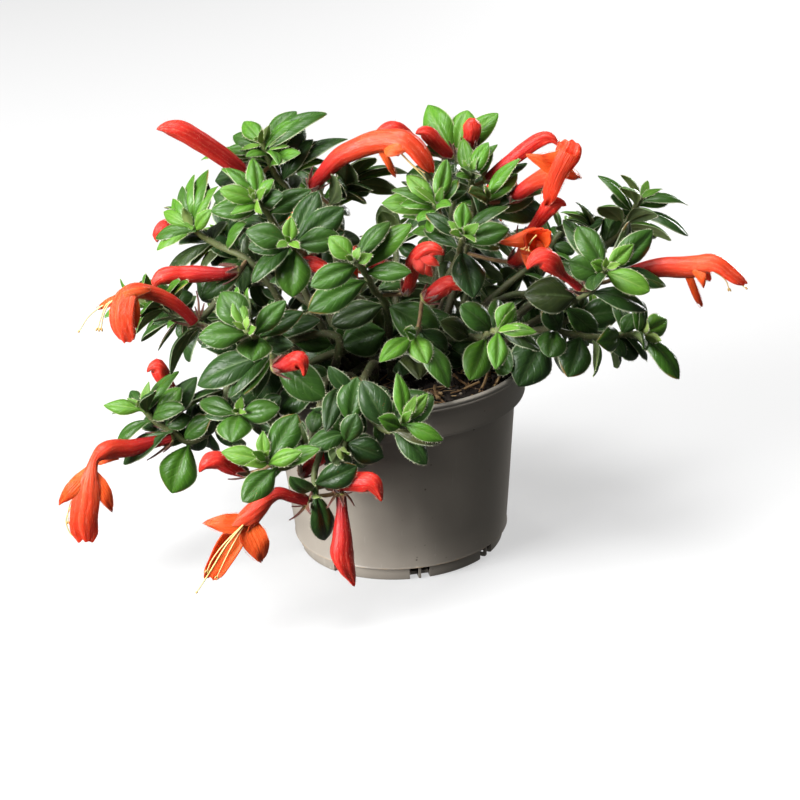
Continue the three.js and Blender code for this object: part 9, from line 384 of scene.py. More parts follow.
    ("shoot_06", [-93.5,-25.9,123.6], [-86.4,-47.4,144.7], [-0.86,0.24,0.45], 9.9, 4, "g", 0.1, 1),
    ("shoot_06", [-89,-29.9,122.5], [-100.8,-33.4,122.5], [-0.22,0.75,0.62], 2.5, 5, "c", 0.03, 1),
    ("shoot_06", [-89,-29.9,122.5], [-99.7,-34.8,109.7], [-0.75,0.48,0.45], 3.5, 5, "c", 0.03, 1),
    ("shoot_06", [-87.8,-31,122.2], [-88.1,-30.9,108.9], [-0.92,0.4,0.02], 2.7, 5, "c", 0.03, 1),
    ("shoot_06", [-86.6,-32.2,121.9], [-92.6,-37.9,124.6], [-0.46,0.73,0.51], 1.8, 5, "c", 0.03, 1),
    ("shoot_06", [-80,-38.4,121.2], [-85.2,-45.7,123.5], [-0.37,0.79,0.49], 1.7, 5, "c", 0.03, 1),
    ("shoot_06", [-80,-38.1,121.1], [-86.9,-42.8,119.8], [-0.59,0.7,0.39], 1.7, 5, "c", 0.03, 1),
    ("shoot_06", [-80,-38,121], [-86.7,-39.6,113.1], [-0.6,0.72,0.36], 2.1, 5, "c", 0.03, 1),
    ("shoot_20", [-21.3,-75.4,80.6], [-5.7,-76.4,73.3], [-0.42,-0.78,0.47], 11.4, 3, "d", 0.12, 1),
    ("shoot_20", [-20.4,-73.7,83.5], [-36.5,-81,81], [-0.17,-0.68,0.71], 10.2, 3, "d", 0.12, 1),
    ("shoot_20", [-21.3,-75.9,80.5], [-15.6,-80.6,95.2], [-0.25,-0.95,-0.2], 9.5, 3, "d", 0.1, 1),
    ("shoot_20", [-19.9,-71.8,84.6], [-8.1,-71.6,76.6], [0.04,-0.86,-0.5], 9, 4, "d", 0.1, 1),
    ("shoot_20", [-21.8,-77.4,79.8], [-23,-92.4,80.6], [-0.74,0.07,-0.67], 4.2, 1, "y", 0.07, 1),
    ("shoot_20", [-21.8,-77.6,79.8], [-19.1,-91.5,82.8], [-0.57,-0.18,-0.81], 4, 1, "y", 0.07, 1),
    ("shoot_20", [-14.8,-64.9,96.7], [-26.1,-67.4,111.7], [-0.37,-0.89,-0.26], 8.9, 4, "d", 0.1, 1),
    ("shoot_20", [-21.8,-77.7,79.9], [-26.7,-93.5,80], [-0.79,0.09,-0.6], 6.7, 2, "d", 0.1, 1),
    ("shoot_22", [-76.9,47.2,135.1], [-80.3,45.8,139.2], [-0.31,-0.66,0.68], 2.5, 0, "y", 0.1, 2),
    ("shoot_22", [-76.9,47.2,135.1], [-76.1,52.5,138.6], [0.29,0.8,0.52], 2.5, 0, "y", 0.1, 2),
    ("shoot_22", [-76.9,47.2,135.1], [-86.8,51.6,134], [-0.02,0.2,0.98], 5.7, 1, "y", 0.1, 2),
    ("shoot_22", [-76.9,47.2,135.1], [-75.3,55,142.4], [-0.97,0.15,0.17], 5.5, 1, "y", 0.1, 2),
    ("shoot_22", [-74.8,45.7,133.4], [-74.2,36.8,141.6], [-0.47,0.81,0.36], 7, 2, "m", 0.1, 2),
    ("shoot_22", [-74.8,45.7,133.4], [-71.9,60.2,135.7], [-0.42,-0.17,0.89], 8.7, 2, "m", 0.1, 2),
    ("shoot_22", [-71.7,43.5,130.3], [-56.6,42.9,142.2], [-0.81,0.57,0.15], 12, 3, "m", 0.1, 2),
    ("shoot_22", [-71.7,43.5,130.3], [-91.5,44.5,121.5], [-0.36,0.14,0.92], 12.7, 3, "m", 0.1, 2),
    ("shoot_22", [-68.1,40.8,125.2], [-62.1,60.6,130.1], [-0.32,0.15,0.93], 12.5, 3, "m", 0.1, 2),
    ("shoot_22", [-63.3,38.1,121.3], [-73.5,30.3,105.8], [-0.69,-0.22,0.69], 12.3, 4, "d", 0.1, 2),
    ("shoot_22", [-63.3,38.1,121.3], [-49.5,36,135.1], [-0.49,0.76,0.43], 12.7, 4, "d", 0.1, 2),
    ("shoot_22", [-55.4,34.3,116.9], [-57.4,17.1,123.1], [-0.68,0.32,0.66], 10.9, 4, "d", 0.1, 2),
    ("shoot_22", [-55.4,34.3,116.9], [-47.2,56,112.8], [-0.73,0.61,0.3], 13.7, 4, "d", 0.1, 2),
    ("shoot_22", [-48,30.8,113], [-36.5,31.2,128.3], [-0.76,0.32,0.56], 11.5, 4, "d", 0.1, 2),
    ("shoot_22", [-48,30.8,113], [-56.1,28,92], [-0.9,0.3,0.31], 14, 4, "d", 0.1, 2),
    ("shoot_22", [-39.1,26.4,107.9], [-32.1,44.4,102.8], [-0.6,0.42,0.68], 11.8, 4, "d", 0.1, 2),
    ("shoot_23", [-41.5,76.8,131.1], [-46.6,74.2,132.1], [0.02,-0.45,0.89], 2.6, 0, "y", 0.1, 2),
    ("shoot_23", [-41.5,76.8,131.1], [-45.4,80.1,127.7], [0.7,0.68,0.21], 2.5, 0, "y", 0.1, 2),
    ("shoot_23", [-41.5,76.8,131.1], [-39.1,78.2,140.5], [-0.67,0.74,0.06], 5.2, 1, "y", 0.1, 2),
    ("shoot_23", [-40.4,74.5,129.3], [-36.8,73.3,143.5], [-0.54,0.82,0.2], 8.2, 2, "m", 0.1, 2),
    ("shoot_23", [-38.8,71.1,126.2], [-31.8,67.9,143], [-0.74,0.6,0.31], 10.7, 3, "m", 0.1, 2),
    ("shoot_23", [-36.9,67,121], [-25.4,83,116.1], [-0.28,0.46,0.84], 12, 3, "m", 0.1, 2),
    ("shoot_23", [-36.9,67,121], [-50.5,59.2,134], [-0.09,0.78,0.62], 11.8, 3, "m", 0.1, 2),
    ("shoot_23", [-34.4,62.2,116.8], [-43.5,66.7,100], [-0.31,0.81,0.5], 12, 4, "d", 0.1, 2),
    ("shoot_23", [-34.4,62.2,116.8], [-22.6,55,134.9], [-0.45,0.69,0.57], 14.6, 4, "d", 0.1, 2),
    ("shoot_23", [-30.5,55,111.9], [-35.6,38.5,108.8], [-0.76,0.21,0.61], 11.5, 4, "d", 0.1, 2),
    ("shoot_23", [-30.5,55,111.9], [-17.6,61.9,94.7], [-0.04,0.94,0.34], 14.3, 4, "d", 0.1, 2),
    ("shoot_23", [-26,47,106.5], [-13.4,41.5,119.8], [-0.4,0.64,0.65], 11.6, 4, "d", 0.1, 2),
    ("shoot_23", [-26,47,106.5], [-39.1,47.4,93.1], [-0.54,0.64,0.55], 11.5, 4, "d", 0.1, 2),
    ("shoot_23", [-21.5,39,100], [-5.2,50.4,93.4], [-0.14,0.64,0.76], 13.5, 4, "d", 0.1, 2),
    ("shoot_23", [-21.5,39,100], [-33.1,22.4,108.2], [-0.13,0.53,0.84], 13.8, 4, "d", 0.1, 2),
    ("shoot_24", [4,86,118], [0.1,88.8,115.8], [0.21,-0.62,0.76], 2.3, 0, "y", 0.1, 2),
    ("shoot_24", [4,86,118], [4.9,87.2,124.4], [-0.35,0.57,-0.74], 2.9, 0, "y", 0.1, 2),
    ("shoot_24", [4,84.3,117], [-1.9,93,122.3], [0.39,0.14,0.91], 5.7, 1, "y", 0.1, 2),
    ("shoot_24", [4,84.3,117], [11.4,88.5,124.1], [-0.56,0.62,0.55], 5.4, 1, "y", 0.1, 2),
    ("shoot_24", [4,81,114.9], [-1.8,79.3,130.7], [0.22,0.97,0.04], 10.2, 2, "m", 0.1, 2),
    ("shoot_24", [4,81,114.9], [4.3,96.3,111.3], [-0.01,0.22,0.97], 9.1, 2, "m", 0.1, 2),
    ("shoot_24", [4,78,112.5], [21.9,80.8,119.5], [-0.36,0.37,0.86], 11.1, 3, "m", 0.1, 2),
    ("shoot_24", [4,78,112.5], [-12.7,78.3,119.1], [0.21,0.45,0.86], 10.6, 3, "m", 0.1, 2),
    ("shoot_24", [4,74.4,108.4], [3.5,91.4,97], [-0.16,0.42,0.9], 12.2, 3, "m", 0.1, 2),
    ("shoot_24", [3.7,66.8,104.9], [26.6,63.9,109.9], [0.33,0.87,0.35], 15.8, 4, "d", 0.1, 2),
    ("shoot_24", [3.2,57.8,102.5], [2,47.5,114.5], [0.04,0.75,0.66], 10.2, 4, "d", 0.1, 2),
    ("shoot_24", [3.2,57.8,102.5], [-2.6,64.3,81.5], [-0.03,0.95,0.3], 15.1, 4, "d", 0.1, 2),
    ("shoot_24", [2.6,47.5,99.3], [20.6,43.6,103.1], [0.04,0.8,0.59], 11.8, 4, "d", 0.1, 2),
    ("shoot_24", [2.6,47.5,99.3], [-10.2,42.2,92.9], [-0.52,0.74,0.44], 9.5, 4, "d", 0.1, 2),
    ("shoot_24", [2.2,38.7,95], [16.3,36.8,100.5], [-0.18,0.69,0.7], 9.8, 4, "d", 0.1, 2),
    ("shoot_24", [2.2,38.7,95], [13.3,30.2,100.5], [0.08,0.61,0.79], 9.1, 4, "d", 0.1, 2),
    ("shoot_25", [47.2,78.5,127], [49.1,74.5,133.1], [0.35,0.88,0.32], 4, 1, "y", 0.1, 2),
    ("shoot_25", [45.6,75.5,124.9], [44.5,70.5,136], [0.56,0.69,0.46], 6.8, 2, "m", 0.1, 2),
    ("shoot_25", [45.6,75.5,124.9], [57.8,70.6,132.1], [0.18,0.93,0.31], 8, 2, "m", 0.1, 2),
    ("shoot_25", [44.3,73,122.6], [41.5,65.8,141.5], [0.51,0.77,0.39], 11.6, 3, "m", 0.1, 2),
    ("shoot_25", [42.1,68.8,117.6], [63,62,119.2], [0.13,0.59,0.8], 13.4, 3, "m", 0.1, 2),
    ("shoot_25", [42.1,68.8,117.6], [24.5,79,122.9], [0.48,0.43,0.77], 12.8, 3, "m", 0.1, 2),
    ("shoot_25", [39.2,63.8,113.8], [41.4,75.2,94], [0.41,0.77,0.49], 14.4, 4, "d", 0.1, 2),
    ("shoot_25", [39.2,63.8,113.8], [43.7,59.4,132.8], [0.4,0.44,0.8], 11.5, 4, "d", 0.1, 2),
    ("shoot_25", [34.3,55.9,109.6], [15.6,60.2,106.3], [0.07,0.79,0.61], 12.7, 4, "d", 0.1, 2),
    ("shoot_25", [34.3,55.9,109.6], [52.3,40.9,108.5], [0.65,0.54,0.53], 14.4, 4, "d", 0.1, 2),
    ("shoot_25", [30,48.9,105.9], [26.3,38.6,124.5], [0.44,0.74,0.5], 13.4, 4, "d", 0.1, 2),
    ("shoot_25", [30,48.9,105.9], [49.1,43.6,102.1], [0.32,0.67,0.67], 11.6, 4, "d", 0.1, 2),
    ("shoot_25", [24.6,40.1,100], [5.3,46.8,98.2], [0.38,0.73,0.57], 12.1, 4, "d", 0.1, 2),
    ("shoot_26", [84,52,128], [89.8,53.4,128.1], [-0.46,0.37,0.81], 2.4, 0, "y", 0.1, 2),
    ("shoot_26", [84,52,128], [84.2,56,132.4], [0.67,-0.7,-0.24], 2.6, 0, "y", 0.1, 2),
    ("shoot_26", [82.5,51,127.1], [84.9,61.9,128.4], [0.61,-0.22,0.76], 5.8, 1, "y", 0.1, 2),
    ("shoot_26", [82.5,51,127.1], [89.6,48.4,133.6], [0.09,0.99,0.11], 5.3, 1, "y", 0.1, 2),
    ("shoot_26", [79.6,49.1,125.2], [74.9,55.9,138.5], [0.95,0.16,0.26], 9.3, 2, "m", 0.1, 2),
    ("shoot_26", [79.6,49.1,125.2], [95.3,49.3,123.5], [0.09,0.44,0.89], 8.2, 2, "m", 0.1, 2),
    ("shoot_26", [77.2,47.4,123.1], [81.2,63,122.4], [0.33,0.06,0.94], 9.2, 3, "m", 0.1, 2),
    ("shoot_26", [73.1,44.7,118.5], [89.1,41.1,106.9], [0.6,0.33,0.73], 10.8, 3, "m", 0.1, 2),
    ("shoot_26", [73.1,44.7,118.5], [67.3,50.1,138.4], [0.85,0.48,0.21], 13.2, 3, "m", 0.1, 2),
    ("shoot_26", [67,40.9,114.2], [59.7,58.9,107.1], [0.59,0.61,0.52], 13.1, 4, "d", 0.1, 2),
    ("shoot_26", [67,40.9,114.2], [68.9,25.7,129.2], [0.64,0.58,0.51], 12.6, 4, "d", 0.1, 2),
    ("shoot_26", [60.9,37.1,111], [46.4,43.7,128.2], [0.78,0.36,0.52], 13.4, 4, "d", 0.1, 2),
    ("shoot_26", [60.9,37.1,111], [75.8,27.1,103.6], [0.91,-0.01,0.41], 12.1, 4, "d", 0.1, 2),
    ("shoot_26", [52.6,32.1,106.6], [43.1,42.7,94], [0.6,0.76,0.26], 11.4, 4, "d", 0.1, 2),
    ("shoot_26", [45,27.5,101.9], [31.7,33,115.5], [0.74,0.31,0.6], 12.8, 4, "d", 0.1, 2),
    ("shoot_27", [-84,62,92], [-85.2,66.4,94.2], [-0.89,-0.37,0.27], 2.1, 0, "y", 0.1, 2),
    ("shoot_27", [-82.6,60.6,91.5], [-84.1,63.6,100], [-0.76,0.56,-0.32], 4.8, 1, "y", 0.1, 2),
    ("shoot_27", [-82.6,60.6,91.5], [-88.1,68.9,87.8], [-0.37,0.17,0.92], 5.4, 1, "y", 0.1, 2),
    ("shoot_27", [-79.9,57.9,90.6], [-74.4,69,98.8], [-0.92,0.21,0.34], 8.8, 2, "m", 0.1, 2),
    ("shoot_27", [-77.4,55.3,88.9], [-91.9,57.4,84.8], [-0.18,0.49,0.85], 8.2, 3, "m", 0.1, 2),
    ("shoot_27", [-77.4,55.3,88.9], [-76.1,56.2,110.1], [-0.77,0.59,0.24], 11.8, 3, "m", 0.1, 2),
    ("shoot_27", [-73.9,51.7,85.4], [-93.8,42.7,84.7], [-0.34,0.7,0.63], 13.3, 3, "m", 0.1, 2),
    ("shoot_27", [-73.9,51.7,85.4], [-56,64.7,91.2], [-0.65,0.41,0.63], 13.2, 3, "m", 0.1, 2),
    ("shoot_27", [-67.8,46.9,87.3], [-75.5,47.1,105.1], [-0.75,0.57,-0.33], 11.9, 4, "d", 0.1, 2),
    ("shoot_27", [-67.8,46.9,87.3], [-51.2,41.9,71.8], [-0.48,0.54,-0.69], 13.8, 4, "d", 0.1, 2),
    ("shoot_27", [-62.1,43,92.2], [-50.7,57.6,102.3], [-0.7,0.69,-0.19], 12.8, 4, "d", 0.1, 2),
    ("shoot_27", [-62.1,43,92.2], [-72,28.9,98.3], [-0.84,0.48,-0.26], 11.5, 4, "d", 0.1, 2),
    ("shoot_27", [-54.5,38,97.9], [-44,47.7,85.8], [-0.75,0.64,-0.14], 11.5, 4, "d", 0.1, 2),
    ("shoot_27", [-54.5,38,97.9], [-61.8,38.5,115.7], [-0.82,0.5,-0.28], 11, 4, "d", 0.1, 2),
    ("shoot_27", [-46.8,32.6,99.4], [-55,15.2,96.7], [-0.87,0.36,0.33], 12.9, 4, "d", 0.1, 2),
    ("shoot_27", [-46.8,32.6,99.4], [-38.6,49.5,99.8], [-0.85,0.4,0.35], 11.4, 4, "d", 0.1, 2),
    ("shoot_28", [40,98,86], [41.8,102.7,88.2], [0.13,-0.13,0.98], 2.2, 0, "y", 0.1, 2),
    ("shoot_28", [40,98,86], [40.8,102.5,83.3], [-0.35,0.9,-0.25], 2.3, 0, "y", 0.1, 2),
    ("shoot_28", [39.3,96.2,85.5], [34.8,104.2,90.4], [0.94,0.33,-0.01], 5.3, 1, "y", 0.1, 2),
    ("shoot_28", [39.3,96.2,85.5], [49,102.2,84.9], [-0.33,0.6,0.73], 5.9, 1, "y", 0.1, 2),
    ("shoot_28", [37.9,92.6,84.7], [42.5,96.1,100.1], [0.12,0.96,-0.25], 9.1, 2, "m", 0.1, 2),
    ("shoot_28", [37.9,92.6,84.7], [37.9,107.2,76.1], [0.32,0.48,0.82], 9, 2, "m", 0.1, 2),
    ("shoot_28", [36.6,89.2,83], [58,91.6,80.1], [-0.17,0.03,0.98], 13.1, 3, "m", 0.1, 2),
    ("shoot_28", [36.6,89.2,83], [22.5,94.5,97], [0.66,0.6,0.44], 11.1, 3, "m", 0.1, 2),
    ("shoot_28", [34.8,84.5,79.5], [29.6,97.2,63.6], [0.28,0.79,0.54], 12.8, 3, "m", 0.1, 2),
    ("shoot_28", [32.1,77.8,81.9], [10.6,78,89.8], [0.32,0.88,-0.36], 13.9, 4, "d", 0.1, 2),
    ("shoot_28", [32.1,77.8,81.9], [47.4,62.7,75.9], [0.56,0.73,-0.4], 14.2, 4, "d", 0.1, 2),
    ("shoot_28", [29.7,72,87.7], [35.7,77.7,103.3], [0.34,0.83,-0.43], 10.3, 4, "d", 0.1, 2),
    ("shoot_28", [29.7,72,87.7], [16.6,65.7,78.5], [0.1,0.75,-0.65], 10, 4, "d", 0.1, 2),
    ("shoot_28", [26.5,64.3,95.4], [12.6,77.3,105.6], [0.46,0.8,-0.39], 13.5, 4, "d", 0.1, 2),
    ("shoot_28", [23.3,56.5,99.3], [5.8,55.5,95.6], [-0.08,0.99,0.12], 10.7, 4, "d", 0.1, 2),
    ("shoot_28", [23.3,56.5,99.3], [27.3,51.6,115.3], [0.25,0.96,0.11], 11.2, 4, "d", 0.1, 2),
    ("shoot_24", [-28,98,88], [-31.6,98.4,90.6], [0.28,0.93,0.25], 1.9, 0, "y", 0.1, 2),
    ("shoot_24", [-27.6,96.1,87.5], [-34.6,96.8,89.9], [0.23,0.88,0.42], 3.5, 1, "y", 0.1, 2),
    ("shoot_24", [-27.6,96.1,87.5], [-21.5,103,90.4], [-0.76,0.49,0.42], 5.1, 1, "y", 0.1, 2),
    ("shoot_24", [-26.7,92.3,86.6], [-30.5,90.6,99.4], [-0.03,0.99,0.12], 8.1, 2, "m", 0.1, 2),
    ("shoot_24", [-26.7,92.3,86.6], [-28.6,106.6,78.1], [-0.13,0.5,0.86], 9.6, 2, "m", 0.1, 2),
    ("shoot_24", [-26.1,88.7,84.9], [-9.2,94.9,91.6], [-0.48,0.62,0.62], 10.8, 3, "m", 0.1, 2),
    ("shoot_24", [-26.1,88.7,84.9], [-44.9,90.3,85.6], [0.24,0.39,0.89], 11.8, 3, "m", 0.1, 2),
    ("shoot_24", [-25.3,83.5,81.3], [-29.6,100.3,67], [-0.37,0.87,0.34], 13.5, 3, "m", 0.1, 2),
    ("shoot_24", [-25.3,83.5,81.3], [-24.7,80.9,100.9], [-0.36,0.88,0.31], 12.2, 3, "m", 0.1, 2),
    ("shoot_24", [-20.2,79.8,84], [-28.3,61.4,90.6], [-0.89,0.27,-0.36], 13.9, 4, "d", 0.1, 2),
    ("shoot_24", [-20.2,79.8,84], [-10,98.6,78.3], [-0.85,0.35,-0.39], 13.3, 4, "d", 0.1, 2),
    ("shoot_24", [-13.9,78.5,90], [-18.9,84.7,103.7], [-0.82,0.33,-0.47], 10.4, 4, "d", 0.1, 2),
    ("shoot_24", [-13.9,78.5,90], [-1.4,76.2,74.3], [-0.52,0.16,-0.84], 11.7, 4, "d", 0.1, 2),
    ("shoot_24", [-6.2,76.3,97.5], [-1.4,96.3,103.8], [-0.59,0.47,-0.66], 14.3, 4, "d", 0.1, 2),
    ("shoot_23", [-29.7,41.3,156.6], [-34,38.2,156.6], [0.77,-0.48,0.42], 2.3, 0, "y", 0.1, 2),
    ("shoot_23", [-29.7,41.3,156.6], [-26.6,36.7,158.7], [-0.74,0.67,-0.05], 2.4, 0, "y", 0.1, 2),
    ("shoot_23", [-29.7,41.3,156.6], [-33.8,37.9,163.2], [0.21,0.81,0.54], 4.3, 1, "y", 0.1, 2),
    ("shoot_23", [-29.7,41.3,156.6], [-23.9,47.3,160.8], [-0.4,-0.1,0.91], 4.7, 1, "y", 0.1, 2),
    ("shoot_23", [-29,39.8,154], [-39.6,50.2,156.1], [-0.03,-0.1,0.99], 8.3, 2, "m", 0.1, 2),
    ("shoot_23", [-28,37.5,149.5], [-11.7,51,155.2], [-0.28,0.21,0.94], 13, 3, "m", 0.1, 2),
    ("shoot_23", [-28,37.5,149.5], [-44.8,33.4,151], [0.54,0.24,0.81], 10, 3, "m", 0.1, 2),
    ("shoot_23", [-26.8,34.6,144.4], [-43.3,44.3,147.7], [0.04,0.03,1], 12.1, 3, "m", 0.1, 2),
    ("shoot_23", [-26.8,34.6,144.4], [-9.1,24.9,156.4], [-0.37,0.38,0.85], 13.2, 3, "m", 0.1, 2),
    ("shoot_23", [-27.2,36.8,137.2], [-46.4,28.6,137.1], [0.23,-0.54,0.81], 13.4, 4, "d", 0.1, 2),
    ("shoot_23", [-29.3,43.6,132.1], [-38.4,54.9,148.8], [0.26,-0.73,0.63], 13.6, 4, "d", 0.1, 2),
    ("shoot_23", [-29.3,43.6,132.1], [-19.4,37,112.5], [0.37,-0.81,0.46], 14.5, 4, "d", 0.1, 2),
    ("shoot_23", [-31.7,52.2,125.7], [-49.8,43.9,121.4], [0.06,-0.56,0.83], 12, 4, "d", 0.1, 2),
    ("shoot_23", [-31.7,52.2,125.7], [-12.2,49.1,126.7], [-0.12,-0.51,0.85], 11.4, 4, "d", 0.1, 2),
    ("shoot_25", [34,42,158], [33.8,45.9,162.6], [0.62,-0.59,0.52], 2.4, 0, "y", 0.1, 2),
    ("shoot_25", [34,42,158], [30.7,45,162.4], [-0.95,0.18,0.26], 2.4, 0, "y", 0.1, 2),
    ("shoot_25", [33.5,41,156.4], [26.7,40.2,164.2], [0.85,0.51,-0.07], 5.2, 1, "y", 0.1, 2),
    ("shoot_25", [33.5,41,156.4], [37.5,49.7,155.9], [-0.14,-0.2,0.97], 5.1, 1, "y", 0.1, 2),
    ("shoot_25", [32.5,39,153.1], [44.1,31.1,154.6], [-0.35,0.77,0.54], 8.4, 2, "m", 0.1, 2),
    ("shoot_25", [32.5,39,153.1], [24.1,50.7,160.2], [0.6,-0.05,0.8], 8.9, 2, "m", 0.1, 2),
    ("shoot_25", [31.6,37.2,149.8], [43.1,50.8,148.2], [-0.03,0.15,0.99], 10.2, 3, "m", 0.1, 2),
    ("shoot_25", [31.6,37.2,149.8], [14.9,38.2,161.5], [0.54,0.47,0.7], 11.8, 3, "m", 0.1, 2),
    ("shoot_25", [30.2,34.2,144.9], [17.2,48.7,148.3], [0.31,0.06,0.95], 11.2, 3, "m", 0.1, 2),
    ("shoot_25", [30.2,34.2,144.9], [48.5,28.7,145.5], [0.05,0.27,0.96], 11.4, 3, "m", 0.1, 2),
    ("shoot_25", [30.3,35.8,137.4], [36.4,53,146.7], [-0.12,-0.43,0.89], 13.2, 4, "d", 0.1, 2),
    ("shoot_25", [30.3,35.8,137.4], [21.3,22.7,124.7], [-0.22,-0.6,0.77], 12.9, 4, "d", 0.1, 2),
    ("shoot_25", [32.1,41.8,131.6], [14.8,50.6,133], [-0.22,-0.56,0.8], 12, 4, "d", 0.1, 2),
    ("shoot_25", [32.1,41.8,131.6], [52.4,37.2,131.8], [-0.14,-0.59,0.8], 13.4, 4, "d", 0.1, 2),
    ("shoot_25", [34.4,49.8,124.2], [33.5,35.1,121.7], [0.15,-0.4,0.9], 9.2, 4, "d", 0.1, 2),
    ("shoot_25", [34.4,49.8,124.2], [50.7,51.2,125.4], [-0.02,-0.5,0.87], 10, 4, "d", 0.1, 2),
    ("shoot_26", [94.6,43.3,91.8], [97.3,43,86.2], [-0.3,0.73,0.62], 2.7, 0, "y", 0.1, 2),
    ("shoot_26", [94.6,43.3,91.8], [94.5,46.9,95.9], [0.34,-0.68,0.65], 2.4, 0, "y", 0.1, 2),
    ("shoot_26", [94.6,43.3,91.8], [104,48.5,87.5], [0.38,0.46,0.8], 6.2, 1, "y", 0.1, 2),
    ("shoot_26", [91.8,41.8,91.4], [92.6,55.9,97.9], [0.95,-0.17,0.26], 8.5, 2, "m", 0.1, 2),
    ("shoot_26", [87.5,39.5,90], [85.9,40.6,108.1], [0.9,0.43,0.05], 10.3, 3, "m", 0.1, 2),
    ("shoot_26", [87.5,39.5,90], [95.8,48.1,74.5], [0.61,0.23,0.76], 12, 3, "m", 0.1, 2),
    ("shoot_26", [83,36.9,87.1], [93.7,19.6,86.8], [0.73,0.44,0.53], 12.4, 3, "m", 0.1, 2),
    ("shoot_26", [83,36.9,87.1], [76.3,57.4,91.3], [0.68,0.13,0.72], 12.2, 3, "m", 0.1, 2),
    ("shoot_26", [75.5,35.1,90.2], [58.6,36.3,74], [0.69,0.14,-0.71], 15, 4, "d", 0.1, 2),
    ("shoot_26", [75.5,35.1,90.2], [87.8,35.3,105.5], [0.78,0.11,-0.62], 11.4, 4, "d", 0.1, 2),
    ("shoot_26", [68.9,34.5,96.4], [71.5,57.5,101.4], [0.21,0.46,-0.86], 13.5, 4, "d", 0.1, 2),
    ("shoot_26", [68.9,34.5,96.4], [65.4,11.9,96.5], [0.94,-0.19,-0.29], 13.8, 4, "d", 0.1, 2),
    ("shoot_26", [62.2,33.6,101.5], [51.4,37.8,85.1], [0.91,0.25,-0.34], 11.8, 4, "d", 0.1, 2),
    ("shoot_22", [-102.6,21.6,111.4], [-106.1,19.5,115.2], [-0.05,-0.87,0.49], 2.4, 0, "y", 0.1, 2),
    ("shoot_22", [-102.6,21.6,111.4], [-99.1,20.4,115.6], [0.19,0.93,0.32], 2.2, 0, "y", 0.1, 2),
    ("shoot_22", [-102.6,21.6,111.4], [-113.2,24.8,109.2], [-0.17,-0.13,0.98], 5.8, 1, "y", 0.1, 2),
    ("shoot_22", [-102.6,21.6,111.4], [-102.5,27.5,119.9], [-0.91,-0.02,-0.41], 4.8, 1, "y", 0.1, 2),
    ("shoot_22", [-99.8,20.8,110.2], [-110.6,10.6,115.7], [-0.41,0.73,0.54], 9.4, 2, "m", 0.1, 2),
    ("shoot_22", [-99.8,20.8,110.2], [-103.5,35.9,114.3], [-0.72,-0.34,0.6], 8.4, 2, "m", 0.1, 2),
    ("shoot_22", [-95.7,19.5,107.7], [-86.7,21.7,122.9], [-0.93,0.29,0.21], 10.1, 3, "m", 0.1, 2),
    ("shoot_22", [-95.7,19.5,107.7], [-110.8,20.1,98.2], [-0.29,0.22,0.93], 10.5, 3, "m", 0.1, 2),
    ("shoot_22", [-92,17.8,103.9], [-89.3,36.5,107.2], [-0.68,-0.03,0.73], 10.2, 3, "m", 0.1, 2),
    ("shoot_22", [-92,17.8,103.9], [-95,-2,110.1], [-0.62,0.32,0.71], 13, 3, "m", 0.1, 2),
    ("shoot_22", [-84,20.4,104.4], [-71.5,30.6,87.5], [-0.59,-0.42,-0.69], 15.2, 4, "d", 0.1, 2),
    ("shoot_22", [-78.1,25.4,109.1], [-65.2,16.2,104.5], [-0.62,-0.74,-0.26], 10.5, 4, "d", 0.1, 2),
    ("shoot_22", [-78.1,25.4,109.1], [-87.4,42.2,114.5], [-0.88,-0.45,-0.15], 12.9, 4, "d", 0.1, 2),
    ("shoot_22", [-71.8,30,113.6], [-81.9,25,126.7], [-0.65,-0.39,-0.65], 11.5, 4, "d", 0.1, 2),
    ("shoot_22", [-71.8,30,113.6], [-59.9,33.9,98.3], [-0.93,0.06,-0.36], 11.9, 4, "d", 0.1, 2),
    ("shoot_25", [36.4,59.2,111.3], [31.9,54.5,136], [0.56,-0.75,0.36], 15.8, 4, "d", 0.1, 3),
    ("shoot_01", [-48.9,16,172.1], [-61.5,32.3,182.1], [0.13,-0.55,0.82], 14.5, 4, "d", 0.1, 3),
    ("shoot_17", [-65.6,-10.9,96.1], [-83.5,-22.1,108.5], [0.64,-0.21,0.74], 14.9, 4, "d", 0.1, 3),
    ("shoot_14", [45.5,-17.8,96.7], [54.1,-32,88.8], [0.79,0.31,0.53], 11.8, 4, "d", 0.1, 3),
    ("shoot_01", [-48.9,16,172.1], [-73.9,19.6,167.4], [-0.23,-0.63,0.74], 16.1, 4, "d", 0.1, 3),
    ("shoot_23", [-31.7,54.6,119.6], [-50.2,55.8,103.1], [-0.37,-0.76,0.54], 16.6, 4, "d", 0.1, 3),
    ("shoot_17", [-58.6,-9.8,100], [-63.4,-14.2,108.1], [0.07,-0.89,-0.44], 6.2, 4, "d", 0.1, 3),
    ("shoot_20", [-1.6,-77,85.3], [9.6,-59.4,90], [0.54,-0.78,-0.33], 13.1, 4, "d", 0.1, 3),
    ("shoot_22", [-58.9,35.9,118.7], [-62,33.9,137.3], [0.15,-0.94,0.3], 11.5, 4, "d", 0.1, 3),
    ("shoot_25", [43.3,71.1,120.2], [43.7,76.5,104.4], [0.66,-0.72,-0.23], 10.4, 4, "d", 0.1, 3),
    ("shoot_09", [35.2,11.1,166.4], [10.1,14.4,167], [-0.01,-0.24,0.97], 17, 4, "d", 0.1, 3),
    ("shoot_22", [-72.7,44.2,131.4], [-73.5,60.7,147.7], [0.45,-0.58,0.68], 15.8, 4, "d", 0.1, 3),
    ("shoot_26", [79.9,35.8,87.2], [88.9,53.5,95.8], [0.14,-0.9,0.42], 13.8, 4, "d", 0.1, 3),
    ("shoot_13", [42.3,2.6,91.5], [32.4,-3.9,97.4], [0.6,-0.22,0.77], 9, 4, "d", 0.1, 3),
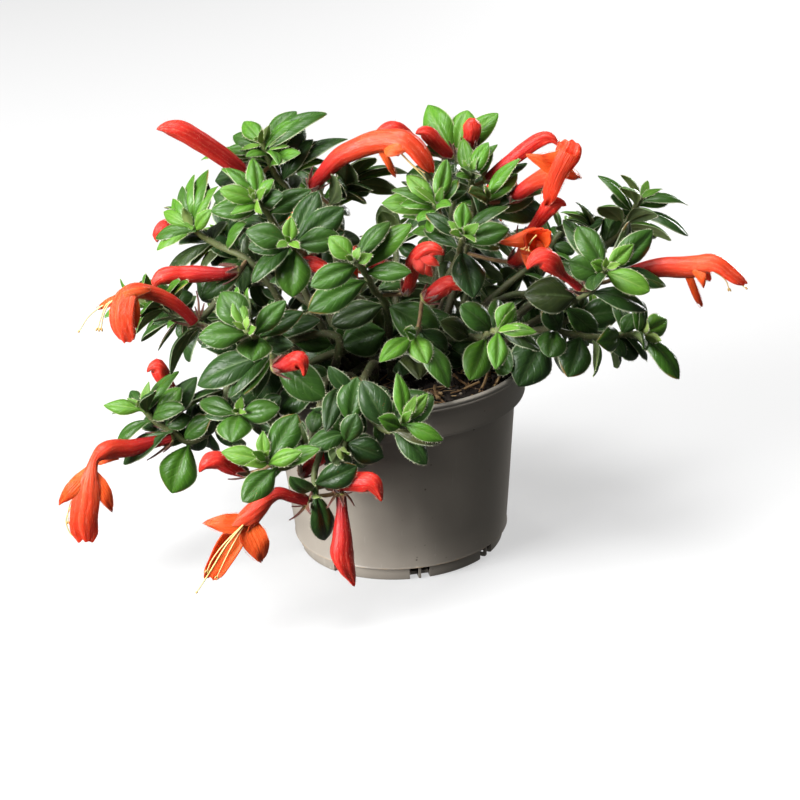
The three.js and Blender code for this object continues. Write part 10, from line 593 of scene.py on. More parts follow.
    ("shoot_23", [-27.2,35.4,146.1], [-17.2,48.6,142.2], [0.64,0.09,0.76], 11.3, 4, "d", 0.1, 3),
    ("shoot_18", [-29.8,-53.3,95.9], [-50.7,-44.6,85.3], [-0.55,-0.53,0.65], 16, 4, "d", 0.1, 3),
    ("shoot_13", [96,5.3,132.8], [103.1,17,145.5], [-0.65,-0.74,0.17], 11, 4, "d", 0.1, 3),
    ("shoot_09", [19.5,2,92], [37.3,14.6,101], [-0.04,-0.55,0.83], 14, 4, "d", 0.1, 3),
    ("shoot_17", [-101.4,-20.8,68], [-90.1,-20.7,72.6], [0.52,-0.52,0.68], 8.1, 4, "d", 0.1, 3),
    ("shoot_16", [-6.7,-9.9,90.8], [4.2,-7.4,90.9], [-0.08,-0.97,-0.23], 7, 4, "d", 0.1, 3),
    ("shoot_25", [36.4,59.2,111.3], [24.4,68.4,129.6], [0.2,-0.95,0.24], 15.2, 4, "d", 0.1, 3),
    ("shoot_25", [32,38.1,151.3], [20.6,59,158], [0.66,-0.63,0.4], 15.6, 4, "d", 0.1, 3),
    ("shoot_15", [-49.7,-38.4,109.7], [-56.3,-41.4,87.8], [-0.4,-0.89,0.24], 15.1, 4, "d", 0.1, 3),
    ("shoot_22", [-97,19.9,108.7], [-105.1,9.8,105.1], [-0.36,-0.78,0.51], 8, 4, "d", 0.1, 3),
    ("shoot_16", [-52.5,-38.5,85.3], [-51.2,-42.9,72.9], [-0.69,-0.68,0.23], 8.8, 4, "d", 0.1, 3),
    ("shoot_13", [102.9,8,139], [102.8,14.1,128.5], [0.72,0.69,-0.08], 8.2, 4, "d", 0.1, 3),
    ("shoot_26", [75.3,46.1,120.9], [55.1,38.2,129.6], [0.48,0.34,0.81], 16, 4, "d", 0.1, 3),
    ("shoot_24", [-13.9,78.5,90], [4,94.2,91.1], [0.31,-0.85,0.41], 14.1, 4, "d", 0.1, 3),
    ("shoot_26", [75.3,46.1,120.9], [86.1,47,116.5], [0.32,-0.71,0.63], 7.1, 4, "d", 0.1, 3),
    ("shoot_22", [-66.7,39.9,123.8], [-82.9,34.5,136.8], [0.57,-0.33,0.75], 13.7, 4, "d", 0.1, 3),
    ("shoot_02", [-50.7,-17.1,164.7], [-73,-6.5,168.8], [-0.47,-0.85,0.23], 15.4, 4, "d", 0.1, 3),
    ("shoot_25", [39.2,63.8,113.8], [20.9,70,109], [-0.22,0.11,0.97], 13.6, 4, "d", 0.1, 3),
    ("shoot_20", [-19.9,-73.5,85.3], [-15,-68.9,65.6], [-0.16,-0.93,-0.34], 14.3, 4, "d", 0.1, 3),
    ("shoot_14", [100.3,-16.9,99.4], [105.8,-15.9,108.7], [-0.14,-0.97,0.19], 7.1, 4, "d", 0.1, 3),
    ("shoot_24", [-24.4,82,81], [-15.5,77.5,60.4], [-0.85,0.49,-0.2], 15.5, 4, "d", 0.1, 3),
    ("shoot_26", [79.9,35.8,87.2], [91.1,37.1,74], [0.72,-0.38,0.57], 11.8, 4, "d", 0.1, 3),
    ("shoot_17", [-79.3,-12.8,68.5], [-86.5,-18.2,62.8], [-0.08,-0.99,0.08], 7.1, 4, "d", 0.1, 3),
    ("shoot_26", [62.5,38.1,111.8], [52.1,38.7,101], [-0.87,-0.43,0.22], 9.8, 4, "d", 0.1, 3),
    ("shoot_18", [-46.2,-77.2,71.6], [-55.1,-74.9,76.9], [0.17,-0.95,0.24], 7, 4, "d", 0.1, 3),
    ("shoot_24", [4,79.3,113.7], [16,73.8,108.2], [0.17,-0.48,0.86], 9.3, 4, "d", 0.1, 3),
    ("shoot_22", [-70.1,42.2,127.9], [-85.7,44,135.5], [-0.02,0.01,1], 11.7, 4, "d", 0.1, 3),
    ("shoot_13", [40.9,2.5,90.2], [35.4,12.6,91.3], [0.15,-0.03,0.99], 7.5, 4, "d", 0.1, 3),
    ("shoot_16", [-1,-7.1,98.2], [-4.2,-16.6,118], [-0.74,0.65,0.17], 14.4, 4, "d", 0.1, 3),
    ("shoot_26", [60.9,37.1,111], [50.2,51.2,99.8], [0.88,0.21,0.42], 12.4, 4, "d", 0.1, 3),
    ("shoot_01", [-43.4,20,163.8], [-50,11,148.3], [0.07,-0.88,0.48], 12.9, 4, "d", 0.1, 3),
    ("shoot_17", [-36.4,-6.1,89], [-30.3,1.9,92.2], [0.11,-0.26,0.96], 7.3, 4, "d", 0.1, 3),
    ("shoot_18", [-26.3,-44.1,96], [-35.9,-44.2,102.1], [0.22,-0.92,0.33], 7.3, 4, "d", 0.1, 3),
    ("shoot_18", [-31.2,-58.8,90.1], [-35,-69.6,83.2], [-0.19,-0.83,0.52], 8.1, 4, "d", 0.1, 3),
    ("shoot_22", [-72.7,44.2,131.4], [-86.2,37.5,117.1], [-0.79,-0.02,0.61], 14.2, 4, "d", 0.1, 3),
    ("shoot_20", [-14.1,-61.8,95.5], [-1.3,-66.6,96.8], [-0.26,-0.53,0.81], 8.9, 4, "d", 0.1, 3),
    ("shoot_26", [64.1,39.1,112.6], [62.5,51.3,104.3], [0.19,0.64,0.74], 9.1, 4, "d", 0.1, 3),
    ("shoot_22", [-93.3,18.3,105.1], [-111,15.1,123.7], [0.73,-0.33,0.6], 16.1, 4, "d", 0.1, 3),
    ("shoot_17", [-37.9,-6.4,92.3], [-57.9,0.6,96], [0.03,-0.66,0.75], 14.8, 4, "d", 0.1, 3),
    ("shoot_27", [-40.1,27.9,98.3], [-30.4,14.6,85], [0.45,-0.77,0.45], 12.6, 4, "d", 0.1, 3),
    ("shoot_26", [79.9,35.8,87.2], [84.3,39.6,73.1], [0.89,-0.28,-0.36], 9.4, 4, "d", 0.1, 3),
    ("shoot_14", [94.5,-17.3,99.1], [100.5,-23.9,91.8], [0.31,-0.52,0.8], 8, 4, "d", 0.1, 3),
    ("shoot_26", [79.9,35.8,87.2], [77.6,20,67.7], [-0.8,0.6,0.06], 15.5, 4, "d", 0.1, 3),
    ("shoot_26", [65.5,34.2,99.3], [61.6,22.5,91.9], [0.2,-0.88,0.42], 8.9, 4, "d", 0.1, 3),
    ("shoot_01", [-42.1,20.2,160.3], [-56.8,20.4,171.1], [0.59,-0.77,-0.25], 11.7, 4, "d", 0.1, 3),
    ("shoot_17", [-73.8,-11.9,80.9], [-95.1,-18.1,74], [-0.32,0.46,0.83], 15.4, 4, "d", 0.1, 3),
    ("shoot_24", [-25.3,83.5,81.3], [-15.1,88.5,59.7], [-0.91,0.29,-0.31], 16.7, 4, "d", 0.1, 3),
    ("shoot_16", [-50.5,-36.3,89.6], [-71,-38.6,89.2], [0.11,-0.97,0.23], 14.2, 4, "d", 0.1, 3),
    ("shoot_24", [4,75.6,109.8], [-16,86,113.7], [0.56,-0.16,0.82], 15.7, 4, "d", 0.1, 3),
    ("shoot_20", [-6.1,-75,85.6], [16.2,-69.2,96.5], [0.17,-0.52,0.83], 16.5, 4, "d", 0.1, 3),
    ("shoot_24", [-23.7,81.3,81.3], [-25.2,63.3,63.6], [-0.4,-0.47,0.79], 15.9, 4, "d", 0.1, 3),
    ("shoot_13", [82.3,4.1,122.6], [87.5,2.2,112], [0.83,-0.31,0.47], 8.1, 4, "d", 0.1, 3),
    ("shoot_26", [84.6,37.7,87.8], [106,42.8,87.7], [0.74,-0.53,0.41], 14.1, 4, "d", 0.1, 3),
    ("shoot_11", [17.8,-10.9,89.4], [22,-27.2,96.4], [-0.45,0.18,0.87], 11.3, 4, "d", 0.1, 3),
    ("shoot_22", [-25.8,16.2,87.1], [-17.7,21.8,96.5], [0.53,-0.73,0.44], 8.8, 4, "d", 0.1, 3),
    ("shoot_12", [58.8,-7.5,101.6], [74.1,-2.6,96.5], [0.41,-0.53,0.74], 10.2, 4, "d", 0.1, 3),
    ("shoot_14", [45.5,-17.8,96.7], [50.8,-35.9,92.6], [-0.76,-0.54,0.36], 12.8, 4, "d", 0.1, 3),
    ("shoot_23", [-29.6,53.4,110.8], [-37.5,52.3,91.8], [-0.16,0.99,0.01], 13.9, 4, "d", 0.1, 3),
    ("shoot_01", [-19.8,9.1,88.1], [-30.3,13.8,87.2], [0.42,-0.82,0.39], 7.7, 4, "d", 0.1, 3),
    ("shoot_24", [-15.6,78.8,88.3], [-7.1,88.9,84], [-0.01,-0.68,0.73], 9.5, 4, "d", 0.1, 3),
    ("shoot_14", [100.3,-16.9,99.4], [100.8,-3.1,110.4], [0.7,-0.46,0.54], 11.1, 4, "d", 0.1, 3),
    ("shoot_17", [-78.4,-12.6,70.4], [-84.7,-3.3,59.7], [-0.2,-0.96,-0.19], 9.9, 4, "d", 0.1, 3),
    ("shoot_28", [37.2,90.8,84], [49.5,89.2,72.5], [-0.05,-0.22,0.97], 10.9, 4, "d", 0.1, 3),
    ("shoot_20", [-14.1,-61.8,95.5], [-18.9,-60.1,79.8], [-0.23,-0.97,0.1], 10.6, 4, "d", 0.1, 3),
    ("shoot_17", [-97.1,-20,64.9], [-104.6,-4.9,63], [-0.34,-0.08,0.94], 10.6, 4, "d", 0.1, 3),
    ("shoot_25", [33.2,54.1,108.7], [33.4,56.9,121.7], [-0.46,0.88,-0.09], 8.5, 4, "d", 0.1, 3),
    ("shoot_22", [-26.2,16.7,88.9], [-21.8,27.9,93.4], [0.28,-0.2,0.94], 8.7, 4, "d", 0.1, 3),
    ("shoot_01", [-44.5,19.6,165.8], [-52.2,26.4,172.8], [-0.22,-0.49,0.84], 7.6, 4, "d", 0.1, 3),
    ("shoot_23", [-27.2,35.4,146.1], [-39,48.6,148.7], [0.53,-0.43,0.73], 11.9, 4, "d", 0.1, 3),
    ("shoot_13", [108.6,11.7,145.4], [101.4,21.2,151.7], [0.32,-0.34,0.88], 9.3, 4, "d", 0.1, 3),
    ("shoot_22", [-85.4,19.4,103.6], [-94.4,25.9,81.4], [-0.91,-0.29,0.28], 16.7, 4, "d", 0.1, 3),
    ("shoot_08", [14.9,-7.3,102.3], [29.1,-5,91.7], [0.78,0.17,0.61], 12.2, 4, "d", 0.1, 3),
    ("shoot_24", [-15.6,78.8,88.3], [5.6,81.6,85.2], [-0.08,-0.9,0.42], 14.2, 4, "d", 0.1, 3),
    ("shoot_22", [-33.4,23.4,103.6], [-46.3,18.2,95], [0.07,-0.86,0.5], 10, 4, "d", 0.1, 3),
    ("shoot_24", [4,79.3,113.7], [-1.9,86.4,131.3], [0.24,0.96,-0.1], 12.1, 4, "d", 0.1, 3),
    ("shoot_08", [14.5,-4.9,90.5], [30.2,-16.5,88.4], [-0.21,-0.34,0.92], 12, 4, "d", 0.1, 3),
    ("shoot_01", [-42.5,20.2,161.6], [-47.6,27.5,166.9], [-0.1,-0.63,0.77], 7.1, 4, "d", 0.1, 3),
    ("shoot_27", [-31.1,21.6,90.7], [-34.2,32.8,95], [-0.02,-0.82,0.58], 7.7, 4, "d", 0.1, 3),
    ("shoot_19", [-26,-68.1,93.4], [-34.7,-62.8,90.8], [-0.54,-0.41,-0.73], 6.3, 4, "d", 0.1, 3),
    ("shoot_25", [41.3,67.4,116.3], [53.4,52.1,110], [0.44,-0.02,0.9], 12.5, 4, "d", 0.1, 3),
    ("shoot_18", [-19.2,-36.1,90.5], [-29.5,-37.1,87.5], [0.31,-0.85,0.42], 6.4, 4, "d", 0.1, 3),
    ("shoot_14", [50.6,-18.3,99.6], [26.3,-16,97.6], [-0.22,-0.43,0.88], 15.3, 4, "d", 0.1, 3),
    ("shoot_22", [-93.3,18.3,105.1], [-113.2,19.9,93.7], [-0.36,0.34,0.87], 15.2, 4, "d", 0.1, 3),
    ("shoot_20", [-14.1,-61.8,95.5], [-24.2,-63.4,74.5], [-0.25,-0.96,0.15], 16, 4, "d", 0.1, 3),
    ("shoot_18", [-34.4,-65.2,82], [-25.9,-68.8,65.8], [-0.66,-0.75,0.04], 11.8, 4, "d", 0.1, 3),
    ("shoot_01", [-41.1,20.2,157.3], [-45.9,41.8,162.4], [-0.17,-0.26,0.95], 14.5, 4, "d", 0.1, 3),
    ("shoot_27", [-78.5,56.5,89.9], [-102.9,59.2,86.9], [0.01,0.35,0.94], 16.9, 4, "d", 0.1, 3),
    ("shoot_01", [-44.5,19.6,165.8], [-51.2,35.1,169.7], [0.08,-0.25,0.96], 11.1, 4, "d", 0.1, 3),
    ("shoot_24", [-4,74.8,99.5], [-14.2,56.7,97.3], [-0.4,0.23,0.89], 12.8, 4, "d", 0.1, 3),
    ("shoot_28", [37.2,90.8,84], [16.1,82.9,80], [-0.52,0.63,0.58], 14.4, 4, "d", 0.1, 3),
    ("shoot_21", [-13.7,4.4,95.7], [-14.2,-7.6,93.5], [-0.12,-0.59,0.8], 8.3, 4, "d", 0.1, 3),
    ("shoot_16", [1.8,-5.3,93.2], [-5.3,-1.4,84.3], [-0.51,-0.83,0.22], 7.9, 4, "d", 0.1, 3),
    ("shoot_22", [-61.3,32.2,115.2], [-66.7,41.6,105.8], [-0.64,-0.26,0.72], 9, 4, "d", 0.1, 3),
    ("shoot_13", [102.9,8,139], [120.2,25,133], [0.45,-0.33,0.83], 15.4, 4, "d", 0.1, 3),
    ("shoot_17", [-73.8,-11.9,80.9], [-86.7,-7.7,60], [-0.23,-0.96,-0.14], 15.5, 4, "d", 0.1, 3),
    ("shoot_15", [-26.9,-31.1,90.3], [-21.2,-20.2,89.6], [0.06,0.04,1], 8.5, 4, "d", 0.1, 3),
    ("shoot_26", [63.8,33.9,100.5], [52.9,43.8,97], [-0.08,0.21,0.97], 10.4, 4, "d", 0.1, 3),
    ("shoot_21", [-12.5,4,91.9], [-31.8,6.7,89.1], [-0.09,-0.71,0.7], 11.9, 4, "d", 0.1, 3),
    ("shoot_26", [63.8,33.9,100.5], [43.9,36.1,88.1], [-0.5,0.07,0.86], 15.4, 4, "d", 0.1, 3),
    ("shoot_18", [-27.7,-46.7,98.5], [-33.3,-49.2,89.5], [-0.13,-0.84,0.53], 7.4, 4, "d", 0.1, 3),
    ("shoot_28", [35.4,86.2,80.5], [21.5,88,74.6], [0.04,-0.67,0.74], 9.7, 4, "d", 0.1, 3),
    ("shoot_18", [-39,-69.6,74], [-44.2,-53.6,82.3], [-0.58,-0.45,0.67], 12.8, 4, "d", 0.1, 3),
    ("shoot_08", [14.3,-5.2,92.4], [2,-5.5,86.7], [-0.23,-0.55,0.8], 9.1, 4, "d", 0.1, 3),
    ("shoot_26", [63.8,33.9,100.5], [62.5,14,109.5], [0.95,-0.18,-0.25], 13.3, 4, "d", 0.1, 3),
    ("shoot_28", [37.2,90.8,84], [38.5,99.2,71.7], [0.48,0.7,0.53], 8.9, 4, "d", 0.1, 3),
    ("shoot_26", [74.2,45.5,119.8], [62.8,55.8,100.8], [0.83,0.28,-0.49], 15.4, 4, "d", 0.1, 3),
    ("shoot_12", [49.5,-6.1,94.6], [52.3,-16.9,95.4], [0.01,0.07,1], 6.6, 4, "d", 0.1, 3),
    ("shoot_17", [-94.9,-19.4,62.4], [-109.2,-8.1,58.4], [-0.49,-0.29,0.82], 11.2, 4, "d", 0.1, 3),
    ("shoot_24", [4,79.3,113.7], [23.8,89.8,126], [-0.75,-0.03,0.67], 15.5, 4, "d", 0.1, 3),
    ("shoot_23", [-39.3,72.1,127.3], [-23.3,62.1,140.3], [-0.36,0.47,0.8], 13.7, 4, "d", 0.1, 3),
    ("shoot_17", [-91.5,-18,59.4], [-105.9,-1.9,61.3], [-0.49,-0.57,0.66], 14.6, 4, "d", 0.1, 3),
    ("shoot_25", [44.8,74.1,123.7], [24.3,87,130.7], [-0.37,-0.2,0.91], 16.9, 4, "d", 0.1, 3),
    ("shoot_06", [-7.5,-4.5,90.6], [-1.2,7.3,96.9], [-0.27,-0.16,0.95], 9.8, 4, "d", 0.1, 3),
    ("shoot_22", [-29.1,20.4,98], [-37.9,39,101.1], [0.2,-0.26,0.94], 13.3, 4, "d", 0.1, 3),
    ("shoot_17", [-76.6,-12.3,74.4], [-73.8,0.8,74], [-0.86,0.2,0.47], 9.1, 4, "d", 0.1, 3),
    ("shoot_28", [30.3,73.5,86.1], [19.4,78.8,85.7], [-0.62,-0.61,0.49], 7.4, 4, "d", 0.1, 3),
    ("shoot_19", [-19.2,-46.2,98.3], [-19.6,-40.9,87.6], [-0.68,-0.12,0.73], 7.1, 4, "d", 0.1, 3),
    ("shoot_28", [37.2,90.8,84], [60.5,87.9,80.8], [0.03,0.07,1], 14.3, 4, "d", 0.1, 3),
    ("shoot_02", [-20.8,-3.5,86.7], [-34,6.7,97.6], [0.35,-0.47,0.81], 12, 4, "d", 0.1, 3),
    ("shoot_17", [-81,-13.2,65.3], [-75.3,10.7,70.6], [-0.06,0.04,1], 15.4, 4, "d", 0.1, 3),
    ("shoot_24", [-15.6,78.8,88.3], [-3.6,89.9,89.5], [0.56,-0.56,0.61], 9.7, 4, "d", 0.1, 3),
    ("shoot_25", [32.7,43.5,130.1], [36.1,56.3,137.6], [-0.43,-0.78,0.45], 9.2, 4, "d", 0.1, 3),
    ("shoot_26", [75.5,35.1,90.2], [68.7,24.8,86.4], [0.51,-0.85,0.16], 7.8, 4, "d", 0.1, 3),
    ("shoot_22", [-64.6,38.8,122.2], [-78.3,42,123.1], [0.07,-0.29,0.95], 9, 4, "d", 0.1, 3),
    ("shoot_27", [-33.6,23.4,95], [-18.7,21.1,92], [-0.27,-0.31,0.91], 9.7, 4, "d", 0.1, 3),
    ("shoot_20", [-19.9,-73.5,85.3], [-22.8,-59.6,70.8], [0.16,-0.84,-0.52], 13.3, 4, "d", 0.1, 3),
    ("shoot_22", [-70.1,42.2,127.9], [-85,61,129.5], [0.22,-0.18,0.96], 14.7, 4, "d", 0.1, 3),
    ("shoot_08", [15.2,-7.7,103.8], [9.2,-12.4,87.3], [-0.26,-0.7,0.67], 11.9, 4, "d", 0.1, 3),
    ("shoot_22", [-66.7,39.9,123.8], [-58.6,44.6,136.8], [-0.14,-0.89,0.44], 9.5, 4, "d", 0.1, 3),
    ("shoot_14", [100.3,-16.9,99.4], [87.5,-1.1,90.2], [0.2,0.65,0.74], 15.1, 4, "d", 0.1, 3),
    ("shoot_17", [-81,-13.2,65.3], [-68.2,-7.2,50.9], [-0.3,-0.75,-0.58], 12.3, 4, "d", 0.1, 3),
    ("shoot_22", [-97,19.9,108.7], [-100.6,32.1,105.9], [-0.59,0.59,0.55], 8.8, 4, "d", 0.1, 3),
    ("shoot_09", [34,15.1,168.9], [43.3,21,155.1], [-0.15,0.94,0.3], 11.6, 4, "d", 0.1, 3),
    ("shoot_22", [-66.7,39.9,123.8], [-66.2,24.1,113.5], [0.26,-0.93,0.27], 12.2, 4, "d", 0.1, 3),
    ("shoot_21", [-14.8,4.8,100], [-1.4,14.7,110.6], [0.21,-0.83,0.51], 11.8, 4, "d", 0.1, 3),
    ("shoot_28", [37.2,90.8,84], [26.4,101.7,77], [-0.32,0.69,0.65], 10.3, 4, "d", 0.1, 3),
    ("shoot_13", [105.6,10,142], [98.5,11.7,130.4], [-0.3,-0.52,0.8], 9.2, 4, "d", 0.1, 3),
    ("shoot_27", [-78.5,56.5,89.9], [-62.7,67.9,92.9], [-0.23,-0.47,0.85], 12.2, 4, "d", 0.1, 3),
    ("shoot_26", [84.6,37.7,87.8], [62.4,46.8,81.6], [-0.42,0.17,0.89], 15.8, 4, "d", 0.1, 3),
    ("shoot_28", [33.1,80.4,80], [34.3,78.6,54.4], [-0.3,-0.95,0.05], 15.4, 4, "d", 0.1, 3),
    ("shoot_22", [-64.6,38.8,122.2], [-80.9,52.9,120.6], [-0.44,0.05,0.9], 14.9, 4, "d", 0.1, 3),
    ("shoot_26", [73.9,34.9,91.6], [64.2,48.6,93.7], [0.21,0.3,-0.93], 11.6, 4, "d", 0.1, 3),
    ("shoot_24", [-25.7,85.2,82.3], [-44.3,101.1,77.9], [-0.24,0.34,0.91], 16.7, 4, "d", 0.1, 3),
    ("shoot_24", [-20.2,79.8,84], [-41.5,78.2,85.8], [0.17,-0.84,0.52], 13.1, 4, "d", 0.1, 3),
    ("shoot_01", [-40.1,20,153.9], [-53.5,26.8,143.6], [-0.66,-0.57,0.48], 11.6, 4, "d", 0.1, 3),
    ("shoot_24", [-2.8,73.4,100.3], [-15.7,75,87.8], [-0.96,-0.23,-0.15], 11.1, 4, "d", 0.1, 3),
    ("shoot_14", [94.5,-17.3,99.1], [97.7,-8.2,80.9], [0.83,0.04,0.55], 12.3, 4, "d", 0.1, 3),
    ("shoot_23", [-27.2,36.8,137.2], [-35.8,54.9,149.4], [0.28,-0.91,0.3], 15.9, 4, "d", 0.1, 3),
    ("shoot_06", [-7.9,-4.8,97.1], [-24.5,-19.1,105.6], [0.59,-0.44,0.68], 15.6, 4, "d", 0.1, 3),
    ("shoot_25", [44.8,74.1,123.7], [34.3,86,134.8], [0.35,-0.78,0.53], 12.4, 4, "d", 0.1, 3),
    ("shoot_25", [33.2,45.2,128.6], [25.5,53.2,121.6], [-0.25,-0.92,-0.31], 7.9, 4, "d", 0.1, 3),
    ("shoot_24", [-23.7,81.3,81.3], [-41.1,84.4,88], [-0.39,-0.92,0.09], 11.9, 4, "d", 0.1, 3),
    ("shoot_05", [-0.9,-12.4,90.6], [-2.2,-20.2,105.2], [-0.7,-0.7,0.13], 10.3, 4, "d", 0.1, 3),
    ("shoot_26", [79.9,35.8,87.2], [77.7,45.5,75.9], [0.94,0.08,0.35], 10.1, 4, "d", 0.1, 3),
    ("shoot_24", [-25.7,85.2,82.3], [-34.9,74.8,61.4], [-0.98,0.07,0.2], 16.7, 4, "d", 0.1, 3),
    ("shoot_02", [-23.2,-3.9,91.1], [-24.1,-14.6,95.2], [-0.8,-0.18,0.58], 7.5, 4, "d", 0.1, 3),
    ("shoot_25", [34.5,52.8,118.1], [14.4,59.5,120.7], [-0.09,-0.58,0.81], 12.8, 4, "d", 0.1, 3),
    ("shoot_25", [32.7,43.5,130.1], [26.9,57.8,140.6], [-0.39,-0.61,0.69], 11.9, 4, "d", 0.1, 3),
    ("shoot_21", [-19,13,160.6], [-37.6,22.9,169.6], [0.51,0.19,0.84], 14.5, 4, "d", 0.1, 3),
    ("shoot_17", [-82.7,-13.7,62.9], [-94.2,-6,52.2], [-0.2,-0.98,-0.06], 10.3, 4, "d", 0.1, 3),
    ("shoot_09", [34,15.1,168.9], [36.5,28.5,165.7], [0.29,0.16,0.94], 8.4, 4, "d", 0.1, 3),
    ("shoot_19", [-29.8,-72.5,81.9], [-20.6,-70,65.7], [-0.03,-0.74,-0.68], 12.2, 4, "d", 0.1, 3),
    ("shoot_07", [11.8,0.9,88.6], [-10.9,7.4,88.6], [0.09,-0.45,0.89], 15.2, 4, "d", 0.1, 3),
    ("shoot_16", [-20.2,-17.8,99.4], [-42.7,-17.9,92.9], [-0.16,-0.8,0.57], 15.4, 4, "d", 0.1, 3),
    ("shoot_14", [37.7,-15.1,91.8], [30.9,-22.7,88.2], [0.33,-0.62,0.71], 6.6, 4, "d", 0.1, 3),
    ("shoot_25", [31.1,38.5,134.6], [33.4,48.9,141], [0.05,-0.54,0.84], 8.4, 4, "d", 0.1, 3),
    ("shoot_24", [-25.7,85.2,82.3], [-22.1,83.3,59.4], [-0.94,0.07,0.33], 14.5, 4, "d", 0.1, 3),
    ("shoot_26", [75.5,35.1,90.2], [66.9,40,106.1], [0.48,-0.55,0.68], 11.3, 4, "d", 0.1, 3),
    ("shoot_26", [65.5,34.2,99.3], [56.3,52.1,108.3], [0.69,0.36,0.63], 14.1, 4, "d", 0.1, 3),
    ("shoot_11", [17.8,-10.9,89.4], [30.6,1.2,88.8], [0.03,-0.16,0.99], 12, 4, "d", 0.1, 3),
    ("shoot_28", [33.6,81.5,79.5], [22.1,82.4,84.6], [0.06,0.83,0.55], 7.7, 4, "d", 0.1, 3),
    ("shoot_26", [78.2,48.1,124.1], [82.8,60.9,110.9], [0.47,0.52,0.71], 11.2, 4, "d", 0.1, 3),
    ("shoot_22", [-70.1,42.2,127.9], [-55,52.9,118.7], [0.56,0.43,0.71], 13.9, 4, "d", 0.1, 3),
    ("shoot_02", [-23.2,-3.9,91.1], [-27.2,4.4,101.8], [0.07,-0.84,0.54], 9.4, 4, "d", 0.1, 3),
    ("shoot_11", [38.1,-22.9,103.4], [54.1,-22.4,115.3], [-0,-1,0.04], 13.4, 4, "d", 0.1, 3),
    ("shoot_23", [-36.2,65.5,119.5], [-39.5,50.9,104.8], [-0.49,-0.48,0.73], 14.2, 4, "d", 0.1, 3),
    ("shoot_17", [-35.9,-6,87.2], [-23.1,8.2,83.8], [-0.2,-0.22,0.95], 13.1, 4, "d", 0.1, 3),
    ("shoot_16", [-2.9,-8.2,98.4], [-6.4,5.4,111.7], [-0.98,0,0.21], 13.2, 4, "d", 0.1, 3),
    ("shoot_14", [94.5,-17.3,99.1], [108.4,-10.6,87], [0.84,-0.43,0.34], 13.6, 4, "d", 0.1, 3),
    ("shoot_26", [75.5,35.1,90.2], [53.7,47.1,93.9], [-0.23,-0.86,0.45], 15.1, 4, "d", 0.1, 3),
    ("shoot_26", [65.5,34.2,99.3], [62.9,29.3,82.7], [0.53,-0.78,0.33], 11.4, 4, "d", 0.1, 3),
    ("shoot_22", [-70.1,42.2,127.9], [-82.1,55.9,120.9], [-0.04,-0.41,0.91], 13.5, 4, "d", 0.1, 3),
    ("shoot_18", [-31.2,-58.8,90.1], [-31.5,-60.9,76], [-0.14,-0.95,0.27], 8.6, 4, "d", 0.1, 3),
    ("shoot_22", [-66.7,39.9,123.8], [-54.5,43.8,118.4], [0.06,0.32,0.94], 9.5, 4, "d", 0.1, 3),
    ("shoot_23", [-28.4,38.3,151.1], [-37.1,54.2,163.1], [0.25,-0.23,0.94], 13.2, 4, "d", 0.1, 3),
    ("shoot_01", [-48.9,16,172.1], [-45.8,29.9,188.8], [0.01,-0.89,0.46], 14.2, 4, "d", 0.1, 3),
    ("shoot_23", [-37.9,69.2,123.7], [-39.5,58.8,116.8], [0.13,-0.41,0.9], 8.2, 4, "d", 0.1, 3),
    ("shoot_17", [-93.8,-19,61.1], [-92.3,-0.4,55.3], [-0.52,0.52,0.68], 12.4, 4, "d", 0.1, 3),
    ("shoot_22", [-72.7,44.2,131.4], [-91.8,60.1,128.8], [-0.1,0.14,0.98], 15.3, 4, "d", 0.1, 3),
    ("shoot_17", [-98.5,-20.3,66], [-104.3,-14,71.7], [-0.72,-0.32,0.61], 6.2, 4, "d", 0.1, 3),
    ("shoot_04", [-19.6,-7.7,95.8], [-28.3,-14.7,97.6], [0.33,-0.24,0.91], 7.4, 4, "d", 0.1, 3),
    ("shoot_28", [37.2,90.8,84], [58,95.4,88.6], [0.19,0.54,0.82], 13.5, 4, "d", 0.1, 3),
    ("shoot_21", [-19,13,160.6], [-6.4,34.1,164.5], [0.63,-0.68,0.38], 15.8, 4, "d", 0.1, 3),
    ("shoot_26", [89,40.3,90.8], [83.6,50.2,73.2], [-0.13,-0.95,-0.29], 13.2, 4, "d", 0.1, 3),
    ("shoot_14", [100.3,-16.9,99.4], [109.4,-8,95.5], [0.6,-0.03,0.8], 8.5, 4, "d", 0.1, 3),
    ("shoot_27", [-31.8,22.1,92.3], [-35.7,40.1,98.1], [-0.2,-0.19,0.96], 12.3, 4, "d", 0.1, 3),
    ("shoot_22", [-64.6,38.8,122.2], [-72,59.3,118.1], [-0.28,0.37,0.89], 14.8, 4, "d", 0.1, 3),
    ("shoot_17", [-97.1,-20,64.9], [-111.1,1.7,65.3], [-0.04,-0.5,0.86], 17.1, 4, "d", 0.1, 3),
    ("shoot_28", [32.1,77.8,81.9], [15.2,72.9,80.5], [-0.51,0.78,-0.36], 10.6, 4, "d", 0.1, 3),
    ("shoot_24", [2.1,37,93.6], [-6.4,39.1,104.3], [0.74,0.46,0.49], 8.7, 4, "d", 0.1, 3),
    ("shoot_22", [-53.6,33.4,115.9], [-69.6,47.3,113.6], [0.01,-0.35,0.94], 13.1, 4, "d", 0.1, 3),
    ("shoot_07", [15.3,1.2,100], [-0.9,2.6,101.5], [0.01,-0.65,0.76], 10.6, 4, "d", 0.1, 3),
    ("shoot_27", [-78.5,56.5,89.9], [-67.2,51.9,106.3], [-0.61,0.61,0.5], 14, 4, "d", 0.1, 3),
    ("shoot_28", [14,34,87.2], [29.3,49.3,93.3], [-0.05,-0.62,0.78], 13.4, 4, "d", 0.1, 3),
    ("shoot_13", [102.9,8,139], [112.9,22.7,144.8], [-0.13,-0.49,0.86], 11.8, 4, "d", 0.1, 3),
    ("shoot_25", [30.7,35.1,146.6], [28.9,36.3,172.1], [0.55,-0.35,0.76], 17.7, 4, "d", 0.1, 3),
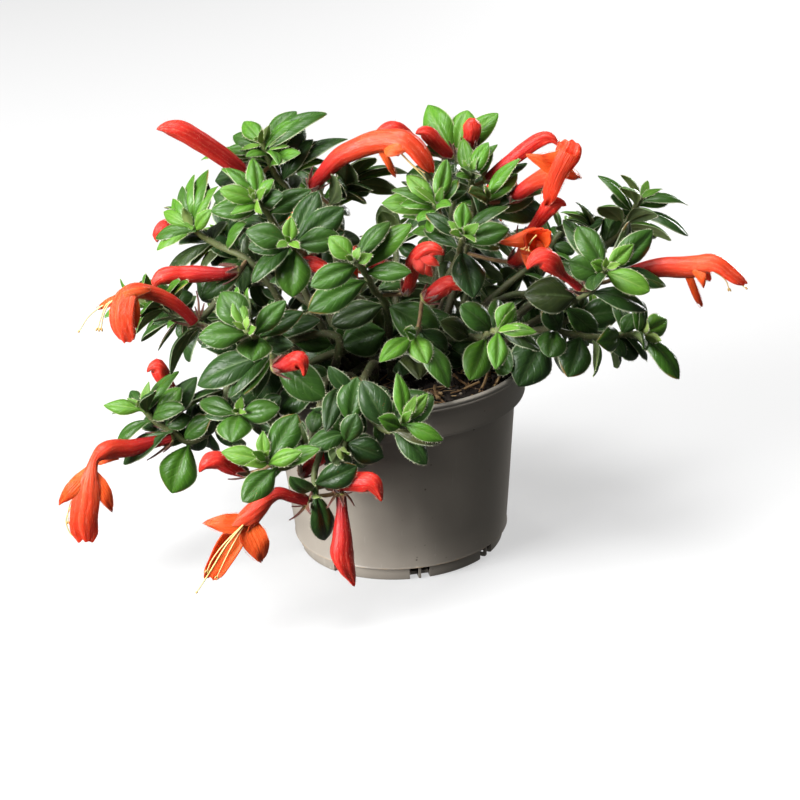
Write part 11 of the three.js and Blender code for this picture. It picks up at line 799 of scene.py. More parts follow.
    ("shoot_25", [34.5,52.8,118.1], [28.5,63.8,133.1], [0.65,-0.52,0.55], 13, 4, "d", 0.1, 3),
    ("shoot_22", [-66.8,31.8,115.2], [-84.5,39.5,109], [-0.88,-0.32,0.36], 13.5, 4, "d", 0.1, 3),
    ("shoot_27", [-31.1,21.6,90.7], [-41.1,7.8,102.2], [0.96,-0.19,0.22], 12.8, 4, "d", 0.1, 3),
    ("shoot_18", [-30.1,-54.6,94.1], [-27.1,-59.2,71.4], [-0.25,-0.95,0.16], 15.4, 4, "d", 0.1, 3),
    ("shoot_25", [38.3,62.4,113], [23.6,66.6,101.3], [-0.27,0.57,0.77], 12.7, 4, "d", 0.1, 3),
    ("shoot_02", [-25.1,-4.3,94.3], [-33.8,-12.5,95.2], [0.64,-0.3,0.7], 7.1, 4, "d", 0.1, 3),
    ("shoot_01", [-49.4,14.5,177.4], [-33.9,28.6,187.4], [-0.01,-0.48,0.88], 15.6, 4, "d", 0.1, 3),
    ("shoot_21", [-25,7.7,154.7], [-18.5,15.3,144.1], [0.89,-0.31,0.33], 9.9, 4, "d", 0.1, 3),
    ("shoot_09", [35.1,4.7,137.7], [31.9,15.6,130.6], [0.19,0.58,0.8], 9.2, 4, "d", 0.1, 3),
    ("shoot_03", [-46.9,-6.6,117.9], [-55,1.9,122.4], [0.49,-0.3,0.82], 7.7, 4, "d", 0.1, 3),
    ("shoot_01", [-25,11.5,97.9], [-17.4,-3.4,90.2], [0.28,-0.58,0.77], 11.7, 4, "d", 0.1, 3),
    ("shoot_24", [-23.7,81.3,81.3], [-35.5,93.3,75], [-0.48,0.45,0.76], 10.7, 4, "d", 0.1, 3),
    ("shoot_23", [-16.8,30.3,89.6], [-38.4,30.8,92.6], [0.16,-0.31,0.94], 13.9, 4, "d", 0.1, 3),
    ("shoot_02", [-48.3,-10.2,157.5], [-53.9,-2.1,161.2], [-0.1,-0.48,0.87], 6.7, 4, "d", 0.1, 3),
    ("shoot_24", [-25.7,85.2,82.3], [-27.3,80.4,66.1], [-0.99,0.03,0.12], 10.7, 4, "d", 0.1, 3),
    ("shoot_23", [-27.6,36.5,147.8], [-24.2,50.4,148], [0.21,-0.02,0.98], 9.6, 4, "d", 0.1, 3),
    ("shoot_25", [41.3,67.4,116.3], [56.6,59.9,99.4], [0.67,-0.21,0.71], 16.4, 4, "d", 0.1, 3),
    ("shoot_26", [78.2,48.1,124.1], [70,63.3,110.1], [0.51,0.35,0.79], 13.1, 4, "d", 0.1, 3),
    ("shoot_23", [-28.4,38.3,151.1], [-47.6,55.3,153.3], [-0.06,-0.19,0.98], 17.5, 4, "d", 0.1, 3),
    ("shoot_07", [16.5,1.5,104.8], [-3.6,14.9,99.2], [0.08,0.72,0.68], 16.2, 4, "d", 0.1, 3),
    ("shoot_13", [53.7,3.2,101], [40.8,11.5,93.6], [-0.54,-0.1,0.83], 10.8, 4, "d", 0.1, 3),
    ("shoot_24", [-24.4,82,81], [-14.2,67.9,62.9], [0.06,-0.96,0.28], 15.4, 4, "d", 0.1, 3),
    ("shoot_22", [-29.1,20.4,98], [-36.6,21.4,109.2], [0.41,-0.67,0.61], 8.1, 4, "d", 0.1, 3),
    ("shoot_13", [93.3,20.4,127.1], [106.3,22,136.2], [-0.39,-0.76,0.53], 10.7, 4, "d", 0.1, 3),
    ("shoot_19", [-22.4,-54.4,98], [-13.2,-49.3,91.2], [0.43,-0.9,0.11], 8.5, 4, "d", 0.1, 3),
    ("shoot_22", [-93.3,18.3,105.1], [-94.6,13.6,95.3], [-0.57,-0.71,0.41], 6.6, 4, "d", 0.1, 3),
    ("shoot_22", [-66.7,39.9,123.8], [-63.5,53.1,110.2], [0.21,0.86,0.47], 12.8, 4, "d", 0.1, 3),
    ("shoot_16", [-2.9,-8.2,98.4], [4.1,1.6,103.4], [-0.41,-0.64,0.65], 8.2, 4, "d", 0.1, 3),
    ("shoot_24", [-10.7,77.8,93.2], [2.3,70.3,89], [0.36,0.03,0.93], 10.1, 4, "d", 0.1, 3),
    ("shoot_01", [-48.3,16.6,170.8], [-65.9,23.3,166.5], [-0.39,-0.76,0.53], 12, 4, "d", 0.1, 3),
    ("shoot_01", [-37.5,19,144.1], [-39.1,-0.8,148], [-0.17,0.2,0.96], 13, 4, "d", 0.1, 3),
    ("shoot_01", [-34.2,17.1,130.8], [-51.6,22,128.6], [-0.1,0.09,0.99], 11.8, 4, "d", 0.1, 3),
    ("shoot_01", [-30.4,14.6,115.4], [-26.3,32.4,115.2], [-0.2,0.06,0.98], 10.7, 4, "d", 0.1, 3),
    ("shoot_01", [-26.3,12.1,101.3], [-9,12.4,104.2], [-0.17,0.13,0.98], 11.1, 4, "d", 0.1, 3),
    ("shoot_02", [-44.9,-6.4,147.4], [-26.6,0.2,155.6], [-0.36,-0.15,0.92], 12.1, 4, "d", 0.1, 3),
    ("shoot_02", [-40.2,-5.3,133.7], [-44.1,-24.7,131.5], [-0.25,-0.06,0.97], 12.6, 4, "d", 0.1, 3),
    ("shoot_02", [-40.2,-5.3,133.7], [-44.7,16.4,134.7], [-0.23,-0.09,0.97], 13.2, 4, "d", 0.1, 3),
    ("shoot_03", [-43.9,-6.5,112.1], [-46.9,-26.4,111.1], [-0.35,0,0.94], 12.1, 4, "d", 0.1, 3),
    ("shoot_04", [-36.8,-22.5,147.6], [-21.2,-19.4,157.4], [-0.15,-0.85,0.5], 10.7, 4, "d", 0.1, 3),
    ("shoot_04", [-36.8,-22.5,147.6], [-52.5,-25.7,142.8], [-0.01,-0.82,0.58], 10.4, 4, "d", 0.1, 3),
    ("shoot_04", [-34,-11.6,137.5], [-31.1,-0.3,152.2], [-0.39,-0.69,0.61], 11.1, 4, "d", 0.1, 3),
    ("shoot_04", [-29.4,-9.7,123.7], [-13.2,-22.1,130.6], [-0.36,0.04,0.93], 13.2, 4, "d", 0.1, 3),
    ("shoot_05", [-1.2,-15.5,100], [18.5,-24.2,98.5], [-0.04,-0.24,0.97], 13.7, 4, "d", 0.1, 3),
    ("shoot_06", [-47.2,-34.8,114.9], [-54.4,-18.4,118.3], [-0.88,-0.43,0.2], 11.8, 4, "d", 0.1, 3),
    ("shoot_07", [25.7,2,145.2], [42.5,-7.1,141.2], [0.02,-0.36,0.93], 11.9, 4, "d", 0.1, 3),
    ("shoot_07", [19.7,2.6,116.9], [30,19.4,118.3], [0.07,-0.13,0.99], 12.2, 4, "d", 0.1, 3),
    ("shoot_07", [16.1,1.3,103.1], [34.9,-4.4,98.7], [0.3,0.27,0.92], 12.8, 4, "d", 0.1, 3),
    ("shoot_07", [11.8,0.9,88.6], [14,16.9,95.7], [0.35,-0.26,0.9], 11.7, 4, "d", 0.1, 3),
    ("shoot_08", [26.7,-12.4,129.7], [38.7,-0.9,128.9], [0.28,-0.23,0.93], 10.1, 4, "d", 0.1, 3),
    ("shoot_08", [14.9,-7.3,102.3], [-1.4,-10.3,108.9], [0.39,-0.11,0.91], 10.7, 4, "d", 0.1, 3),
    ("shoot_09", [37.2,4.7,145.2], [56.6,13.4,139.2], [0.28,0.02,0.96], 13.8, 4, "d", 0.1, 3),
    ("shoot_10", [9.2,-19.9,104.5], [17,-35.8,95.4], [0.23,-0.4,0.89], 13.1, 4, "d", 0.1, 3),
    ("shoot_12", [69.6,-13.6,110], [72.5,2.4,121.9], [0.55,-0.56,0.62], 12.4, 4, "d", 0.1, 3),
    ("shoot_12", [47.7,-6.4,93.4], [38.5,0.3,109.8], [0.88,0,0.48], 12.5, 4, "d", 0.1, 3),
    ("shoot_13", [93.4,5,130.9], [87.5,-11.1,141.3], [0.69,0.2,0.7], 11.5, 4, "d", 0.1, 3),
    ("shoot_13", [69.5,3.7,113.2], [80.8,14.4,97.1], [0.77,0.12,0.62], 13.1, 4, "d", 0.1, 3),
    ("shoot_14", [50.6,-18.3,99.6], [44.5,-7,113.3], [0.82,-0.19,0.53], 11.8, 4, "d", 0.1, 3),
    ("shoot_16", [-44.1,-30.9,94.8], [-52.5,-12.9,94.8], [-0.9,-0.43,0.03], 13, 4, "d", 0.1, 3),
    ("shoot_17", [-65.6,-10.9,96.1], [-64,8.8,97.5], [-0.85,0.1,-0.52], 11.9, 4, "d", 0.1, 3),
    ("shoot_17", [-65.6,-10.9,96.1], [-74.8,-27,100], [-0.71,0.25,-0.66], 11.5, 4, "d", 0.1, 3),
    ("shoot_17", [-39,-6.5,93.8], [-45,12.8,91.8], [-0.51,-0.07,0.86], 13.1, 4, "d", 0.1, 3),
    ("shoot_18", [-43.5,-75.1,71.8], [-52,-57.1,80], [-0.81,-0.51,0.28], 12.8, 4, "d", 0.1, 3),
    ("shoot_21", [-21.5,5.6,128.6], [-0.1,6.7,134.6], [-0.27,0.01,0.96], 13.4, 4, "d", 0.1, 3),
    ("shoot_21", [-21.5,5.6,128.6], [-39.4,2.7,128.5], [-0.01,0.04,1], 11, 4, "d", 0.1, 3),
    ("shoot_21", [-18.3,5.3,114.7], [-18.1,24.6,117.2], [-0.18,-0.12,0.98], 11.6, 4, "d", 0.1, 3),
    ("shoot_21", [-18.3,5.3,114.7], [-24.9,-11.2,120.7], [0.04,0.22,0.97], 11.2, 4, "d", 0.1, 3),
    ("shoot_20", [-19.4,-73.4,86.5], [-14.9,-68.3,106.6], [-0.01,-0.97,0.25], 13, 4, "d", 0.08, 1),
    ("shoot_19", [-23.3,-57.5,98.6], [-28.8,-77.5,87], [0.2,-0.53,0.82], 8.5, 4, "d", 0.15, 1),
]
# flowers and buds: corolla axis, half widths, half depths, directions of the back, lobes, style and filaments, calyx lobes, foot of the stalk
FLOWERS = {
    "flower_01": {
        "axis": [[-82.2,-46,126.2],[-85.9,-47,131.6],[-90.4,-48,136.3],[-95.8,-49,140],[-100.4,-51,142.3],[-104.5,-54,144],[-108,-58,143],[-109.7,-61,139],[-110.2,-62,133.2],[-109.4,-62,128.4],[-109,-61,125.3]],
        "half": [2,2.2,2.6,2.8,3,3.9,4.9,5.4,5.5,5,4], "deep": [2,2.2,2.6,2.8,3,3,2.2,1.7,1.4,1.1,0.9],
        "back": [[0.74,0.36,0.56],[0.71,0.31,0.64],[0.61,0.19,0.77],[0.5,0.09,0.86],[0.41,0.02,0.91],[0.2,-0.11,0.97],[-0.19,-0.48,0.86],[-0.42,-0.81,0.42],[-0.44,-0.89,0.07],[-0.43,-0.88,-0.18],[-0.49,-0.8,-0.33]],
        "lobes": [([-107.9,-51,141.8],[-121.9,-50,135.6],[-0.17,-0.96,0.22],3.2,"L"),([-104.7,-58,142.9],[-104.6,-59,129.6],[0.12,-0.99,0.07],3.2,"L"),([-105.7,-59,144.6],[-97.7,-55,145.3],[0.39,-0.84,0.37],3.4,"P")],
        "threads": [[[-110.4,-52,141],[-117,-51,138.3],[-124.7,-50,133.1],[-130,-50,126.2]],[[-111.1,-53,141],[-116.9,-52,138.3],[-120,-52,132.2],[-121.7,-52,127.5]],[[-111.3,-52,140.2],[-115.5,-53,139],[-118.3,-54,134.7],[-120.3,-53,127.8]]],
        "calyx": [([-81.6,-45.8,125.2],[-80.4,-44,139.2]),([-81.6,-45.8,125.2],[-91.6,-47,127.9]),([-81.6,-45.8,125.2],[-77.9,-40,132.2]),([-81.6,-45.8,125.2],[-81.4,-45.3,132.7]),([-81.6,-45.8,125.2],[-83.8,-41.6,131.2])],
        "foot": [-77.4,-40.1,121.2]},
    "flower_02": {
        "axis": [[-99.2,-22,63.5],[-108.4,-24,62.5],[-117,-27,61.9],[-123.6,-30,63.1],[-127.9,-34,63.7],[-131.2,-37,61.9],[-132.6,-39,59],[-133.7,-41,55.2],[-134.9,-42,50.5],[-136.3,-42,44.8],[-137.9,-42,38.2],[-138.7,-41,31.4],[-138.9,-40,26.6],[-139.1,-40,24.1]],
        "half": [2.1,2.7,3.7,4.2,3.6,2,2.3,3.6,5,6,6.3,6,5.2,4], "deep": [2.1,2.7,3.6,4,3.5,2,1.8,1.6,1.5,1.4,1.3,1.1,0.9,0.8],
        "back": [[-0.12,0.07,0.99],[-0.1,0.04,0.99],[0.03,0.03,1],[0.14,0.03,0.99],[0,-0.17,0.98],[-0.21,-0.55,0.81],[-0.16,-0.82,0.55],[-0.15,-0.92,0.36],[-0.2,-0.97,0.14],[-0.18,-0.98,0.04],[-0.13,-0.99,-0.05],[-0.06,-0.98,-0.16],[-0.04,-0.99,-0.13],[-0.05,-1,0.01]],
        "lobes": [([-134.5,-39,57.2],[-147.9,-42,43.1],[-0.03,-0.97,0.23],6,"L"),([-132.5,-39,55.7],[-125.5,-42,39.4],[0.21,-0.94,0.26],6,"L"),([-124.8,-30,59.8],[-133.4,-27,56.1],[-0.41,-0.88,0.23],5,"P")],
        "threads": [[[-135.3,-37,52.1],[-143.7,-36,40],[-147.1,-36,32.9],[-146,-36,26.5],[-143.6,-36,23.9]],[[-135.3,-37,52.1],[-143.2,-37,42.9],[-145.6,-37,37.2],[-146.1,-37,32.3]]],
        "calyx": [([-98.1,-21.8,63.6],[-110.4,-22,66.5]),([-98.1,-21.8,63.6],[-107,-19,68.4]),([-98.1,-21.8,63.6],[-110.5,-24,54.4]),([-98.1,-21.8,63.6],[-102.6,-28,59.6]),([-98.1,-21.8,63.6],[-105.9,-18.3,64.9])],
        "foot": [-98.5,-20.3,66]},
    "flower_03": {
        "axis": [[-38.8,-84,58.7],[-44.3,-86,61.8],[-49.4,-88,64.8],[-54,-90,63.8],[-58.2,-93,60.9],[-62.4,-96,57.5],[-66.2,-99,54.2],[-70.7,-100,48.1],[-74.9,-100,41.5],[-78.4,-99,35.1],[-80.4,-98,31.5]],
        "half": [2,2.2,2.4,2.9,3.8,4.3,4.6,5,4.6,3.8,2.6], "deep": [2,2.2,2.4,2.9,3.8,4,2.6,1.6,1.3,1,0.8],
        "back": [[0.31,0.44,0.84],[0.3,0.47,0.83],[0,0.44,0.9],[-0.56,0.41,0.72],[-0.71,0.59,0.39],[-0.64,0.77,0.08],[-0.37,0.93,-0.07],[-0.15,0.99,0.03],[-0.07,0.99,0.12],[-0.01,0.98,0.2],[0.02,0.97,0.25]],
        "lobes": [([-63.2,-97,56.7],[-78.8,-101,58.2],[0.26,-0.87,0.42],7,"L"),([-62,-97,56.2],[-58.2,-99,39.1],[0.14,-0.98,0.15],9.5,"L"),([-61.6,-95,57],[-60.7,-97,52],[0.08,-0.92,0.38],5,"P")],
        "threads": [[[-64.2,-101,57.3],[-71.6,-104,49.7],[-79.2,-103,37.7],[-85.5,-101,27.8]],[[-63,-100,58.1],[-72,-103,50.6],[-77.9,-103,43.1],[-80.3,-103,38.2]],[[-64.3,-101,56.4],[-70.1,-104,47.8],[-73.9,-104,40.7],[-76.5,-103,35.2]]],
        "calyx": [([-37.8,-83.6,58.1],[-46.1,-88,52.3]),([-37.8,-83.6,58.1],[-36.8,-90,55.5]),([-37.8,-83.6,58.1],[-35.9,-84,64]),([-37.8,-83.6,58.1],[-44.6,-82,65.4]),([-37.8,-83.6,58.1],[-44.6,-87.6,58.4])],
        "foot": [-34.6,-82,59.8]},
    "flower_04": {
        "axis": [[-31.2,8,165.9],[-25,4,173.5],[-18.1,-0,181.1],[-10.1,-4,185.8],[-2.7,-6,188.6],[3.7,-8,189.7],[9.2,-10,190],[13.7,-11,186.9],[16.9,-12,182.7],[19.2,-12,178.6],[20.4,-12,175.9]],
        "half": [2.2,3.2,4,4.5,4.8,5.1,5.6,6,5.6,4.5,2.8], "deep": [2.2,3.2,4,4.4,4.7,4.4,3.5,3,2.6,2,1.2],
        "back": [[-0.66,0.29,0.69],[-0.65,0.28,0.71],[-0.55,0.2,0.81],[-0.41,0.1,0.91],[-0.28,-0.01,0.96],[-0.15,-0.12,0.98],[0.17,-0.29,0.94],[0.55,-0.45,0.7],[0.69,-0.5,0.52],[0.76,-0.51,0.4],[0.78,-0.53,0.34]],
        "lobes": [([2.3,-11,187.6],[8.9,-17,187.6],[-0.63,-0.69,0.35],6,"L"),([3.6,-4,185.9],[9.5,3,182.3],[0.76,-0.66,-0.02],6,"L"),([-0.3,-7,185.2],[5.5,-7,173.4],[0.12,-0.99,0.06],3.4,"P")],
        "threads": [[[6.1,-8,186.1],[12.5,-9,178.5],[17.8,-9,172.5],[19.8,-9,168.4],[18,-9,166.7]],[[6.1,-8,186.1],[13.3,-10,178.3],[18.7,-10,174.1],[20.2,-10,168.7]]],
        "calyx": [([-31.9,8.4,165],[-30.1,8.5,174.8]),([-31.9,8.4,165],[-33,3.4,171.3]),([-31.9,8.4,165],[-28,1.6,168.3]),([-31.9,8.4,165],[-23.6,4.2,168.4]),([-31.9,8.4,165],[-24.8,8.4,170.4])],
        "foot": [-24,8.9,157.1]},
    "flower_05": {
        "axis": [[97.5,-26,129],[104.9,-25,130.9],[111.7,-26,132.3],[117.9,-27,133.2],[125,-28,133.1],[131.7,-29,133.6],[136.2,-30,135],[139.9,-31,134.3],[144,-32,131.3],[147.7,-33,128.3],[150.7,-33,125.8]],
        "half": [2,2.8,3.7,4.1,4.5,4.8,5,5,4.9,4.3,2.6], "deep": [2,2.8,3.7,4.1,4.4,4.4,3.4,3,2.6,2.2,1.4],
        "back": [[-0.28,0.27,0.92],[-0.22,0.28,0.94],[-0.13,0.25,0.96],[-0.04,0.16,0.99],[-0.02,0.06,1],[-0.17,-0.03,0.98],[-0.12,-0.13,0.98],[0.35,-0.31,0.89],[0.49,-0.41,0.77],[0.52,-0.45,0.73],[0.55,-0.47,0.69]],
        "lobes": [([132,-33,132.3],[133,-35,126.2],[-0.13,-0.95,0.29],6,"T"),([135,-24,129.9],[138.2,-20,122.8],[0.21,-0.89,-0.41],6,"T"),([127.9,-29,128.8],[133.8,-27,113.7],[0.04,-0.99,-0.12],3.4,"P")],
        "threads": [[[135.8,-30,132.8],[142.5,-31,129.2],[149.2,-32,125.6],[151.8,-32,123.6]],[[135.8,-30,132.8],[140.8,-31,129.7],[143.4,-31,126.9],[144.7,-31,123.2]]],
        "calyx": [([96.4,-26.2,128.7],[104.3,-25.7,124.8]),([96.4,-26.2,128.7],[102.2,-20.6,129]),([96.4,-26.2,128.7],[101.6,-23.3,133.4]),([96.4,-26.2,128.7],[102.9,-28.1,134.4]),([96.4,-26.2,128.7],[103.7,-30.5,129.6])],
        "foot": [88.9,-30.4,128.4]},
    "flower_06": {
        "axis": [[54.1,-10,161.1],[58.8,-13,165.8],[64.2,-16,170.4],[69,-20,174],[72.7,-23,177.7],[75.5,-25,181.6],[77.6,-26,185.7],[78.8,-27,189],[79.2,-27,191.1]],
        "half": [2,2.9,3.3,3.9,5.2,6.3,6.2,5.4,4.4], "deep": [2,2.9,3.3,3.9,3.7,2.8,2,1.5,1.2],
        "back": [[-0.53,0.38,0.76],[-0.53,0.33,0.78],[-0.53,0.2,0.83],[-0.63,0.06,0.78],[-0.8,-0.13,0.58],[-0.82,-0.46,0.34],[-0.72,-0.69,0.14],[-0.58,-0.81,0.03],[-0.45,-0.89,0.1]],
        "lobes": [([72.1,-25,180.9],[61,-29,185.3],[0.38,-0.91,0.14],11,"T"),([75.8,-20,176.2],[84.2,-15,170.8],[0.5,-0.87,-0.02],7,"T"),([76.2,-31,184.7],[66.8,-23,160.9],[-0.3,-0.93,-0.2],8,"R")],
        "threads": [[[73.5,-17,175.5],[77.7,-14,177.9],[80.8,-12,178.9]],[[73.1,-17,175],[77.3,-13,176.3],[80,-11,176.9]]],
        "calyx": [([53.3,-9.6,160.3],[54.1,-17.1,165]),([53.3,-9.6,160.3],[59.1,-14,162.7]),([53.3,-9.6,160.3],[61.5,-9.5,162.6]),([53.3,-9.6,160.3],[58.5,-9.1,166.4]),([53.3,-9.6,160.3],[54.1,-10.7,169.1])],
        "foot": [43.3,-12.7,161.6]},
    "flower_07": {
        "axis": [[54,-0,129.6],[56.8,-4,131.7],[59.1,-10,135.9],[60.4,-18,140.9],[61.2,-26,145.8],[63.8,-31,149.9],[66.2,-34,153],[67.4,-35,154.6]],
        "half": [2,2.6,3.3,4.3,5,5.4,4.2,2.4], "deep": [2,2.6,3.3,4.3,4.4,2.4,1.4,0.9],
        "back": [[0.21,0.57,0.79],[0.25,0.61,0.75],[0.35,0.57,0.74],[0.42,0.51,0.75],[0.45,0.59,0.67],[0.42,0.74,0.53],[0.38,0.82,0.42],[0.33,0.89,0.31]],
        "lobes": [([60.8,-26,148],[48.2,-31,149.9],[0.39,-0.88,0.29],9.5,"T"),([63.7,-26,144.7],[69.4,-29,144.1],[-0.4,-0.83,0.38],6,"T"),([59,-25,142.8],[59.5,-29,137.9],[-0.09,-0.78,0.62],5,"P")],
        "threads": [[[60.2,-28,146.5],[61.5,-34,151.1],[62.5,-38,153.7]],[[59.4,-26,144.9],[58.8,-30,146.3],[57.2,-34,146.9]],[[59.9,-26,144.9],[60,-30,146.3],[59.3,-34,146.3]]],
        "calyx": [([51.9,0.8,128.8],[55.3,-7.7,130.2]),([51.9,0.8,128.8],[59.2,-5.9,128.7]),([51.9,0.8,128.8],[58.5,-1.5,131.7]),([51.9,0.8,128.8],[56.1,-1.1,136.5]),([51.9,0.8,128.8],[54,-4.7,134.8])],
        "foot": [33.9,4.5,133.6]},
    "bud_08": {
        "axis": [[-57.8,8,171.4],[-62.5,6,176.7],[-68,4,182.5],[-74.3,2,188.3],[-80.6,0,193.6],[-85.3,-1,196.8],[-89.4,-2,198.2],[-92.7,-3,198.6],[-94.4,-3,198.3]],
        "half": [2.2,3.4,4,4.2,4.4,4.4,3.4,1.6,0.7], "deep": [2.2,3.4,4,4.2,4.3,4.1,3.2,1.6,0.7],
        "back": [[0.67,0.28,0.69],[0.65,0.28,0.7],[0.61,0.3,0.73],[0.56,0.34,0.76],[0.49,0.38,0.78],[0.35,0.38,0.85],[0.13,0.37,0.92],[-0.04,0.32,0.95],[-0.19,0.28,0.94]],
        "lobes": [],
        "threads": [],
        "calyx": [([-57,8.3,170.5],[-65.2,5.9,171.2]),([-57,8.3,170.5],[-61.1,1.4,176.1]),([-57,8.3,170.5],[-59.1,5,178.3]),([-57,8.3,170.5],[-60.5,12,178.8]),([-57,8.3,170.5],[-64.7,11.2,175.4])],
        "foot": [-49.3,15.4,173.9]},
    "bud_09": {
        "axis": [[-64.7,-12,136.4],[-71.5,-14,135.7],[-77.5,-14,136],[-83.1,-14,136.3],[-88.7,-14,136.6],[-93.8,-15,136.8],[-97.3,-15,136.1],[-100,-16,134.3],[-101.5,-16,131.2]],
        "half": [2.2,2.7,3.4,3.8,3.6,4,4,2.6,0.7], "deep": [2.2,2.7,3.4,3.8,3.6,3.8,3.6,2.2,0.7],
        "back": [[-0.17,0.23,0.96],[-0.07,0.28,0.96],[0.05,0.28,0.96],[0.05,0.27,0.96],[0.01,0.31,0.95],[-0.1,0.3,0.95],[-0.4,0.21,0.89],[-0.76,0.08,0.64],[-0.89,0,0.45]],
        "lobes": [],
        "threads": [],
        "calyx": [([-63.5,-11.7,136.6],[-71.6,-14.4,140.3]),([-63.5,-11.7,136.6],[-72.9,-9,137.9]),([-63.5,-11.7,136.6],[-69.5,-10.6,132]),([-63.5,-11.7,136.6],[-71.5,-16.3,131.7]),([-63.5,-11.7,136.6],[-69.6,-17.6,137.5])],
        "foot": [-60.8,-5.6,139]},
    "bud_10": {
        "axis": [[7.2,-34,130.4],[9.1,-38,136.2],[10.1,-42,142.4],[12.3,-46,148.5],[15.8,-48,152.5],[19.1,-50,154.3],[21.5,-51,153.7],[23.1,-51,152.3]],
        "half": [2.2,2.6,3.2,4,4.2,3.5,2,0.7], "deep": [2.2,2.6,3.2,4,3.9,3.1,1.8,0.7],
        "back": [[-0.95,-0.02,0.29],[-0.96,0.05,0.27],[-0.93,0.15,0.34],[-0.79,0.23,0.58],[-0.51,0.31,0.8],[-0.06,0.26,0.96],[0.48,0.14,0.87],[0.64,0.2,0.74]],
        "lobes": [([15.2,-51,151.4],[20.8,-53,148.3],[-0.12,-0.92,0.38],4,"P"),([13.5,-50,148.9],[18.2,-52,143.7],[-0.02,-0.94,0.34],4.5,"P"),([11.9,-50,149.5],[14.9,-53,145.1],[-0.13,-0.86,0.5],4.5,"P")],
        "threads": [],
        "calyx": [([6.9,-33.3,129.4],[4.8,-39.7,133.8]),([6.9,-33.3,129.4],[8.3,-41.1,134.3]),([6.9,-33.3,129.4],[11.5,-37.7,134]),([6.9,-33.3,129.4],[11.7,-33.3,136.4]),([6.9,-33.3,129.4],[6.1,-34.7,137.1])],
        "foot": [-4,-30.9,128.5]},
    "bud_11": {
        "axis": [[14.7,-34,126.8],[19,-35,129.6],[22.9,-36,132.5],[26.3,-37,134.4],[29.6,-38,133.3],[32,-38,131.4]],
        "half": [2.6,3.4,4,3.6,2.2,0.7], "deep": [2.6,3.4,3.9,3.4,2,0.7],
        "back": [[-0.46,0.34,0.82],[-0.46,0.38,0.8],[-0.4,0.45,0.8],[0,0.37,0.93],[0.49,0.24,0.84],[0.6,0.24,0.77]],
        "lobes": [],
        "threads": [],
        "calyx": [([13.7,-33.8,126.2],[21.3,-35.2,125]),([13.7,-33.8,126.2],[23,-30.2,129.1]),([13.7,-33.8,126.2],[16.6,-32.5,133.2]),([13.7,-33.8,126.2],[16.1,-38.1,132.3]),([13.7,-33.8,126.2],[20.7,-39.4,130.2])],
        "foot": [11.4,-34.6,113.2]},
    "bud_12": {
        "axis": [[-94.5,-9,73.6],[-97.8,-7,78.2],[-100.8,-7,84.2],[-102.5,-8,88.9],[-103.9,-9,92.8],[-106.4,-10,92.8],[-107.9,-10,91]],
        "half": [2.2,2.6,3.2,4,3.8,1.8,0.7], "deep": [2.2,2.6,3.2,3.8,3.4,1.6,0.7],
        "back": [[0.84,0.21,0.51],[0.85,0.22,0.47],[0.85,0.34,0.41],[0.72,0.58,0.39],[0.42,0.56,0.71],[-0.44,0.32,0.84],[-0.68,0.48,0.56]],
        "lobes": [],
        "threads": [],
        "calyx": [([-93.8,-9.4,72.7],[-94.4,-10.4,80.9]),([-93.8,-9.4,72.7],[-94.5,-5.1,79.3]),([-93.8,-9.4,72.7],[-98.2,-3.1,76]),([-93.8,-9.4,72.7],[-101.3,-7.1,75.1]),([-93.8,-9.4,72.7],[-99.7,-11.4,80.1])],
        "foot": [-98.5,-20.3,66]},
    "bud_13": {
        "axis": [[-63.4,-74,68.3],[-67,-75,70.3],[-70.5,-76,72.8],[-73.9,-77,76.2],[-77.6,-78,76.4],[-80.5,-79,74.7],[-82,-79,72.5]],
        "half": [2.2,2.6,3.3,4,4,2.3,0.7], "deep": [2.2,2.6,3.3,3.8,3.5,2,0.7],
        "back": [[0.38,0.37,0.85],[0.41,0.41,0.82],[0.46,0.52,0.72],[0.26,0.53,0.81],[-0.3,0.38,0.88],[-0.67,0.3,0.68],[-0.79,0.34,0.51]],
        "lobes": [],
        "threads": [],
        "calyx": [([-62.4,-73.7,67.7],[-70.8,-77.5,67.6]),([-62.4,-73.7,67.7],[-66.7,-79.8,71.2]),([-62.4,-73.7,67.7],[-66.7,-77.1,74.2]),([-62.4,-73.7,67.7],[-67.8,-73,73.5]),([-62.4,-73.7,67.7],[-71.4,-71,68.4])],
        "foot": [-52.5,-81.5,74.5]},
    "bud_14": {
        "axis": [[-49.2,-62,110.4],[-44.9,-64,111.9],[-41,-66,113.8],[-37.9,-68,115.3],[-36.4,-69,112.9],[-36.7,-69,109]],
        "half": [2.6,3.2,3.8,4.2,2.3,0.7], "deep": [2.6,3.2,3.7,3.8,2,0.7],
        "back": [[-0.13,0.38,0.92],[-0.14,0.45,0.88],[-0.03,0.62,0.78],[0.44,0.45,0.78],[0.98,0.01,0.19],[1,0,-0.06]],
        "lobes": [],
        "threads": [],
        "calyx": [([-50.2,-61.5,110],[-45.5,-66.2,116.7]),([-50.2,-61.5,110],[-46.7,-69.2,111.8]),([-50.2,-61.5,110],[-42.5,-65.6,106.2]),([-50.2,-61.5,110],[-40.4,-60.9,109.5]),([-50.2,-61.5,110],[-44.4,-60.5,114.9])],
        "foot": [-50.1,-58,112]},
    "bud_15": {
        "axis": [[-40.7,-61.3,60.8],[-36.1,-64.3,66.5],[-32,-67.3,71.3],[-28.8,-69.3,74.8],[-26.4,-70.3,74.2],[-24.9,-70.3,71.8]],
        "half": [2.2,2.8,3.6,4,2.6,0.7], "deep": [2.2,2.8,3.4,3.5,2.2,0.7],
        "back": [[-0.62,0.36,0.69],[-0.57,0.41,0.71],[-0.43,0.55,0.71],[-0.11,0.56,0.82],[0.61,0.31,0.72],[0.79,0.35,0.51]],
        "lobes": [],
        "threads": [],
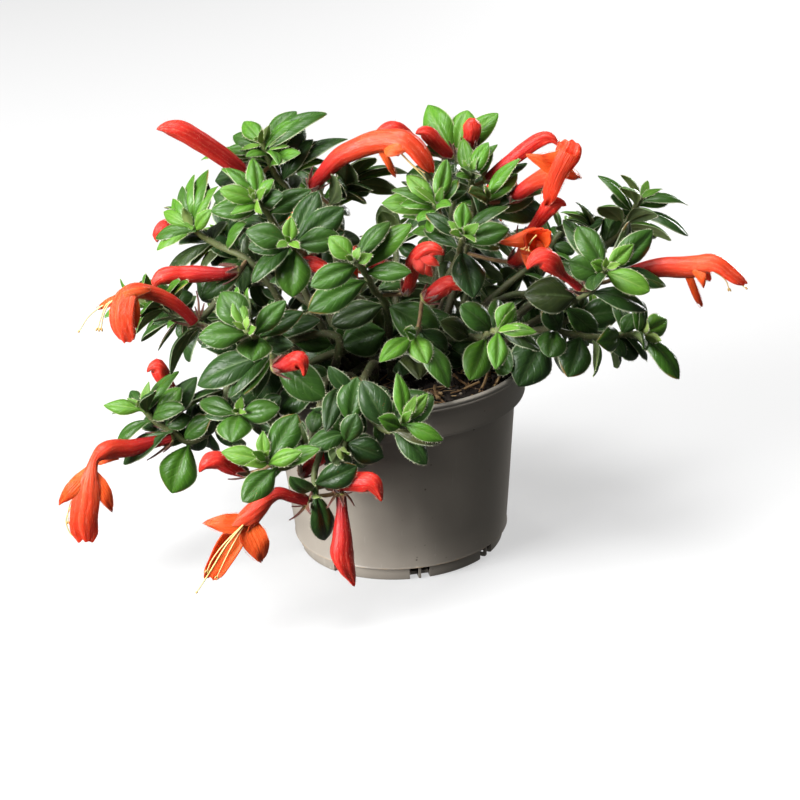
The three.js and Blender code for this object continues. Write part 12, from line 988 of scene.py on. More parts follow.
        "calyx": [([-41.4,-60.9,60],[-33,-59.2,64.9]),([-41.4,-60.9,60],[-40.5,-59.9,67.7]),([-41.4,-60.9,60],[-40.9,-64.6,66.8]),([-41.4,-60.9,60],[-39,-67.9,64.6]),([-41.4,-60.9,60],[-34.2,-65.7,63.4])],
        "foot": [-41.1,-72.6,72.6]},
    "bud_16": {
        "axis": [[-29.5,-76,61.8],[-24.4,-79,63.8],[-19.3,-82,65.4],[-14.7,-84,66],[-10.9,-86,66.3],[-8.7,-87,63],[-7.6,-87,58.8]],
        "half": [2.4,3.3,3.9,4.3,4.3,2.5,0.7], "deep": [2.4,3.3,3.9,4.2,3.9,2.3,0.7],
        "back": [[-0.08,0.46,0.88],[-0.03,0.47,0.88],[0.06,0.5,0.86],[0.17,0.54,0.83],[0.56,0.35,0.75],[0.9,0.21,0.37],[0.95,0.23,0.23]],
        "lobes": [],
        "threads": [],
        "calyx": [([-30.5,-75.4,61.4],[-22.7,-76.4,60.7]),([-30.5,-75.4,61.4],[-23.9,-73.6,65.6]),([-30.5,-75.4,61.4],[-25.3,-78.7,67.8]),([-30.5,-75.4,61.4],[-25.2,-83.5,65.4]),([-30.5,-75.4,61.4],[-24.1,-81.4,61.1])],
        "foot": [-35.2,-81,63]},
    "bud_17": {
        "axis": [[-24.2,-80,59.2],[-24.1,-83,53.2],[-24.4,-86,47.8],[-24.7,-88,41.8],[-25.1,-89,36.3],[-23.7,-90,30.7],[-21.9,-90,25.4],[-20.9,-90,21.6]],
        "half": [2.2,2.4,3.4,4.4,5.2,4.2,2.2,0.7], "deep": [2.2,2.4,3.4,4.2,4.6,3.6,2,0.7],
        "back": [[0.95,-0.28,0.15],[0.95,-0.29,0.14],[0.94,-0.33,0.09],[0.94,-0.34,0.04],[0.94,-0.31,0.14],[0.91,-0.3,0.29],[0.91,-0.31,0.28],[0.92,-0.31,0.25]],
        "lobes": [],
        "threads": [],
        "calyx": [([-24.2,-79.5,60.3],[-19,-84,55.3]),([-24.2,-79.5,60.3],[-27.1,-86,65.4]),([-24.2,-79.5,60.3],[-19.6,-80,59.9]),([-24.2,-79.5,60.3],[-23.4,-87,56.8]),([-24.2,-79.5,60.3],[-29.9,-86,55.8])],
        "foot": [-34.6,-82,59.8]},
    "bud_18": {
        "axis": [[18.2,15,176.1],[13.2,14,182.1],[9.9,13,186.1],[5.7,12,188.9],[1.4,11,188.9],[-2.1,10,188]],
        "half": [2.2,2.6,3.4,4,2.9,0.8], "deep": [2.2,2.6,3.3,3.6,2.7,0.8],
        "back": [[0.68,0.36,0.63],[0.67,0.4,0.63],[0.53,0.44,0.72],[0.2,0.41,0.89],[-0.19,0.36,0.92],[-0.32,0.34,0.89]],
        "lobes": [],
        "threads": [],
        "calyx": [([19,15.2,175.2],[12.6,8.1,179.4]),([19,15.2,175.2],[16.7,11.6,182.7]),([19,15.2,175.2],[16.6,16.2,182.4]),([19,15.2,175.2],[13.4,19.1,182.1]),([19,15.2,175.2],[12.3,14.4,178.8])],
        "foot": [31.9,16,176.9]},
    "bud_19": {
        "axis": [[29.7,6,176.8],[26.8,5,180.4],[23.4,4,184.4],[20.1,3,188.4],[17.2,2,190.1],[15.4,2,189.3]],
        "half": [2.2,2.8,3.2,3.4,2.2,0.8], "deep": [2.2,2.8,3.2,3.3,2,0.8],
        "back": [[0.64,0.41,0.64],[0.63,0.45,0.64],[0.59,0.53,0.62],[0.44,0.59,0.68],[0.09,0.45,0.89],[-0.38,0.38,0.84]],
        "lobes": [],
        "threads": [],
        "calyx": [([30.4,6.2,175.9],[24.9,-1.7,179.3]),([30.4,6.2,175.9],[30.5,2.4,183.6]),([30.4,6.2,175.9],[28.9,7.9,183.3]),([30.4,6.2,175.9],[22.2,10.1,180.6]),([30.4,6.2,175.9],[21.7,3.1,180.2])],
        "foot": [31.9,16,176.9]},
    "bud_20": {
        "axis": [[38.6,10,177.8],[38.2,9,182.2],[39.2,8,186.4],[39.3,7,189.8],[38.9,6,192.8]],
        "half": [1.6,3,3.6,3.9,1.8], "deep": [1.6,3,3.6,3.6,1.6],
        "back": [[-0.01,0.97,0.22],[0.04,0.97,0.22],[0.06,0.97,0.24],[-0,0.95,0.3],[-0.04,0.95,0.32]],
        "lobes": [],
        "threads": [],
        "calyx": [([38.7,10.3,176.7],[40.8,13.3,185.5]),([38.7,10.3,176.7],[34.6,9.9,184]),([38.7,10.3,176.7],[35.4,4.7,183.7]),([38.7,10.3,176.7],[40.4,3.4,184.3]),([38.7,10.3,176.7],[42.5,9.5,183.7])],
        "foot": [31.9,16,176.9]},
    "bud_21": {
        "axis": [[44.1,-2,168.1],[50.2,-3,173],[55.8,-5,177.7],[61.3,-7,182.4],[66.5,-8,185.9],[70.7,-9,187.3],[73.5,-10,186.2],[74.8,-10,184.3]],
        "half": [2,2.7,3,3.2,3.3,3,1.5,0.7], "deep": [2,2.7,3,3.2,3.1,2.7,1.4,0.7],
        "back": [[-0.55,0.36,0.76],[-0.53,0.38,0.76],[-0.49,0.44,0.76],[-0.44,0.49,0.75],[-0.31,0.51,0.8],[0.1,0.42,0.9],[0.61,0.32,0.73],[0.76,0.39,0.52]],
        "lobes": [],
        "threads": [],
        "calyx": [([43.2,-1.9,167.3],[45.8,-3.9,174.6]),([43.2,-1.9,167.3],[48.8,-6.5,170.2]),([43.2,-1.9,167.3],[52.3,-2.6,168.8]),([43.2,-1.9,167.3],[50.8,3.8,171.2]),([43.2,-1.9,167.3],[46.1,1.4,175.1])],
        "foot": [37.9,-4,166.3]},
    "bud_22": {
        "axis": [[58.1,-8,141.7],[62.3,-11,147.5],[65.3,-13,151.6],[68.2,-15,156.1],[70.7,-17,159.7],[73.2,-18,161.2],[75.2,-19,161.4],[76.5,-19,160.5]],
        "half": [1.8,2.1,2.6,3.3,3.9,3.3,1.8,0.7], "deep": [1.8,2.1,2.6,3.2,3.5,2.9,1.6,0.7],
        "back": [[-0.64,0.38,0.67],[-0.63,0.4,0.66],[-0.62,0.45,0.64],[-0.56,0.53,0.63],[-0.44,0.52,0.73],[-0.17,0.39,0.9],[0.28,0.25,0.93],[0.57,0.32,0.75]],
        "lobes": [],
        "threads": [],
        "calyx": [([57.5,-7.4,140.9],[64,-8.2,144.6]),([57.5,-7.4,140.9],[60.6,-7.5,147.8]),([57.5,-7.4,140.9],[56.9,-9.7,149.4]),([57.5,-7.4,140.9],[57.7,-14.1,145.3]),([57.5,-7.4,140.9],[64.2,-13.2,142.5])],
        "foot": [42.2,-4,152.6]},
    "bud_23": {
        "axis": [[81.9,-32,126.5],[77.6,-34,131.1],[73.7,-36,135.1],[70.6,-38,139.1],[67.6,-40,143],[64.2,-41,145.3],[60.8,-42,144.1],[58.5,-43,141.5]],
        "half": [1.7,1.6,1.9,3.4,4.8,4.4,2.8,0.7], "deep": [1.7,1.6,1.9,3.4,4.5,4,2.4,0.7],
        "back": [[0.62,0.29,0.73],[0.61,0.31,0.73],[0.59,0.39,0.71],[0.53,0.52,0.67],[0.41,0.58,0.7],[0.03,0.39,0.92],[-0.6,0.2,0.78],[-0.78,0.15,0.61]],
        "lobes": [],
        "threads": [],
        "calyx": [([82.8,-31.6,125.7],[81.2,-30.7,133.1]),([82.8,-31.6,125.7],[75.9,-29.4,129.6]),([82.8,-31.6,125.7],[75.1,-34.6,128.3]),([82.8,-31.6,125.7],[77.3,-39.5,129.3]),([82.8,-31.6,125.7],[80.3,-34.1,134.3])],
        "foot": [87.5,-28,125.7]},
    "bud_24": {
        "axis": [[-89.1,8,151.2],[-93.3,7,151.7],[-97.2,6,150.9],[-100,5,148.6],[-100.2,5,145.9]],
        "half": [2.4,3.6,4,2.3,0.7], "deep": [2.4,3.6,3.7,2.1,0.7],
        "back": [[0.03,0.38,0.93],[-0.12,0.38,0.92],[-0.48,0.34,0.81],[-0.86,0.21,0.47],[-0.98,0.17,0.09]],
        "lobes": [],
        "threads": [],
        "calyx": [([-87.9,8.3,151],[-96.1,10.9,152.1]),([-87.9,8.3,151],[-96.5,8.3,147.2]),([-87.9,8.3,151],[-94.6,3.5,147.8]),([-87.9,8.3,151],[-92.9,2.4,156.9]),([-87.9,8.3,151],[-95.1,10,158.2])],
        "foot": [-83.5,-1.7,152.9]},
    "bud_25": {
        "axis": [[-36.3,-14,139.3],[-31.6,-17,139.1],[-27.2,-20,138.6],[-23.4,-22,138.2]],
        "half": [2.6,3.4,2.5,0.8], "deep": [2.6,3.4,2.4,0.8],
        "back": [[0.17,0.22,0.96],[0.23,0.24,0.94],[0.29,0.3,0.91],[0.28,0.34,0.9]],
        "lobes": [],
        "threads": [],
        "calyx": [([-37.4,-13.4,139.3],[-32.6,-20.4,137.1]),([-37.4,-13.4,139.3],[-30.4,-16.5,134.5]),([-37.4,-13.4,139.3],[-27.9,-14.4,139.3]),([-37.4,-13.4,139.3],[-29.2,-16,143.7]),([-37.4,-13.4,139.3],[-33.5,-20.4,141.8])],
        "foot": [-35,-12.7,140.5]},
    "flower_26": {
        "axis": [[-38.8,74.2,125.7],[-38.8,81.5,127.1],[-38.8,88.8,128.6],[-38.8,97.1,129.9],[-38.8,105.2,129.7],[-38.8,111,128.3],[-38.8,115.5,124.6],[-38.8,119.6,117.9],[-38.8,121.7,111.5],[-38.8,122.1,107.4]],
        "half": [2.2,3,3.8,4.3,4.6,4.6,4.5,4.2,3.2,1.2], "deep": [2.2,3,3.8,4.3,4.4,3.4,2.6,2.2,1.6,0.8],
        "back": [[-0,-0.19,0.98],[-0,-0.19,0.98],[-0,-0.17,0.98],[-0,-0.07,1],[0,0.11,0.99],[0,0.44,0.9],[0,0.77,0.64],[0,0.91,0.42],[0,0.97,0.23],[0,0.99,0.1]],
        "lobes": [([-35.3,105.5,125.1],[-29.8,108,114.6],[0.26,-0.96,-0.09],6.5,"L"),([-42.3,105.5,125.1],[-47.8,108,114.6],[-0.2,-0.97,-0.13],6.5,"L"),([-38.8,101.4,124.7],[-38.8,103,108.2],[0.04,-0.99,-0.1],3.6,"P")],
        "threads": [[[-38.8,110.4,124.3],[-39.3,115.3,116.5],[-39.6,119,106.9],[-39.8,119.3,102.8]],[[-37.8,110.4,124.3],[-37.8,115.5,117.5],[-37.8,118.4,110]],[[-40.3,110.4,124.3],[-40.6,114.3,116.7],[-40.8,116.4,110.3]]],
        "calyx": [([-38.8,73.1,125.5],[-37.1,79.7,130.1]),([-38.8,73.1,125.5],[-33.6,78.9,126.4]),([-38.8,73.1,125.5],[-39.3,81.2,123.3]),([-38.8,73.1,125.5],[-41.9,81,124.2]),([-38.8,73.1,125.5],[-41.1,78.5,130.2])],
        "foot": [-39.3,72.1,127.3]},
    "flower_27": {
        "axis": [[45.4,76,122.9],[47.7,82.3,126.1],[50,88.6,129.3],[52.6,95.9,132.6],[55.3,103.3,134.3],[57.4,108.9,134.4],[59.2,113.9,132],[61.1,119.1,126.5],[62.3,122.5,120.8],[62.8,123.8,116.9]],
        "half": [2.2,3,3.8,4.3,4.6,4.6,4.5,4.2,3.2,1.2], "deep": [2.2,3,3.8,4.3,4.4,3.4,2.6,2.2,1.6,0.8],
        "back": [[-0.15,-0.4,0.9],[-0.15,-0.4,0.9],[-0.14,-0.38,0.91],[-0.11,-0.29,0.95],[-0.05,-0.13,0.99],[0.07,0.19,0.98],[0.2,0.56,0.81],[0.26,0.73,0.64],[0.3,0.83,0.46],[0.32,0.88,0.34]],
        "lobes": [([59.1,103.4,130],[66,106.2,120.4],[0.25,-0.96,-0.1],6.5,"L"),([52.5,105.8,130],[49,112.4,120.4],[-0.38,-0.82,-0.42],6.5,"L"),([54.5,101,128.6],[56.4,106.2,113],[0.02,-0.95,-0.32],3.6,"P")],
        "threads": [[[57.5,109.3,130.5],[59.3,115.7,124.1],[61,121.3,115.6],[61.3,122.7,111.8]],[[58.4,109,130.5],[60.7,115.1,125.1],[62.3,119.5,118.5]],[[56.1,109.8,130.5],[57.7,115.2,124],[58.8,118.7,118.3]]],
        "calyx": [([45,75,122.4],[47.7,82.8,122.1]),([45,75,122.4],[41.9,82.6,124]),([45,75,122.4],[43,80.5,130.3]),([45,75,122.4],[48.3,78.9,128.6]),([45,75,122.4],[53.5,80.2,124.7])],
        "foot": [45.6,75.5,124.9]},
    "flower_28": {
        "axis": [[1.6,67.4,104],[-3.1,73,105.5],[-7.8,78.6,106.9],[-13.1,84.9,108.2],[-18.3,91.1,108],[-22.1,95.6,106.6],[-24.9,99,102.9],[-27.6,102.1,96.2],[-28.9,103.7,89.9],[-29.1,104,85.8]],
        "half": [2.2,3,3.8,4.3,4.6,4.6,4.5,4.2,3.2,1.2], "deep": [2.2,3,3.8,4.3,4.4,3.4,2.6,2.2,1.6,0.8],
        "back": [[0.12,-0.15,0.98],[0.12,-0.15,0.98],[0.11,-0.13,0.98],[0.04,-0.05,1],[-0.07,0.09,0.99],[-0.28,0.34,0.9],[-0.5,0.59,0.64],[-0.58,0.69,0.42],[-0.63,0.75,0.23],[-0.64,0.76,0.1]],
        "lobes": [([-15.8,93.6,103.4],[-13.2,99,92.9],[0.24,-0.89,-0.4],6.5,"L"),([-21.2,89.1,103.4],[-27,87.4,92.9],[-0.06,-0.98,0.18],6.5,"L"),([-15.8,88.2,103],[-16.9,89.4,86.6],[-0.01,-1,-0.07],3.6,"P")],
        "threads": [[[-21.7,95.1,102.7],[-25.2,98.5,94.9],[-27.8,101.1,85.2],[-28.2,101.3,81.1]],[[-20.9,95.8,102.7],[-24.1,99.6,95.8],[-26,101.8,88.3]],[[-22.8,94.2,102.7],[-25.6,97,95],[-27.1,98.4,88.6]]],
        "calyx": [([2.4,66.5,103.8],[-2.4,72.7,110.4]),([2.4,66.5,103.8],[1.9,75.8,105.9]),([2.4,66.5,103.8],[-1.6,74.5,101.5]),([2.4,66.5,103.8],[-7.2,69.8,101.8]),([2.4,66.5,103.8],[-5.1,68.9,107.5])],
        "foot": [3.7,66.8,104.9]},
    "bud_29": {
        "axis": [[-75.7,56.1,85.9],[-77,63.2,86.9],[-78.2,70.3,87.8],[-79.5,77.4,88.3],[-80.5,83.2,87.4],[-81.1,86.7,84.3],[-81.5,89.1,79.9]],
        "half": [2.2,3,3.8,4.2,4.2,2.6,0.8], "deep": [2.2,3,3.8,4.1,3.8,2.4,0.8],
        "back": [[0.02,-0.13,0.99],[0.02,-0.13,0.99],[0.02,-0.09,0.99],[-0.01,0.03,1],[-0.07,0.38,0.92],[-0.14,0.77,0.62],[-0.15,0.87,0.47]],
        "lobes": [],
        "threads": [],
        "calyx": [([-75.5,54.9,85.8],[-71.9,61,89]),([-75.5,54.9,85.8],[-73.2,64.2,83]),([-75.5,54.9,85.8],[-78.9,63.3,83.4]),([-75.5,54.9,85.8],[-81.5,62.7,88]),([-75.5,54.9,85.8],[-76.5,59.5,92.3])],
        "foot": [-76.3,54.2,87.7]},
}

rad = math.radians
MM = 0.001


def unit(v):
    v = np.asarray(v, float)
    return v / np.maximum(1e-9, np.linalg.norm(v, axis=-1, keepdims=True))


# ---------------------------------------------------------------- mesh store
class Store:
    """Vertices, faces, material numbers and point attributes of one piece, in mm."""

    NAMES = ("u", "k", "age", "rnd", "side")

    def __init__(self):
        self.v, self.f, self.m, self.a, self.n = [], [], [], [], 0

    def add(self, verts, faces, mat, **attr):
        verts = np.asarray(verts, float).reshape(-1, 3)
        faces = np.asarray(faces, int)
        self.v.append(verts)
        self.f.append((faces + self.n, mat))
        cols = [np.broadcast_to(np.asarray(attr.get(n, 0.0), float), (len(verts),)) for n in self.NAMES]
        self.a.append(np.stack(cols, 1))
        self.n += len(verts)

    def build(self, name, materials):
        V = np.vstack(self.v) * MM
        A = np.vstack(self.a)
        loops, starts, totals, mats = [], [], [], []
        at = 0
        for faces, mat in self.f:
            w = faces.shape[1]
            loops.append(faces.ravel())
            starts.append(at + np.arange(len(faces)) * w)
            totals.append(np.full(len(faces), w))
            mats.append(np.full(len(faces), mat))
            at += faces.size
        loops, starts, totals, mats = (np.concatenate(x).astype(np.int32) for x in (loops, starts, totals, mats))
        me = bpy.data.meshes.new(name)
        me.vertices.add(len(V))
        me.vertices.foreach_set("co", V.astype(np.float32).ravel())
        me.loops.add(len(loops))
        me.loops.foreach_set("vertex_index", loops)
        me.polygons.add(len(starts))
        me.polygons.foreach_set("loop_start", starts)
        me.polygons.foreach_set("material_index", mats)
        me.polygons.foreach_set("use_smooth", np.ones(len(starts), bool))
        me.update(calc_edges=True)
        me.validate()
        for i, n in enumerate(self.NAMES):
            at_ = me.attributes.new(n, "FLOAT", "POINT")
            at_.data.foreach_set("value", A[:, i].astype(np.float32))
        for m in materials:
            me.materials.append(m)
        ob = bpy.data.objects.new(name, me)
        bpy.context.scene.collection.objects.link(ob)
        return ob


def grid_faces(rows, cols, wrap=False, flip=False):
    i, j = np.meshgrid(np.arange(rows - 1), np.arange(cols if wrap else cols - 1), indexing="ij")
    a = i * cols + j
    b = i * cols + (j + 1) % cols
    q = np.stack([a, b, b + cols, a + cols], -1).reshape(-1, 4)
    return q[:, ::-1] if flip else q


def smooth_path(P, step, extra=None):
    """Points about step apart on a smooth curve through P, with the columns of extra carried along."""
    P = np.asarray(P, float)
    n = len(P)
    X = P if extra is None else np.hstack([P, extra])
    s = np.concatenate([[0], np.cumsum(np.linalg.norm(np.diff(P, axis=0), axis=1))])
    keep = np.concatenate([[True], np.diff(s) > 1e-4])
    X, s = X[keep], s[keep]
    n = len(X)
    m = np.zeros_like(X)
    m[1:-1] = (X[2:] - X[:-2]) / (s[2:] - s[:-2])[:, None]
    m[0], m[-1] = (X[1] - X[0]) / (s[1] - s[0]), (X[-1] - X[-2]) / (s[-1] - s[-2])
    q = np.linspace(0, s[-1], max(3, int(round(s[-1] / step)) + 1))
    i = np.clip(np.searchsorted(s, q, side="right") - 1, 0, n - 2)
    h = (s[i + 1] - s[i])[:, None]
    t = ((q - s[i]) / h[:, 0])[:, None]
    return (2 * t**3 - 3 * t**2 + 1) * X[i] + (t**3 - 2 * t**2 + t) * h * m[i] + (-2 * t**3 + 3 * t**2) * X[i + 1] + (t**3 - t**2) * h * m[i + 1]


def frames(P, first=(0.31, 0.22, 0.92)):
    T = unit(np.gradient(P, axis=0))
    U = np.zeros_like(T)
    u = np.array(first, float)
    for i in range(len(P)):
        u = unit(u - np.dot(u, T[i]) * T[i])
        U[i] = u
    return T, U, np.cross(T, U)


def tube(store, P, r, sides, mat, cap=True, **attr):
    P = np.asarray(P, float)
    r = np.broadcast_to(np.asarray(r, float), (len(P),))
    T, U, S = frames(P)
    a = 2 * np.pi * np.arange(sides) / sides
    V = P[:, None] + r[:, None, None] * (np.cos(a)[None, :, None] * U[:, None] + np.sin(a)[None, :, None] * S[:, None])
    n = len(P)
    full = {k: np.repeat(np.broadcast_to(np.asarray(x, float), (n,)), sides) for k, x in attr.items()}
    full["k"] = np.tile(a / np.pi - 1, n)
    store.add(V.reshape(-1, 3), grid_faces(n, sides, wrap=True), mat, **full)
    if cap:
        for e, d in ((0, -1), (n - 1, 1)):
            ring = V[e]
            tip = P[e] + T[e] * d * r[e] * 0.6
            F = np.array([[j, (j + 1) % sides, sides] for j in range(sides)])
            store.add(np.vstack([ring, tip]), F if d > 0 else F[:, ::-1], mat, **{k: np.broadcast_to(np.asarray(x, float), (n,))[e] for k, x in attr.items()})


def hairs(store, P, D, length, width, mat, rng, **attr):
    """One slim triangle a hair: root points P, directions D."""
    n = len(P)
    if not n:
        return
    side = unit(np.cross(D, rng.normal(size=(n, 3))))
    w = (width * rng.uniform(0.7, 1.3, n))[:, None]
    L = (length * rng.uniform(0.55, 1.25, n))[:, None]
    bend = unit(rng.normal(size=(n, 3))) * 0.22
    V = np.stack([P - side * w, P + side * w, P + (D + bend) * L], 1).reshape(-1, 3)
    attr = {k: np.repeat(np.broadcast_to(x, (n,)), 3) for k, x in attr.items()}
    store.add(V, np.arange(3 * n).reshape(-1, 3), mat, **attr)


# ---------------------------------------------------------------- leaves
LEAF, STEM, HAIR = 0, 1, 2


def leaf(store, b, t, n, w, cls, tone_and_painted_light, arch, src, rng):
    b, t, n = (np.array(x, float) for x in (b, t, n))
    v = t - b
    L = np.linalg.norm(v)
    d = v / L
    s = unit(np.cross(n, d))
    n = np.cross(d, s)
    tiny = w < 5.5
    NU, NK = (10, 5) if tiny else (13, 7) if src != 1 else (18, 11)
    u = 0.5 - 0.5 * np.cos(np.pi * np.linspace(0, 1, NU))
    u = 0.85 * u + 0.15 * np.linspace(0, 1, NU)
    k = np.sin(np.linspace(-1, 1, NK) * np.pi / 2) * 0.35 + np.linspace(-1, 1, NK) * 0.65
    pet = 0.07 if not tiny else 0.02
    x = np.clip((u - pet) / (1 - pet), 0, 1)
    young = {0: 1.0, 1: 0.75, 2: 0.35, 3: 0.0, 4: 0.0, 5: 0.0}[cls]
    # oval in plan: widest a little past the middle, with a blunt tip on grown leaves
    top_ = 0.54 - 0.05 * young + rng.normal(0, 0.02)
    p = 1.85 - 0.35 * young + rng.normal(0, 0.08) - (0.25 if w < 0.44 * L else 0)
    tip_ = min(0.95, max(0.6, 0.74 + 0.10 * young + rng.normal(0, 0.05)))
    f = np.where(x < top_, np.sin(np.pi / 2 * np.clip(x / top_, 0, 1)) ** (0.86 + 0.1 * young), (1 - (np.clip(x - top_, 0, 1) / (1 - top_)) ** p).clip(0, 1) ** tip_)
    hw = np.maximum(f * w / 2 * 1.03, (0.85 if not tiny else 0.4) * (1 - x) ** 0.5 * np.where(u < 0.4, 1, 0.0))
    hw[-1] = 0.02 * w
    K, X = np.meshgrid(k, x)
    HW = np.repeat(hw[:, None], NK, 1)
    # plan asymmetry and a slightly wavy margin
    ph, ph2 = rng.uniform(0, 6.28, 2)
    HW = HW * (1 + 0.035 * np.sin(ph + 7 * X) * np.abs(K) + 0.03 * np.sign(K) * np.sin(ph2))
    body = np.sin(np.pi * X**0.8).clip(0, 1) ** 0.8
    fold = (0.0 if cls >= 2 else 0.22 if cls == 1 else 0.3) + rng.normal(0, 0.03)
    lobes = (0.105 if cls >= 2 else 0.07) * w * (1 - (2 * np.abs(K) - 1) ** 2)
    groove = -0.055 * w * np.exp(-((K / 0.15) ** 2))
    curl = -(0.10 if cls >= 2 else 0.03) * w * np.abs(K) ** 2.4 * (1 + 0.5 * rng.normal(0, 0.3))
    h = (lobes + groove + curl + fold * w / 2 * np.abs(K)) * body
    h += 0.022 * w * np.sin(2 * np.pi * (1.3 * X + ph)) * K * np.abs(K) + 0.012 * w * np.sin(9 * X + ph2) * np.abs(K) ** 3
    tipd = rng.uniform(0.02, 0.09) if cls >= 2 else rng.uniform(-0.03, 0.04)
    uu = u[:, None]
    h = h + arch * L * 4 * uu * (1 - uu) - tipd * L * (uu**3 - uu)
    swing = rng.normal(0, 0.02) * L * (uu**2 - uu)
    M = b + d * (uu[..., None] * L) + n * h[..., None] + s * (K * HW + swing)[..., None]
    # surface normals for thickness
    du, dk = np.gradient(M, axis=0), np.gradient(M, axis=1)
    N = unit(np.cross(dk, du))
    if np.sum(N * n) < 0:
        N = -N
    th = (0.62 if not tiny else 0.42) * (1 - np.abs(K) ** 4) * (0.35 + 0.65 * body) / 2 + 0.03
    top = M + N * th[..., None]
    bot = M - N * (th + 0.20 * np.exp(-((K / 0.13) ** 2)) * (1 - X) * (0 if tiny else 1))[..., None]
    age = {0: 0.0, 1: 0.22, 2: 0.55, 3: 0.85, 4: 1.0, 5: 0.9}[cls]
    # the tone letters set the colour through age: d paints shade on leaves deep inside the plant with the near-black
    # old-leaf colour, b paints backlit brightness with a younger green, and g partly paints sheen with a paler green
    age = {"y": min(age, 0.3), "g": 0.62, "m": age, "d": 1.0, "b": 0.42, "c": 1.35}[tone_and_painted_light] if tone_and_painted_light in "ygdb" or cls >= 2 else age
    age = age + rng.normal(0, 0.05)
    rnd = rng.uniform()
    at = dict(u=np.repeat(x, NK), k=np.tile(k, NU), age=age, rnd=rnd)
    F = grid_faces(NU, NK)
    # the orientation of the grid: columns run along +s, rows along +d, so cross(s, d) = -n
    store.add(top.reshape(-1, 3), F[:, ::-1], LEAF, side=0.0, **at)
    # the underside shares the outline: rim quads close the small gap
    store.add(bot.reshape(-1, 3), F, LEAF, side=1.0, **at)
    rim = np.concatenate([np.arange(NU) * NK, (NU - 1) * NK + np.arange(1, NK), (np.arange(NU)[::-1][1:]) * NK + NK - 1, np.arange(NK - 2, 0, -1)])
    tr, br = top.reshape(-1, 3)[rim], bot.reshape(-1, 3)[rim]
    m = len(rim)
    j = np.arange(m)
    q4 = np.stack([j, (j + 1) % m, m + (j + 1) % m, m + j], 1)
    store.add(np.vstack([tr, br]), q4, LEAF, side=0.5, u=np.tile(np.repeat(x, NK)[rim], 2), k=np.tile(np.tile(k, NU)[rim], 2), age=age, rnd=rnd)
    # hairy margin
    e = M[:, [0, -1]]
    cnt = int(2 * L / (0.26 if src == 1 else 0.42))
    uu_ = rng.uniform(0.06, 1.0, cnt)
    sd = rng.integers(0, 2, cnt)
    pos = np.stack([np.interp(uu_, u, e[:, 0, c]) for c in range(3)], 1) * (1 - sd[:, None]) + np.stack([np.interp(uu_, u, e[:, 1, c]) for c in range(3)], 1) * sd[:, None]
    out = s[None] * (2 * sd - 1)[:, None] * (1 - 0.5 * uu_[:, None] ** 3) + d[None] * (0.35 + 0.6 * uu_[:, None] ** 3) + rng.normal(0, 0.25, (cnt, 3))
    hairs(store, pos, unit(out), 0.85 if cls < 2 else 0.75, 0.055, HAIR, rng, age=age, rnd=rnd, u=0.4)
    # short down on both faces, denser on young leaves and undersides
    cnt = int(w * L * (0.5 if cls < 2 else 0.16) * (1 if src == 1 else 0.5))
    ri, rj = rng.integers(1, NU - 1, cnt), rng.integers(0, NK, cnt)
    up = rng.uniform(size=cnt) < (0.55 if cls < 2 else 0.3)
    root = np.where(up[:, None], top[ri, rj], bot[ri, rj]) + (d[None] * rng.uniform(-0.5, 0.5, (cnt, 1)) * L / NU + s[None] * rng.uniform(-0.5, 0.5, (cnt, 1)) * w / NK) * 0.8
    dirn = np.where(up[:, None], N[ri, rj], -N[ri, rj]) + 0.6 * d[None] + rng.normal(0, 0.25, (cnt, 3))
    hairs(store, root, unit(dirn), 0.55, 0.03, HAIR, rng, age=age, rnd=rnd, u=0.2)


def nearest_on(P, q):
    d = np.linalg.norm(P - q, axis=1)
    return int(d.argmin()), float(d.min())


def shoot(name, rng):
    st = Store()
    mine = [x for x in STEMS if x[0] == name]
    lv = [x for x in LEAVES if x[0] == name]
    axes = []
    for _, p, r in mine:
        X = smooth_path(p, 1.5, np.array(r, float)[:, None])
        P, R = X[:, :3], X[:, 3].copy()
        # swollen nodes where the leaves sit, slimmer between
        for l in lv:
            i, e = nearest_on(P, np.array(l[1]))
            if e < 3:
                lo, hi = max(0, i - 3), min(len(R), i + 4)
                R[lo:hi] = np.maximum(R[lo:hi], (r[0] * 0 + np.interp(i, [0, len(R) - 1], [r[0], r[-1]])) * (1 + 0.22 * np.exp(-((np.arange(lo, hi) - i) / 1.6) ** 2)))
        P = P + rng.normal(0, 0.06, P.shape)
        tt = np.linspace(0, 1, len(P))
        tube(st, P, R, 9, STEM, u=tt, rnd=rng.uniform(), age=1 - tt)
        axes.append((P, R, tt))
        T, U, S = frames(P)
        cnt = int(len(P) * 1.5 * 5)
        i = rng.integers(0, len(P), cnt)
        a = rng.uniform(0, 2 * np.pi, cnt)
        D = np.cos(a)[:, None] * U[i] + np.sin(a)[:, None] * S[i]
        root = P[i] + T[i] * rng.uniform(-0.75, 0.75, (cnt, 1)) + D * R[i][:, None] * 0.95
        hairs(st, root, unit(D + rng.normal(0, 0.25, (cnt, 3))), 1.1, 0.04, HAIR, rng, age=0.6, rnd=0.5, u=0.7)
    for l in lv:
        leaf(st, *l[1:], rng)
    return st.build("leafy_" + name, [M_LEAF, M_STEM, M_HAIR])


# ---------------------------------------------------------------- flowers
COR, CAL, FHAIR, THREAD, ANTHER = 0, 1, 2, 3, 4


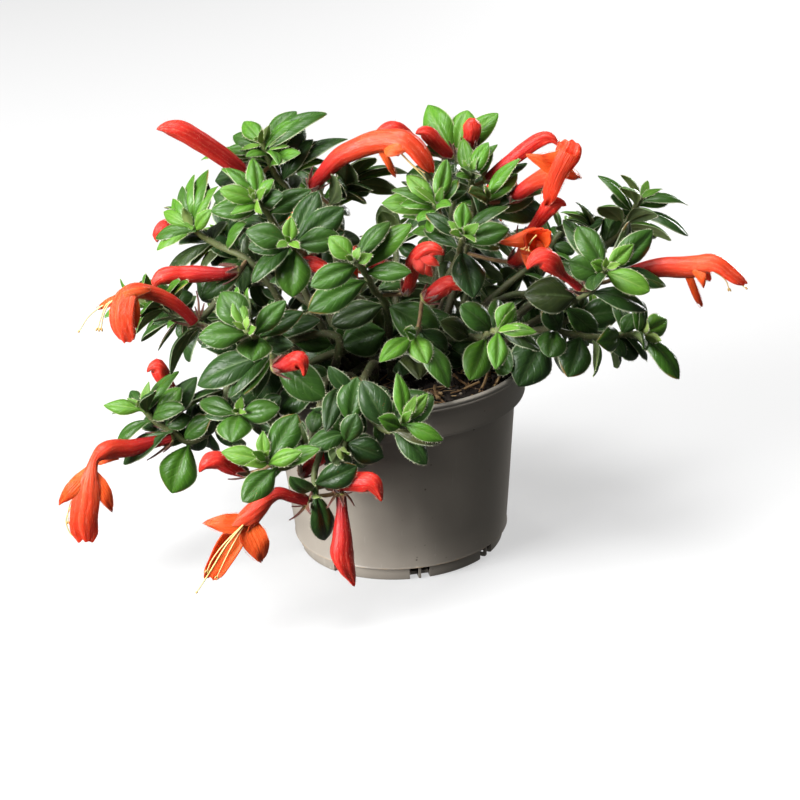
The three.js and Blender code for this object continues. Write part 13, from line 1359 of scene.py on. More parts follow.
def sheet(store, G, thick, mat, flip=False, **attr):
    """A curved sheet from a grid of mid-surface points (rows, cols, 3), closed at its edges."""
    rows, cols = G.shape[:2]
    N = unit(np.cross(np.gradient(G, axis=1), np.gradient(G, axis=0)))
    th = np.broadcast_to(np.asarray(thick, float), (rows, cols))[..., None] / 2
    A, B = G + N * th, G - N * th
    F = grid_faces(rows, cols)
    at = {k: np.broadcast_to(np.asarray(x, float), (rows, cols)).ravel() for k, x in attr.items()}
    store.add(A.reshape(-1, 3), F[:, ::-1], mat, **{**at, "side": 0.0 if not flip else 1.0})
    store.add(B.reshape(-1, 3), F, mat, **{**at, "side": 1.0 if not flip else 0.0})
    rim = np.concatenate([np.arange(rows) * cols, (rows - 1) * cols + np.arange(1, cols), (np.arange(rows)[::-1][1:]) * cols + cols - 1, np.arange(cols - 2, 0, -1)])
    a, b = A.reshape(-1, 3)[rim], B.reshape(-1, 3)[rim]
    m = len(rim)
    j = np.arange(m)
    store.add(np.vstack([a, b]), np.stack([j, (j + 1) % m, m + (j + 1) % m, m + j], 1), mat, **{**{k: np.tile(x[rim], 2) for k, x in at.items()}, "side": 0.5})
    return N


def petal(store, b, t, n, w, rng, kind, back=2.0, red=False):
    b, t, n = (np.array(x, float) for x in (b, t, n))
    d = unit(t - b)
    b = b - d * back
    L = np.linalg.norm(t - b)
    s = unit(np.cross(n, d))
    n = np.cross(d, s)
    NU, NK = 13, 9
    u, k = np.linspace(0, 1, NU), np.linspace(-1, 1, NK)
    K, X = np.meshgrid(k, u)
    if kind == "L":
        f = np.interp(u, [0, 0.15, 0.35, 0.6, 0.8, 0.93, 1], [0.55, 0.86, 1.18, 1.12, 0.78, 0.46, 0.10])
    elif kind == "T":
        f = np.interp(u, [0, 0.15, 0.35, 0.6, 0.8, 0.93, 1], [1.05, 0.98, 0.80, 0.54, 0.33, 0.16, 0.05])
    else:
        f = np.interp(u, [0, 0.2, 0.5, 0.75, 0.92, 1], [1.0, 0.95, 0.88, 0.76, 0.52, 0.16])
    HW = f[:, None] * w / 2
    ph = rng.uniform(0, 6.28)
    curl = 0.14 * w * (1 - K**2) + 0.08 * L * np.sin(np.pi * X) + 0.09 * w * np.sin(6.5 * X + ph) * np.abs(K) * np.sign(K) + 0.04 * w * np.sin(13 * X + 2 * ph) * K**2 - 0.75 * L * np.clip(X - 0.6, 0, 1) ** 1.7
    crease = -0.05 * w * np.exp(-((K / 0.2) ** 2)) * (1 - X)
    ragged = (0.05 * L * np.sin(5 * K + ph) + 0.03 * L * np.sin(11 * K + 2 * ph)) * np.clip((X - 0.7) / 0.3, 0, 1)
    G = b + d * (X * L + ragged)[..., None] + s * (K * HW + 0.05 * w * np.sin(5 * X + ph))[..., None] + n * (curl + crease)[..., None]
    sheet(store, G, 0.42, COR, flip=red or kind == "R", u=0.80 + 0.2 * X, k=K, age=0.9 if red else 0.0 if kind in "LT" else 0.15, rnd=rng.uniform())
    cnt = int(L * 26)
    uu = rng.uniform(0.25, 1, cnt)
    sd = rng.integers(0, 2, cnt) * 2 - 1
    pos = b + d * (uu * L)[:, None] + s * (sd * np.interp(uu, u, f) * w / 2)[:, None] + n * (0.06 * L * np.sin(np.pi * uu) - 0.10 * L * np.clip(uu - 0.6, 0, 1) ** 1.5)[:, None]
    hairs(store, pos, unit(s[None] * sd[:, None] + 0.4 * d + rng.normal(0, 0.3, (cnt, 3))), 0.6, 0.03, FHAIR, rng, u=0.9)


def flower(name, f, rng):
    st = Store()
    p, a, b, U = (np.array(f[x], float) for x in ("axis", "half", "deep", "back"))
    opened = name.startswith("flower")
    X = smooth_path(p, 1.15, np.hstack([a[:, None], b[:, None], U]))
    P, A_, B_, Ud = X[:, :3], X[:, 3].clip(0.25), X[:, 4].clip(0.25), X[:, 5:8]
    n = len(P)
    T = unit(np.gradient(P, axis=0))
    Ud = unit(Ud - (Ud * T).sum(1)[:, None] * T)
    S = np.cross(T, Ud)
    L = (n - 1) * 1.15
    s_ = np.linspace(0, 1, n)
    K = 25
    q = np.linspace(-1, 1, K)
    rnd = rng.uniform()
    if opened:
        thin = np.where((B_ < 0.86 * A_) & (s_ > 0.3))[0]
        im = thin[0] if len(thin) else int(n * 0.6)
        x = np.clip((np.arange(n) - im) / 5.0, 0, 1)
        sm = x * x * (3 - 2 * x)
        Phi = np.pi * (1 - sm) + 1.72 * sm
        tipx = np.clip((s_ - 0.86) / 0.14, 0, 1)
        Phi = Phi * (1 - 0.25 * tipx)
        ph = q[None] * Phi[:, None]
        # the tube is fluted, the hood a shallow arch with its edges turned down
        flute = 1 + (0.016 * np.cos(5 * ph + np.pi + 1.5 * rnd) + 0.012 * np.cos(3 * ph + 9 * s_[:, None])) * np.clip(s_[:, None] * 4, 0, 1)
        arch = np.maximum(B_, 0.42 * A_ * sm + 0)[:, None]
        lift = ((B_ - arch[:, 0]) * 0.55)[:, None]
        G = P[:, None] + S[:, None] * (A_[:, None] * np.sin(ph) * flute)[..., None] + Ud[:, None] * (arch * np.cos(ph) * flute + lift)[..., None]
        sway = A_[:, None] * (0.07 * np.sin(13 * s_[:, None] + 9 * rnd) * q[None] + 0.05 * np.sin(24 * s_[:, None] + 5 * rnd)) * (np.abs(q)[None] ** 2.2) * sm[:, None]
        keel = 0.10 * A_[:, None] * np.exp(-((q[None] / 0.10) ** 2)) * sm[:, None]
        pleat = 0.05 * A_[:, None] * np.cos(7.5 * q[None] + 2 * rnd) * sm[:, None]
        G = G + Ud[:, None] * (sway + keel + pleat)[..., None]
        # the end is blunt, ragged and notched in the middle
        ends = (0.45 * np.sin(4.2 * q + 6 * rnd) + 0.35 * np.sin(10.5 * q + 3 * rnd) - 0.7 * np.exp(-(((q - 0.3 * (rnd - 0.5)) / 0.13) ** 2)) - 1.5 * np.abs(q) ** 3)[None] * (tipx**1.2)[:, None]
        G = G + T[:, None] * ends[..., None]
        brim = 0.10 * A_[:, None] * np.abs(q)[None] ** 3 * (tipx[:, None] + 0.4 * np.sin(17 * s_[:, None] + 4 * rnd)) * sm[:, None]
        G = G + S[:, None] * (brim * np.sign(q)[None])[..., None]
        sheet(st, G, 0.45, COR, flip=False, u=s_[:, None] + 0 * q, k=ph / np.pi, age=0.0, rnd=rnd)
        mouth = im
    else:
        ph = q[None] * np.pi
        # closed bud: folds run along it and wind a little near the tip
        w = np.clip((s_ - 0.35) / 0.5, 0, 1)[:, None]
        fold = 1 + 0.04 * np.cos(5 * ph + np.pi + 1.2 * w * s_[:, None] + rnd) * (0.4 + w) + 0.04 * np.cos(2 * ph + 6 * rnd) * w
        for c0, c1, dp, wd in ((0.9, 0.8, 0.15, 0.22), (-1.3, 0.5, 0.13, 0.20), (2.4, -0.6, 0.14, 0.24), (-0.2, -0.4, 0.08, 0.14)):
            g_ = (ph - c0 - 2.0 * (rnd - 0.5) - c1 * s_[:, None] + np.pi) % (2 * np.pi) - np.pi
            fold = fold - dp * w * np.exp(-((g_ / wd) ** 2)) + 0.5 * dp * w * np.exp(-(((g_ - 0.42) / 0.2) ** 2))
        fold = fold * (1 + 0.03 * w * np.sin(26 * s_[:, None] + 4 * ph))
        G = P[:, None] + S[:, None] * (A_[:, None] * np.sin(ph) * fold)[..., None] + Ud[:, None] * (B_[:, None] * np.cos(ph) * fold)[..., None]
        at = dict(u=np.repeat(s_, K), k=(ph / np.pi + 0 * s_[:, None]).ravel(), age=1.0, rnd=rnd)
        st.add(G.reshape(-1, 3), grid_faces(n, K)[:, ::-1], COR, side=0.0, **at)
        tip = P[-1] + T[-1] * 0.8
        st.add(np.vstack([G[-1], tip]), np.array([[j + 1, j, K] for j in range(K - 1)]), COR, side=0.0, u=1.0, age=1.0, rnd=rnd)
        mouth = n
    # hairs on the outside of the corolla
    cnt = int(L * 17)
    i, j = rng.integers(1, n - 1, cnt), rng.integers(0, K, cnt)
    Nn = unit(S[i] * np.sin(ph[i if ph.shape[0] > 1 else 0 * i, j])[:, None] + Ud[i] * np.cos(ph[i if ph.shape[0] > 1 else 0 * i, j])[:, None])
    root = G[i, j] + T[i] * rng.uniform(-0.6, 0.6, (cnt, 1)) + Nn * 0.15
    hairs(st, root, unit(Nn + 0.35 * T[i] + rng.normal(0, 0.2, (cnt, 3))), 0.9, 0.026, FHAIR, rng, u=s_[i], rnd=rnd)
    for (pb, pt, pn, pw, kd) in f["lobes"]:
        if opened:
            petal(st, pb, pt, pn, pw, rng, kd, back=2.2 if kd in "LT" else 3.0)
        else:
            petal(st, pb, pt, pn, pw * 0.85, rng, "L", back=1.2, red=True)
    # style and filaments
    for ti, th in enumerate(f["threads"]):
        th = np.array(th, float)
        Q = smooth_path(th, 0.9)
        sty = ti == 0
        tube(st, Q, np.linspace(0.42, 0.26, len(Q)) if sty else np.linspace(0.36, 0.24, len(Q)), 6, THREAD, u=np.linspace(0, 1, len(Q)), rnd=rng.uniform(), age=1.0 if sty else 0.0)
        e = unit(Q[-1] - Q[-2])
        if sty:
            blob(st, Q[-1] + e * 0.2, (0.62, 0.5, 0.5), e, THREAD, age=1.6, rnd=0.5)
        else:
            for sgn in (-1, 1):
                sd = unit(np.cross(e, [0.3, 0.5, 0.8])) * sgn
                blob(st, Q[-1] + sd * 0.42 + e * 0.3, (0.95, 0.5, 0.42), unit(e + 0.3 * sd), ANTHER, age=0.0, rnd=rng.uniform())
    # calyx
    for cb, ct in f["calyx"]:
        calyx_lobe(st, np.array(cb, float), np.array(ct, float), p[0], T[0], rng)
    o = P[0] - T[0] * 0.6
    Q = smooth_path(np.array([P[0] - T[0] * 1.2, P[0] + T[0] * 0.3, P[0] + T[0] * 1.6]), 0.5)
    tube(st, Q, np.interp(np.linspace(0, 1, len(Q)), [0, 0.4, 1], [1.0, A_[0] * 1.12, A_[0] * 0.98]), 14, CAL, u=0.0, age=0.35, rnd=rng.uniform())
    # stalk
    foot = np.array(f["foot"], float)
    mid = (foot + o) / 2 - np.array([0, 0, 0.03]) * np.linalg.norm(foot - o) + T[0] * 0
    Q = smooth_path(np.array([foot, mid, o - T[0] * 0.3, o + T[0] * 0.8]), 1.0)
    tube(st, Q, np.linspace(0.85, 1.0, len(Q)), 9, CAL, u=0.2, age=0.75, rnd=rng.uniform())
    Tq, Uq, Sq = frames(Q)
    cnt = int(len(Q) * 7)
    i = rng.integers(0, len(Q), cnt)
    aa = rng.uniform(0, 6.28, cnt)
    D = np.cos(aa)[:, None] * Uq[i] + np.sin(aa)[:, None] * Sq[i]
    hairs(st, Q[i] + D * 0.8 + Tq[i] * rng.uniform(-0.5, 0.5, (cnt, 1)), unit(D + rng.normal(0, 0.2, (cnt, 3))), 1.0, 0.034, FHAIR, rng, u=0.0, rnd=rnd)
    return st.build("coloured_" + name, [M_COR, M_CAL, M_FHAIR, M_THREAD, M_ANTHER])


def blob(store, c, r, d, mat, **attr):
    d = unit(d)
    e = unit(np.cross(d, [0.2, 0.1, 0.95]))
    g = np.cross(d, e)
    th, ph = np.linspace(0, np.pi, 6), np.linspace(0, 2 * np.pi, 8, endpoint=False)
    V = [c + d * r[0] * math.cos(t) + (e * math.cos(p) * r[1] + g * math.sin(p) * r[2]) * math.sin(t) for t in th for p in ph]
    store.add(V, grid_faces(6, 8, wrap=True)[:, ::-1], mat, **attr)


def calyx_lobe(store, b, t, o, T0, rng):
    v = t - o
    L = np.linalg.norm(v)
    d = v / L
    out = unit(d - np.dot(d, T0) * T0)
    o2 = o - T0 * 0.4 + out * 1.3
    v = t - o2
    L = np.linalg.norm(v)
    d = v / L
    n = unit(out - np.dot(out, d) * d)
    s = np.cross(n, d)
    NU, NK = 10, 5
    u, k = np.linspace(0, 1, NU), np.linspace(-1, 1, NK)
    K, X = np.meshgrid(k, u)
    f = np.interp(u, [0, 0.12, 0.35, 0.7, 0.92, 1], [1.0, 1.0, 0.85, 0.5, 0.2, 0.03]) * 2.5 / 2
    bow = rng.uniform(0.03, 0.12)
    G = o2 + d * (X * L)[..., None] + s * (K * f[:, None])[..., None] + n * (0.3 * K**2 * 1.0 + bow * L * 4 * X * (1 - X) * 0.6)[..., None]
    N = sheet(store, G, 0.4, CAL, u=X, k=K, age=rng.uniform(0.3, 0.9), rnd=rng.uniform())
    cnt = int(L * 9)
    i, j = rng.integers(1, NU, cnt), rng.integers(0, 2, cnt) * (NK - 1)
    root = G[i, j] + d * rng.uniform(-0.5, 0.5, (cnt, 1)) * L / NU
    hairs(store, root, unit(s[None] * (2 * (j > 0) - 1)[:, None] + 0.35 * d + rng.normal(0, 0.35, (cnt, 3))), 1.0, 0.036, FHAIR, rng, u=0.0, rnd=0.4)


# ---------------------------------------------------------------- pot and growing mix
def lathe(store, prof, seg, mat, **attr):
    prof = np.array(prof, float)
    a = 2 * np.pi * np.arange(seg) / seg
    R, Z = prof[:, 0], prof[:, 1]
    V = np.stack([R[:, None] * np.cos(a), R[:, None] * np.sin(a), np.repeat(Z[:, None], seg, 1)], -1)
    store.add(V.reshape(-1, 3), grid_faces(len(prof), seg, wrap=True), mat, u=np.repeat(Z / 87.3, seg), k=np.tile(a / np.pi, len(prof)), **attr)


def make_pot():
    st = Store()
    prof = [
        (0.02, 0.0), (30, 0.0), (44.8, 0.0), (45.9, 0.25), (46.3, 0.9), (46.35, 3.2), (46.5, 5.9), (46.9, 6.3), (48.1, 6.45), (48.75, 6.75), (48.62, 7.25), (48.42, 7.6),
        (49.6, 20), (50.8, 33), (52.0, 47), (53.2, 60), (53.9, 68.5), (54.15, 70.9), (54.6, 71.35), (57.6, 71.45), (58.35, 71.6), (58.6, 72.2), (58.75, 73.2),
        (59.25, 80.0), (59.5, 83.6), (59.5, 83.95), (59.75, 84.25), (60.2, 84.45), (60.3, 84.9), (60.22, 85.35), (60.02, 85.6), (60.02, 85.85), (60.25, 86.15), (60.25, 86.8), (60.0, 87.2), (59.4, 87.42), (58.5, 87.4), (57.95, 87.1), (57.85, 86.6),
        (57.9, 85.2), (57.5, 78), (57.2, 73.6), (56.6, 73.0), (53.6, 72.9), (52.9, 72.4), (52.0, 60), (49.6, 33), (47.3, 8.2), (45.2, 6.6), (45.0, 2.2), (44.0, 1.6), (30, 1.6), (0.02, 1.6),
    ]
    lathe(st, prof, 144, 0, age=0.0, rnd=0.0)
    pot = st.build("pot_body", [M_POT])
    bm = bmesh.new()
    bm.from_mesh(pot.data)
    bmesh.ops.remove_doubles(bm, verts=bm.verts, dist=1e-5)
    bmesh.ops.holes_fill(bm, edges=[e for e in bm.edges if e.is_boundary])
    bmesh.ops.recalc_face_normals(bm, faces=bm.faces)
    bm.to_mesh(pot.data)
    bm.free()
    # drainage notches, each with a narrow rib left in it
    cut = Store()
    for i in range(8):
        a = 2 * np.pi * (i + 0.2) / 8
        for y0, y1 in ((-4.5, -0.5), (0.5, 4.5)):
            box = np.array([[x, y, z] for z in (-1.0, 5.6) for (x, y) in ((41.2, y0), (52, y0), (52, y1), (41.2, y1))])
            R = np.array([[math.cos(a), -math.sin(a), 0], [math.sin(a), math.cos(a), 0], [0, 0, 1]])
            cut.add(box @ R.T, [[0, 3, 2, 1], [4, 5, 6, 7], [0, 1, 5, 4], [1, 2, 6, 5], [2, 3, 7, 6], [3, 0, 4, 7]], 0)
    tool = cut.build("notch shapes", [M_POT])
    mod = pot.modifiers.new("notches", "BOOLEAN")
    mod.operation, mod.object, mod.solver = "DIFFERENCE", tool, "EXACT"
    bpy.context.view_layer.update()
    me = bpy.data.meshes.new_from_object(pot.evaluated_get(bpy.context.evaluated_depsgraph_get()))
    pot.modifiers.clear()
    pot.data = me
    bpy.data.objects.remove(tool)
    # flat faces keep crisp edges at the notches and the band
    me.set_sharp_from_angle(angle=rad(38))
    return pot


def fbm(x, y, seed, octaves=5, scale=1.0):
    out = np.zeros_like(x)
    amp, fr = 1.0, scale
    for o in range(octaves):
        xi, yi = x * fr + 17.3 * o + seed, y * fr - 9.1 * o + seed
        x0, y0 = np.floor(xi), np.floor(yi)
        tx, ty = xi - x0, yi - y0
        tx, ty = tx * tx * (3 - 2 * tx), ty * ty * (3 - 2 * ty)
        g = lambda a, b: np.modf(np.abs(np.sin(a * 127.1 + b * 311.7 + seed * 13.7) * 43758.5453))[0]
        v = (g(x0, y0) * (1 - tx) + g(x0 + 1, y0) * tx) * (1 - ty) + (g(x0, y0 + 1) * (1 - tx) + g(x0 + 1, y0 + 1) * tx) * ty
        out += amp * (v - 0.5)
        amp *= 0.55
        fr *= 2.03
    return out


def make_soil(rng):
    st = Store()
    NR, NA = 84, 260
    r = 57.0 * np.sqrt(np.linspace(0, 1, NR))
    r = np.linspace(0, 57.0, NR)
    a = 2 * np.pi * np.arange(NA) / NA
    Rr, Aa = np.meshgrid(r, a, indexing="ij")
    x, y = Rr * np.cos(Aa), Rr * np.sin(Aa)
    z = 82.2 + 2.2 * fbm(x, y, 3, 3, 0.06) + 2.6 * fbm(x, y, 5, 5, 0.22) + 1.0 * np.abs(fbm(x, y, 9, 3, 0.9)) - 2.4 * np.clip((Rr - 46) / 11, 0, 1) ** 1.5
    z = np.where(Rr > 56, np.minimum(z, 80.0), z)
    V = np.stack([x, y, z], -1)
    st.add(V.reshape(-1, 3), grid_faces(NR, NA, wrap=True), 0, u=0.0, rnd=0.3, age=np.clip(fbm(x, y, 21, 3, 0.1) + 0.5, 0, 1).ravel())
    side = [(57.0, 79.5), (56.4, 74.4), (52.4, 73.2), (48.0, 9.0), (40, 8.0), (40, 2.2), (0.02, 2.2)]
    sp = np.array(side)
    Vs = np.stack([sp[:, 0][:, None] * np.cos(a), sp[:, 0][:, None] * np.sin(a), np.repeat(sp[:, 1][:, None], NA, 1)], -1)
    Vs[0] = V[-1]
    st.add(Vs.reshape(-1, 3), grid_faces(len(side), NA, wrap=True), 0, u=0.0, rnd=0.3)
    # crumbs
    n = 1500
    for i in range(n):
        rr, aa = 56 * math.sqrt(rng.uniform()), rng.uniform(0, 6.28)
        cx, cy = rr * math.cos(aa), rr * math.sin(aa)
        ir, ia = int(rr / 57.0 * (NR - 1)), int(aa / (2 * np.pi) * NA) % NA
        cz = z[ir, ia]
        q = rng.lognormal(-0.25, 0.45)
        R = q * rng.uniform(0.6, 1.3, 3)
        d = unit(rng.normal(size=3))
        e = unit(np.cross(d, rng.normal(size=3)))
        g = np.cross(d, e)
        th, ph = np.array([0.02, 0.9, 1.9, 3.12]), np.linspace(0, 2 * np.pi, 5, endpoint=False)
        W = [np.array([cx, cy, cz + 0.2 * q]) + (d * R[0] * math.cos(t) + (e * math.cos(p) * R[1] + g * math.sin(p) * R[2]) * math.sin(t)) * rng.uniform(0.75, 1.15) for t in th for p in ph]
        st.add(W, grid_faces(4, 5, wrap=True)[:, ::-1], 0, u=0.0, rnd=rng.uniform(), age=rng.uniform())
    # roots, straw and bits of wood
    for i in range(104):
        rr, aa = 54 * math.sqrt(rng.uniform(0.05, 1)), rng.uniform(0, 6.28)
        if i < 34 or i >= 90:  # more of them lie in the open stretch at the front right
            aa, rr = rng.uniform(-1.2, 0.1), rng.uniform(34, 55)
        c = np.array([rr * math.cos(aa), rr * math.sin(aa), 0])
        ir, ia = int(rr / 57.0 * (NR - 1)), int(aa / (2 * np.pi) * NA) % NA
        c[2] = z[ir, ia] + rng.uniform(0.3, 1.4)
        h = rng.uniform(0, 6.28)
        d = np.array([math.cos(h), math.sin(h), rng.normal(0, 0.16)])
        L = rng.uniform(4, 17)
        m = 6
        s = np.linspace(-0.5, 0.5, m)
        bend = rng.normal(0, 0.16) * L
        side_ = np.array([-d[1], d[0], 0])
        Q = c + s[:, None] * L * d + (s**2)[:, None] * bend * side_ + rng.normal(0, 0.18, (m, 3))
        rad_q = np.hypot(Q[:, 0], Q[:, 1])
        Q[:, :2] *= np.minimum(1, 55.6 / np.maximum(1e-6, rad_q))[:, None]
        if i >= 90:  # thick root pieces, some standing up a little
            Q[:, 2] += np.linspace(0, rng.uniform(0.5, 4.0), m)
        tube(st, smooth_path(Q, 1.0), rng.uniform(0.45, 0.75) if i >= 90 else rng.uniform(0.12, 0.42), 5, 1, u=0.5, rnd=rng.uniform(0.3, 0.8) if i >= 90 else rng.uniform(), age=rng.uniform())
    return st.build("growing_mix", [M_SOIL, M_STRAW])


# ---------------------------------------------------------------- materials
def mat(name):
    m = bpy.data.materials.new(name)
    m.use_nodes = True
    nt = m.node_tree
    return m, nt, nt.nodes["Principled BSDF"]


def node(nt, kind, **kw):
    n = nt.nodes.new(kind)
    for k, v in kw.items():
        if k.startswith("i_"):
            n.inputs[k[2:].replace("_", " ")].default_value = v
        else:
            setattr(n, k, v)
    return n


def attr(nt, name):
    n = nt.nodes.new("ShaderNodeAttribute")
    n.attribute_type, n.attribute_name = "GEOMETRY", name
    return n.outputs["Fac"]


def ramp(nt, fac, stops, interp="LINEAR"):
    n = nt.nodes.new("ShaderNodeValToRGB")
    e = n.color_ramp
    e.interpolation = interp
    while len(e.elements) < len(stops):
        e.elements.new(0.5)
    for el, (p, c) in zip(e.elements, stops):
        el.position = p
        el.color = (*c, 1) if len(c) == 3 else c
    nt.links.new(fac, n.inputs[0])
    return n.outputs[0]


def math_(nt, op, a, b=None, c=None, clamp=False):
    n = nt.nodes.new("ShaderNodeMath")
    n.operation, n.use_clamp = op, clamp
    for i, x in enumerate((a, b, c)):
        if x is None:
            continue
        if isinstance(x, (int, float)):
            n.inputs[i].default_value = x
        else:
            nt.links.new(x, n.inputs[i])
    return n.outputs[0]


def mix(nt, fac, a, b, blend="MIX"):
    n = nt.nodes.new("ShaderNodeMix")
    n.data_type, n.blend_type = "RGBA", blend
    n.clamp_factor = True
    for s, x in ((n.inputs[0], fac), (n.inputs[6], a), (n.inputs[7], b)):
        if isinstance(x, (int, float)):
            s.default_value = x
        elif isinstance(x, tuple):
            s.default_value = (*x, 1) if len(x) == 3 else x
        else:
            nt.links.new(x, s)
    return n.outputs[2]


def noise(nt, scale, detail=3.0, rough=0.55, vec=None, dim="3D", dist=0.0):
    n = nt.nodes.new("ShaderNodeTexNoise")
    n.noise_dimensions = dim
    n.inputs["Scale"].default_value = scale
    n.inputs["Detail"].default_value = detail
    n.inputs["Roughness"].default_value = rough
    n.inputs["Distortion"].default_value = dist
    if vec is not None:
        nt.links.new(vec, n.inputs["Vector"])
    return n.outputs["Fac"]


def obj_coord(nt):
    return nt.nodes.new("ShaderNodeTexCoord").outputs["Object"]


def combine(nt, x, y, z=0.0):
    n = nt.nodes.new("ShaderNodeCombineXYZ")
    for i, v in enumerate((x, y, z)):
        if isinstance(v, (int, float)):
            n.inputs[i].default_value = v
        else:
            nt.links.new(v, n.inputs[i])
    return n.outputs[0]


def bump(nt, bsdf, height, strength, distance):
    n = nt.nodes.new("ShaderNodeBump")
    n.inputs["Strength"].default_value = strength
    n.inputs["Distance"].default_value = distance
    nt.links.new(height, n.inputs["Height"])
    nt.links.new(n.outputs[0], bsdf.inputs["Normal"])


def leaf_material():
    m, nt, b = mat("fleshy leaf")
    age, k, u, rnd, side = (attr(nt, x) for x in ("age", "k", "u", "rnd", "side"))
    ak = math_(nt, "ABSOLUTE", k)
    oc = obj_coord(nt)
    # colour by age and tone: yellow-green growth, fresh green, deep blue-green, nearly black old leaves, brown; the
    # nearly black end also paints shade on leaves deep inside the plant, and the paler greens of the b and g tones
    # paint backlighting and, partly, sheen
    c = ramp(nt, math_(nt, "DIVIDE", age, 1.4), [(0.0, LC[0]), (0.16, LC[1]), (0.36, LC[2]), (0.58, LC[3]), (0.74, LC[4]), (0.93, LC[5])])
    # each leaf its own shade, and mottling inside it
    c = mix(nt, math_(nt, "MULTIPLY", rnd, 0.55), c, mix(nt, 1.0, c, (0.62, 0.80, 0.45), "MULTIPLY"))
    mott = noise(nt, 260, 4.0, 0.6, oc)
    c = mix(nt, ramp(nt, mott, [(0.35, (0, 0, 0)), (0.7, (0.6, 0.6, 0.6))]), c, mix(nt, 1.0, c, (1.45, 1.35, 1.15), "MULTIPLY"))
    # paler towards the base and along the midrib
    rib = math_(nt, "SUBTRACT", 1.0, math_(nt, "MULTIPLY", ak, 9.0), clamp=True)
    rib = math_(nt, "MULTIPLY", rib, math_(nt, "SUBTRACT", 1.0, math_(nt, "MULTIPLY", u, 0.85), clamp=True))
    c = mix(nt, math_(nt, "MULTIPLY", rib, 0.62), c, mix(nt, ramp(nt, age, [(0.2, (0, 0, 0)), (0.8, (1, 1, 1))]), (0.30, 0.40, 0.10), (0.13, 0.20, 0.075)))
    # faint side veins, slanting forward from the midrib
    vein = nt.nodes.new("ShaderNodeTexWave")
    vein.wave_type, vein.bands_direction, vein.wave_profile = "BANDS", "X", "SIN"
    vein.inputs["Scale"].default_value = 1.0
    vein.inputs["Distortion"].default_value = 0.6
    nt.links.new(combine(nt, math_(nt, "SUBTRACT", math_(nt, "MULTIPLY", u, 1.9), math_(nt, "MULTIPLY", ak, 0.75)), math_(nt, "MULTIPLY", k, 0.2)), vein.inputs["Vector"])
    vf = ramp(nt, vein.outputs["Fac"], [(0.80, (0, 0, 0)), (1.0, (1, 1, 1))])
    c = mix(nt, math_(nt, "MULTIPLY", vf, 0.16), c, mix(nt, 1.0, c, (1.9, 1.7, 1.6), "MULTIPLY"))
    # brown specks, on some leaves more
    vor = nt.nodes.new("ShaderNodeTexVoronoi")
    vor.inputs["Scale"].default_value = 700
    nt.links.new(oc, vor.inputs["Vector"])
    speck = ramp(nt, vor.outputs["Distance"], [(0.10, (1, 1, 1)), (0.22, (0, 0, 0))])
    amount = math_(nt, "MULTIPLY", speck, ramp(nt, noise(nt, 90, 1.0, 0.5, oc), [(0.60, (0, 0, 0)), (0.75, (1, 1, 1))]))
    c = mix(nt, math_(nt, "MULTIPLY", amount, math_(nt, "MULTIPLY", age, 0.75, clamp=True)), c, (0.16, 0.075, 0.025))
    # tips and margins tinged tan on a few older leaves
    tan = math_(nt, "MULTIPLY", ramp(nt, math_(nt, "ADD", math_(nt, "MULTIPLY", ak, 0.5), math_(nt, "MULTIPLY", u, 0.6)), [(0.90, (0, 0, 0)), (1.02, (1, 1, 1))]), ramp(nt, rnd, [(0.88, (0, 0, 0)), (0.93, (1, 1, 1))]))
    c = mix(nt, math_(nt, "MULTIPLY", tan, 0.7), c, (0.30, 0.13, 0.03))
    # margin: a thin pale line
    edge = ramp(nt, ak, [(0.93, (0, 0, 0)), (0.995, (1, 1, 1))])
    c = mix(nt, math_(nt, "MULTIPLY", edge, 0.88), c, mix(nt, ramp(nt, age, [(0.2, (0, 0, 0)), (0.9, (1, 1, 1))]), (0.50, 0.58, 0.28), (0.36, 0.42, 0.27)))
    # underside: dull grey-green
    under = mix(nt, ramp(nt, age, [(0.15, (0, 0, 0)), (0.8, (1, 1, 1))]), (0.28, 0.38, 0.11), (0.105, 0.150, 0.058))
    under = mix(nt, math_(nt, "MULTIPLY", rib, 0.5), under, (0.30, 0.33, 0.14))
    c = mix(nt, ramp(nt, side, [(0.35, (0, 0, 0)), (0.65, (1, 1, 1))]), c, under)
    nt.links.new(c, b.inputs["Base Color"])
    rough = mix(nt, ramp(nt, noise(nt, 900, 3.0, 0.6, oc), [(0.3, (0, 0, 0)), (0.7, (1, 1, 1))]), (0.28, 0.28, 0.28), (0.45, 0.45, 0.45))
    rough = mix(nt, ramp(nt, side, [(0.35, (0, 0, 0)), (0.65, (1, 1, 1))]), rough, (0.62, 0.62, 0.62))
    rough = mix(nt, ramp(nt, age, [(0.0, (1, 1, 1)), (0.5, (0, 0, 0))]), rough, (0.5, 0.5, 0.5))
    nt.links.new(rough, b.inputs["Roughness"])
    b.inputs["Specular IOR Level"].default_value = LEAF_SPEC
    b.inputs["Subsurface Weight"].default_value = 0.12
    b.inputs["Subsurface Radius"].default_value = (0.7, 1.0, 0.25)
    b.inputs["Subsurface Scale"].default_value = 0.001
    hgt = math_(nt, "ADD", math_(nt, "MULTIPLY", noise(nt, 1400, 3.0, 0.6, oc), 0.5), math_(nt, "MULTIPLY", vf, -0.35))
    hgt = math_(nt, "ADD", hgt, math_(nt, "MULTIPLY", noise(nt, 260, 2.0, 0.5, oc), 1.1))
    bump(nt, b, hgt, 0.6, 0.00035)
    return m


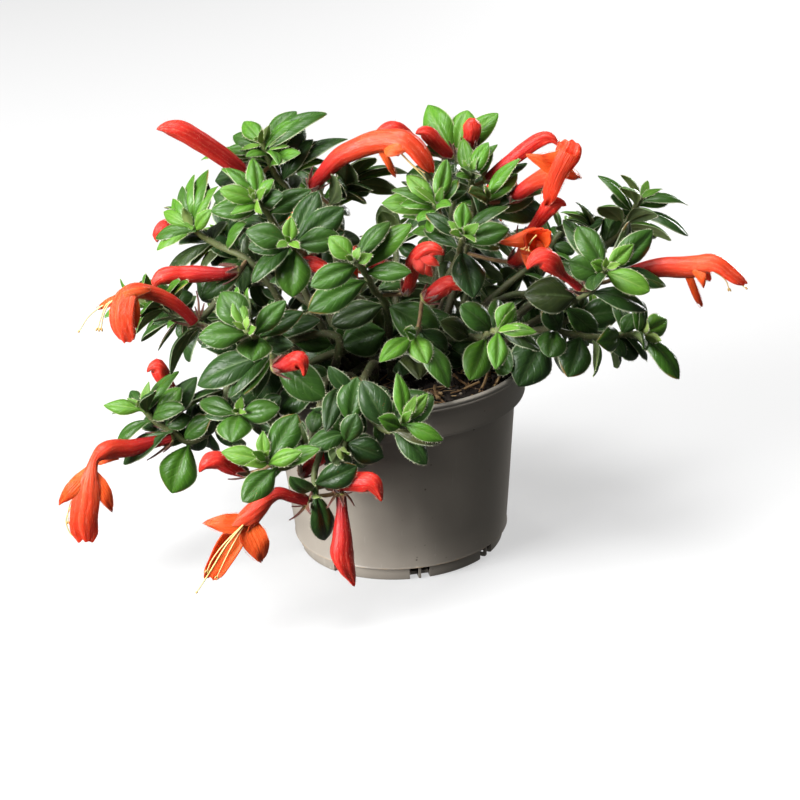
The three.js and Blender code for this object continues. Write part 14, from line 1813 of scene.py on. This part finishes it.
def stem_material():
    m, nt, b = mat("stem")
    oc = obj_coord(nt)
    age, rnd, u = attr(nt, "age"), attr(nt, "rnd"), attr(nt, "u")
    # colour along each stem: green at the tip to dark brown at the base; the dark base end is partly older stem and
    # partly painted shade for stems inside the foliage
    c = ramp(nt, age, [(0.0, (0.15, 0.19, 0.055)), (0.3, (0.095, 0.105, 0.036)), (0.7, (0.065, 0.058, 0.028)), (1.0, (0.045, 0.036, 0.024))])
    c = mix(nt, ramp(nt, noise(nt, 130, 3.0, 0.6, oc), [(0.42, (0, 0, 0)), (0.62, (1, 1, 1))]), c, (0.075, 0.10, 0.032))
    c = mix(nt, ramp(nt, noise(nt, 800, 3.0, 0.6, oc), [(0.5, (0, 0, 0)), (0.75, (0.5, 0.5, 0.5))]), c, (0.15, 0.12, 0.07))
    nt.links.new(c, b.inputs["Base Color"])
    b.inputs["Roughness"].default_value = 0.6
    b.inputs["Subsurface Weight"].default_value = 0.1
    b.inputs["Subsurface Scale"].default_value = 0.001
    bump(nt, b, noise(nt, 1100, 4.0, 0.65, oc), 0.6, 0.0003)
    return m


def hair_material(name, lo, hi):
    m, nt, b = mat(name)
    c = ramp(nt, attr(nt, "u"), [(0.0, lo), (1.0, hi)])
    nt.links.new(c, b.inputs["Base Color"])
    b.inputs["Roughness"].default_value = 0.55
    b.inputs["Subsurface Weight"].default_value = 0.0
    b.inputs["Sheen Weight"].default_value = 0.3
    return m


def corolla_material():
    m, nt, b = mat("corolla")
    oc = obj_coord(nt)
    u, k, age, rnd, side = (attr(nt, x) for x in ("u", "k", "age", "rnd", "side"))
    opened = ramp(nt, u, [(0.0, (0.22, 0.008, 0.011)), (0.2, (0.37, 0.013, 0.011)), (0.42, (0.60, 0.042, 0.018)), (0.62, (0.67, 0.066, 0.022)), (0.84, (0.63, 0.046, 0.014)), (1.0, (0.58, 0.034, 0.012))])
    closed = ramp(nt, u, [(0.0, (0.20, 0.008, 0.011)), (0.3, (0.36, 0.013, 0.013)), (0.7, (0.54, 0.023, 0.016)), (1.0, (0.56, 0.032, 0.020))])
    c = mix(nt, ramp(nt, age, [(0.3, (0, 0, 0)), (0.8, (1, 1, 1))]), opened, closed)
    # fine veins along the corolla, paler and pinkish on the hood
    w = nt.nodes.new("ShaderNodeTexWave")
    w.wave_type, w.bands_direction = "BANDS", "X"
    w.inputs["Scale"].default_value = 1.9
    w.inputs["Distortion"].default_value = 3.2
    w.inputs["Detail"].default_value = 3.0
    w.inputs["Detail Scale"].default_value = 2.2
    nt.links.new(combine(nt, k, math_(nt, "MULTIPLY", u, 1.6), rnd), w.inputs["Vector"])
    vein = ramp(nt, w.outputs["Fac"], [(0.72, (0, 0, 0)), (1.0, (1, 1, 1))])
    hood = ramp(nt, u, [(0.25, (0.25, 0.25, 0.25)), (0.75, (1, 1, 1))])
    streak = math_(nt, "MULTIPLY", math_(nt, "MULTIPLY", vein, hood), ramp(nt, noise(nt, 420, 3.0, 0.65, oc), [(0.35, (0, 0, 0)), (0.65, (1, 1, 1))]))
    c = mix(nt, math_(nt, "MULTIPLY", streak, 0.30), c, (0.86, 0.22, 0.15))
    dark = ramp(nt, w.outputs["Fac"], [(0.02, (1, 1, 1)), (0.25, (0, 0, 0))])
    c = mix(nt, math_(nt, "MULTIPLY", dark, 0.15), c, mix(nt, 1.0, c, (0.72, 0.35, 0.5), "MULTIPLY"))
    c = mix(nt, ramp(nt, noise(nt, 150, 3.0, 0.6, oc), [(0.35, (0, 0, 0)), (0.75, (0.55, 0.55, 0.55))]), c, mix(nt, 1.0, c, (1.15, 1.5, 1.3), "MULTIPLY"))
    # orange inside of the throat and the lobes
    inner = ramp(nt, u, [(0.4, (0.90, 0.24, 0.030)), (0.8, (0.88, 0.13, 0.020)), (1.0, (0.86, 0.10, 0.018))])
    c = mix(nt, ramp(nt, side, [(0.35, (0, 0, 0)), (0.65, (1, 1, 1))]), c, mix(nt, 0.25, inner, c))
    nt.links.new(c, b.inputs["Base Color"])
    nt.links.new(mix(nt, ramp(nt, noise(nt, 700, 3.0, 0.6, oc), [(0.3, (0, 0, 0)), (0.7, (1, 1, 1))]), (0.31, 0.31, 0.31), (0.48, 0.48, 0.48)), b.inputs["Roughness"])
    b.inputs["Specular IOR Level"].default_value = 0.22
    b.inputs["Subsurface Weight"].default_value = 0.5
    b.inputs["Subsurface Radius"].default_value = (1.0, 0.28, 0.12)
    b.inputs["Subsurface Scale"].default_value = 0.0022
    wr = nt.nodes.new("ShaderNodeMapping")
    wr.inputs["Scale"].default_value = (7.0, 9.0, 1.0)
    nt.links.new(combine(nt, k, u, rnd), wr.inputs["Vector"])
    h = math_(nt, "ADD", math_(nt, "MULTIPLY", w.outputs["Fac"], 0.16), math_(nt, "MULTIPLY", noise(nt, 1500, 3.0, 0.6, oc), 0.35))
    h = math_(nt, "ADD", h, math_(nt, "MULTIPLY", noise(nt, 1.0, 3.0, 0.6, wr.outputs[0]), 2.2))
    bump(nt, b, h, 0.6, 0.0004)
    return m


def calyx_material():
    m, nt, b = mat("calyx")
    oc = obj_coord(nt)
    u, age = attr(nt, "u"), attr(nt, "age")
    c = ramp(nt, u, [(0.0, (0.20, 0.17, 0.045)), (0.25, (0.15, 0.06, 0.028)), (0.7, (0.11, 0.022, 0.018)), (1.0, (0.085, 0.018, 0.014))])
    c = mix(nt, ramp(nt, noise(nt, 300, 3.0, 0.6, oc), [(0.4, (0, 0, 0)), (0.65, (1, 1, 1))]), c, mix(nt, 1.0, c, (1.5, 1.9, 1.6), "MULTIPLY"))
    nt.links.new(c, b.inputs["Base Color"])
    b.inputs["Roughness"].default_value = 0.55
    b.inputs["Sheen Weight"].default_value = 0.3
    bump(nt, b, noise(nt, 1300, 3.0, 0.6, oc), 0.5, 0.0003)
    return m


def thread_material():
    m, nt, b = mat("style and filaments")
    c = ramp(nt, math_(nt, "DIVIDE", attr(nt, "age"), 1.6), [(0.0, (0.78, 0.55, 0.24)), (0.62, (0.72, 0.66, 0.26)), (1.0, (0.50, 0.58, 0.14))])
    c = mix(nt, ramp(nt, attr(nt, "u"), [(0.0, (0.7, 0.7, 0.7)), (0.5, (0, 0, 0))]), c, (0.80, 0.28, 0.10))
    nt.links.new(c, b.inputs["Base Color"])
    b.inputs["Roughness"].default_value = 0.45
    b.inputs["Subsurface Weight"].default_value = 0.2
    b.inputs["Subsurface Scale"].default_value = 0.0005
    return m


def anther_material():
    m, nt, b = mat("anthers")
    c = mix(nt, noise(nt, 1500, 2.0, 0.5, obj_coord(nt)), (0.40, 0.20, 0.05), (0.62, 0.42, 0.14))
    nt.links.new(c, b.inputs["Base Color"])
    b.inputs["Roughness"].default_value = 0.7
    return m


def pot_material():
    m, nt, b = mat("moulded pot plastic")
    oc = obj_coord(nt)
    u = attr(nt, "u")
    c = mix(nt, ramp(nt, noise(nt, 22, 4.0, 0.6, oc), [(0.3, (0, 0, 0)), (0.7, (1, 1, 1))]), PC[0], PC[1])
    # the lip band is paler
    c = mix(nt, math_(nt, "MULTIPLY", ramp(nt, u, [(0.964, (0, 0, 0)), (0.985, (1, 1, 1))]), 0.55), c, (0.30, 0.285, 0.245))
    # fine vertical flow marks and dusty film
    vs = nt.nodes.new("ShaderNodeMapping")
    vs.inputs["Scale"].default_value = (1, 1, 0.12)
    nt.links.new(oc, vs.inputs["Vector"])
    flow = noise(nt, 190, 3.0, 0.6, vs.outputs[0])
    c = mix(nt, math_(nt, "MULTIPLY", ramp(nt, flow, [(0.45, (0, 0, 0)), (0.75, (1, 1, 1))]), 0.22), c, (0.26, 0.235, 0.20))
    # dirt specks and pale scuffs near the foot
    vor = nt.nodes.new("ShaderNodeTexVoronoi")
    vor.inputs["Scale"].default_value = 260
    nt.links.new(oc, vor.inputs["Vector"])
    sp = math_(nt, "MULTIPLY", ramp(nt, vor.outputs["Distance"], [(0.07, (1, 1, 1)), (0.15, (0, 0, 0))]), ramp(nt, noise(nt, 60, 2.0, 0.6, oc), [(0.55, (0, 0, 0)), (0.68, (1, 1, 1))]))
    c = mix(nt, math_(nt, "MULTIPLY", sp, 0.85), c, (0.035, 0.025, 0.018))
    vor2 = nt.nodes.new("ShaderNodeTexVoronoi")
    vor2.inputs["Scale"].default_value = 190
    nt.links.new(oc, vor2.inputs["Vector"])
    low = ramp(nt, u, [(0.02, (1, 1, 1)), (0.35, (0.15, 0.15, 0.15))])
    sc = math_(nt, "MULTIPLY", math_(nt, "MULTIPLY", ramp(nt, vor2.outputs["Distance"], [(0.06, (1, 1, 1)), (0.16, (0, 0, 0))]), low), ramp(nt, noise(nt, 75, 2.0, 0.6, oc), [(0.50, (0, 0, 0)), (0.60, (1, 1, 1))]))
    c = mix(nt, math_(nt, "MULTIPLY", sc, 0.7), c, (0.42, 0.38, 0.31))
    # the tan burr line where body and base ring meet
    line = math_(nt, "SUBTRACT", 1.0, math_(nt, "MULTIPLY", math_(nt, "ABSOLUTE", math_(nt, "SUBTRACT", u, 6.75 / 87.3)), 190.0), clamp=True)
    line = math_(nt, "MULTIPLY", line, ramp(nt, noise(nt, 160, 3.0, 0.6, oc), [(0.42, (0, 0, 0)), (0.58, (1, 1, 1))]))
    c = mix(nt, math_(nt, "MULTIPLY", line, 0.75), c, (0.36, 0.24, 0.13))
    # short scratches
    sm = nt.nodes.new("ShaderNodeMapping")
    sm.inputs["Scale"].default_value = (1, 1, 0.05)
    sm.inputs["Rotation"].default_value = (0.35, 0.2, 0.0)
    nt.links.new(oc, sm.inputs["Vector"])
    scr = ramp(nt, noise(nt, 620, 1.0, 0.4, sm.outputs[0]), [(0.70, (0, 0, 0)), (0.76, (1, 1, 1))])
    c = mix(nt, math_(nt, "MULTIPLY", scr, 0.22), c, (0.40, 0.37, 0.32))
    nt.links.new(c, b.inputs["Base Color"])
    r = mix(nt, ramp(nt, noise(nt, 45, 4.0, 0.6, oc), [(0.3, (0, 0, 0)), (0.7, (1, 1, 1))]), (0.34, 0.34, 0.34), (0.47, 0.47, 0.47))
    r = mix(nt, math_(nt, "MULTIPLY", math_(nt, "ADD", scr, sc), 0.5, clamp=True), r, (0.7, 0.7, 0.7))
    nt.links.new(r, b.inputs["Roughness"])
    b.inputs["Specular IOR Level"].default_value = 0.5
    h = math_(nt, "ADD", math_(nt, "MULTIPLY", flow, 0.5), math_(nt, "MULTIPLY", noise(nt, 2400, 2.0, 0.5, oc), 0.25))
    bump(nt, b, h, 0.22, 0.0002)
    return m


def soil_material():
    m, nt, b = mat("peat mix")
    oc = obj_coord(nt)
    rnd, age = attr(nt, "rnd"), attr(nt, "age")
    c = mix(nt, ramp(nt, noise(nt, 420, 5.0, 0.7, oc), [(0.35, (0, 0, 0)), (0.7, (1, 1, 1))]), (0.007, 0.0055, 0.0045), (0.034, 0.022, 0.015))
    c = mix(nt, math_(nt, "MULTIPLY", age, 0.5), c, (0.030, 0.018, 0.011))
    c = mix(nt, ramp(nt, rnd, [(0.93, (0, 0, 0)), (0.96, (1, 1, 1))]), c, (0.25, 0.20, 0.15))
    nt.links.new(c, b.inputs["Base Color"])
    b.inputs["Roughness"].default_value = 0.92
    bump(nt, b, noise(nt, 900, 5.0, 0.7, oc), 1.0, 0.0008)
    return m


def straw_material():
    m, nt, b = mat("roots and straw")
    c = ramp(nt, attr(nt, "rnd"), [(0.0, (0.16, 0.085, 0.035)), (0.4, (0.34, 0.20, 0.085)), (0.75, (0.46, 0.31, 0.15)), (1.0, (0.09, 0.05, 0.03))])
    c = mix(nt, noise(nt, 500, 3.0, 0.6, obj_coord(nt)), c, mix(nt, 1.0, c, (0.5, 0.45, 0.4), "MULTIPLY"))
    nt.links.new(c, b.inputs["Base Color"])
    b.inputs["Roughness"].default_value = 0.75
    return m


# ---------------------------------------------------------------- build
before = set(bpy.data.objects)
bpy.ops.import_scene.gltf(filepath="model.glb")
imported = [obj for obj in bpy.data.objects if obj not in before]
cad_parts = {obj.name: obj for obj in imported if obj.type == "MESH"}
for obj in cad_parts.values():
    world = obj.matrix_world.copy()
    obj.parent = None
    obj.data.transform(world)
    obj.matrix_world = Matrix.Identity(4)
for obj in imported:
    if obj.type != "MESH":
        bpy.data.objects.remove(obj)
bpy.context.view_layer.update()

M_LEAF, M_STEM, M_HAIR = leaf_material(), stem_material(), hair_material("leaf hairs", (0.58, 0.64, 0.42), (0.62, 0.50, 0.36))
M_COR, M_CAL, M_FHAIR = corolla_material(), calyx_material(), hair_material("flower hairs", (0.55, 0.28, 0.20), (0.80, 0.26, 0.17))
M_THREAD, M_ANTHER = thread_material(), anther_material()
M_POT, M_SOIL, M_STRAW = pot_material(), soil_material(), straw_material()

pot = make_pot()
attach(pot, "root")
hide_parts("nursery_pot")

soil = make_soil(np.random.default_rng(7))
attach(soil, "root")
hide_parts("soil")

for i, name in enumerate(sorted(set(s[0] for s in STEMS))):
    ob = shoot(name, np.random.default_rng(100 + i))
    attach(ob, "root")
    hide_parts(name)

for i, name in enumerate(sorted(FLOWERS)):
    ob = flower(name, FLOWERS[name], np.random.default_rng(300 + i))
    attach(ob, "root")
    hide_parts(name)

# ---------------------------------------------------------------- stage
me = bpy.data.meshes.new("floor")
me.from_pydata([(-6, -6, 0), (6, -6, 0), (6, 6, 0), (-6, 6, 0)], [], [(0, 1, 2, 3)])
floor = bpy.data.objects.new("floor", me)
bpy.context.scene.collection.objects.link(floor)
fm, fnt, fb = mat("pale floor")
fb.inputs["Base Color"].default_value = (0.28, 0.28, 0.28, 1)
fb.inputs["Roughness"].default_value = 0.9
fb.inputs["Specular IOR Level"].default_value = 0.0
fb.inputs["Emission Color"].default_value = (1, 1, 1, 1)
fb.inputs["Emission Strength"].default_value = FLOOR_GLOW
me.materials.append(fm)
floor.visible_diffuse = False
floor.visible_glossy = False

world = bpy.data.worlds.new("studio")
world.use_nodes = True
bg = world.node_tree.nodes["Background"]
bg.inputs["Color"].default_value = (1.0, 1.0, 1.0, 1)
bg.inputs["Strength"].default_value = WORLD
bpy.context.scene.world = world


def area(name, at, target, size, power, colour=(1, 1, 1)):
    li = bpy.data.lights.new(name, "AREA")
    li.shape, li.size, li.size_y = "RECTANGLE", size[0], size[1]
    li.energy, li.color = power, colour
    ob = bpy.data.objects.new(name, li)
    bpy.context.scene.collection.objects.link(ob)
    ob.location = at
    ob.rotation_euler = (Vector(target) - Vector(at)).to_track_quat("-Z", "Y").to_euler()
    return ob


for spec in LIGHTS:
    area(*spec)

# ---------------------------------------------------------------- camera at the photograph's viewing angle
elev, roll, dist, focal = rad(22.61), rad(2.92), 1000.0, 2169.4
se, ce, sr, cr = math.sin(elev), math.cos(elev), math.sin(roll), math.cos(roll)
R0, U0, F0 = Vector((1, 0, 0)), Vector((0, se, ce)), Vector((0, ce, -se))
R1, U1 = cr * R0 - sr * U0, sr * R0 + cr * U0
C = (-0.82 * R1 + 61.78 * U1 - dist * F0) * MM
cam = bpy.data.cameras.new("camera")
cam.sensor_fit, cam.sensor_width, cam.sensor_height = "HORIZONTAL", 36.0, 36.0
cam.lens = 36.0 * focal / 800.0
cam.clip_start, cam.clip_end = 0.01, 50
camera = bpy.data.objects.new("camera", cam)
bpy.context.scene.collection.objects.link(camera)
camera.matrix_world = Matrix(((R1.x, U1.x, -F0.x, C.x), (R1.y, U1.y, -F0.y, C.y), (R1.z, U1.z, -F0.z, C.z), (0, 0, 0, 1)))
bpy.context.scene.camera = camera
vs = bpy.context.scene.view_settings
vs.view_transform, vs.look, vs.exposure, vs.gamma = "Standard", "None", EXPOSURE, 1.0

bpy.context.view_layer.update()
